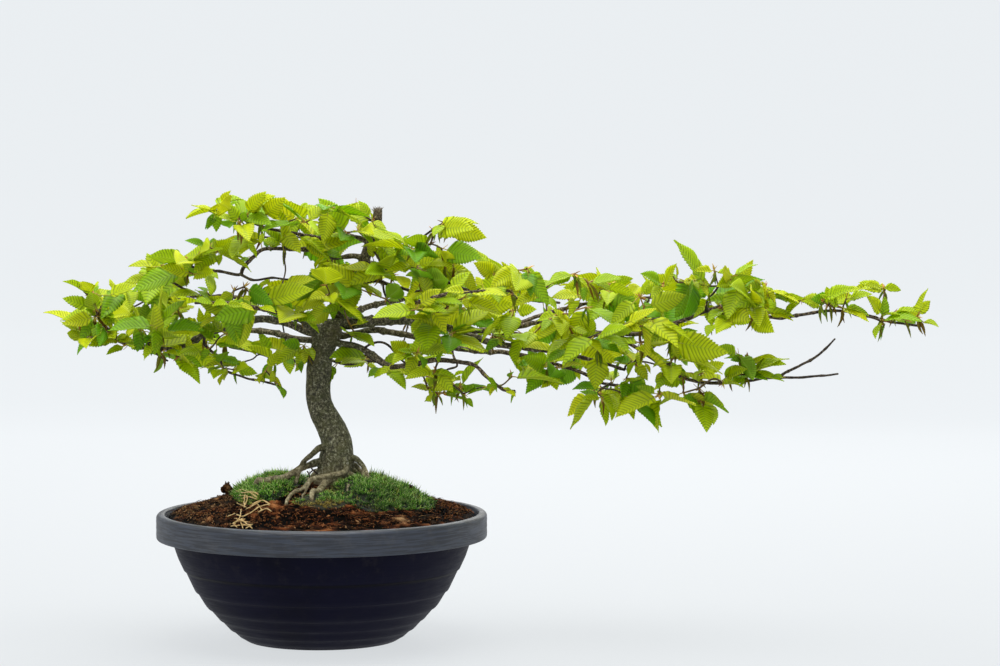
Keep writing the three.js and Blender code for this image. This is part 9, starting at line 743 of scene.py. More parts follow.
     "links": [[-1,2,1.6,1.45,[427.6,-32.3,331.1],[427.9,-35.2,331.0]],[2,7,1.26,1.13],[2,6,1.16,1.04],[6,4,1.1,0.99,[442.3,-38.8,340.3]],[4,3,0.94,0.85],[7,9,1.21,1.09,[418.4,-40.5,343.2]],[9,10,0.94,0.85,[413.2,-31.0,351.5]],[9,1,1.1,0.99,[405.1,-35.2,338.9]],[1,8,0.94,0.85,[400.3,-42.8,329.4]],[1,0,0.94,0.85,[394.6,-31.4,339.2],[390.5,-22.9,340.8]],[4,5,0.94,0.85,[455.1,-40.3,347.6],[463.1,-38.9,341.3]]],
     "leaves": [
      [0,6.2,1.0,2.2,0.929,0.169,0.33,-0.173,-0.586,0.792,51.3,25.6,0.37,0.24,"d"],
      [1,3.4,-3.1,-1.4,0.701,-0.649,-0.294,-0.537,-0.752,0.381,32.9,20.7,0.29,0.19,"y"],
      [2,3.1,-7.3,-3.3,0.364,-0.846,-0.389,-0.818,-0.49,0.302,37.1,22.6,0.43,0.22,"y"],
      [3,5.3,-2.3,-2.4,0.847,-0.381,-0.37,0.305,-0.219,0.926,31.2,16.2,0.31,0.13,"y"],
      [4,2.5,-1.9,-0.9,0.783,-0.563,-0.263,0.543,0.413,0.732,17.4,9.0,0.45,0.68,"ds"],
      [5,-1.9,-1.9,-1.9,-0.556,-0.581,-0.594,-0.472,-0.368,0.801,23.9,12.4,0.39,0.55,"s"],
      [6,3.3,-0.9,-0.6,0.951,-0.254,-0.174,0.284,0.508,0.813,25.6,13.3,0.26,0.33,"u"],
      [7,-0.8,-7.5,3.1,-0.097,-0.924,0.371,0.817,0.139,0.559,35.8,19.3,0.6,0.4,"y"],
      [7,0.4,-3.0,-1.9,0.122,-0.832,-0.541,0.064,-0.537,0.841,34.4,18.5,0.4,0.39,"y"],
      [7,-2.0,-3.6,1.8,-0.456,-0.805,0.379,0.822,-0.216,0.528,49.9,27.6,0.57,0.26],
      [8,-2.3,-4.7,-1.9,-0.4,-0.849,-0.347,0.282,-0.473,0.835,31.2,16.6,0.54,0.19,"y"],
      [9,3.6,2.8,-2.7,0.687,0.526,-0.502,-0.052,0.724,0.688,44.4,22.4,0.65,0.19,"y"],
      [9,2.2,6.3,1.2,0.325,0.928,0.183,0.893,-0.365,0.264,38.4,22.6,0.74,0.08],
      [10,-1.7,-2.9,-4.2,-0.308,-0.541,-0.783,-0.216,-0.762,0.611,36.6,19.7,0.26,0.09],
      [0,0.5,-0.7,-5.0,0.005,-0.25,-0.968,-0.416,-0.881,0.225,21.2,13.0,0.24,0.21],
      [2,1.8,3.0,1.4,0.433,0.793,0.428,0.568,-0.609,0.554,46.5,26.1,0.63,0.18],
      [4,4.8,1.2,-0.6,0.951,0.257,-0.172,0.124,0.19,0.973,41.0,23.1,0.15,0.3],
      [0,-1.9,4.2,-1.4,-0.428,0.808,-0.404,-0.773,-0.56,-0.299,21.4,11.2,0.59,0.24],
      [9,3.9,-0.5,2.5,0.909,-0.024,0.416,-0.406,-0.281,0.87,21.5,11.8,0.19,0.33],
      [3,-3.3,-2.7,0.3,-0.829,-0.557,0.053,-0.485,0.763,0.428,20.0,11.7,0.3,0.15],
     ]},
    {"nodes": [[498.0,-27.6,340.6,1.06],[521.7,-22.5,342.7,1.06],[562.2,-7.9,352.0,1.06],[558.5,-17.7,328.6,1.45],[518.2,-24.2,333.9,1.38],[569.4,-15.2,328.4,1.38],[593.9,-11.9,325.0,1.17],[582.1,-14.2,321.9,1.29],[557.6,-18.6,320.4,1.85],[506.4,-19.5,344.1,1.06],[504.1,-23.1,336.2,1.24],[590.9,-1.5,325.9,1.06]],
     "links": [[-1,8,1.12,1.48,[555.5,-11.8,322.1],[555.9,-14.5,321.6]],[8,3,1.26,1.13],[3,5,1.16,1.04],[5,7,1.1,0.99,[577.2,-14.2,324.2]],[7,6,1.03,0.93],[6,11,0.94,0.85],[3,2,0.94,0.85,[559.4,-14.2,339.8]],[8,4,1.21,1.09,[545.7,-20.8,324.6],[532.3,-18.6,326.2]],[4,1,0.94,0.85],[4,10,1.1,0.99,[510.0,-23.6,335.5]],[10,0,0.94,0.85],[10,9,0.94,0.85]],
     "leaves": [
      [0,-3.3,5.2,-0.1,-0.54,0.84,0.011,0.834,0.535,0.142,29.1,15.2,0.26,0.27,"u"],
      [0,4.2,-3.4,3.9,0.771,-0.542,0.335,-0.626,-0.545,0.559,30.9,16.1,0.27,0.34],
      [1,4.0,-2.7,1.0,0.821,-0.539,0.189,-0.507,-0.535,0.676,23.8,12.4,0.3,0.28],
      [2,-5.2,-4.5,1.2,-0.74,-0.645,0.194,0.603,-0.506,0.616,22.9,11.9,0.43,0.16,"y"],
      [2,-1.4,-3.6,1.3,0.938,0.302,-0.166,0.339,-0.894,0.293,18.4,9.5,0.5,0.52,"s"],
      [3,-2.7,-3.2,2.6,-0.547,-0.66,0.515,0.801,-0.592,0.092,29.1,15.2,0.19,0.12,"y"],
      [4,3.0,-0.8,-0.9,0.926,-0.254,-0.279,0.135,-0.466,0.874,23.9,12.4,0.33,0.6,"s"],
      [5,2.8,-1.7,0.2,0.853,-0.517,0.068,-0.241,-0.276,0.93,23.8,12.4,0.26,0.66,"s"],
      [6,1.4,-4.5,5.5,0.185,-0.641,0.746,-0.786,0.359,0.502,30.5,15.9,0.26,0.31],
      [6,6.0,-1.4,-5.9,0.75,-0.621,-0.231,-0.001,-0.35,0.937,18.0,9.4,0.39,0.54,"s"],
      [7,-1.7,2.7,-0.3,-0.534,0.843,-0.08,-0.454,-0.205,0.866,24.0,12.4,0.49,0.25],
      [8,-1.4,-2.7,-2.7,-0.318,-0.675,-0.666,-0.694,-0.313,0.649,20.6,10.6,0.47,0.23],
      [9,3.7,-2.9,1.2,0.76,-0.604,0.24,-0.483,-0.277,0.831,31.5,15.9,0.48,0.18,"y"],
      [10,5.3,5.1,1.6,0.722,0.655,0.222,0.348,-0.621,0.702,30.6,16.4,0.62,0.22],
      [11,-1.8,7.6,-1.6,-0.24,0.942,-0.237,0.736,0.336,0.588,36.1,18.3,0.23,0.12,"d"],
      [2,-3.5,-1.2,1.2,-0.933,-0.282,0.223,0.339,-0.486,0.805,25.1,13.9,0.16,0.1],
      [7,3.1,2.7,2.9,0.77,0.37,0.519,0.326,-0.928,0.178,20.0,11.2,0.63,0.22],
      [8,1.3,-0.4,4.6,0.084,0.075,0.994,0.29,-0.956,0.048,20.0,10.2,0.24,0.25],
      [4,-4.5,-1.2,2.2,-0.785,-0.404,0.469,0.619,-0.516,0.592,24.5,12.9,0.12,0.19],
      [11,3.7,2.4,2.2,0.737,0.38,0.559,0.401,-0.912,0.092,20.0,11.6,0.52,0.41],
      [2,-4.7,0.8,0.6,-0.969,0.239,-0.055,-0.172,-0.499,0.849,20.0,11.8,0.31,0.41],
      [3,4.1,-1.4,-0.9,0.889,-0.451,-0.078,0.031,-0.111,0.993,20.0,11.1,0.38,0.2],
      [9,-4.2,-3.0,0.1,-0.833,-0.55,-0.056,0.55,-0.835,0.007,20.0,11.9,0.6,0.17],
     ]},
]
STRAW = {"straw_1":[[-83.0,-26.5,150.3,0.7],[-79.0,-34.3,153.1,0.7],[-75.0,-42.2,154.1,0.7],[-71.0,-50.0,153.5,0.7],[-64.7,-58.0,153.4,0.7],[-58.3,-66.0,153.2,0.7]],"straw_2":[[-70.9,-76.0,142.6,0.65],[-69.4,-64.0,148.2,0.65],[-71.0,-56.5,150.7,0.65]],"straw_3":[[-63.7,-80.0,144.1,0.7],[-54.2,-76.0,147.5,0.7],[-45.6,-86.0,144.8,0.7]],"straw_4":[[-77.8,-97.0,136.2,0.6],[-70.3,-106.0,135.4,0.6],[-64.9,-100.5,137.7,0.6]],"rootlet_1":[[-78.6,-122.0,130.5,0.8],[-72.3,-116.5,132.8,0.8],[-65.9,-124.0,131.7,0.8]],"rootlet_2":[[-70.2,-130.0,129.5,0.7],[-65.3,-131.5,129.8,0.7],[-58.6,-131.0,130.7,0.7]]}
LUMPS = {
    "clod": (np.array([-96.7,2.0,151.5]), np.array([6, 5.5, 6]), 0.8, 0.25, "clod"),
    "bark_chip": (np.array([89.7,-14.0,154.0]), np.array([2.6, 2.2, 2.2]), 0.6, 0.3, "bark_chip"),
}
# smaller leaves that fill the crown: number, knot, blade base, direction, normal, length, width, droop, fold
EXTRA = {
    18: [[0,-10.6,-46.5,420.2,-13.7,-50.4,423.7,-0.594,-0.633,0.496,0.318,0.381,0.868,34.0,18.8,0.28,0.37],[1,23.1,-18.0,430.5,28.7,-19.6,433.1,0.866,0.178,0.467,-0.494,0.16,0.855,12.0,7.0,0.27,0.19],[2,6.1,-27.9,431.4,12.4,-29.8,430.4,0.982,-0.052,-0.179,0.186,0.35,0.918,40.0,21.5,0.57,0.16],[3,49.7,4.6,420.4,51.7,1.8,418.7,0.864,-0.195,-0.464,0.211,-0.695,0.687,15.0,7.9,0.26,0.15],[4,-2.5,-41.0,425.5,1.1,-40.4,427.2,0.967,0.011,0.254,-0.194,-0.612,0.766,15.0,7.3,0.57,0.31]],
    23: [[0,118.4,-56.2,415.6,125.2,-55.1,418.4,0.623,0.774,0.111,-0.08,-0.079,0.994,34.0,17.4,0.19,0.22],[1,93.3,-26.1,372.9,88.5,-25.8,375.4,-0.556,0.198,0.807,0.468,-0.728,0.501,29.1,15.9,0.27,0.16],[2,124.2,-49.0,377.7,126.8,-47.1,371.0,0.496,0.323,-0.806,0.706,-0.691,0.157,29.3,14.1,0.58,0.37],[3,117.8,-47.0,415.3,124.8,-47.9,414.7,0.99,-0.111,0.09,-0.125,-0.361,0.924,34.0,18.0,0.68,0.17],[4,118.4,-56.2,415.6,122.9,-54.5,419.6,0.92,-0.129,0.371,-0.38,-0.526,0.76,12.0,7.1,0.63,0.3],[5,94.7,-38.8,380.4,92.1,-34.2,377.7,-0.655,0.397,-0.643,-0.638,-0.747,0.189,13.0,7.0,0.24,0.33],[6,121.5,-58.1,418.2,122.1,-59.9,414.9,0.336,-0.433,-0.837,0.346,-0.77,0.537,12.0,6.6,0.14,0.36],[7,99.4,-40.8,372.4,102.6,-44.4,372.8,0.757,-0.649,0.082,-0.291,-0.222,0.931,40.0,22.0,0.39,0.39],[8,95.6,-36.1,375.9,91.8,-36.8,376.3,-0.974,0.008,-0.227,-0.197,-0.524,0.828,27.4,13.8,0.44,0.24]],
    21: [[0,41.4,31.5,276.5,44.2,36.1,273.7,0.88,0.149,-0.452,0.44,-0.614,0.655,12.0,7.0,0.24,0.32],[1,78.7,90.5,294.6,81.2,90.9,290.7,0.634,-0.245,-0.733,0.46,-0.643,0.613,23.3,12.8,0.62,0.38],[2,44.1,67.7,278.4,40.1,69.4,277.4,-0.843,0.467,0.267,-0.224,-0.755,0.616,15.6,7.5,0.49,0.28],[3,41.4,31.5,276.5,39.9,28.1,277.9,-0.518,-0.854,-0.04,0.377,-0.271,0.886,40.0,19.2,0.54,0.21]],
    17: [[0,60.6,-32.5,323.9,68.0,-30.9,324.7,0.972,-0.214,-0.095,-0.11,-0.775,0.623,12.5,6.9,0.73,0.32],[1,16.2,22.4,276.9,12.4,18.7,271.7,-0.432,-0.385,-0.816,-0.494,-0.655,0.571,34.0,19.9,0.5,0.27],[2,12.7,-18.1,334.8,17.8,-16.5,332.1,0.903,-0.071,-0.424,0.327,-0.526,0.785,34.0,17.0,0.41,0.33],[3,-19.6,-35.9,321.7,-21.5,-32.3,327.3,-0.407,0.511,0.757,0.718,-0.333,0.611,12.0,5.5,0.2,0.45],[4,44.7,1.2,359.2,47.0,1.2,355.0,0.194,-0.346,-0.918,0.098,-0.924,0.369,12.0,7.1,0.73,0.15],[5,16.2,22.4,276.9,10.1,22.1,272.9,-0.65,0.314,-0.692,-0.705,0.092,0.703,34.0,18.1,0.33,0.29],[6,62.8,-12.3,343.0,67.1,-13.6,341.7,0.947,-0.293,-0.129,-0.034,-0.493,0.87,12.0,7.1,0.21,0.11],[7,25.1,-10.4,350.7,24.4,-9.8,347.1,-0.377,0.332,-0.865,-0.645,0.576,0.502,33.9,17.5,0.66,0.3],[8,22.4,-6.7,333.5,25.6,-10.7,337.3,0.525,-0.454,0.72,0.527,0.838,0.144,29.0,16.2,0.47,0.21],[9,9.5,-40.6,347.7,7.5,-45.2,347.2,-0.702,-0.694,-0.159,0.309,-0.498,0.81,23.0,12.9,0.45,0.15],[10,-22.6,-43.2,324.3,-19.6,-49.7,325.2,0.822,-0.564,-0.079,-0.346,-0.605,0.717,22.2,11.8,0.28,0.19],[11,23.2,-13.5,338.9,20.1,-20.3,336.1,-0.844,-0.454,-0.288,0.271,-0.822,0.5,20.9,9.7,0.3,0.24],[12,30.7,-27.9,316.0,36.1,-26.9,317.8,0.93,0.234,0.283,-0.063,-0.658,0.751,15.0,7.1,0.2,0.15],[13,41.7,-10.7,350.9,37.5,-12.3,352.8,-0.793,-0.018,0.609,0.375,-0.803,0.464,40.0,19.6,0.28,0.18],[14,-12.2,-37.1,336.3,-15.0,-39.9,335.0,-0.594,-0.687,-0.419,0.263,-0.658,0.706,15.0,8.2,0.39,0.22]],
    39: [[0,405.4,-2.6,258.5,399.8,1.2,260.4,-0.882,0.472,-0.002,-0.111,-0.205,0.972,34.0,19.9,0.6,0.18],[1,425.5,-15.1,275.9,428.5,-16.0,278.5,0.901,0.146,0.409,-0.098,-0.85,0.518,12.0,6.8,0.34,0.16],[2,384.7,0.4,258.5,378.5,-2.7,259.7,-0.902,-0.345,0.26,0.235,0.112,0.965,34.0,19.2,0.63,0.31],[3,399.3,-10.1,258.9,403.2,-12.4,263.5,0.446,-0.234,0.864,-0.871,-0.336,0.359,15.1,7.6,0.67,0.34],[4,422.3,-15.1,267.3,428.3,-11.5,269.4,0.958,0.166,0.232,-0.257,0.153,0.954,34.0,16.5,0.25,0.34],[5,423.1,-15.0,268.9,420.2,-11.5,264.5,-0.168,0.54,-0.824,0.875,0.468,0.129,12.8,6.6,0.74,0.37],[6,379.1,-10.7,240.9,381.4,-14.8,243.4,0.663,-0.647,-0.376,0.619,0.192,0.762,34.0,19.5,0.13,0.35],[7,410.2,-5.2,264.3,407.5,-7.0,262.3,-0.635,-0.61,-0.474,0.028,-0.632,0.775,12.0,5.5,0.36,0.13],[8,364.8,-2.8,264.2,371.6,-2.3,264.8,0.923,0.01,0.384,-0.313,-0.56,0.767,12.2,5.6,0.2,0.44],[9,424.8,-14.8,272.0,431.5,-16.9,273.8,0.872,-0.473,0.129,-0.324,-0.359,0.875,34.0,17.6,0.19,0.4],[10,361.2,-13.1,250.8,360.2,-9.2,255.2,-0.017,0.714,0.7,0.007,-0.7,0.714,12.0,6.6,0.68,0.14],[11,425.3,-16.2,282.6,421.0,-17.2,282.7,-0.958,-0.282,-0.061,0.227,-0.868,0.442,14.3,6.9,0.17,0.35],[12,368.8,1.6,261.3,363.1,-0.7,264.7,-0.86,-0.25,0.445,0.461,-0.006,0.887,34.0,19.6,0.51,0.44],[13,404.6,-7.2,261.0,410.4,-10.8,264.0,0.811,-0.584,-0.029,-0.006,-0.057,0.998,40.0,23.5,0.37,0.13],[14,360.7,-14.7,248.6,364.6,-15.7,245.4,0.956,0.056,-0.286,0.228,0.469,0.853,23.4,13.0,0.26,0.31],[15,463.7,-11.0,263.8,460.0,-14.7,264.4,-0.788,-0.613,0.056,0.435,-0.491,0.755,15.0,6.9,0.43,0.36]],
    42: [[0,516.2,-24.1,334.3,519.4,-27.1,333.5,0.69,-0.624,-0.367,0.223,-0.299,0.928,31.7,19.0,0.23,0.15],[1,561.1,-10.3,347.4,560.6,-5.4,349.9,0.005,0.768,0.64,0.203,-0.628,0.751,12.0,5.5,0.49,0.21],[2,508.9,-16.9,330.5,507.4,-18.2,333.4,-0.233,-0.414,0.88,0.51,0.718,0.473,25.0,13.6,0.67,0.25],[3,561.9,-8.7,350.5,559.4,-5.4,352.0,-0.823,0.567,0.037,0.466,0.638,0.613,29.9,15.8,0.64,0.22],[4,555.6,-19.0,321.1,559.7,-22.9,321.6,0.855,-0.519,-0.009,-0.167,-0.291,0.942,40.0,19.9,0.58,0.29]],
    8: [[0,-89.2,-43.3,330.6,-95.4,-43.3,335.3,-0.711,-0.454,0.537,0.67,-0.204,0.714,34.0,19.2,0.13,0.13],[1,-107.0,-46.5,347.4,-109.9,-40.9,350.1,-0.757,0.568,0.321,0.144,-0.334,0.931,13.6,6.3,0.69,0.21],[2,-54.6,-81.2,336.0,-59.8,-84.1,335.0,-0.964,-0.134,-0.229,0.095,-0.98,0.174,40.0,23.7,0.19,0.16],[3,-57.7,-83.8,336.7,-53.8,-86.3,338.0,0.713,-0.66,-0.238,-0.034,-0.372,0.928,22.0,10.6,0.46,0.27],[4,-79.2,-101.2,341.6,-75.1,-104.3,340.6,0.944,-0.026,-0.33,0.265,-0.537,0.801,18.1,9.2,0.5,0.32],[5,-101.1,-110.6,342.9,-97.5,-112.9,341.8,0.765,-0.643,0.019,-0.41,-0.464,0.785,20.2,10.2,0.53,0.24],[6,-87.8,-43.1,328.8,-86.4,-46.0,325.2,0.312,-0.491,-0.813,-0.111,-0.869,0.483,33.6,16.8,0.55,0.28],[7,-97.3,-109.4,342.8,-98.7,-113.0,343.5,-0.839,-0.535,0.099,0.389,-0.462,0.797,19.0,10.5,0.25,0.16],[8,-89.6,-106.9,342.7,-83.4,-110.6,342.0,0.986,0.022,-0.165,0.086,-0.918,0.386,15.0,7.6,0.51,0.23],[9,-67.2,-65.6,351.9,-66.5,-71.5,348.3,-0.238,-0.749,-0.618,0.121,-0.654,0.747,15.0,7.0,0.62,0.2]],
    4: [[0,-147.6,26.1,334.5,-152.1,27.9,333.2,-0.826,-0.115,-0.552,-0.166,-0.886,0.433,34.0,17.9,0.25,0.29],[1,-150.6,55.5,358.0,-146.9,57.7,360.1,0.912,0.355,0.206,-0.046,-0.41,0.911,15.4,8.0,0.41,0.17],[2,-138.6,65.5,364.3,-140.5,62.6,366.5,-0.172,-0.7,0.693,0.965,-0.26,-0.023,12.0,6.8,0.36,0.28],[3,-171.6,44.9,372.3,-168.4,46.0,373.6,0.846,0.415,0.333,0.052,-0.687,0.724,12.0,6.3,0.47,0.3],[4,-145.5,58.2,360.8,-149.5,55.7,357.0,-0.655,-0.323,-0.683,-0.157,-0.826,0.541,40.0,22.0,0.54,0.29],[5,-170.9,61.2,338.6,-166.5,56.3,337.6,0.825,-0.556,0.103,-0.173,-0.075,0.982,34.6,16.4,0.37,0.13]],
    30: [[0,229.3,40.4,275.7,225.6,34.0,275.4,-0.609,-0.711,-0.353,0.054,-0.481,0.875,34.0,20.1,0.29,0.43],[1,191.6,41.9,284.0,192.9,39.5,279.5,0.376,-0.641,-0.669,0.856,-0.037,0.516,34.0,19.9,0.74,0.36],[2,233.4,46.5,273.7,229.1,44.0,269.7,-0.277,-0.792,-0.544,0.901,-0.411,0.14,34.0,18.7,0.29,0.45],[3,191.6,41.9,284.0,194.2,42.7,280.7,0.574,0.187,-0.797,0.612,-0.745,0.265,32.3,17.5,0.33,0.2]],
    26: [[0,179.8,-50.9,259.4,176.6,-54.8,258.3,-0.452,-0.755,-0.476,-0.472,-0.25,0.845,17.6,9.4,0.43,0.37],[1,142.1,-27.3,249.0,144.9,-27.2,244.2,0.571,0.329,-0.752,0.633,-0.76,0.148,12.0,6.6,0.37,0.13],[2,176.9,-49.4,258.2,182.1,-53.5,256.7,0.667,-0.57,-0.481,0.046,-0.612,0.789,13.6,6.5,0.25,0.1],[3,160.3,-43.2,256.1,165.1,-47.5,257.3,0.88,-0.454,0.138,-0.467,-0.881,0.082,12.0,5.6,0.32,0.34],[4,165.0,-59.2,268.4,167.8,-60.3,265.5,0.731,0.083,-0.677,0.607,0.374,0.701,12.0,6.8,0.27,0.22],[5,118.2,-50.4,270.2,122.3,-51.2,269.2,0.933,0.136,-0.333,0.235,-0.931,0.279,12.0,5.7,0.52,0.19],[6,186.8,-56.2,265.3,187.9,-59.7,267.3,0.297,-0.794,0.53,-0.427,0.386,0.817,12.0,6.8,0.48,0.38],[7,190.5,-65.5,254.7,193.6,-60.4,253.5,-0.375,-0.055,-0.926,-0.88,0.336,0.336,12.0,6.8,0.19,0.33],[8,116.6,-47.7,280.2,117.4,-53.0,282.1,0.421,-0.249,0.872,-0.714,-0.685,0.149,12.0,6.6,0.68,0.36],[9,166.9,-45.7,256.9,160.5,-46.4,254.5,-0.877,0.341,-0.338,-0.422,-0.213,0.881,16.8,8.1,0.42,0.12],[10,116.0,-52.3,273.1,118.8,-55.0,271.1,0.591,-0.205,-0.78,0.026,-0.962,0.273,23.2,12.2,0.13,0.23],[11,161.6,-57.8,271.5,166.2,-63.2,268.5,0.524,-0.288,-0.802,0.705,-0.381,0.598,18.4,10.8,0.35,0.26],[12,180.5,-63.5,256.8,185.7,-67.9,255.0,0.516,-0.79,-0.331,0.037,-0.365,0.93,15.0,7.4,0.15,0.2]],
    24: [[0,110.9,-66.9,333.8,109.6,-68.2,338.4,-0.008,-0.502,0.865,-0.896,0.389,0.217,19.5,11.5,0.53,0.22],[1,125.2,-39.8,310.1,129.2,-40.1,310.5,0.956,0.292,0.023,-0.088,0.212,0.973,32.6,19.5,0.71,0.34],[2,139.5,-57.8,343.8,143.2,-57.5,345.8,0.992,-0.027,0.125,-0.128,-0.182,0.975,19.1,9.1,0.26,0.13],[3,145.7,-113.8,353.3,145.9,-112.5,347.9,0.068,0.386,-0.92,-0.352,0.872,0.34,12.0,6.7,0.67,0.14],[4,111.1,-65.9,335.5,113.7,-68.7,331.1,0.51,-0.158,-0.845,0.329,-0.873,0.361,23.2,13.1,0.34,0.32],[5,98.1,-90.7,336.0,101.7,-91.4,341.1,0.793,-0.164,0.586,-0.34,-0.918,0.204,25.0,14.8,0.23,0.25],[6,122.2,-53.8,341.6,124.6,-58.2,340.9,0.67,-0.687,-0.282,-0.097,-0.458,0.884,15.0,8.2,0.47,0.18],[7,108.5,-68.1,343.3,111.7,-75.1,344.1,0.789,-0.611,-0.063,-0.094,-0.221,0.971,40.0,18.4,0.14,0.17],[8,98.1,-90.7,336.0,103.4,-94.3,336.0,0.881,-0.416,-0.226,-0.081,-0.603,0.793,15.0,7.9,0.53,0.37],[9,122.2,-40.8,313.2,118.4,-46.2,314.2,-0.793,-0.531,0.3,0.427,-0.133,0.894,40.0,20.4,0.49,0.36],[10,98.9,-89.1,335.9,96.1,-91.0,339.0,-0.784,-0.018,0.621,0.557,-0.461,0.69,15.0,7.7,0.39,0.23],[11,107.7,-67.1,346.0,107.6,-68.6,350.5,-0.325,-0.168,0.931,0.409,0.862,0.299,25.6,14.9,0.38,0.37],[12,141.5,-112.2,353.0,138.1,-118.7,352.8,-0.725,-0.669,-0.161,0.329,-0.543,0.772,15.0,8.6,0.43,0.16],[13,109.8,-67.0,339.4,104.3,-70.5,340.4,-0.727,-0.669,-0.157,0.221,-0.444,0.868,26.8,15.4,0.51,0.12],[14,100.6,-85.9,335.6,105.1,-88.5,336.9,0.828,-0.546,-0.126,-0.208,-0.508,0.835,26.6,15.1,0.15,0.38],[15,114.8,-40.0,329.0,112.3,-47.3,327.9,-0.573,-0.664,-0.48,-0.488,-0.193,0.851,34.5,18.5,0.33,0.38],[16,130.6,-106.2,351.3,132.7,-106.7,356.0,0.712,0.222,0.666,-0.212,-0.836,0.506,23.5,13.3,0.61,0.25]],
    27: [[0,174.6,-68.0,367.6,169.0,-65.6,371.4,-0.643,0.217,0.734,0.599,-0.455,0.659,34.0,16.6,0.19,0.34],[1,182.6,-71.8,358.1,178.4,-71.1,364.5,-0.437,0.354,0.827,0.604,0.797,-0.022,20.1,10.1,0.41,0.17],[2,162.6,-119.8,354.5,162.0,-118.7,360.5,-0.567,0.508,0.648,-0.407,-0.857,0.316,12.0,7.0,0.44,0.2],[3,228.8,-75.5,360.3,236.3,-74.5,358.7,0.937,0.343,-0.066,0.021,0.133,0.991,13.7,7.1,0.4,0.24],[4,149.9,-115.2,353.6,144.5,-119.7,354.0,-0.933,-0.359,0.041,0.293,-0.684,0.668,21.9,10.5,0.49,0.37],[5,204.6,-96.2,375.2,205.6,-99.7,368.3,0.54,-0.038,-0.841,0.605,-0.677,0.419,35.2,19.9,0.4,0.19],[6,270.6,-47.7,361.2,273.0,-50.2,360.0,0.764,-0.46,-0.453,0.114,-0.595,0.795,19.0,10.3,0.25,0.3],[7,177.8,-70.0,363.6,177.5,-74.5,359.5,-0.001,-0.821,-0.571,-0.225,-0.556,0.8,29.3,15.4,0.18,0.19],[8,217.9,-83.3,353.5,214.4,-84.9,349.7,-0.885,-0.04,-0.464,-0.274,-0.76,0.59,24.5,14.6,0.58,0.36],[9,200.0,-72.8,347.0,197.6,-76.3,351.0,-0.476,-0.441,0.761,-0.7,0.713,-0.025,15.0,8.0,0.51,0.32],[10,264.8,-54.4,359.9,261.6,-56.5,356.2,-0.08,0.175,-0.981,-0.074,0.981,0.181,15.0,7.1,0.64,0.36],[11,149.9,-115.2,353.6,153.3,-118.5,352.8,0.848,-0.53,-0.031,-0.13,-0.264,0.956,37.3,22.0,0.31,0.18]],
    16: [[0,7.5,92.6,338.4,8.7,95.7,345.1,-0.026,-0.086,0.996,0.926,-0.378,-0.009,34.0,18.9,0.32,0.27],[1,1.2,95.7,322.7,3.6,97.7,321.0,0.682,0.523,-0.51,0.684,-0.211,0.699,12.0,6.9,0.16,0.41]],
    37: [[0,288.8,-63.7,314.6,291.2,-61.2,319.2,0.789,0.302,0.535,-0.421,-0.368,0.829,12.0,5.7,0.3,0.25],[1,354.5,-27.0,315.6,350.5,-30.9,315.4,-0.501,-0.611,-0.613,-0.105,-0.66,0.744,22.4,10.8,0.24,0.31],[2,323.8,-74.1,324.4,325.9,-77.7,324.6,0.631,-0.422,-0.651,0.236,-0.695,0.679,40.0,22.8,0.27,0.31],[3,298.9,-69.1,318.8,303.8,-70.9,321.8,0.827,-0.357,0.435,-0.562,-0.49,0.667,32.2,15.6,0.36,0.16],[4,306.9,-71.1,320.8,307.5,-76.3,320.1,0.568,-0.736,-0.368,-0.708,-0.665,0.238,15.0,8.6,0.61,0.37],[5,350.7,-35.2,312.5,346.1,-39.2,312.8,-0.853,-0.166,-0.495,-0.237,-0.722,0.65,23.1,12.5,0.19,0.32],[6,332.3,-75.6,326.2,334.7,-78.0,324.1,0.828,0.089,-0.554,0.554,-0.283,0.783,40.0,19.1,0.4,0.16],[7,328.0,-74.9,325.3,323.2,-76.1,325.3,-0.877,-0.452,-0.163,-0.046,-0.26,0.965,15.9,7.8,0.33,0.2],[8,319.6,-73.4,323.5,314.9,-75.2,321.7,-0.907,-0.314,-0.282,-0.271,-0.078,0.959,23.9,11.1,0.36,0.22],[9,298.9,-69.1,318.8,301.4,-71.7,318.3,0.939,-0.263,0.221,-0.329,-0.499,0.802,26.8,15.1,0.3,0.13],[10,347.2,-35.0,303.8,348.7,-36.4,300.0,0.359,0.379,-0.853,0.636,-0.768,-0.074,19.1,10.6,0.52,0.29],[11,319.6,-73.4,323.5,317.3,-75.9,318.8,0.082,0.262,-0.961,0.941,0.298,0.162,33.1,19.8,0.47,0.37]],
    25: [[0,130.5,28.5,289.3,134.2,33.6,289.4,0.62,0.759,0.201,-0.03,-0.233,0.972,34.0,17.4,0.49,0.19],[1,107.2,82.8,382.5,104.4,80.9,380.7,-0.145,-0.432,-0.89,-0.235,-0.859,0.455,32.3,16.7,0.72,0.25],[2,151.2,34.1,288.0,152.2,36.4,290.4,0.562,0.488,0.668,-0.802,0.126,0.583,33.7,16.6,0.6,0.3],[3,151.2,34.1,288.0,147.4,32.1,288.6,-0.958,-0.17,0.23,0.282,-0.439,0.853,12.0,6.4,0.56,0.12],[4,117.6,87.8,377.9,116.1,86.8,382.2,-0.184,-0.145,0.972,0.117,0.979,0.169,12.0,5.6,0.3,0.41],[5,104.2,80.3,383.6,99.8,85.5,386.6,-0.698,0.701,-0.147,-0.013,0.194,0.981,34.0,18.8,0.74,0.21],[6,168.1,37.5,286.2,164.4,40.2,286.1,-0.926,0.347,0.149,0.089,-0.183,0.979,17.1,9.0,0.26,0.35],[7,168.1,37.5,286.2,163.2,33.8,287.7,-0.869,-0.448,0.208,0.471,-0.625,0.623,23.2,10.8,0.62,0.15]],
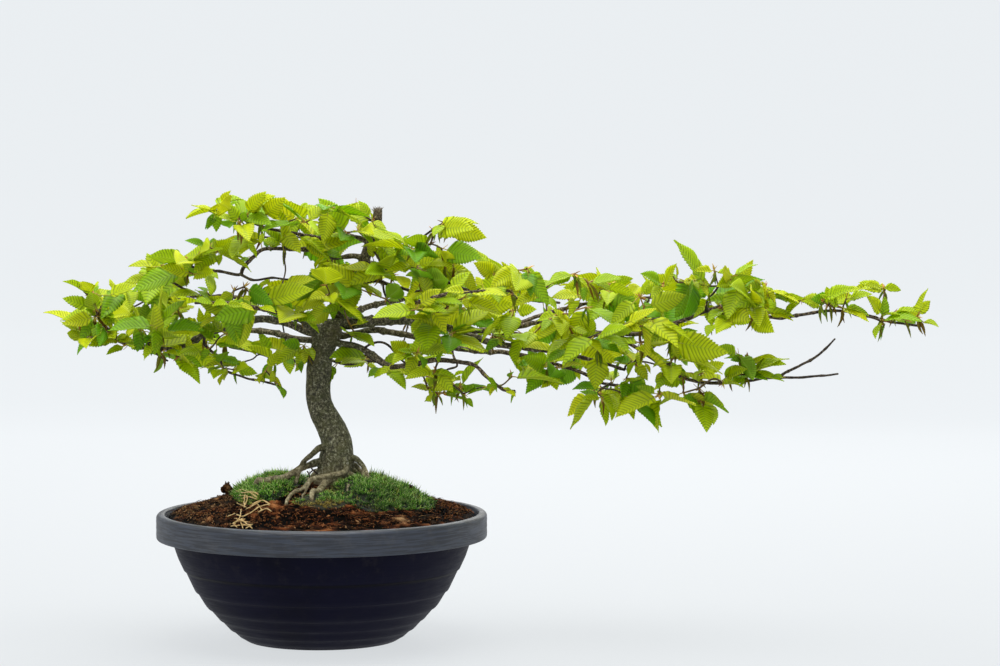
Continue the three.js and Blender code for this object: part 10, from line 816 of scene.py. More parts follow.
    6: [[0,-96.3,-65.9,390.9,-95.6,-68.8,388.3,0.02,-0.464,-0.886,0.096,-0.881,0.464,12.0,6.1,0.13,0.26],[1,-106.8,-68.3,394.6,-104.9,-71.5,397.7,0.541,-0.652,0.532,-0.827,-0.297,0.478,12.0,6.2,0.68,0.19],[2,-96.3,-65.9,390.9,-98.5,-63.9,394.9,-0.322,0.631,0.705,0.489,-0.527,0.695,13.3,6.9,0.72,0.35],[3,-109.3,-70.9,392.6,-112.3,-69.6,385.5,-0.749,0.236,-0.619,-0.616,0.096,0.782,20.5,10.9,0.73,0.12],[4,-115.9,-74.1,387.9,-120.6,-76.8,384.9,-0.435,-0.234,-0.869,-0.222,-0.908,0.356,15.0,8.7,0.46,0.35],[5,-122.3,-68.4,378.1,-119.5,-70.5,379.7,0.786,-0.489,0.378,-0.475,-0.086,0.876,38.6,19.3,0.6,0.16]],
    40: [[0,391.4,40.6,321.1,386.9,42.5,322.7,-0.737,0.421,0.529,-0.061,-0.82,0.569,15.7,8.2,0.58,0.21],[1,405.7,41.3,322.1,409.8,42.3,321.3,0.98,0.047,-0.196,0.042,-0.999,-0.032,26.0,12.8,0.65,0.21],[2,353.4,88.0,338.6,350.4,85.1,337.1,-0.344,-0.597,-0.725,0.041,-0.781,0.624,34.0,16.1,0.43,0.28],[3,377.2,55.7,342.5,382.0,58.7,344.1,0.702,0.664,0.255,-0.183,-0.178,0.967,25.7,14.4,0.28,0.22]],
    11: [[0,-78.1,41.3,287.3,-82.8,36.4,288.7,-0.764,-0.62,0.177,0.304,-0.105,0.947,30.8,15.8,0.29,0.36],[1,-12.8,18.5,279.8,-19.1,18.8,275.2,-0.723,-0.261,-0.639,-0.229,-0.783,0.578,12.0,6.0,0.22,0.21],[2,-53.4,37.1,282.4,-56.4,35.4,286.2,-0.405,-0.094,0.909,0.501,0.809,0.307,22.9,13.4,0.72,0.26],[3,-46.8,24.0,278.9,-50.7,22.9,281.1,-0.893,-0.193,0.408,0.198,0.645,0.738,28.6,15.4,0.13,0.35],[4,-17.5,-4.7,293.6,-15.8,-8.7,292.3,0.023,-0.722,-0.692,-0.362,-0.651,0.667,21.0,10.6,0.32,0.29],[5,9.1,17.6,279.4,12.3,13.2,279.2,0.919,-0.393,0.023,-0.317,-0.704,0.636,15.0,7.3,0.66,0.34],[6,-20.7,3.2,273.8,-27.8,5.2,275.4,-0.824,0.344,0.451,0.177,-0.599,0.781,15.5,7.7,0.23,0.31],[7,-19.1,-0.8,283.7,-18.8,-3.8,280.7,-0.046,-0.523,-0.851,-0.456,-0.747,0.484,15.0,6.9,0.58,0.33]],
    35: [[0,337.3,-27.0,258.8,337.4,-23.2,251.9,-0.02,0.595,-0.804,0.52,0.693,0.5,12.1,6.4,0.59,0.14],[1,319.7,-12.3,279.2,323.1,-10.4,278.3,0.463,0.061,-0.884,0.738,0.527,0.422,12.0,6.8,0.29,0.12],[2,350.1,-15.3,284.7,346.9,-13.5,282.5,-0.776,0.44,-0.451,-0.365,0.27,0.891,20.5,9.6,0.71,0.16],[3,333.2,-3.5,280.5,338.3,-2.3,279.0,0.869,-0.041,-0.494,0.49,-0.077,0.868,34.0,17.7,0.23,0.25],[4,311.8,-1.4,275.8,306.8,-0.8,276.2,-0.936,0.349,0.051,-0.011,-0.174,0.985,15.5,7.9,0.34,0.15],[5,336.8,-24.1,247.8,338.1,-19.1,242.3,-0.035,0.156,-0.987,-0.904,-0.426,-0.035,34.0,18.8,0.72,0.31],[6,341.6,-34.8,272.5,341.2,-36.8,269.4,-0.769,0.259,-0.584,-0.617,-0.541,0.572,12.0,7.1,0.51,0.44],[7,305.1,3.1,262.4,310.7,6.4,260.1,0.673,0.676,-0.301,-0.111,0.494,0.863,22.0,11.9,0.52,0.34],[8,348.8,-18.7,280.3,350.3,-16.0,282.2,0.598,0.598,0.533,0.402,-0.8,0.445,12.0,6.0,0.74,0.26],[9,348.4,-19.8,278.8,344.9,-23.5,280.9,-0.704,-0.676,-0.22,-0.018,-0.292,0.956,20.2,11.1,0.55,0.1],[10,317.7,-9.3,278.9,319.3,-10.7,282.2,0.269,0.167,0.949,-0.87,0.464,0.165,18.3,8.8,0.39,0.15],[11,341.6,-34.8,272.5,337.6,-40.1,276.3,-0.664,-0.56,0.496,0.637,-0.076,0.767,40.0,22.9,0.53,0.33],[12,316.0,-6.8,292.4,317.7,-13.1,288.3,-0.071,-0.568,-0.82,0.041,-0.823,0.566,15.0,7.6,0.2,0.24],[13,343.1,-31.5,273.9,340.8,-32.0,269.9,-0.348,-0.218,-0.912,-0.189,-0.936,0.296,17.7,10.5,0.69,0.2]],
    10: [[0,-62.3,73.6,401.6,-66.5,79.4,398.5,-0.774,0.276,-0.57,-0.5,0.287,0.817,34.0,18.7,0.37,0.24],[1,-45.8,81.5,405.2,-43.8,77.3,407.3,0.54,-0.521,0.661,-0.841,-0.306,0.447,12.0,7.0,0.28,0.22]],
    9: [[0,-95.5,-56.5,433.8,-93.0,-57.8,437.9,0.533,-0.426,0.731,-0.619,-0.786,-0.007,17.1,8.9,0.72,0.39],[1,-92.2,-58.5,434.3,-87.2,-60.9,435.9,0.819,-0.503,0.278,-0.478,-0.329,0.814,13.4,7.7,0.12,0.28],[2,-72.0,-62.4,426.5,-68.4,-61.2,428.4,0.9,0.266,0.345,-0.257,-0.315,0.914,34.0,19.2,0.39,0.38],[3,-65.0,-42.6,384.5,-69.6,-45.6,384.8,-0.509,-0.736,-0.446,0.04,-0.538,0.842,12.0,6.9,0.43,0.2],[4,-63.7,-61.6,423.8,-60.8,-64.7,429.1,0.628,-0.606,0.488,-0.694,-0.153,0.703,34.0,19.5,0.62,0.32],[5,-71.3,-63.4,424.1,-68.4,-66.0,424.5,0.752,-0.623,-0.215,-0.235,-0.559,0.795,34.4,17.1,0.46,0.2],[6,-75.1,-65.8,418.1,-72.4,-70.2,420.0,0.222,-0.683,0.696,0.112,0.727,0.678,15.0,7.3,0.6,0.33],[7,-95.5,-56.5,433.8,-96.7,-60.9,433.9,-0.358,-0.922,-0.147,-0.608,0.11,0.787,25.2,11.8,0.14,0.36]],
    38: [[0,352.7,-41.7,361.3,353.1,-41.2,366.7,-0.142,-0.317,0.938,0.969,0.149,0.197,12.0,5.6,0.26,0.4],[1,360.9,-40.6,361.0,353.5,-39.0,363.5,-0.891,0.39,0.232,-0.027,-0.556,0.831,15.1,7.6,0.34,0.3],[2,386.0,-50.0,356.6,381.4,-47.6,360.2,-0.775,0.126,0.619,0.604,0.433,0.668,12.0,5.5,0.5,0.35],[3,376.3,-46.3,358.2,377.2,-52.7,357.6,0.308,-0.615,-0.726,0.318,-0.653,0.688,15.0,7.4,0.28,0.28],[4,382.9,-33.4,338.9,380.8,-34.6,336.1,-0.694,-0.077,-0.716,-0.429,-0.754,0.497,16.5,7.9,0.6,0.26],[5,367.7,-40.3,362.2,373.4,-45.4,361.4,0.741,-0.568,-0.358,-0.224,-0.712,0.665,15.0,7.8,0.57,0.34],[6,367.7,-40.3,362.2,369.4,-46.1,360.7,0.26,-0.783,-0.565,0.127,-0.552,0.824,15.0,7.7,0.43,0.31],[7,352.7,-41.7,361.3,358.7,-42.7,361.0,0.989,-0.086,-0.124,0.01,-0.782,0.623,15.0,8.4,0.34,0.13]],
    28: [[0,278.7,-58.3,310.5,282.2,-56.8,308.7,0.807,0.318,-0.497,0.492,0.104,0.865,34.0,16.0,0.43,0.25],[1,252.1,-31.2,297.3,255.8,-31.0,299.5,0.941,-0.246,0.234,-0.117,0.412,0.904,34.0,17.2,0.73,0.23],[2,171.5,-12.4,305.7,173.6,-11.6,302.6,0.84,-0.067,-0.539,0.46,-0.44,0.772,14.5,8.5,0.19,0.43],[3,295.7,-11.5,307.0,297.6,-11.9,311.9,0.051,0.18,0.982,0.259,-0.953,0.161,19.4,9.1,0.61,0.31],[4,250.8,-23.8,308.0,251.4,-20.4,305.1,-0.383,0.745,-0.547,-0.347,0.432,0.832,21.1,11.5,0.48,0.39],[5,268.0,-16.4,303.9,272.6,-12.3,298.9,0.529,0.489,-0.694,0.452,0.53,0.717,16.8,9.1,0.55,0.19],[6,182.5,-4.5,313.1,184.7,-1.9,316.0,0.328,0.499,0.802,0.15,-0.866,0.478,20.7,10.4,0.36,0.31],[7,251.0,-15.1,291.5,245.9,-18.5,290.6,-0.914,0.067,-0.401,-0.366,-0.567,0.738,15.2,7.0,0.41,0.12],[8,268.0,-16.4,303.9,264.2,-21.0,302.8,-0.793,-0.547,-0.268,0.205,-0.654,0.728,34.3,15.9,0.65,0.18],[9,272.0,-54.7,307.7,267.7,-60.2,305.3,-0.701,-0.348,-0.623,-0.344,-0.6,0.722,40.0,23.2,0.39,0.33],[10,250.3,-20.9,301.5,248.9,-22.3,304.5,-0.483,-0.436,0.759,0.875,-0.281,0.394,40.0,20.1,0.47,0.3],[11,250.3,-20.9,301.5,253.8,-24.7,302.1,0.62,-0.725,-0.301,0.193,-0.231,0.954,40.0,22.3,0.56,0.18],[12,183.4,-27.9,310.6,178.9,-28.9,312.9,-0.899,-0.282,-0.336,-0.154,-0.516,0.843,20.2,10.4,0.65,0.13],[13,216.0,-24.5,312.6,212.4,-28.0,309.7,-0.423,-0.705,-0.57,0.053,-0.647,0.76,25.7,13.7,0.2,0.28],[14,272.0,-54.7,307.7,275.7,-61.4,309.6,0.629,-0.744,0.228,-0.612,-0.292,0.735,40.0,20.2,0.25,0.13],[15,171.1,-12.6,305.6,173.0,-19.8,303.4,0.457,-0.77,-0.445,0.005,-0.499,0.867,15.2,8.6,0.58,0.21],[16,236.2,2.1,287.6,232.0,-0.9,289.6,-0.894,-0.428,0.136,0.309,-0.367,0.877,33.4,17.8,0.21,0.36],[17,230.0,-26.9,324.2,227.5,-34.3,323.2,-0.418,-0.734,-0.535,0.124,-0.63,0.767,20.3,9.4,0.28,0.21],[18,275.4,-56.5,309.1,277.5,-62.1,306.4,0.657,-0.68,-0.327,0.152,-0.305,0.94,40.0,18.7,0.67,0.33],[19,245.8,-24.8,316.8,250.9,-28.1,314.5,0.815,-0.431,-0.387,0.087,-0.569,0.818,19.1,11.4,0.17,0.25],[20,250.3,-18.8,297.4,246.0,-21.2,294.0,-0.843,-0.169,-0.511,-0.251,-0.717,0.651,26.5,13.3,0.22,0.23]],
    0: [[0,-199.9,44.0,328.8,-194.0,46.3,328.6,0.98,0.167,-0.111,0.192,-0.614,0.766,16.3,7.8,0.18,0.21]],
    33: [[0,296.8,7.5,248.4,299.6,3.0,244.0,0.392,-0.601,-0.697,0.389,-0.578,0.717,30.9,14.5,0.16,0.26],[1,290.3,11.1,250.2,293.7,8.3,250.8,0.815,-0.47,0.339,-0.386,-0.002,0.923,34.0,17.2,0.64,0.14],[2,295.5,23.0,253.6,296.4,19.2,251.0,0.033,-0.615,-0.788,-0.161,-0.781,0.603,12.0,6.3,0.15,0.14],[3,285.4,15.5,275.5,284.3,12.3,273.6,0.237,-0.148,-0.96,-0.298,-0.952,0.073,12.0,5.7,0.5,0.28],[4,291.5,25.0,254.1,294.7,25.9,260.6,0.257,-0.26,0.931,-0.966,-0.078,0.245,20.4,11.0,0.17,0.35]],
    19: [[0,75.3,53.2,393.6,74.1,46.6,395.8,-0.418,-0.77,0.482,0.507,0.242,0.827,34.0,20.0,0.28,0.21],[1,75.3,53.2,393.6,77.1,50.4,395.6,0.604,-0.586,0.54,-0.787,-0.334,0.518,15.8,7.7,0.22,0.15],[2,6.2,80.3,383.5,1.7,84.2,383.0,-0.539,0.614,-0.577,-0.55,0.263,0.793,26.3,13.0,0.56,0.13]],
    22: [[0,127.2,13.5,262.5,132.3,14.1,264.1,0.958,-0.038,0.283,-0.234,0.461,0.856,14.4,8.1,0.21,0.29],[1,68.0,-38.3,275.4,64.3,-36.7,273.7,-0.659,0.482,-0.578,-0.735,-0.575,0.36,16.3,7.7,0.69,0.22],[2,83.3,23.2,273.4,90.5,22.4,275.2,0.941,-0.217,0.261,-0.278,-0.051,0.959,34.0,17.3,0.34,0.17],[3,46.0,-0.2,283.6,43.3,-3.3,283.8,-0.846,-0.533,0.003,0.291,-0.458,0.84,40.0,22.5,0.48,0.38],[4,87.7,-52.2,291.5,83.6,-55.3,289.3,-0.511,-0.737,-0.442,0.039,-0.534,0.844,20.1,11.1,0.48,0.36],[5,73.4,-37.1,280.0,69.3,-41.8,276.9,-0.667,-0.411,-0.621,-0.293,-0.622,0.726,15.0,9.0,0.23,0.16],[6,96.9,-50.3,290.8,93.2,-53.1,291.2,-0.817,-0.551,0.171,0.436,-0.395,0.808,18.2,9.1,0.13,0.28],[7,104.9,-38.2,261.1,107.7,-37.2,259.0,0.522,0.273,-0.808,0.852,-0.216,0.477,15.0,7.9,0.39,0.18],[8,96.9,-50.3,290.8,93.6,-54.6,289.4,-0.727,-0.599,-0.336,-0.131,-0.359,0.924,15.0,8.4,0.68,0.22]],
    3: [[0,-164.8,-51.1,300.9,-160.3,-51.4,296.4,0.313,0.496,-0.81,0.862,-0.507,0.023,12.0,5.8,0.61,0.32],[1,-174.7,-39.7,316.1,-170.5,-43.4,315.3,0.874,-0.273,-0.402,0.254,-0.448,0.857,12.0,5.6,0.13,0.33],[2,-158.7,-21.5,285.5,-162.8,-21.5,287.0,-0.72,0.473,0.509,0.106,-0.649,0.753,12.0,7.1,0.69,0.34],[3,-160.5,-41.4,301.3,-158.3,-46.0,306.0,0.672,-0.739,0.046,0.339,0.363,0.868,35.4,20.5,0.58,0.28],[4,-160.0,-38.9,294.4,-154.8,-37.7,297.0,0.928,0.352,0.124,0.065,-0.48,0.875,40.0,21.3,0.3,0.35],[5,-156.7,-50.8,318.4,-159.1,-54.9,314.9,-0.023,-0.344,-0.939,0.708,-0.668,0.227,26.9,14.0,0.32,0.25],[6,-156.7,-50.8,318.4,-153.1,-53.4,322.7,0.699,0.332,0.634,-0.441,-0.499,0.747,31.3,17.3,0.47,0.19],[7,-163.4,-47.9,301.0,-162.9,-50.6,307.0,0.082,-0.307,0.948,0.646,0.741,0.184,34.3,18.2,0.54,0.31],[8,-187.1,-26.0,297.8,-185.1,-30.4,296.4,0.731,-0.652,-0.199,-0.405,-0.65,0.643,15.0,8.8,0.64,0.31]],
    5: [[0,-143.0,49.7,299.6,-143.4,46.6,296.4,-0.182,-0.237,-0.954,-0.038,-0.968,0.247,12.0,5.6,0.45,0.42],[1,-94.5,43.7,290.4,-100.2,43.3,291.6,-0.867,-0.381,0.32,0.479,-0.465,0.745,22.7,12.4,0.5,0.13],[2,-119.3,52.5,332.8,-119.6,49.7,328.6,0.188,0.101,-0.977,0.336,-0.941,-0.033,15.0,7.0,0.4,0.31]],
    7: [[0,-103.0,-29.3,284.5,-95.4,-31.5,283.6,0.859,-0.442,-0.26,-0.039,-0.561,0.827,19.9,11.9,0.56,0.23],[1,-102.0,-37.0,300.9,-101.4,-37.1,293.5,-0.163,0.004,-0.987,-0.93,-0.335,0.152,12.0,7.1,0.54,0.24],[2,-90.6,-22.7,270.4,-92.6,-18.7,268.4,-0.447,0.618,-0.647,-0.653,0.269,0.708,20.0,10.5,0.73,0.26],[3,-94.0,-32.5,274.5,-88.7,-30.6,276.7,0.831,0.363,0.422,0.077,-0.826,0.558,12.0,5.8,0.22,0.2],[4,-90.5,-31.9,273.9,-92.6,-28.6,270.5,-0.254,0.593,-0.764,-0.542,0.567,0.62,12.0,7.1,0.72,0.18],[5,-102.0,-37.0,300.9,-105.3,-37.8,303.4,-0.776,0.043,0.63,0.474,-0.619,0.627,28.1,16.3,0.69,0.25],[6,-129.3,-38.6,288.9,-134.9,-39.7,292.8,-0.928,0.169,0.331,0.17,-0.599,0.783,16.1,7.5,0.23,0.39],[7,-103.9,-39.2,298.2,-108.6,-41.9,294.5,-0.476,-0.295,-0.829,-0.287,-0.839,0.463,15.0,8.2,0.29,0.33],[8,-129.3,-38.6,288.9,-129.2,-39.0,292.8,-0.104,0.037,0.994,0.496,-0.864,0.084,15.0,7.3,0.55,0.38],[9,-112.1,-35.7,290.8,-109.4,-39.0,289.2,0.543,-0.776,-0.322,0.13,-0.301,0.945,15.0,7.9,0.43,0.13]],
    29: [[0,223.1,138.7,332.8,224.3,141.3,326.4,0.003,0.395,-0.919,0.88,0.435,0.19,12.0,6.6,0.25,0.42],[1,246.6,62.2,329.0,249.0,60.0,330.5,0.491,-0.541,0.683,-0.607,0.35,0.714,14.4,6.6,0.4,0.31]],
    1: [[0,-222.5,-42.4,337.2,-222.8,-38.7,341.1,-0.495,0.718,0.49,0.227,-0.437,0.87,13.6,7.4,0.3,0.29],[1,-203.1,-19.5,349.8,-205.8,-20.0,352.3,-0.335,0.439,0.834,0.652,-0.531,0.542,12.0,7.2,0.71,0.16],[2,-221.8,-44.3,347.9,-221.7,-41.2,350.4,0.281,0.821,0.496,-0.292,-0.419,0.86,12.0,6.0,0.19,0.11],[3,-228.8,-22.1,307.3,-227.7,-27.4,303.6,0.575,-0.39,-0.719,0.382,-0.649,0.658,12.0,6.8,0.64,0.2],[4,-196.9,-17.6,352.9,-198.8,-22.8,349.0,-0.376,-0.695,-0.614,0.239,-0.712,0.66,40.0,20.2,0.38,0.4],[5,-220.0,-39.9,327.3,-220.7,-45.7,332.6,-0.017,-0.689,0.725,-0.327,0.689,0.647,25.8,15.3,0.39,0.21],[6,-220.9,-39.9,324.4,-218.7,-42.2,319.1,0.091,-0.619,-0.78,-0.034,-0.785,0.619,22.6,10.7,0.66,0.21],[7,-222.1,-43.0,345.7,-224.5,-47.5,348.0,-0.689,-0.587,0.425,0.168,0.442,0.881,15.0,7.1,0.39,0.34],[8,-220.8,-41.2,325.8,-222.6,-42.7,321.8,-0.534,-0.026,-0.845,-0.345,-0.906,0.246,22.7,13.6,0.28,0.2]],
    20: [[0,55.7,24.5,398.9,53.6,25.5,406.0,-0.279,-0.038,0.96,0.756,-0.625,0.195,23.0,11.8,0.72,0.42],[1,65.2,39.2,396.6,59.8,39.5,392.5,-0.822,-0.351,-0.448,-0.133,-0.647,0.751,16.7,9.5,0.33,0.12],[2,68.7,-9.2,373.0,65.1,-11.5,371.9,-0.915,-0.137,-0.379,-0.175,-0.712,0.68,40.0,23.5,0.28,0.3],[3,-2.2,-8.5,388.9,1.2,-10.6,388.6,0.884,-0.391,-0.255,-0.017,-0.573,0.82,22.8,13.1,0.63,0.19],[4,-0.4,-13.4,403.6,3.3,-16.5,402.9,0.856,-0.517,-0.019,-0.079,-0.167,0.983,30.5,15.0,0.49,0.29],[5,4.4,-11.5,390.9,6.7,-12.9,394.6,0.743,-0.474,0.472,-0.653,-0.36,0.667,15.0,8.4,0.45,0.31],[6,-14.9,-21.3,405.8,-10.9,-22.3,402.4,0.713,-0.072,-0.698,0.178,-0.943,0.28,26.6,12.4,0.23,0.28],[7,-9.3,-13.1,391.1,-5.9,-15.0,392.9,0.952,-0.18,0.246,-0.303,-0.662,0.685,40.0,23.1,0.5,0.11],[8,47.4,0.8,399.1,46.2,-1.9,402.7,-0.485,-0.523,0.701,0.808,-0.574,0.132,15.0,8.1,0.23,0.14],[9,52.7,3.3,376.8,51.4,1.1,382.9,-0.104,-0.485,0.868,0.065,0.868,0.493,19.7,9.2,0.68,0.28],[10,40.2,30.2,399.3,40.4,30.2,405.8,-0.232,0.55,0.802,0.032,-0.82,0.572,18.0,9.5,0.48,0.16],[11,-4.2,-15.1,403.8,-7.3,-13.7,405.4,-0.695,0.102,0.712,0.67,-0.269,0.692,23.2,13.2,0.21,0.33],[12,37.2,-10.2,409.8,40.6,-14.9,407.6,0.608,-0.404,-0.684,0.567,-0.383,0.73,20.1,10.5,0.52,0.28]],
    32: [[0,282.6,53.8,349.1,281.9,48.6,344.7,0.014,-0.703,-0.712,0.244,-0.688,0.684,12.0,7.0,0.74,0.27]],
    34: [[0,317.2,41.4,326.0,317.9,42.6,331.8,0.204,0.289,0.936,-0.651,-0.673,0.35,18.1,8.8,0.61,0.39],[1,334.8,58.8,345.1,331.9,58.7,349.3,-0.507,-0.26,0.822,0.844,-0.34,0.414,16.6,8.2,0.28,0.23]],
    31: [[0,261.5,39.2,264.8,260.5,41.8,267.1,-0.55,0.523,0.651,0.458,-0.463,0.759,34.0,15.8,0.13,0.29],[1,252.0,46.2,274.1,255.6,42.8,268.3,0.32,-0.374,-0.87,-0.029,-0.922,0.386,12.5,5.8,0.59,0.35]],
    12: [[0,-53.8,-26.6,271.6,-56.0,-28.8,268.1,-0.282,-0.609,-0.741,-0.73,-0.365,0.578,12.0,7.0,0.7,0.39],[1,-53.8,-26.6,271.6,-49.1,-27.5,268.1,0.574,0.066,-0.816,0.728,0.414,0.546,19.9,10.4,0.47,0.26],[2,-66.2,-19.4,262.4,-64.3,-22.6,262.3,0.708,-0.706,-0.029,-0.407,-0.441,0.8,15.0,7.8,0.61,0.25]],
    2: [[0,-182.3,54.3,329.7,-185.8,52.0,327.9,-0.67,-0.474,-0.572,0.03,-0.787,0.616,15.8,7.7,0.48,0.31],[1,-153.2,23.5,325.9,-148.2,23.9,327.0,0.866,0.498,0.052,0.257,-0.53,0.808,13.9,6.7,0.65,0.2]],
    41: [[0,413.5,-32.5,352.9,416.4,-31.7,355.6,0.413,-0.07,0.908,-0.11,0.986,0.126,29.1,13.4,0.49,0.41],[1,440.6,-36.8,331.3,445.3,-31.3,329.1,0.93,0.11,-0.351,0.255,-0.881,0.399,12.0,6.9,0.54,0.29],[2,461.1,-39.2,342.9,463.1,-36.3,341.6,0.709,0.705,0.02,0.482,-0.505,0.716,15.6,7.7,0.43,0.31],[3,395.3,-33.6,338.1,395.9,-35.7,335.0,-0.183,-0.297,-0.937,-0.018,-0.952,0.305,12.0,6.0,0.46,0.34],[4,439.4,-40.9,354.4,436.0,-44.1,357.9,-0.668,-0.596,0.446,-0.615,0.779,0.12,12.0,6.1,0.33,0.4],[5,421.9,-30.5,332.4,418.1,-34.3,334.2,-0.908,-0.36,0.212,0.392,-0.56,0.73,40.0,22.0,0.61,0.27],[6,446.1,-39.8,346.4,443.6,-43.8,346.1,-0.883,-0.402,-0.242,0.085,-0.645,0.76,40.0,18.5,0.17,0.12],[7,440.6,-36.8,331.3,440.2,-39.9,335.0,-0.179,-0.567,0.804,0.984,-0.125,0.131,32.4,18.8,0.45,0.19],[8,398.9,-41.6,332.0,397.5,-46.2,332.4,-0.595,-0.71,-0.376,-0.049,-0.435,0.899,26.5,12.6,0.41,0.28],[9,457.1,-39.9,346.0,459.6,-43.6,344.4,0.648,-0.605,-0.462,-0.087,-0.662,0.745,15.0,7.2,0.29,0.37],[10,402.6,-48.5,325.4,401.7,-52.3,325.5,-0.915,-0.319,-0.245,0.087,-0.751,0.655,15.9,8.9,0.18,0.26],[11,439.4,-40.9,354.4,441.3,-46.5,350.7,0.462,-0.568,-0.682,0.838,0.532,0.124,15.0,9.0,0.47,0.39],[12,440.6,-36.8,331.3,446.9,-38.0,328.9,0.892,-0.34,-0.298,0.192,-0.313,0.93,22.7,12.3,0.6,0.14]],
    36: [[0,319.3,47.6,290.0,324.5,46.3,288.3,0.861,-0.369,-0.35,0.056,-0.615,0.786,12.0,6.5,0.54,0.41]],
    14: [[0,-49.1,-44.4,364.1,-48.2,-41.7,360.5,-0.724,0.672,-0.152,-0.641,-0.576,0.507,12.0,6.7,0.45,0.24],[1,-55.7,-38.7,391.6,-57.1,-37.5,398.0,0.106,0.452,0.886,-0.309,-0.832,0.461,13.1,6.2,0.21,0.32],[2,-21.8,-25.5,407.2,-19.1,-26.8,403.9,0.767,-0.029,-0.641,0.622,-0.214,0.753,40.0,18.6,0.47,0.33],[3,-34.2,-35.5,389.2,-35.4,-38.0,394.8,-0.173,-0.054,0.984,0.918,-0.37,0.141,40.0,21.6,0.65,0.27],[4,-18.4,-23.4,406.5,-12.2,-21.0,402.8,0.553,0.209,-0.807,0.432,-0.9,0.063,25.3,15.1,0.5,0.23],[5,-35.8,-33.9,410.0,-34.1,-38.0,407.0,0.574,-0.559,-0.598,0.017,-0.723,0.691,29.6,16.3,0.13,0.21]],
    15: [[0,-29.2,83.5,421.0,-26.0,86.2,425.6,0.356,0.672,0.649,0.268,-0.739,0.618,16.2,8.4,0.75,0.32]],
    13: [[0,-41.0,90.6,286.9,-44.5,87.9,290.3,-0.166,0.025,0.986,0.157,-0.986,0.051,12.1,5.6,0.74,0.42]],
}
# bits of dry stalk lying beside each straw: x, y, z, radius
DRY = {
    "straw_1": [[[-83.8,-21.2,151.0,0.62],[-74.7,-50.6,152.7,0.62],[-67.0,-58.3,153.6,0.62],[-59.3,-71.6,150.4,0.62]],[[-75.4,-58.3,148.0,0.62],[-67.7,-64.6,150.4,0.62],[-60.0,-73.0,148.9,0.62]],[[-78.9,-48.5,149.9,0.5],[-69.8,-59.7,150.8,0.5]],[[-65.6,-54.1,155.3,0.5],[-58.6,-68.1,152.8,0.5]]],
    "straw_2": [[[-72.6,-54.8,151.4,0.62],[-72.6,-64.6,147.2,0.62],[-71.2,-78.6,141.5,0.62]],[[-74.0,-82.8,139.9,0.62],[-73.3,-105.2,135.5,0.62],[-77.5,-124.1,129.5,0.62]],[[-80.3,-58.3,143.3,0.5],[-69.1,-80.7,141.8,0.5]]],
    "straw_3": [[[-69.1,-87.0,140.5,0.62],[-59.3,-80.0,145.5,0.62],[-53.0,-75.1,148.1,0.62],[-46.7,-85.6,144.4,0.62]],[[-64.2,-98.9,138.0,0.62],[-55.8,-88.4,143.3,0.62],[-47.4,-84.2,144.9,0.62]],[[-60.0,-75.1,145.8,0.5],[-52.3,-95.4,140.5,0.5]],[[-56.5,-98.2,139.1,0.62],[-48.8,-94.0,142.0,0.62],[-43.2,-100.3,140.1,0.62]]],
    "straw_4": [[[-80.3,-125.5,128.7,0.5],[-71.9,-126.2,129.8,0.5]],[[-76.1,-115.7,131.9,0.5],[-64.2,-119.2,132.3,0.5]],[[-70.5,-111.5,133.6,0.62],[-64.9,-126.2,131.3,0.62],[-58.6,-138.8,128.1,0.62]],[[-73.3,-110.1,133.6,0.5],[-67.7,-135.3,127.9,0.5]],[[-64.9,-136.0,128.1,0.5],[-60.0,-128.3,130.7,0.5]],[[-78.9,-118.5,130.8,0.5],[-74.0,-130.4,128.4,0.5]],[[-85.9,-94.7,134.4,0.5],[-79.6,-89.8,136.9,0.5]]],
}

# knots near the left tip, thick with bud scales and short young leaves: x, y, z, wood radius
KNOTS = [[-190.0, -26.4, 298.6, 2.2], [-196.0, -27.2, 300.6, 2.1], [-202.0, -28.0, 303.4, 2.0], [-205.5, -29.0, 307.2, 2.0], [-208.8, -30.0, 311.6, 1.9], [-212.5, -31.0, 317.0, 1.8], [-217.6, -32.0, 324.4, 1.7]]

MM = 0.001
rng = np.random.default_rng(20251)


def unit(v):
    v = np.asarray(v, float)
    return v / (np.linalg.norm(v) + 1e-12)


def table(rows, x):
    a = np.array(rows, float)
    return np.interp(x, a[:, 0], a[:, 1])


# ------------------------------------------------------------------ smooth value noise, vectorised and seeded
_perm = np.random.default_rng(7).random((64, 64, 64))


def vnoise(P, scale, seed=0):
    """Smooth noise in -1..1 at points P (n x 3, mm) with cells of the given size."""
    Q = np.asarray(P, float) / scale + 17.3 * seed + 100.0
    I = np.floor(Q).astype(int)
    f = Q - I
    f = f * f * (3 - 2 * f)
    out = np.zeros(len(Q))
    for dx in (0, 1):
        for dy in (0, 1):
            for dz in (0, 1):
                w = (f[:, 0] if dx else 1 - f[:, 0]) * (f[:, 1] if dy else 1 - f[:, 1]) * (f[:, 2] if dz else 1 - f[:, 2])
                out += w * _perm[(I[:, 0] + dx) % 64, (I[:, 1] + dy) % 64, (I[:, 2] + dz) % 64]
    return out * 2 - 1


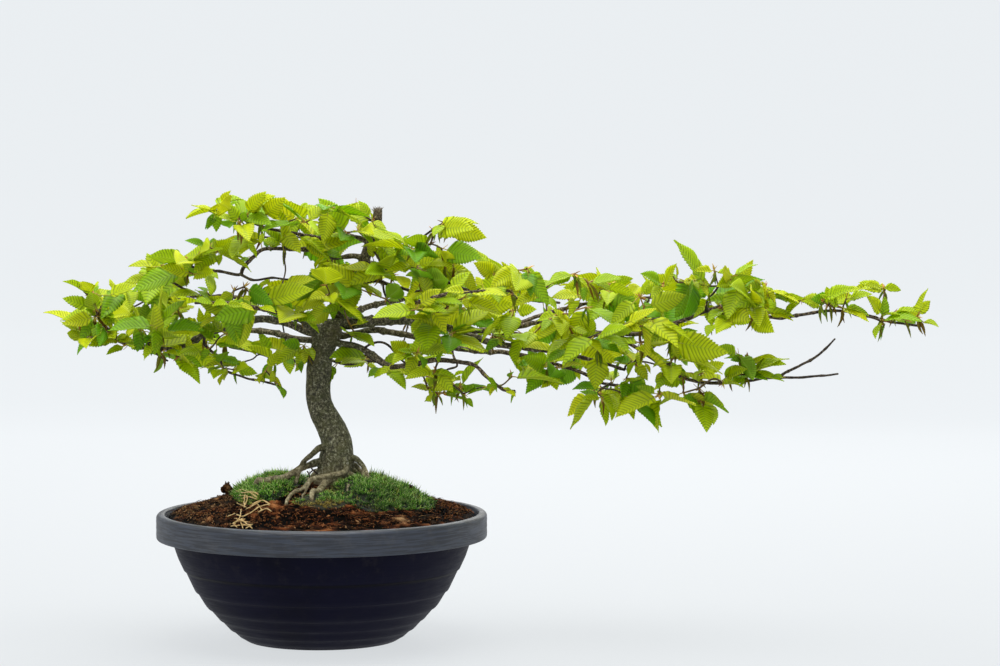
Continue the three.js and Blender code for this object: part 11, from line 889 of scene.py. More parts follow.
# ------------------------------------------------------------------ mesh gathering
class Gather:
    """Vertices, faces, a material number per face and a colour per vertex, gathered from many small parts."""

    def __init__(self):
        self.V, self.F, self.M, self.C, self.n = [], [], [], [], 0

    def add(self, V, F, mat, C):
        V = np.asarray(V, float)
        C = np.asarray(C, float)
        if C.ndim == 1:
            C = np.tile(C, (len(V), 1))
        self.V.append(V)
        self.C.append(C)
        for f in F:
            f = np.asarray(f)
            self.F.append(f + self.n)
            self.M.append(np.full(len(f), mat, np.int32) if np.isscalar(mat) else np.asarray(mat, np.int32))
        self.n += len(V)

    def object(self, name, materials, smooth=True):
        V = np.vstack(self.V) * MM
        C = np.vstack(self.C)
        loops = np.concatenate([f.reshape(-1) for f in self.F]).astype(np.int32)
        sizes = np.concatenate([np.full(len(f), f.shape[1], np.int32) for f in self.F])
        mats = np.concatenate(self.M)
        me = bpy.data.meshes.new(name)
        me.vertices.add(len(V))
        me.vertices.foreach_set("co", V.reshape(-1).astype(np.float32))
        me.loops.add(len(loops))
        me.loops.foreach_set("vertex_index", loops)
        me.polygons.add(len(sizes))
        me.polygons.foreach_set("loop_start", np.concatenate([[0], np.cumsum(sizes)[:-1]]).astype(np.int32))
        me.polygons.foreach_set("material_index", mats)
        me.polygons.foreach_set("use_smooth", np.full(len(sizes), bool(smooth)))
        for k, key in enumerate(("tone_a", "tone_b", "tone_c")):
            at = me.attributes.new(key, "FLOAT", "POINT")
            at.data.foreach_set("value", np.ascontiguousarray(C[:, k]).astype(np.float32))
        me.update(calc_edges=True)
        me.validate(clean_customdata=False)
        for m in materials:
            me.materials.append(m)
        ob = bpy.data.objects.new(name, me)
        bpy.context.scene.collection.objects.link(ob)
        return ob


def catmull(P, step):
    """Rows of x, y, z, radius smoothed through their points, about one row every step mm."""
    P = np.asarray(P, float)
    if len(P) < 3:
        n = max(1, int(np.linalg.norm(P[-1, :3] - P[0, :3]) / step))
        f = np.linspace(0, 1, n + 1)[:, None]
        return P[0] + (P[-1] - P[0]) * f
    A = np.vstack([2 * P[0] - P[1], P, 2 * P[-1] - P[-2]])
    out = []
    for i in range(1, len(A) - 2):
        p0, p1, p2, p3 = A[i - 1], A[i], A[i + 1], A[i + 2]
        n = max(1, int(round(np.linalg.norm(p2[:3] - p1[:3]) / step)))
        f = (np.arange(n) / n)[:, None]
        out.append(0.5 * (2 * p1 + (p2 - p0) * f + (2 * p0 - 5 * p1 + 4 * p2 - p3) * f**2 + (3 * p1 - p0 - 3 * p2 + p3) * f**3))
    out.append(P[-1:])
    return np.vstack(out)


def frames(P):
    T = np.zeros_like(P)
    T[0], T[-1] = P[1] - P[0], P[-1] - P[-2]
    if len(P) > 2:
        a = P[1:-1] - P[:-2]
        b = P[2:] - P[1:-1]
        T[1:-1] = a / (np.linalg.norm(a, axis=1)[:, None] + 1e-9) + b / (np.linalg.norm(b, axis=1)[:, None] + 1e-9)
    T /= np.linalg.norm(T, axis=1)[:, None] + 1e-12
    u = np.cross(T[0], [0, 0, 1.0])
    if np.linalg.norm(u) < 0.2:
        u = np.cross(T[0], [1.0, 0, 0])
    U, W = [], []
    for i in range(len(P)):
        u = unit(u - np.dot(u, T[i]) * T[i])
        U.append(u)
        W.append(np.cross(T[i], u))
    return T, np.array(U), np.array(W)


_tube_faces = {}


def tube_faces(n, k):
    if (n, k) not in _tube_faces:
        i, j = np.meshgrid(np.arange(n - 1), np.arange(k), indexing="ij")
        a = i * k + j
        b = i * k + (j + 1) % k
        quads = np.stack([a, b, b + k, a + k], -1).reshape(-1, 4)
        # pointed ends: one more vertex at each end
        s, e = n * k, n * k + 1
        j = np.arange(k)
        o = (n - 1) * k
        tris = np.vstack([np.stack([np.full(k, s), (j + 1) % k, j], -1), np.stack([np.full(k, e), o + j, o + (j + 1) % k], -1)])
        _tube_faces[(n, k)] = (quads, tris)
    return _tube_faces[(n, k)]


def tube(g, rows, sides, mat, colour, rough=0.0, seed=0, phase=0.0, ends=0.6):
    """A closed tube with slightly domed ends. colour is one colour or one per row."""
    rows = np.asarray(rows, float)
    P, R = rows[:, :3], rows[:, 3]
    T, U, W = frames(P)
    a = 2 * np.pi * np.arange(sides) / sides + phase
    V = P[:, None] + R[:, None, None] * (np.cos(a)[None, :, None] * U[:, None] + np.sin(a)[None, :, None] * W[:, None])
    V = V.reshape(-1, 3)
    if rough:
        N = (V - np.repeat(P, sides, axis=0)) / np.maximum(np.repeat(R, sides), 0.05)[:, None]
        V = V + N * (rough * np.repeat(R, sides) * (0.7 * vnoise(V, 5.0, seed) + 0.5 * vnoise(V, 2.0, seed + 3)))[:, None]
    V = np.vstack([V, P[0] - T[0] * R[0] * ends, P[-1] + T[-1] * R[-1] * ends])
    C = np.asarray(colour, float)
    if C.ndim == 2:
        C = np.vstack([np.repeat(C, sides, axis=0), C[:1], C[-1:]])
    g.add(V, tube_faces(len(P), sides), mat, C)


# ------------------------------------------------------------------ materials
def nodes_of(name):
    m = bpy.data.materials.new(name)
    m.use_nodes = True
    nt = m.node_tree
    nt.nodes.clear()
    out = nt.nodes.new("ShaderNodeOutputMaterial")
    bs = nt.nodes.new("ShaderNodeBsdfPrincipled")
    nt.links.new(bs.outputs[0], out.inputs[0])
    return m, nt, bs, out


class Net:
    """Short names for building node trees."""

    def __init__(self, nt):
        self.nt = nt

    def new(self, kind, **values):
        n = self.nt.nodes.new("ShaderNode" + kind)
        for k, v in values.items():
            if hasattr(n, k) and not isinstance(v, dict):
                setattr(n, k, v)
        return n

    def link(self, a, b):
        self.nt.links.new(a, b)

    def coords(self):
        return self.new("TexCoord").outputs["Object"]

    def mapping(self, scale, vector=None):
        n = self.new("Mapping")
        n.inputs["Scale"].default_value = scale
        self.link(vector or self.coords(), n.inputs["Vector"])
        return n.outputs[0]

    def noise(self, scale, detail=3.0, rough=0.55, vector=None, distortion=0.0):
        n = self.new("TexNoise")
        n.inputs["Scale"].default_value = scale
        n.inputs["Detail"].default_value = detail
        n.inputs["Roughness"].default_value = rough
        n.inputs["Distortion"].default_value = distortion
        self.link(vector or self.coords(), n.inputs["Vector"])
        return n.outputs["Fac"]

    def voronoi(self, scale, vector=None, feature="F1", out="Distance"):
        n = self.new("TexVoronoi")
        n.feature = feature
        n.inputs["Scale"].default_value = scale
        self.link(vector or self.coords(), n.inputs["Vector"])
        return n.outputs[out]

    def ramp(self, fac, stops, mode="LINEAR"):
        n = self.new("ValToRGB")
        n.color_ramp.interpolation = mode
        e = n.color_ramp.elements
        while len(e) < len(stops):
            e.new(0.5)
        for i, (p, c) in enumerate(stops):
            e[i].position = p
            e[i].color = (*c, 1) if len(c) == 3 else c
        self.link(fac, n.inputs[0])
        return n.outputs[0]

    def mix(self, fac, a, b, blend="MIX"):
        n = self.new("Mix")
        n.data_type = "RGBA"
        n.blend_type = blend
        for sock, val in ((n.inputs[0], fac), (n.inputs[6], a), (n.inputs[7], b)):
            if isinstance(val, (int, float)):
                sock.default_value = val
            elif isinstance(val, tuple):
                sock.default_value = (*val, 1)
            else:
                self.link(val, sock)
        return n.outputs[2]

    def math(self, op, a, b=0.0, clamp=False):
        n = self.new("Math")
        n.operation = op
        n.use_clamp = clamp
        for sock, val in ((n.inputs[0], a), (n.inputs[1], b)):
            if isinstance(val, (int, float)):
                sock.default_value = val
            else:
                self.link(val, sock)
        return n.outputs[0]

    def range(self, x, a, b, c=0.0, d=1.0):
        n = self.new("MapRange")
        self.link(x, n.inputs[0])
        for i, v in enumerate((a, b, c, d)):
            n.inputs[i + 1].default_value = v
        return n.outputs[0]

    def tone(self):
        out = []
        for key in ("tone_a", "tone_b", "tone_c"):
            n = self.new("Attribute")
            n.attribute_type = "GEOMETRY"
            n.attribute_name = key
            out.append(n.outputs["Fac"])
        return out

    def bump(self, height, strength, distance, normal=None):
        n = self.new("Bump")
        n.inputs["Strength"].default_value = strength
        n.inputs["Distance"].default_value = distance
        self.link(height, n.inputs["Height"])
        if normal:
            self.link(normal, n.inputs["Normal"])
        return n.outputs[0]


def srgb(r, g, b):
    return tuple(((c / 255) / 12.92 if c / 255 <= 0.04045 else ((c / 255 + 0.055) / 1.055) ** 2.4) for c in (r, g, b))


def leaf_material(name, under):
    """Colour from the leaf's tone, the place across each pleat and a little mottling, darker along each vein's crease
    (partly the vein's own colour, partly painted crease shade); part of the light goes through.
    """
    m, nt, bs, out = nodes_of(name)
    k = Net(nt)
    tone, pleat, edge = k.tone()
    mott = k.noise(260.0, 2.0, 0.6)
    t = k.math("ADD", tone, k.math("MULTIPLY", k.math("SUBTRACT", mott, 0.5), 0.16), True)
    if under:
        base = k.ramp(t, [(0.0, srgb(214, 214, 50)), (0.35, srgb(186, 200, 50)), (0.7, srgb(142, 174, 54)), (0.86, srgb(142, 134, 48)), (1.0, srgb(146, 98, 46))])
    else:
        base = k.ramp(t, [(0.0, srgb(216, 224, 22)), (0.35, srgb(180, 208, 14)), (0.7, srgb(112, 168, 14)), (0.86, srgb(132, 128, 26)), (1.0, srgb(148, 98, 34))])
    # darker green along each vein's crease: partly the vein's own colour, partly painted shade in the pleat's valley
    vein_and_crease_shade = k.range(pleat, 0.02, 0.52, 1.0, 0.0)
    if under:
        col = k.mix(vein_and_crease_shade, base, k.mix(0.5, base, srgb(52, 88, 10)))
    else:
        col = k.mix(vein_and_crease_shade, base, k.mix(0.58, base, srgb(36, 82, 0)))
    rib = k.range(edge, 0.0, 0.07, 0.8, 0.0)
    col = k.mix(rib, col, srgb(186, 196, 92) if under else srgb(150, 176, 60))
    k.link(col, bs.inputs["Base Color"])
    bs.inputs["Roughness"].default_value = 0.6 if under else 0.48
    bs.inputs["Specular IOR Level"].default_value = 0.22 if under else 0.34
    fine = k.noise(900.0, 2.0, 0.6)
    k.link(k.bump(fine, 0.25, 0.0004), bs.inputs["Normal"])
    tr = k.new("BsdfTranslucent")
    glow = k.ramp(t, [(0.0, srgb(242, 244, 28)), (0.35, srgb(228, 241, 14)), (0.7, srgb(176, 224, 8)), (0.86, srgb(180, 166, 24)), (1.0, srgb(178, 118, 40))])
    # the light let through is darker along the veins too, partly painted crease shade
    glow = k.mix(k.math("MULTIPLY", vein_and_crease_shade, 0.46), glow, srgb(98, 134, 2))
    k.link(glow, tr.inputs["Color"])
    mx = k.new("MixShader")
    mx.inputs[0].default_value = 0.5
    k.link(bs.outputs[0], mx.inputs[1])
    k.link(tr.outputs[0], mx.inputs[2])
    k.link(mx.outputs[0], out.inputs[0])
    return m


def shoot_material():
    """Petioles and young shoots: tone 0 yellow green, 0.5 orange brown, 1 dark brown."""
    m, nt, bs, out = nodes_of("shoot")
    k = Net(nt)
    tone, _, _ = k.tone()
    n = k.noise(500.0, 3.0)
    t = k.math("ADD", tone, k.math("MULTIPLY", k.math("SUBTRACT", n, 0.5), 0.3), True)
    col = k.ramp(t, [(0.0, srgb(172, 176, 44)), (0.3, srgb(178, 154, 56)), (0.5, srgb(146, 106, 42)), (0.72, srgb(74, 56, 36)), (1.0, srgb(38, 32, 28))])
    k.link(col, bs.inputs["Base Color"])
    bs.inputs["Roughness"].default_value = 0.5
    bs.inputs["Specular IOR Level"].default_value = 0.4
    k.link(k.bump(k.noise(1400.0, 2.0), 0.4, 0.0004), bs.inputs["Normal"])
    return m


def scale_material():
    """Bud scales: papery orange and pinkish brown."""
    m, nt, bs, out = nodes_of("bud_scale")
    k = Net(nt)
    tone, along, _ = k.tone()
    n = k.noise(700.0, 2.0)
    t = k.math("ADD", tone, k.math("MULTIPLY", k.math("SUBTRACT", n, 0.5), 0.35), True)
    col = k.ramp(t, [(0.0, srgb(216, 188, 98)), (0.35, srgb(202, 156, 66)), (0.65, srgb(184, 126, 54)), (1.0, srgb(126, 86, 42))])
    k.link(col, bs.inputs["Base Color"])
    bs.inputs["Roughness"].default_value = 0.6
    return m


def bark_material():
    """Smooth grey-green bark with fine speckle, pale lichen flecks, darker rough twigs: tone 0 trunk, 1 thin twig."""
    m, nt, bs, out = nodes_of("bark")
    k = Net(nt)
    tone, wet, root = k.tone()
    fine = k.noise(420.0, 4.0, 0.72)
    mid = k.noise(130.0, 4.0, 0.6)
    big = k.noise(28.0, 3.0, 0.55)
    long = k.noise(1.0, 4.0, 0.6, k.mapping((260.0, 260.0, 70.0)))
    col = k.ramp(fine, [(0.36, srgb(26, 25, 16)), (0.46, srgb(66, 64, 46)), (0.54, srgb(100, 97, 75)), (0.6, srgb(132, 130, 104)), (0.68, srgb(188, 186, 160))])
    col = k.mix(k.range(mid, 0.42, 0.62, 0.0, 0.55), col, srgb(74, 76, 46))
    col = k.mix(k.range(long, 0.5, 0.66, 0.0, 0.5), col, srgb(48, 47, 38))
    lich = k.math("MULTIPLY", k.range(k.noise(210.0, 3.0, 0.65), 0.6, 0.68), k.range(big, 0.42, 0.6))
    col = k.mix(k.math("MULTIPLY", lich, 0.75), col, srgb(168, 168, 148))
    col = k.mix(k.range(big, 0.5, 0.7, 0.0, 0.45), col, srgb(92, 84, 46))
    dark = k.ramp(fine, [(0.36, srgb(22, 17, 13)), (0.48, srgb(60, 48, 36)), (0.58, srgb(116, 100, 78)), (0.68, srgb(182, 168, 142))])
    col = k.mix(k.range(tone, 0.0, 0.75), col, dark)
    col = k.mix(k.range(tone, 0.7, 1.0, 0.0, 0.6), col, srgb(34, 26, 24))
    tan = k.ramp(k.math("ADD", k.math("MULTIPLY", fine, 0.6), k.math("MULTIPLY", long, 0.4)), [(0.36, srgb(60, 52, 36)), (0.46, srgb(122, 112, 84)), (0.56, srgb(166, 156, 122)), (0.66, srgb(214, 206, 176))])
    col = k.mix(root, col, tan)
    col = k.mix(wet, col, srgb(92, 62, 36))
    k.link(col, bs.inputs["Base Color"])
    k.link(k.range(mid, 0.3, 0.7, 0.62, 0.88), bs.inputs["Roughness"])
    bs.inputs["Specular IOR Level"].default_value = 0.3
    h = k.math("ADD", k.math("MULTIPLY", fine, 0.5), k.math("ADD", k.math("MULTIPLY", long, 0.7), k.math("MULTIPLY", mid, 0.6)))
    k.link(k.bump(h, 0.7, 0.0012), bs.inputs["Normal"])
    return m


def wood_cut_material():
    m, nt, bs, out = nodes_of("cut_wood")
    k = Net(nt)
    n = k.noise(700.0, 4.0, 0.7)
    col = k.ramp(n, [(0.3, srgb(70, 62, 52)), (0.55, srgb(120, 110, 94)), (0.75, srgb(170, 160, 140))])
    k.link(col, bs.inputs["Base Color"])
    bs.inputs["Roughness"].default_value = 0.85
    k.link(k.bump(n, 0.8, 0.001), bs.inputs["Normal"])
    return m


def soil_material():
    """Fibrous peat: red brown lumps over near black hollows, the near black being painted shade. tone 0 deep, 1 raised;
    the second channel is redness.
    """
    m, nt, bs, out = nodes_of("soil")
    k = Net(nt)
    tone, red, dry = k.tone()
    fine = k.noise(850.0, 4.0, 0.75)
    fib = k.noise(1.0, 3.0, 0.6, k.mapping((900.0, 260.0, 500.0)), 1.5)
    t = k.math("ADD", k.math("MULTIPLY", tone, 0.62), k.math("ADD", k.math("MULTIPLY", fine, 0.34), k.math("MULTIPLY", fib, 0.18)))
    # the low end of both ramps goes near black: painted shade in the hollows
    dark = k.ramp(t, [(0.36, srgb(1, 1, 0)), (0.52, srgb(22, 15, 9)), (0.7, srgb(70, 50, 32)), (0.94, srgb(184, 148, 104))])
    reds = k.ramp(t, [(0.36, srgb(2, 1, 0)), (0.5, srgb(42, 20, 10)), (0.68, srgb(114, 64, 34)), (0.94, srgb(184, 124, 78))])
    col = k.mix(red, dark, reds)
    col = k.mix(dry, col, k.ramp(fine, [(0.35, srgb(128, 98, 54)), (0.6, srgb(214, 186, 124))]))
    k.link(col, bs.inputs["Base Color"])
    bs.inputs["Roughness"].default_value = 0.95
    bs.inputs["Specular IOR Level"].default_value = 0.06
    k.link(k.bump(k.math("ADD", fine, fib), 0.9, 0.0012), bs.inputs["Normal"])
    return m


def moss_material():
    """tone: 0 deep in the pad, 1 tip; the near-black foot is painted shade among the shoots and the pale tips are
    partly young growth, partly painted highlight. The second channel turns green to straw yellow, the third is each
    shoot's own shade.
    """
    m, nt, bs, out = nodes_of("moss")
    k = Net(nt)
    tone, yellow, own = k.tone()
    # near-black low end: painted shade deep in the pad; pale top end: partly painted highlight
    g = k.ramp(tone, [(0.0, srgb(3, 7, 1)), (0.22, srgb(9, 22, 2)), (0.44, srgb(44, 102, 8)), (0.68, srgb(110, 178, 30)), (0.96, srgb(224, 244, 156))])
    y = k.ramp(tone, [(0.0, srgb(24, 18, 8)), (0.3, srgb(80, 62, 20)), (0.65, srgb(160, 136, 44)), (0.95, srgb(216, 192, 110))])
    col = k.mix(yellow, g, y)
    col = k.mix(own, col, k.mix(0.86, col, srgb(7, 22, 3)), "MIX")
    k.link(col, bs.inputs["Base Color"])
    bs.inputs["Roughness"].default_value = 0.6
    bs.inputs["Specular IOR Level"].default_value = 0.25
    k.link(k.bump(k.noise(1500.0, 2.0), 0.3, 0.0003), bs.inputs["Normal"])
    return m


def straw_material():
    m, nt, bs, out = nodes_of("straw")
    k = Net(nt)
    n = k.noise(1.0, 3.0, 0.6, k.mapping((200.0, 900.0, 900.0)))
    col = k.ramp(n, [(0.3, srgb(150, 116, 66)), (0.55, srgb(206, 176, 116)), (0.8, srgb(232, 212, 164))])
    k.link(col, bs.inputs["Base Color"])
    bs.inputs["Roughness"].default_value = 0.55
    k.link(k.bump(n, 0.4, 0.0005), bs.inputs["Normal"])
    return m


def pot_material():
    """Moulded plastic, near black with a blue cast on the bowl, with painted highlights on the band edges and painted
    shade in the grooves; the rim band greyer, partly its finely brushed finish and partly painted reflection of the
    sky; with grime and specks.
    """
    m, nt, bs, out = nodes_of("pot_plastic")
    k = Net(nt)
    tone, band, ledge_light_and_shade = k.tone()
    obj = k.coords()
    sep = k.new("SeparateXYZ")
    k.link(obj, sep.inputs[0])
    ang = k.new("Math")
    ang.operation = "ARCTAN2"
    k.link(sep.outputs[1], ang.inputs[0])
    k.link(sep.outputs[0], ang.inputs[1])
    comb = k.new("CombineXYZ")
    k.link(k.math("MULTIPLY", ang.outputs[0], 0.165), comb.inputs[0])
    k.link(sep.outputs[2], comb.inputs[2])
    ringed = comb.outputs[0]
    stri = k.noise(1.0, 3.0, 0.55, k.mapping((26.0, 1.0, 560.0), ringed), 0.6)
    fine = k.noise(1.0, 2.0, 0.5, k.mapping((240.0, 1.0, 900.0), ringed))
    blot = k.noise(12.0, 3.0, 0.6)
    bowl = k.ramp(blot, [(0.3, srgb(5, 5, 20)), (0.55, srgb(8, 8, 29)), (0.75, srgb(12, 12, 29))])
    # the rim band's lighter grey is partly painted reflection of the sky above, partly its brushed finish
    rim = k.ramp(blot, [(0.3, srgb(31, 40, 55)), (0.55, srgb(40, 48, 62)), (0.75, srgb(55, 58, 64))])
    rim = k.mix(k.range(stri, 0.45, 0.55, 0.0, 0.8), rim, srgb(16, 21, 30))
    # painted highlight on each band's rolled edge, painted shade in the groove at each step
    bowl = k.mix(k.range(ledge_light_and_shade, 0.5, 1.0, 0.0, 0.5), bowl, srgb(26, 26, 40))
    bowl = k.mix(k.range(ledge_light_and_shade, 0.0, 0.5, 0.9, 0.0), bowl, srgb(0, 0, 2))
    col = k.mix(band, bowl, rim)
    speck = k.range(k.voronoi(330.0), 0.0, 0.09, 1.0, 0.0)
    few = k.range(k.noise(40.0, 2.0), 0.56, 0.66)
    col = k.mix(k.math("MULTIPLY", k.math("MULTIPLY", speck, few), 0.8), col, k.mix(band, srgb(70, 68, 70), srgb(14, 12, 12)))
    dust = k.range(k.noise(70.0, 4.0, 0.7), 0.52, 0.78, 0.0, 0.12)
    col = k.mix(k.math("MULTIPLY", dust, tone), col, srgb(112, 104, 92))
    k.link(col, bs.inputs["Base Color"])
    k.link(k.range(stri, 0.3, 0.7, 0.46, 0.6), bs.inputs["Roughness"])
    k.link(k.range(band, 0.0, 1.0, 0.07, 0.6), bs.inputs["Specular IOR Level"])
    h = k.math("ADD", k.math("MULTIPLY", stri, k.math("ADD", k.math("MULTIPLY", band, 0.9), 0.25)), k.math("MULTIPLY", fine, 0.3))
    k.link(k.bump(h, 0.5, 0.0007), bs.inputs["Normal"])
    return m


MAT_UP = leaf_material("leaf_upper", False)
MAT_UNDER = leaf_material("leaf_under", True)
MAT_SHOOT = shoot_material()
MAT_SCALE = scale_material()
MAT_BARK = bark_material()
MAT_CUT = wood_cut_material()
MAT_SOIL = soil_material()
MAT_MOSS = moss_material()
MAT_STRAW = straw_material()
MAT_POT = pot_material()
LEAF_MATS = [MAT_UP, MAT_UNDER, MAT_SHOOT, MAT_SCALE]

# ------------------------------------------------------------------ leaves
WIDTH = np.array([[0, 0.02], [0.015, 0.2], [0.05, 0.52], [0.1, 0.76], [0.17, 0.92], [0.27, 1.0], [0.38, 1.0], [0.48, 0.95], [0.58, 0.85], [0.68, 0.70], [0.78, 0.51], [0.86, 0.33], [0.92, 0.19], [0.965, 0.09], [1.0, 0.012]])
_topo = {}


def leaf_topology(NV, per, cols):
    """Row positions, column positions, pleat profile, tooth profile and faces of a two-skinned blade."""
    key = (NV, per, tuple(cols))
    if key in _topo:
        return _topo[key]
    R = NV * per
    q = np.linspace(0.0, 1.0, R + 1)
    w = np.array([-c for c in cols[:0:-1]] + list(cols), float)
    ph = np.arange(R + 1) % per
    if per == 4:
        pleat = np.array([-1, 0.3, 1, 0.3])[ph]
        tooth = np.array([1.0, -0.45, 0.5, -0.5])[ph]
        pos = np.array([0, 0.6, 1, 0.6])[ph]
    elif per == 3:
        pleat = np.array([-1, 0.8, 0.8])[ph]
        tooth = np.array([1.0, -0.55, 0.25])[ph]
        pos = np.array([0, 0.75, 0.75])[ph]
    else:
        pleat = np.array([-1, 1])[ph]
        tooth = np.array([0.9, -0.6])[ph]
        pos = np.array([0, 1.0])[ph]
    fade = np.clip(np.minimum(q / 0.05, (1 - q) / 0.06), 0, 1)
    pleat, tooth = pleat * fade, tooth * fade
    n, c = R + 1, len(w)
    i, j = np.meshgrid(np.arange(R), np.arange(c - 1), indexing="ij")
    a = i * c + j
    top = np.stack([a, a + 1, a + c + 1, a + c], -1).reshape(-1, 4)
    N = n * c
    low = top[:, ::-1] + N
    # the edge all round: base row, right margin, tip row, left margin
    loop = list(range(0, c)) + [r * c + c - 1 for r in range(1, n)] + [(n - 1) * c + x for x in range(c - 2, -1, -1)] + [r * c for r in range(n - 2, 0, -1)]
    loop = np.array(loop)
    nxt = np.roll(loop, -1)
    side = np.stack([nxt, loop, loop + N, nxt + N], -1)
    _topo[key] = (q, w, pleat, tooth, pos, top, low, side)
    return _topo[key]


def leaf(g, b, c, n, L, W, droop, fold, tone, seed, NV=11, per=4, cols=(0, 0.42, 0.8, 1.0), amp=None, twist=0.0, thick=0.2):
    """Adds one blade: b its base, c its chord, n its normal at mid blade, on the part's own leaf frame."""
    r = np.random.default_rng(seed)
    q, w, pleat, tooth, pos, top, low, side = leaf_topology(NV, per, cols)
    c = unit(c)
    n = unit(np.asarray(n, float) - np.dot(n, c) * c)
    D = max(abs(droop), 1e-3) * (1 if droop >= 0 else -1)
    W, L = W * 1.06, L * 1.02
    h = D / 2
    d0 = math.cos(h) * c + math.sin(h) * n
    n0 = math.cos(h) * n - math.sin(h) * c
    s = np.cross(n0, d0)
    Q, Wd = np.meshgrid(q, w, indexing="ij")
    A = np.abs(Wd)
    slant = 0.235 * np.clip(Q / 0.2, 0, 1) ** 0.8 * np.clip((1 - Q) / 0.8, 0, 1) ** 0.8
    t = Q + slant * A
    atedge = (A > 0.99).astype(float)
    near = ((A > 0.7) & (A < 0.99)).astype(float)
    ttb = tooth[:, None] * (atedge + 0.3 * near)
    t = np.clip(t + 0.011 * ttb, 0, 1.0)
    width = np.interp(t, WIDTH[:, 0], WIDTH[:, 1])
    half = A * W / 2 * width
    half = half + ttb * W * (0.052 if L < 30 else 0.042) * np.clip(width * 1.6, 0, 1)
    amp = (0.4 * L / NV * 0.42 if amp is None else amp) * (0.85 + 0.3 * r.random())
    prof = np.interp(A, [0, 0.5, 1.0], [0.15, 1.0, 0.55]) * np.clip(width * 1.3, 0, 1)
    lift = amp * pleat[:, None] * prof
    lift += -0.03 * W * np.exp(-((A / 0.16) ** 2)) * np.clip(1.15 - t, 0, 1)
    wave = 0.028 * W * A**2 * np.sin(2 * np.pi * (t * (1.2 + 0.9 * r.random()) + r.random()) + (Wd > 0) * r.uniform(0, 3))
    cup = 0.035 * W * (A**2) * r.uniform(-1, 1)
    lift += wave + cup
    th = D * t
    nn = np.cos(th)[..., None] * n0 + np.sin(th)[..., None] * d0
    tw = twist * (t - 0.4)
    ss = np.cos(tw)[..., None] * s + np.sin(tw)[..., None] * nn
    nt = -np.sin(tw)[..., None] * s + np.cos(tw)[..., None] * nn
    sway = 0.03 * L * r.uniform(-1, 1) * np.sin(np.pi * t)
    mid = b + L * ((np.sin(th) / D)[..., None] * d0 - ((1 - np.cos(th)) / D)[..., None] * n0) + sway[..., None] * s
    sg = np.sign(Wd)
    P = mid + (sg * half * math.cos(fold))[..., None] * ss + (half * math.sin(fold) + lift)[..., None] * nt
    rib = 0.55 * np.exp(-((A / 0.12) ** 2)) * np.clip(1.2 - t, 0.15, 1) + 0.13 * (pos[:, None] < 0.05) * (A < 0.9) * (A > 0.05)
    under = P - ((thick + rib) * np.where(A > 0.99, 0.55, 1.0))[..., None] * nt
    V = np.concatenate([P.reshape(-1, 3), under.reshape(-1, 3)])
    col = np.stack([np.full(t.shape, tone), np.broadcast_to(pos[:, None], t.shape), A], -1).reshape(-1, 3)
    g.V.append(V)
    g.C.append(np.vstack([col, col]))
    for f, m in ((top, 0), (low, 1), (side, 1)):
        g.F.append(f + g.n)
        g.M.append(np.full(len(f), m, np.int32))
    g.n += len(V)


def bud_scale(g, base, d, up, L, W, tone, curl):
    """A small pointed papery scale, two-skinned."""
    d = unit(d)
    s = unit(np.cross(d, up))
    n = np.cross(s, d)
    t = np.array([0, 0.25, 0.55, 0.82])
    hw = np.array([0.35, 1.0, 0.75, 0.3]) * W / 2
    cen = base + np.outer(t * L, d) + np.outer(curl * L * t**2, n)
    rows = [np.stack([cen[i] - s * hw[i], cen[i] - n * 0.22 * W, cen[i] + s * hw[i]]) for i in range(4)]
    V = np.vstack(rows + [cen[-1:] + d * L * 0.2 + n * curl * L * 0.3])
    V = np.vstack([V, V - 0.12 * n])
    q = []
    for i in range(3):
        for j in range(2):
            a = i * 3 + j
            q.append([a, a + 1, a + 4, a + 3])
    q = np.array(q)
    tr = np.array([[9, 10, 12], [10, 11, 12]])
    N = 13
    loop = np.array([0, 1, 2, 5, 8, 11, 12, 9, 6, 3])
    nx = np.roll(loop, -1)
    side = np.stack([nx, loop, loop + N, nx + N], -1)
    col = np.tile([tone, 0.5, 0.5], (len(V), 1))
    g.add(V, [q, q[:, ::-1] + N, side, tr, tr[:, ::-1] + N], 3, col)


UP = np.array([0, 0, 1.0])
TONES = {"y": (0.05, 0.2), "": (0.16, 0.44), "u": (0.2, 0.5), "d": (0.55, 0.74), "s": (0.2, 0.5)}


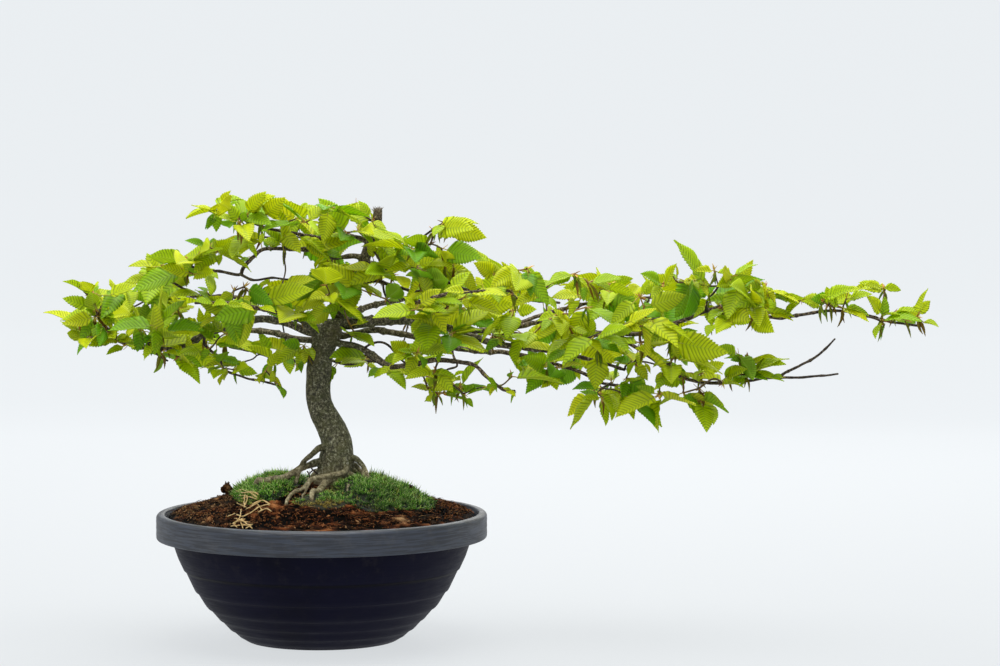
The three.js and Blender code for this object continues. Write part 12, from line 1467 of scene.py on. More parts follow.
def build_spray(i, data):
    g = Gather()
    r = np.random.default_rng(1000 + i)
    N = [np.array(p[:3]) for p in data["nodes"]]
    hr = [p[3] for p in data["nodes"]]
    out_dir = [np.zeros(3) for _ in N]
    depth = {}
    for fr, to, ra, rb, *mid in data["links"]:
        start = [np.array(p) for p in mid] if fr < 0 else [N[fr]] + [np.array(p) for p in mid]
        pts = np.array(start + [N[to]])
        depth[to] = 0 if fr < 0 else depth.get(fr, 0) + 1
        if fr < 0:
            pts[0] = pts[0] - unit(pts[1] - pts[0]) * 0.9
        R = np.linspace(ra, rb, len(pts)) * 0.86
        rows = catmull(np.column_stack([pts, R]), 2.6)
        m = len(rows)
        f = np.linspace(0, 1, m)
        rows[:, 3] *= 1 + 0.35 * np.exp(-(((f - 1) / 0.07) ** 2)) + (0.5 if fr < 0 else 0.25) * np.exp(-((f / 0.06) ** 2))
        k0 = 0.95 if fr < 0 else 0.88 - 0.06 * depth[to]
        k1 = max(0.5, 0.85 - 0.1 * depth[to])
        col = np.column_stack([np.linspace(k0, k1, m), np.zeros(m), np.zeros(m)])
        tube(g, rows, 7, 2, col, rough=0.12, seed=i + to)
        out_dir[to] = unit(pts[-1] - pts[-2])
    per_node = {}
    for row in data["leaves"]:
        per_node.setdefault(row[0], []).append(row)
    for k, row in enumerate(data["leaves"]):
        j = row[0]
        b = N[j] + np.array(row[1:4])
        c, n = unit(row[4:7]), unit(row[7:10])
        L, W, droop, fold = row[10:14]
        tag = row[14] if len(row) > 14 else ""
        kind = "y" if "y" in tag else "d" if "d" in tag else "u" if "u" in tag else "s" if "s" in tag else ""
        lo, hi = TONES[kind]
        tone = r.uniform(lo, hi)
        if kind == "" and r.random() < 0.16:
            tone = r.uniform(0.45, 0.66)
        # petiole: leaves the knot, bends into the blade
        h = droop / 2
        d0 = math.cos(h) * c + math.sin(h) * n
        pl = np.linalg.norm(b - N[j])
        mid = N[j] * 0.45 + b * 0.55 + (unit(b - N[j]) - d0) * 0.12 * pl + UP * 0.06 * pl
        rows = catmull(np.array([[*N[j], 0.62], [*mid, 0.5], [*(b + d0 * 0.5), 0.46], [*(b + d0 * L * 0.12), 0.3]]), 3.0)
        col = np.column_stack([np.linspace(r.uniform(0.15, 0.48), 0.04, len(rows)), np.zeros(len(rows)), np.zeros(len(rows))])
        tube(g, rows, 5, 2, col)
        NV = 7 if L < 22 else 8 if L < 27 else 10 if L < 33 else 11 if L < 38 else 12 if L < 45 else 13
        leaf(g, b, c, n, L, W, droop, fold, tone, 5000 + i * 100 + k, NV, 3 if L > 36 else 2, (0, 0.5, 1.0), twist=r.uniform(-0.25, 0.25))
    # bud scales and young folded leaflets at the knots
    for j, p in enumerate(N):
        rr = np.random.default_rng(7000 + i * 50 + j)
        along = out_dir[j] if np.linalg.norm(out_dir[j]) > 0.1 else UP
        for _ in range(int(rr.integers(2, 5))):
            d = unit(along * 0.7 + rr.normal(0, 0.75, 3) + UP * 0.1)
            bud_scale(g, p + d * hr[j] * 0.6, d, unit(rr.normal(0, 1, 3) + UP), rr.uniform(3.5, 8.5), rr.uniform(1.2, 2.4), rr.uniform(0, 1), rr.uniform(-0.25, 0.35))
        if rr.random() < 0.5:
            for _ in range(int(rr.integers(1, 4))):
                L = rr.uniform(10, 21)
                c = unit(np.array([rr.normal(0, 0.26), rr.normal(0, 0.26), -1.0]))
                n = unit(np.cross(c, rr.normal(0, 1, 3)))
                b = p + np.array([rr.normal(0, 1.2), rr.normal(0, 1.2), -rr.uniform(0.8, 2.5)])
                leaf(g, b, c, n, L, L * rr.uniform(0.2, 0.3), rr.uniform(-0.3, 0.5), rr.uniform(0.75, 1.1), rr.uniform(0.72, 0.97), 9000 + i * 90 + j, 6, 2, (0, 0.6, 1.0), amp=0.12)
                tube(g, catmull(np.array([[*p, 0.45], [*(b + c * 0.5), 0.35], [*(b + c * 2.0), 0.25]]), 1.5), 5, 2, [0.45, 0, 0])
    return g


def build_crown():
    for i, data in enumerate(SPRAYS):
        name = "spray_%02d" % (i + 1)
        g = build_spray(i, data)
        for extra in EXTRA.get(i, []):
            r = np.random.default_rng(int(abs(extra[1] * 13 + extra[2] * 7)) + 3)
            p, b = np.array(extra[1:4]), np.array(extra[4:7])
            c, nn, L = np.array(extra[7:10]), np.array(extra[10:13]), extra[13]
            h = extra[15] / 2
            d0 = math.cos(h) * c + math.sin(h) * nn
            rows = catmull(np.array([[*p, 0.6], [*(p * 0.5 + b * 0.5 + UP * 0.6), 0.5], [*b, 0.42], [*(b + d0 * L * 0.1), 0.3]]), 3.2)
            tube(g, rows, 5, 2, [r.uniform(0.02, 0.34), 0, 0])
            leaf(g, b, c, nn, L, extra[14], extra[15], extra[16], r.uniform(0.03, 0.62), 40000 + i * 50 + int(extra[0]), 6 if L < 18 else 7 if L < 24 else 9 if L < 31 else 10, 2, (0, 0.5, 1.0), twist=r.uniform(-0.2, 0.2))
        if i == 1:
            rr = np.random.default_rng(321)
            for q, (x, y, z, rad) in enumerate(KNOTS):
                p = np.array([x, y, z])
                for _ in range(9):
                    d = unit(np.array([rr.normal(0, 0.8), rr.normal(-0.5, 0.6), rr.normal(0.1, 0.8)]))
                    bud_scale(g, p + d * rad * 0.7, d, unit(rr.normal(0, 1, 3) + UP), rr.uniform(3.5, 8.0), rr.uniform(1.6, 2.8), rr.uniform(0, 0.8), rr.uniform(-0.25, 0.35))
                for side in (-1.0, 1.0, 0.2):
                    d = unit(np.array([side * rr.uniform(0.5, 1.0), rr.uniform(-0.8, -0.2), rr.uniform(-0.35, 0.7)]))
                    b = p + d * (rad + rr.uniform(2.0, 4.5))
                    nn = unit(np.array([rr.normal(0, 0.3), -0.7, rr.uniform(0.4, 1.0)]))
                    L = rr.uniform(15, 25)
                    tube(g, catmull(np.array([[*(p + d * rad * 0.5), 0.6], [*(p * 0.4 + b * 0.6 + UP * 0.4), 0.5], [*(b + d * L * 0.1), 0.3]]), 2.4), 5, 2, [rr.uniform(0.02, 0.3), 0, 0])
                    leaf(g, b, d, nn, L, L * rr.uniform(0.46, 0.58), rr.uniform(0.1, 0.5), rr.uniform(0.12, 0.4), rr.uniform(0.02, 0.5), 60000 + q * 10 + int(side * 3), 6 if L < 18 else 7, 2, (0, 0.5, 1.0), twist=rr.uniform(-0.2, 0.2))
        ob = g.object("leaves_" + name[-2:], LEAF_MATS)
        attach(ob, "root")
        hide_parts(name)


# ------------------------------------------------------------------ wood
def remeshed(V, quads, tris, voxel, smooth):
    """Closed tubes fused into one skin with a voxel remesh, then smoothed. mm in, mm out: vertices and faces."""
    me = bpy.data.meshes.new("fuse")
    faces = [list(map(int, f)) for f in quads] + [list(map(int, f)) for f in tris]
    me.from_pydata([list(map(float, v)) for v in V], [], faces)
    ob = bpy.data.objects.new("fuse", me)
    bpy.context.scene.collection.objects.link(ob)
    m = ob.modifiers.new("r", "REMESH")
    m.mode = "VOXEL"
    m.voxel_size = voxel
    s = ob.modifiers.new("s", "SMOOTH")
    s.factor = 0.5
    s.iterations = smooth
    dg = bpy.context.evaluated_depsgraph_get()
    ev = ob.evaluated_get(dg)
    em = ev.to_mesh()
    n = len(em.vertices)
    co = np.zeros(n * 3, np.float32)
    em.vertices.foreach_get("co", co)
    nl = len(em.loops)
    li = np.zeros(nl, np.int32)
    em.loops.foreach_get("vertex_index", li)
    no = np.zeros(n * 3, np.float32)
    em.vertices.foreach_get("normal", no)
    assert nl == 4 * len(em.polygons)
    ev.to_mesh_clear()
    bpy.data.objects.remove(ob)
    bpy.data.meshes.remove(me)
    return co.reshape(-1, 3).astype(float), li.reshape(-1, 4), no.reshape(-1, 3).astype(float)


def tube_arrays(rows, sides, base, V, Q, T, rough=0.0, seed=0):
    g = Gather()
    tube(g, rows, sides, 0, [0, 0, 0], rough=rough, seed=seed)
    V.append(g.V[0])
    Q.append(g.F[0] + base)
    T.append(g.F[1] + base)
    return base + len(g.V[0])


def flare(rows, amount, reach):
    rows = np.array(rows, float)
    s = np.concatenate([[0], np.cumsum(np.linalg.norm(np.diff(rows[:, :3], axis=0), axis=1))])
    rows[:, 3] *= 1 + amount * np.exp(-((s / reach) ** 2))
    return rows


def build_wood():
    V, Q, T, base = [], [], [], 0
    trunk = catmull(TRUNK, 3.0)
    base = tube_arrays(trunk, 40, base, V, Q, T)
    for k, rows in ROOTS.items():
        base = tube_arrays(flare(catmull(rows, 2.5), 0.18, 7.0), 12, base, V, Q, T, 0.2, len(k) + 5)
    # the thick wood fuses with the trunk: apex and main limbs
    thick = ["upper_trunk", "limb_r1", "limb_r2", "limb_r3", "limb_l1", "limb_l2", "back_l", "back_r", "front_l", "front_r", "limb_u1", "limb_u2", "limb_v2", "top_back", "top_backr"]
    cut = {}
    for k in thick:
        rows = flare(catmull(LIMBS[k], 3.0), 0.16, 8.0)
        s = np.concatenate([[0], np.cumsum(np.linalg.norm(np.diff(rows[:, :3], axis=0), axis=1))])
        m = len(rows) if k == "upper_trunk" else max(4, int(np.searchsorted(s, 46.0)))
        cut[k] = (rows, m)
        base = tube_arrays(rows[:m], 14, base, V, Q, T, 0.1, len(k))
    P, F, No = remeshed(np.vstack(V), np.vstack(Q), np.vstack(T), 1.2, 2)
    # bark relief: low lumps, upright folds near the foot, fine grain
    ang = np.arctan2(P[:, 1] - 3, P[:, 0] - 10)
    low = np.clip((215 - P[:, 2]) / 50, 0, 1)
    mass = np.clip(1.0 - np.abs(np.hypot(P[:, 0] - 8, P[:, 1] - 3) - 8) / 22, 0, 1)
    d = 0.55 * vnoise(P, 11.0, 1) + 0.28 * vnoise(P, 4.5, 2) + 0.16 * vnoise(P, 2.0, 4)
    d += low * mass * 0.9 * np.sin(5 * ang + 0.05 * P[:, 2] + 1.2 * vnoise(P * [1, 1, 0.4], 30.0, 6))
    P2 = P + No * (d * np.clip(mass + 0.35, 0, 1))[:, None]
    # the cut apex frays into splinters
    top = np.array(LIMBS["upper_trunk"][-1][:3])
    g = Gather()
    fine = np.clip(np.linalg.norm(P - np.array([8, 0, 250]) * 1.0, axis=1) / 160 - 0.35, 0, 1)
    tone = np.clip(np.clip((P[:, 2] - 300) / 60, 0, 1) * 0.35 + np.clip(np.abs(P[:, 0] - 20) / 60 - 0.4, 0, 0.55), 0, 1)
    soil_near = np.clip((166 - P[:, 2]) / 16, 0, 1) * np.clip(vnoise(P, 7.0, 9) + 0.25, 0, 1) * 0.42
    rootish = np.clip((178 - P[:, 2]) / 8, 0, 1) * np.clip((np.hypot(P[:, 0] - 12, P[:, 1] - 1) - 17) / 7, 0, 1)
    g.add(P2, [F], 0, np.column_stack([tone, soil_near, rootish * 0.85]))
    for k, rows in LIMBS.items():
        if k == "upper_trunk":
            continue
        if k in cut:
            full, m = cut[k]
            rows = full[max(0, m - 3):]
            if len(rows) < 3:
                continue
            rows = catmull(rows, 2.4)
        else:
            rows = flare(catmull(rows, 2.4), 0.3, 4.0)
        rows = np.array(rows)
        r0 = rows[0, 3]
        # small joints and bends every 18 to 30 mm, as grown twigs have
        s = np.concatenate([[0], np.cumsum(np.linalg.norm(np.diff(rows[:, :3], axis=0), axis=1))])
        kn = np.zeros(len(rows))
        rr = np.random.default_rng(len(k) * 31 + int(abs(rows[0, 0])))
        x = 12.0
        while x < s[-1]:
            kn += np.exp(-(((s - x) / 1.7) ** 2)) * rr.uniform(0.12, 0.4)
            x += rr.uniform(14, 26)
        rows[:, 3] *= 1 + kn
        jit = np.column_stack([vnoise(rows[:, :3], 9.0, 21), vnoise(rows[:, :3], 9.0, 22), vnoise(rows[:, :3], 9.0, 23)])
        fade = np.clip(np.minimum(s / 6, 1), 0, 1)[:, None]
        rows[:, :3] += jit * 0.45 * fade
        tn = np.clip((4.2 - rows[:, 3]) / 3.0, 0.1, 1.0)
        sides = 14 if r0 > 3 else 10 if r0 > 2 else 8
        tube(g, rows, sides, 0, np.column_stack([tn, np.zeros(len(rows)), np.zeros(len(rows))]), rough=0.16, seed=len(k))
    rr = np.random.default_rng(77)
    up = unit(np.array(LIMBS["upper_trunk"][-1][:3]) - np.array(LIMBS["upper_trunk"][-2][:3]))
    for _ in range(34):
        a = rr.uniform(0, 2 * np.pi)
        rad = 4.4 * math.sqrt(rr.random())
        p = top - up * 1.5 + np.array([math.cos(a) * rad, math.sin(a) * rad, 0])
        d = unit(up + np.array([math.cos(a), math.sin(a), 0]) * rr.uniform(0, 0.9) + rr.normal(0, 0.2, 3))
        L = rr.uniform(2.5, 7.0)
        tube(g, np.array([[*p, 0.5], [*(p + d * L * 0.6), 0.3], [*(p + d * L + rr.normal(0, 0.4, 3)), 0.08]]), 4, 1, [0.5, 0, 0])
    for _ in range(5):
        rr2 = np.random.default_rng(90 + _)
        p = top + np.array([rr2.uniform(-3, 3), rr2.uniform(-3, 3), -0.3])
        tube(g, catmull(np.array([[*p, 1.5], [*(p + up * 1.2), 1.1], [*(p + up * 2.4 + rr2.normal(0, 0.5, 3)), 0.3]]), 0.8), 7, 1, [0.5, 0, 0], rough=0.3, seed=_)
    # dark wisps of old root under the left side root
    for p0, p1, p2 in (((-13, -10, 166.5), (-9, -12, 170.5), (-5.5, -12, 172)), ((-10, -8, 172.5), (-7.5, -9, 170), (-4, -10, 167.5)), ((-14, -12, 170), (-12, -12, 167), (-11, -13, 162))):
        tube(g, catmull(np.array([[*p0, 0.7], [*p1, 0.8], [*p2, 0.7]]), 1.5), 6, 0, [1.0, 0, 0], rough=0.3)
    ob = g.object("wood", [MAT_BARK, MAT_CUT])
    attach(ob, "root")
    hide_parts("trunk_and_branches")


# ------------------------------------------------------------------ ground
def soil_z(x, y):
    r = np.hypot(x, y)
    w = np.clip((150 - r) / 60, 0, 1)
    return table(SOIL, r) + w * (1.2 * np.sin(x * 0.061 + 1.3) * np.cos(y * 0.053 + 0.4) + 0.8 * np.sin(x * 0.13 - y * 0.09 + 2.0))


def pad_uv(p, x, y):
    cx, cy, rx, ry, T, e, tilt, k = p
    u, v = (x - cx) / rx, (y - cy) / ry
    th = np.arctan2(v, u)
    return u, v, np.hypot(u, v) / (1 + 0.07 * np.sin(3 * th + k) + 0.04 * np.sin(5 * th + 2 * k))


def pad_t(p, x, y):
    u, v, rho = pad_uv(p, x, y)
    return np.where(rho < 1, 1.2 + p[4] * (1 + p[6] * u) * np.clip(1 - rho ** p[5], 0, 1) ** 0.8, 0)


def surf_z(x, y):
    return soil_z(x, y) + np.max([pad_t(p, x, y) for p in PADS.values()], axis=0)


def foot_clear(P):
    """Distance from the trunk's foot and the roots' axis lines, mm, less their radii."""
    d = np.full(len(P), 99.0)
    for rows in [TRUNK[:8]] + list(ROOTS.values()):
        R = catmull(rows, 3.0)
        for p in R:
            d = np.minimum(d, np.linalg.norm(P - p[:3], axis=1) - p[3])
    return d


def crumb(g, c, size, tone, red, r, mat=0):
    """A small angular grain."""
    base = np.array([[1, 0, 0], [-1, 0, 0], [0, 1, 0], [0, -1, 0], [0, 0, 1], [0, 0, -1]], float)
    A = r.normal(0, 1, (3, 3))
    q, _ = np.linalg.qr(A)
    V = (base * (np.array(size) * r.uniform(0.7, 1.3, (6, 1)))) @ q.T + c
    F = np.array([[0, 2, 4], [2, 1, 4], [1, 3, 4], [3, 0, 4], [2, 0, 5], [1, 2, 5], [3, 1, 5], [0, 3, 5]])
    if np.linalg.det(q) < 0:
        F = F[:, ::-1]
    g.add(V, [F], mat, np.tile([tone, red, 0], (6, 1)))


def build_soil():
    g = Gather()
    K = 184
    radii = np.concatenate([np.linspace(3, 60, 14), np.linspace(62, 150, 58), [151.5, 152.6]])
    a = 2 * np.pi * np.arange(K) / K
    Rr, A = np.meshgrid(radii, a, indexing="ij")
    X, Y = (Rr * np.cos(A)).ravel(), (Rr * np.sin(A)).ravel()
    P0 = np.column_stack([X, Y, np.zeros(len(X))])
    lump = 1.3 * vnoise(P0, 15.0, 31) + 2.6 * np.abs(vnoise(P0, 9.0, 32)) - 1.0 + 1.6 * vnoise(P0, 4.2, 33) + 0.9 * vnoise(P0, 2.2, 34)
    fade = np.clip((154 - np.hypot(X, Y)) / 6, 0, 1)
    inpad = np.max([np.clip((1.02 - pad_uv(p, X, Y)[2]) / 0.12, 0, 1) for p in PADS.values()], axis=0)
    Z = soil_z(X, Y) + (lump * 0.75 + 0.2) * fade - inpad * 1.5
    V = [np.column_stack([X, Y, Z])]
    west = np.clip((-78 - X) / 30, 0, 1)
    red = np.clip(0.62 + 0.9 * vnoise(P0, 24.0, 35) + 0.35 * vnoise(P0, 8.0, 36) - 0.6 * west, 0, 1)
    # tone follows the lumps, so the low places get the near-black end of the soil ramp as painted shade
    tone = np.clip(0.36 + 0.24 * lump + 0.12 * west, 0, 1)
    n = len(radii)
    wall = lambda z: table(BOWL, z) - WALL - 1.2
    for z in (119.0, 104.0, 72.0, 40.0, 18.0, 7.0):
        rr = wall(z)
        V.append(np.column_stack([rr * np.cos(a), rr * np.sin(a), np.full(K, z)]))
    V.append(np.column_stack([71 * np.cos(a), 71 * np.sin(a), np.full(K, 3.4)]))
    V.append([[0, 0, soil_z(0.0, 0.0)]])
    V.append([[0, 0, 3.4]])
    V = np.vstack(V)
    rings = n + 7
    i, j = np.meshgrid(np.arange(rings - 1), np.arange(K), indexing="ij")
    p = i * K + j
    q = i * K + (j + 1) % K
    quads = np.stack([p, p + K, q + K, q], -1).reshape(-1, 4)
    jj = np.arange(K)
    c0, c1 = rings * K, rings * K + 1
    t0 = np.stack([np.full(K, c0), jj, (jj + 1) % K], -1)
    o = (rings - 1) * K
    t1 = np.stack([np.full(K, c1), o + (jj + 1) % K, o + jj], -1)
    C = np.zeros((len(V), 3))
    C[: n * K, 0] = tone
    C[: n * K, 1] = red
    g.add(V, [quads, t0, t1], 0, C)
    # loose crumbs, chips and fibres over the open soil
    r = np.random.default_rng(404)
    xs, ys = r.uniform(-153, 153, 16000), r.uniform(-153, 153, 16000)
    ok = (np.hypot(xs, ys) < 150.5) & (np.max([pad_t(p, xs, ys) for p in PADS.values()], axis=0) < 0.01)
    xs, ys = xs[ok], ys[ok]
    zs = soil_z(xs, ys)
    far = foot_clear(np.column_stack([xs, ys, zs])) > 1.0
    xs, ys, zs = xs[far], ys[far], zs[far]
    nz = vnoise(np.column_stack([xs, ys, 0 * xs]), 24.0, 35)
    for k in range(min(len(xs), 4400)):
        x, y, z = xs[k], ys[k], zs[k]
        front = 1.0 if y < 0 else 0.7
        s = r.uniform(0.6, 1.5) if r.random() < 0.9 else r.uniform(1.5, 2.4)
        lim = 1.0 if math.hypot(x, y) < 147 else 0.5
        pale = min(max((-78 - x) / 30, 0.0), 1.0)
        redn = float(np.clip(0.68 + 0.9 * nz[k] + r.normal(0, 0.25) - 0.6 * pale, 0, 1))
        crumb(g, np.array([x, y, z + r.uniform(0.3, 1.5) * lim]), (s * 1.15 * lim, s * r.uniform(0.25, 0.6) * lim, s * r.uniform(0.25, 0.5) * lim), float(np.clip(r.normal(0.52 + 0.16 * pale, 0.3), 0.02, 1)), redn, r)
    for k in range(5200, min(len(xs), 6500)):
        x, y, z = xs[k], ys[k], zs[k]
        if math.hypot(x, y) > 146:
            continue
        a0 = r.uniform(0, 2 * np.pi)
        L = r.uniform(3, 9)
        d = np.array([math.cos(a0), math.sin(a0), r.uniform(-0.1, 0.35)])
        e = np.array([-math.sin(a0), math.cos(a0), 0])
        p0 = np.array([x, y, z + r.uniform(0.2, 1.2)])
        pts = [p0, p0 + d * L * 0.5 + e * r.normal(0, 0.8) + UP * r.uniform(0, 0.8), p0 + d * L * np.array([1, 1, 0.4]) + e * r.normal(0, 1.2)]
        w = r.uniform(0.16, 0.4)
        if r.random() < 0.14 or x < -40 and r.random() < 0.3:
            col = [float(r.uniform(0.85, 1)), float(r.uniform(0, 0.3)), 0]
        else:
            col = [float(r.uniform(0.4, 0.9)), float(r.uniform(0.4, 1)), 0]
        tube(g, np.array([[*pts[0], w * 0.6], [*pts[1], w], [*pts[2], w * 0.4]]), 3, 0, col)
    ob = g.object("soil_surface", [MAT_SOIL])
    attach(ob, "root")
    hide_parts("soil")


SPIKE_F = np.array([[0, 1, 3], [1, 2, 3], [2, 0, 3], [0, 2, 1]])


def spikes(g, P, D, Lh, wd, bend, tone0, tone1, yel, own):
    """Many three-sided blades at once, each a slender closed point."""
    n = len(P)
    D = D / (np.linalg.norm(D, axis=1)[:, None] + 1e-9)
    ref = np.where(np.abs(D[:, 2:3]) > 0.9, np.array([[1.0, 0, 0]]), np.array([[0, 0, 1.0]]))
    u = np.cross(D, ref)
    u /= np.linalg.norm(u, axis=1)[:, None]
    v = np.cross(D, u)
    V = np.zeros((n, 4, 3))
    for k, a in enumerate((0, 2.2, 4.4)):
        o = math.cos(a) * u + math.sin(a) * v
        V[:, k] = P + o * (wd * 0.5)[:, None]
    V[:, 3] = P + D * Lh[:, None] + bend
    F = (SPIKE_F[None] + (np.arange(n) * 4)[:, None, None]).reshape(-1, 3)
    C = np.zeros((n, 4, 3))
    C[:, :3, 0] = tone0[:, None]
    C[:, 3, 0] = tone1
    C[:, :, 1] = yel[:, None]
    C[:, :, 2] = own[:, None]
    g.add(V.reshape(-1, 3), [F], 0, C.reshape(-1, 3))


def build_moss():
    for name, p in PADS.items():
        g = Gather()
        cx, cy, rx, ry, T, e, tilt, ph = p
        r = np.random.default_rng(int(abs(cx) * 10 + ry))
        K, rings = 96, 28
        a = 2 * np.pi * np.arange(K) / K
        rho = np.linspace(0.02, 1.0, rings)
        Rr, A = np.meshgrid(rho, a, indexing="ij")
        k = Rr * (1 + 0.07 * np.sin(3 * A + ph) + 0.04 * np.sin(5 * A + 2 * ph))
        X, Y = (cx + rx * k * np.cos(A)).ravel(), (cy + ry * k * np.sin(A)).ravel()
        Z0 = soil_z(X, Y)
        th = 1.2 + T * (1 + tilt * (X - cx) / rx) * np.clip(1 - Rr.ravel() ** e, 0, 1) ** 0.8
        Q = np.column_stack([X, Y, 0 * X])
        lump = (1.1 * vnoise(Q, 11.0, 51) + 0.9 * vnoise(Q, 4.5, 52) + 0.6 * vnoise(Q, 2.2, 53)) * np.clip(1.3 - Rr.ravel(), 0.1, 1)
        Z = Z0 + np.maximum(th + lump - 1.4, 0.4)
        V = np.vstack([np.column_stack([X, Y, Z]), np.column_stack([X[-K:], Y[-K:], Z0[-K:] - 3.0]), [[cx, cy, soil_z(cx, cy) + 1.2 + T - 1.4]], [[cx, cy, soil_z(cx, cy) - 3.0]]])
        m = rings + 1
        i, j = np.meshgrid(np.arange(m - 1), np.arange(K), indexing="ij")
        q0, q1 = i * K + j, i * K + (j + 1) % K
        quads = np.stack([q0, q0 + K, q1 + K, q1], -1).reshape(-1, 4)
        jj = np.arange(K)
        t0 = np.stack([np.full(K, m * K), jj, (jj + 1) % K], -1)
        t1 = np.stack([np.full(K, m * K + 1), (m - 1) * K + (jj + 1) % K, (m - 1) * K + jj], -1)
        yel0 = 0.3 if name == "moss_front" else 0.0
        # the mound under the shoots takes the dark low end of the moss ramp: painted shade between the shoots
        C = np.column_stack([np.full(len(V), 0.12), np.full(len(V), yel0), np.full(len(V), 0.3)])
        g.add(V, [quads, t0, t1], 0, C)
        # shoots: stars of needles standing on the mound, longer and paler towards the tips, partly painted highlight;
        # their feet take the near-black end of the ramp as painted shade
        area = math.pi * rx * ry
        n = int(area * (0.22 if name != "moss_back" else 0.15))
        th_ = r.uniform(0, 2 * np.pi, n)
        rh = np.sqrt(r.uniform(0, 1, n)) * 1.02
        kk = rh * (1 + 0.07 * np.sin(3 * th_ + ph) + 0.04 * np.sin(5 * th_ + 2 * ph))
        x, y = cx + rx * kk * np.cos(th_), cy + ry * kk * np.sin(th_)
        tk = 1.2 + T * (1 + tilt * (x - cx) / rx) * np.clip(1 - np.minimum(rh, 1) ** e, 0, 1) ** 0.8
        qq = np.column_stack([x, y, 0 * x])
        lump = (1.1 * vnoise(qq, 11.0, 51) + 0.9 * vnoise(qq, 4.5, 52) + 0.6 * vnoise(qq, 2.2, 53)) * np.clip(1.3 - rh, 0.1, 1)
        z = soil_z(x, y) + np.maximum(tk + lump - 1.5, 0.3)
        P = np.column_stack([x, y, z])
        clear = foot_clear(P + [0, 0, 2.0])
        keep = clear > 1.5
        patch = vnoise(qq, 14.0, 54)
        bare = vnoise(qq, 6.0, 55)
        keep &= ~((bare > 0.62) & (rh > 0.55)) & ~((rh > 0.8) & (r.random(n) < (rh - 0.8) * 3.0))
        P, rh, patch, clear = P[keep], rh[keep], patch[keep], clear[keep]
        x, y = x[keep], y[keep]
        n = len(P)
        # outward lean from the mound's slope
        eps = 1.5
        zx = (surf_z(x + eps, y) - surf_z(x - eps, y)) / (2 * eps)
        zy = (surf_z(x, y + eps) - surf_z(x, y - eps)) / (2 * eps)
        nrm = np.column_stack([-np.clip(zx, -1.2, 1.2) * 0.8, -np.clip(zy, -1.2, 1.2) * 0.8, np.ones(n)])
        nrm /= np.linalg.norm(nrm, axis=1)[:, None]
        size = r.uniform(0.7, 1.45, n) * np.clip(1.2 - 0.3 * rh, 0.7, 1.15) * np.clip(1.0 + 0.5 * vnoise(np.column_stack([P[:, 0], P[:, 1], 0 * P[:, 0]]), 5.0, 57), 0.6, 1.4)
        size *= np.clip(0.3 + (clear - 1.5) / 7.0, 0.3, 1.0)
        if name == "moss_front":
            size *= 0.72
        yel = np.clip((patch - 0.55) * 1.6 + r.normal(0, 0.14, n) + np.clip(rh - 0.88, 0, 1) * 2.2, 0, 1)
        if name == "moss_front":
            yel = np.clip(yel + np.clip((-84 - P[:, 1]) / 6, 0, 0.9), 0, 1)
        dead = r.random(n) < 0.05
        yel = np.where(dead, 1.0, yel)
        own = np.clip(r.normal(0.0 if name == "moss_left" else 0.34, 0.34, n) + (0.34 * np.clip((-42 - P[:, 1]) / 36, -0.9, 1) if name == "moss_right" else 0.0) + 0.8 * np.clip(vnoise(np.column_stack([P[:, 0], P[:, 1], 0 * P[:, 0]]), 3.0, 58), 0, 1), 0, 1)
        per = 6 if name != "moss_back" else 5
        for b in range(per):
            aa = r.uniform(0, 2 * np.pi, n)
            spread = r.uniform(0.3, 1.25, n) if b else r.uniform(0, 0.3, n)
            D = nrm + np.column_stack([np.cos(aa) * spread, np.sin(aa) * spread, 0 * aa])
            L = size * r.uniform(3.0, 6.6, n) * (1.0 if b else 1.1)
            bend = np.column_stack([np.cos(aa) * 0.4, np.sin(aa) * 0.4, -0.25 * np.ones(n)]) * (L * 0.3 * spread)[:, None]
            wd = r.uniform(0.7, 1.35, n)
            spikes(g, P + r.normal(0, 0.4, (n, 3)) * [1, 1, 0.3] - [0, 0, 0.8], D, L, wd, bend, np.full(n, 0.16), np.clip(r.normal(0.84, 0.3, n), 0.3, 1.08), np.clip(yel + r.normal(0, 0.08, n), 0, 1), np.clip(own + r.normal(0, 0.22, n), 0, 1))
        ob = g.object(name + "_tufts", [MAT_MOSS])
        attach(ob, "root")
        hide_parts(name)


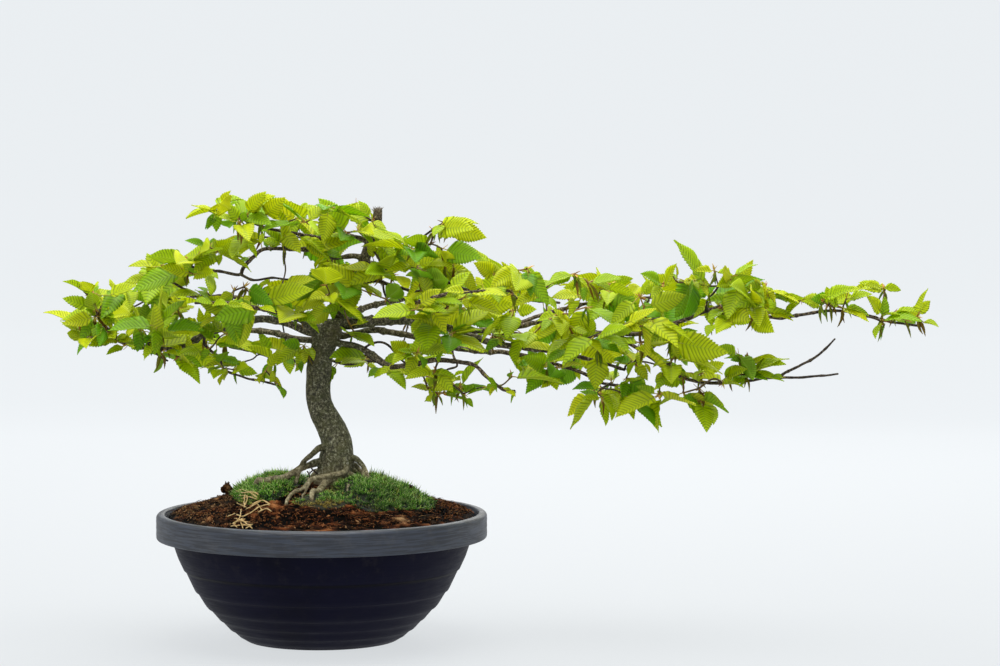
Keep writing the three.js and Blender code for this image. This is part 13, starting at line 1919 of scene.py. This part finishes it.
def build_small():
    for name, rows in STRAW.items():
        g = Gather()
        P = np.array(rows, float)
        P[:, 2] += 0.6
        R = catmull(P, 1.2)
        s = np.linspace(0, 1, len(R))
        R[:, 3] *= (0.9 + 0.25 * np.sin(9 * s + len(name))) * np.clip(np.minimum(s, 1 - s) * 9 + 0.35, 0, 1)
        R[:, :3] += np.column_stack([vnoise(R[:, :3], 4.0, 61), vnoise(R[:, :3], 4.0, 62), 0.3 * vnoise(R[:, :3], 4.0, 63)]) * 0.5
        tube(g, R, 8, 0, [0.5, 0, 0], rough=0.2, seed=len(rows))
        for line in DRY.get(name, []):
            B = catmull(np.array(line, float), 1.4)
            t = np.linspace(0, 1, len(B))
            B[:, 3] *= 0.75 + 0.35 * np.sin(7 * t + B[0, 0]) ** 2
            B[:, :3] += np.column_stack([vnoise(B[:, :3], 4.0, 64), vnoise(B[:, :3], 4.0, 65), 0.4 * vnoise(B[:, :3], 4.0, 66)]) * 0.6
            tube(g, B, 6, 0, [0.5, 0, 0], rough=0.2, seed=len(line))
        if name.startswith("rootlet"):
            rr = np.random.default_rng(int(abs(P[0, 0])))
            for _ in range(4):
                k = int(rr.integers(1, len(R) - 1))
                p = R[k, :3]
                d = unit(np.array([rr.normal(0, 1), rr.normal(0, 1), rr.uniform(0.0, 0.5)]))
                L = rr.uniform(3, 6.5)
                tube(g, catmull(np.array([[*p, 0.5], [*(p + d * L * 0.5 + UP * 0.7), 0.42], [*(p + d * L), 0.15]]), 1.0), 6, 0, [0.5, 0, 0], rough=0.2)
        ob = g.object(name + "_stalk", [MAT_STRAW])
        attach(ob, "root")
        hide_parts(name)
    for name, (c, s, tone, red, slot) in LUMPS.items():
        g = Gather()
        r = np.random.default_rng(len(name))
        import bmesh
        bm = bmesh.new()
        bmesh.ops.create_icosphere(bm, subdivisions=4, radius=1.0)
        V = np.array([v.co[:] for v in bm.verts])
        F = np.array([[l.vert.index for l in f.loops] for f in bm.faces])
        bm.free()
        d = 0.9 + 0.5 * vnoise(V * 6, 5.0, 74) + 0.34 * vnoise(V * 6, 2.4, 72) + 0.16 * vnoise(V * 6, 1.0, 73)
        d = np.clip(d, 0.45, 1.2)
        d = np.where(V[:, 2] > 0, d * (1 - 0.3 * V[:, 2]), d)
        V = V * d[:, None] * s + c
        # the less raised places of the lump are darker: painted shade in its hollows
        g.add(V, [F], 0, np.column_stack([np.clip(0.66 + (d - 0.85) * 1.3, 0.1, 1) * tone, np.full(len(V), red), np.zeros(len(V))]))
        for _ in range(60):
            q = V[int(r.integers(len(V)))]
            crumb(g, q, np.array([0.9, 0.6, 0.5]) * r.uniform(0.4, 1.1), float(r.uniform(0.1, 0.9)) * tone, red, r)
        for _ in range(7):
            a0 = r.uniform(0, 2 * np.pi)
            q = np.array(c) + np.array(s) * [0.3 * math.cos(a0), 0.3 * math.sin(a0), 0.45]
            d0 = unit(np.array([math.cos(a0) * 0.6, math.sin(a0) * 0.6, 1.0]))
            tube(g, np.array([[*q, 1.5], [*(q + d0 * s[2] * 0.35), 1.0], [*(q + d0 * s[2] * r.uniform(0.55, 0.8)), 0.2]]), 5, 0, [0.7 * tone, red, 0], rough=0.3, seed=_)
        ob = g.object(name + "_piece", [MAT_SOIL])
        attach(ob, "root")
        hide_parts(name)


# ------------------------------------------------------------------ pot
def build_pot():
    prof = [(0, 0, 0), (30, 0, 0), (BASE_R - 0.4, 0, 0), (BASE_R + 0.6, 0.15, 0), (BASE_R + 2, 0.8, 0)]
    z0 = 4.0
    bowl = lambda z: float(table(BOWL, z))
    for z1 in STEPS + [RIM_TOP - RIM_BAND + 3]:
        n = max(2, int((z1 - z0) / 2.5))
        for i in range(n + 1):
            f = i / n
            z = z0 + (z1 - z0) * f
            edge = STEP * (1 - 2 * f)
            # a softly rolled edge at the foot of each band, a narrow groove at its head
            prof.append((bowl(z) + edge + (0.0 if z1 > 100 and i == n else 0), z, 0))
            if i == 0:
                prof[-1] = (bowl(z) + STEP - 0.35, z, 0)
                prof.append((bowl(z + 0.5) + STEP, z + 0.5, 0))
        prof[-1] = (bowl(z1) - (0 if z1 > 100 else STEP), z1, 0)
        z0 = z1 + 0.5
    low = RIM_TOP - RIM_BAND
    prof += [(RIM_R - 4.2, low + 3, 0), (RIM_R - 3.5, low + 2.6, 0.3), (RIM_R - 3.2, low + 0.6, 1), (RIM_R - 2.8, low + 0.1, 1), (RIM_R - 1.6, low, 1), (RIM_R - 0.7, low + 0.3, 1), (RIM_R - 0.15, low + 1.0, 1), (RIM_R, low + 2.2, 1)]
    for z in np.linspace(low + 5, RIM_TOP - 5, 8):
        prof.append((RIM_R + 0.12 * math.sin(z), z, 1))
    for a in np.linspace(0, math.pi / 2, 9):
        prof.append((RIM_R - 4.2 + 4.2 * math.cos(a), RIM_TOP - 4.2 + 4.1 * math.sin(a), 1))
    prof += [(LIP_R + 2.2, RIM_TOP, 1), (LIP_R + 0.9, RIM_TOP - 0.2, 1), (LIP_R + 0.2, RIM_TOP - 0.8, 1), (LIP_R, RIM_TOP - 1.8, 1), (LIP_R - 0.5, RIM_TOP - 5, 0.8)]
    for z in (118, 104, 88, 72, 56, 40, 28, 18, 10, 6):
        prof.append((bowl(z) - WALL, z, 0))
    prof += [(BASE_R - 2, WALL, 0), (0, WALL, 0)]
    K = 176
    a = 2 * np.pi * np.arange(K) / K
    R = np.array([p[0] for p in prof[1:-1]])
    Z = np.array([p[1] for p in prof[1:-1]])
    B = np.array([p[2] for p in prof[1:-1]])
    V = np.stack([R[:, None] * np.cos(a), R[:, None] * np.sin(a), np.broadcast_to(Z[:, None], (len(R), K))], -1).reshape(-1, 3)
    m = len(R)
    i, j = np.meshgrid(np.arange(m - 1), np.arange(K), indexing="ij")
    p, q = i * K + j, i * K + (j + 1) % K
    quads = np.stack([p, q, q + K, p + K], -1).reshape(-1, 4)
    V = np.vstack([V, [[0, 0, 0]], [[0, 0, WALL]]])
    jj = np.arange(K)
    t0 = np.stack([np.full(K, m * K), (jj + 1) % K, jj], -1)
    t1 = np.stack([np.full(K, m * K + 1), (m - 1) * K + jj, (m - 1) * K + (jj + 1) % K], -1)
    C = np.zeros((len(V), 3))
    C[: m * K, 1] = np.repeat(B, K)
    C[: m * K, 0] = np.repeat(np.clip((Z - 60) / 60, 0.15, 1), K)
    # above 0.5: painted highlight on the rolled edge just above each step; below 0.5: painted shade in the groove at
    # the step
    ledge_light_and_shade = np.full(m, 0.5)
    for st in [4.0] + STEPS:
        ledge_light_and_shade = np.maximum(ledge_light_and_shade, 0.5 + 0.5 * np.exp(-(((Z - st - 1.6) / 1.5) ** 2)) * (R > 70))
        ledge_light_and_shade = np.where((np.abs(Z - st + 0.2) < 1.3) & (R > 70), 0.08, ledge_light_and_shade)
    C[:, 2] = 0.5
    C[: m * K, 2] = np.repeat(ledge_light_and_shade, K)
    g = Gather()
    g.add(V, [quads, t0, t1], 0, C)
    ob = g.object("bowl", [MAT_POT])
    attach(ob, "root")
    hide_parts("pot")


build_pot()
build_soil()
build_moss()
build_small()
build_wood()
build_crown()

# ------------------------------------------------------------------ stage, light, camera
def stage_material():
    m, nt, bs, out = nodes_of("studio_floor")
    k = Net(nt)
    sep = k.new("SeparateXYZ")
    k.link(k.coords(), sep.inputs[0])
    bs.inputs["Base Color"].default_value = (0.085, 0.088, 0.09, 1)
    bs.inputs["Emission Color"].default_value = (0.855, 0.888, 0.913, 1)
    k.link(k.range(sep.outputs[1], -0.3, 2.2, 0.727, 0.895), bs.inputs["Emission Strength"])
    bs.inputs["Roughness"].default_value = 0.9
    bs.inputs["Specular IOR Level"].default_value = 0.1
    return m


prof = [(-19.2, 0.0), (5.12, 0.0)]
for a in np.linspace(0, math.pi / 2, 24)[1:]:
    prof.append((5.12 + 3.84 * math.sin(a), 3.84 - 3.84 * math.cos(a)))
prof.append((8.96, 16.0))
SV, SF = [], []
for y, z in prof:
    SV += [(-22.4, y, z), (24.0, y, z)]
for i in range(len(prof) - 1):
    SF.append((2 * i, 2 * i + 1, 2 * i + 3, 2 * i + 2))
me = bpy.data.meshes.new("floor")
me.from_pydata(SV, [], SF)
for p in me.polygons:
    p.use_smooth = True
me.materials.append(stage_material())
floor = bpy.data.objects.new("floor", me)
floor.location = (0, 0, -0.0002)
bpy.context.scene.collection.objects.link(floor)


def area(name, loc, target, size, power, colour, sy=None):
    l = bpy.data.lights.new(name, "AREA")
    l.shape = "RECTANGLE"
    l.size = size
    l.size_y = sy or size
    l.energy = power
    l.color = colour
    o = bpy.data.objects.new(name, l)
    o.location = loc
    d = Vector(target) - Vector(loc)
    o.rotation_euler = d.to_track_quat("-Z", "Y").to_euler()
    bpy.context.scene.collection.objects.link(o)
    return o


area("sky_soft", (0.1, -0.1, 2.2), (0.15, 0.0, 0.3), 1.7, 58.0, (1.0, 0.99, 0.97))
area("key_left", (-1.7, -1.5, 1.6), (0.1, 0, 0.25), 1.3, 17.0, (1.0, 0.985, 0.96))
area("back_glow", (0.5, 1.7, 1.5), (0.15, 0, 0.33), 1.8, 26.0, (1.0, 0.98, 0.93))
area("fill_right", (2.0, -1.6, 0.9), (0.15, 0, 0.25), 1.4, 6.0, (0.95, 0.98, 1.0))

w = bpy.data.worlds.new("studio")
w.use_nodes = True
bg = w.node_tree.nodes["Background"]
bg.inputs[0].default_value = (0.93, 0.96, 1.0, 1)
bg.inputs[1].default_value = 0.62
bpy.context.scene.world = w
bpy.context.scene.view_settings.view_transform = "Standard"
bpy.context.scene.view_settings.look = "None"
bpy.context.scene.view_settings.exposure = 0.0

cam = bpy.data.cameras.new("camera")
cam.sensor_fit = "HORIZONTAL"
cam.sensor_width = 36.0
cam.lens = 108.0
cam.clip_start = 0.1
cam.clip_end = 30.0
co = bpy.data.objects.new("camera", cam)
co.location = (0.1785, -2.995025, 0.480292)
co.rotation_euler = (math.radians(86.7), 0, 0)
bpy.context.scene.collection.objects.link(co)
bpy.context.scene.camera = co
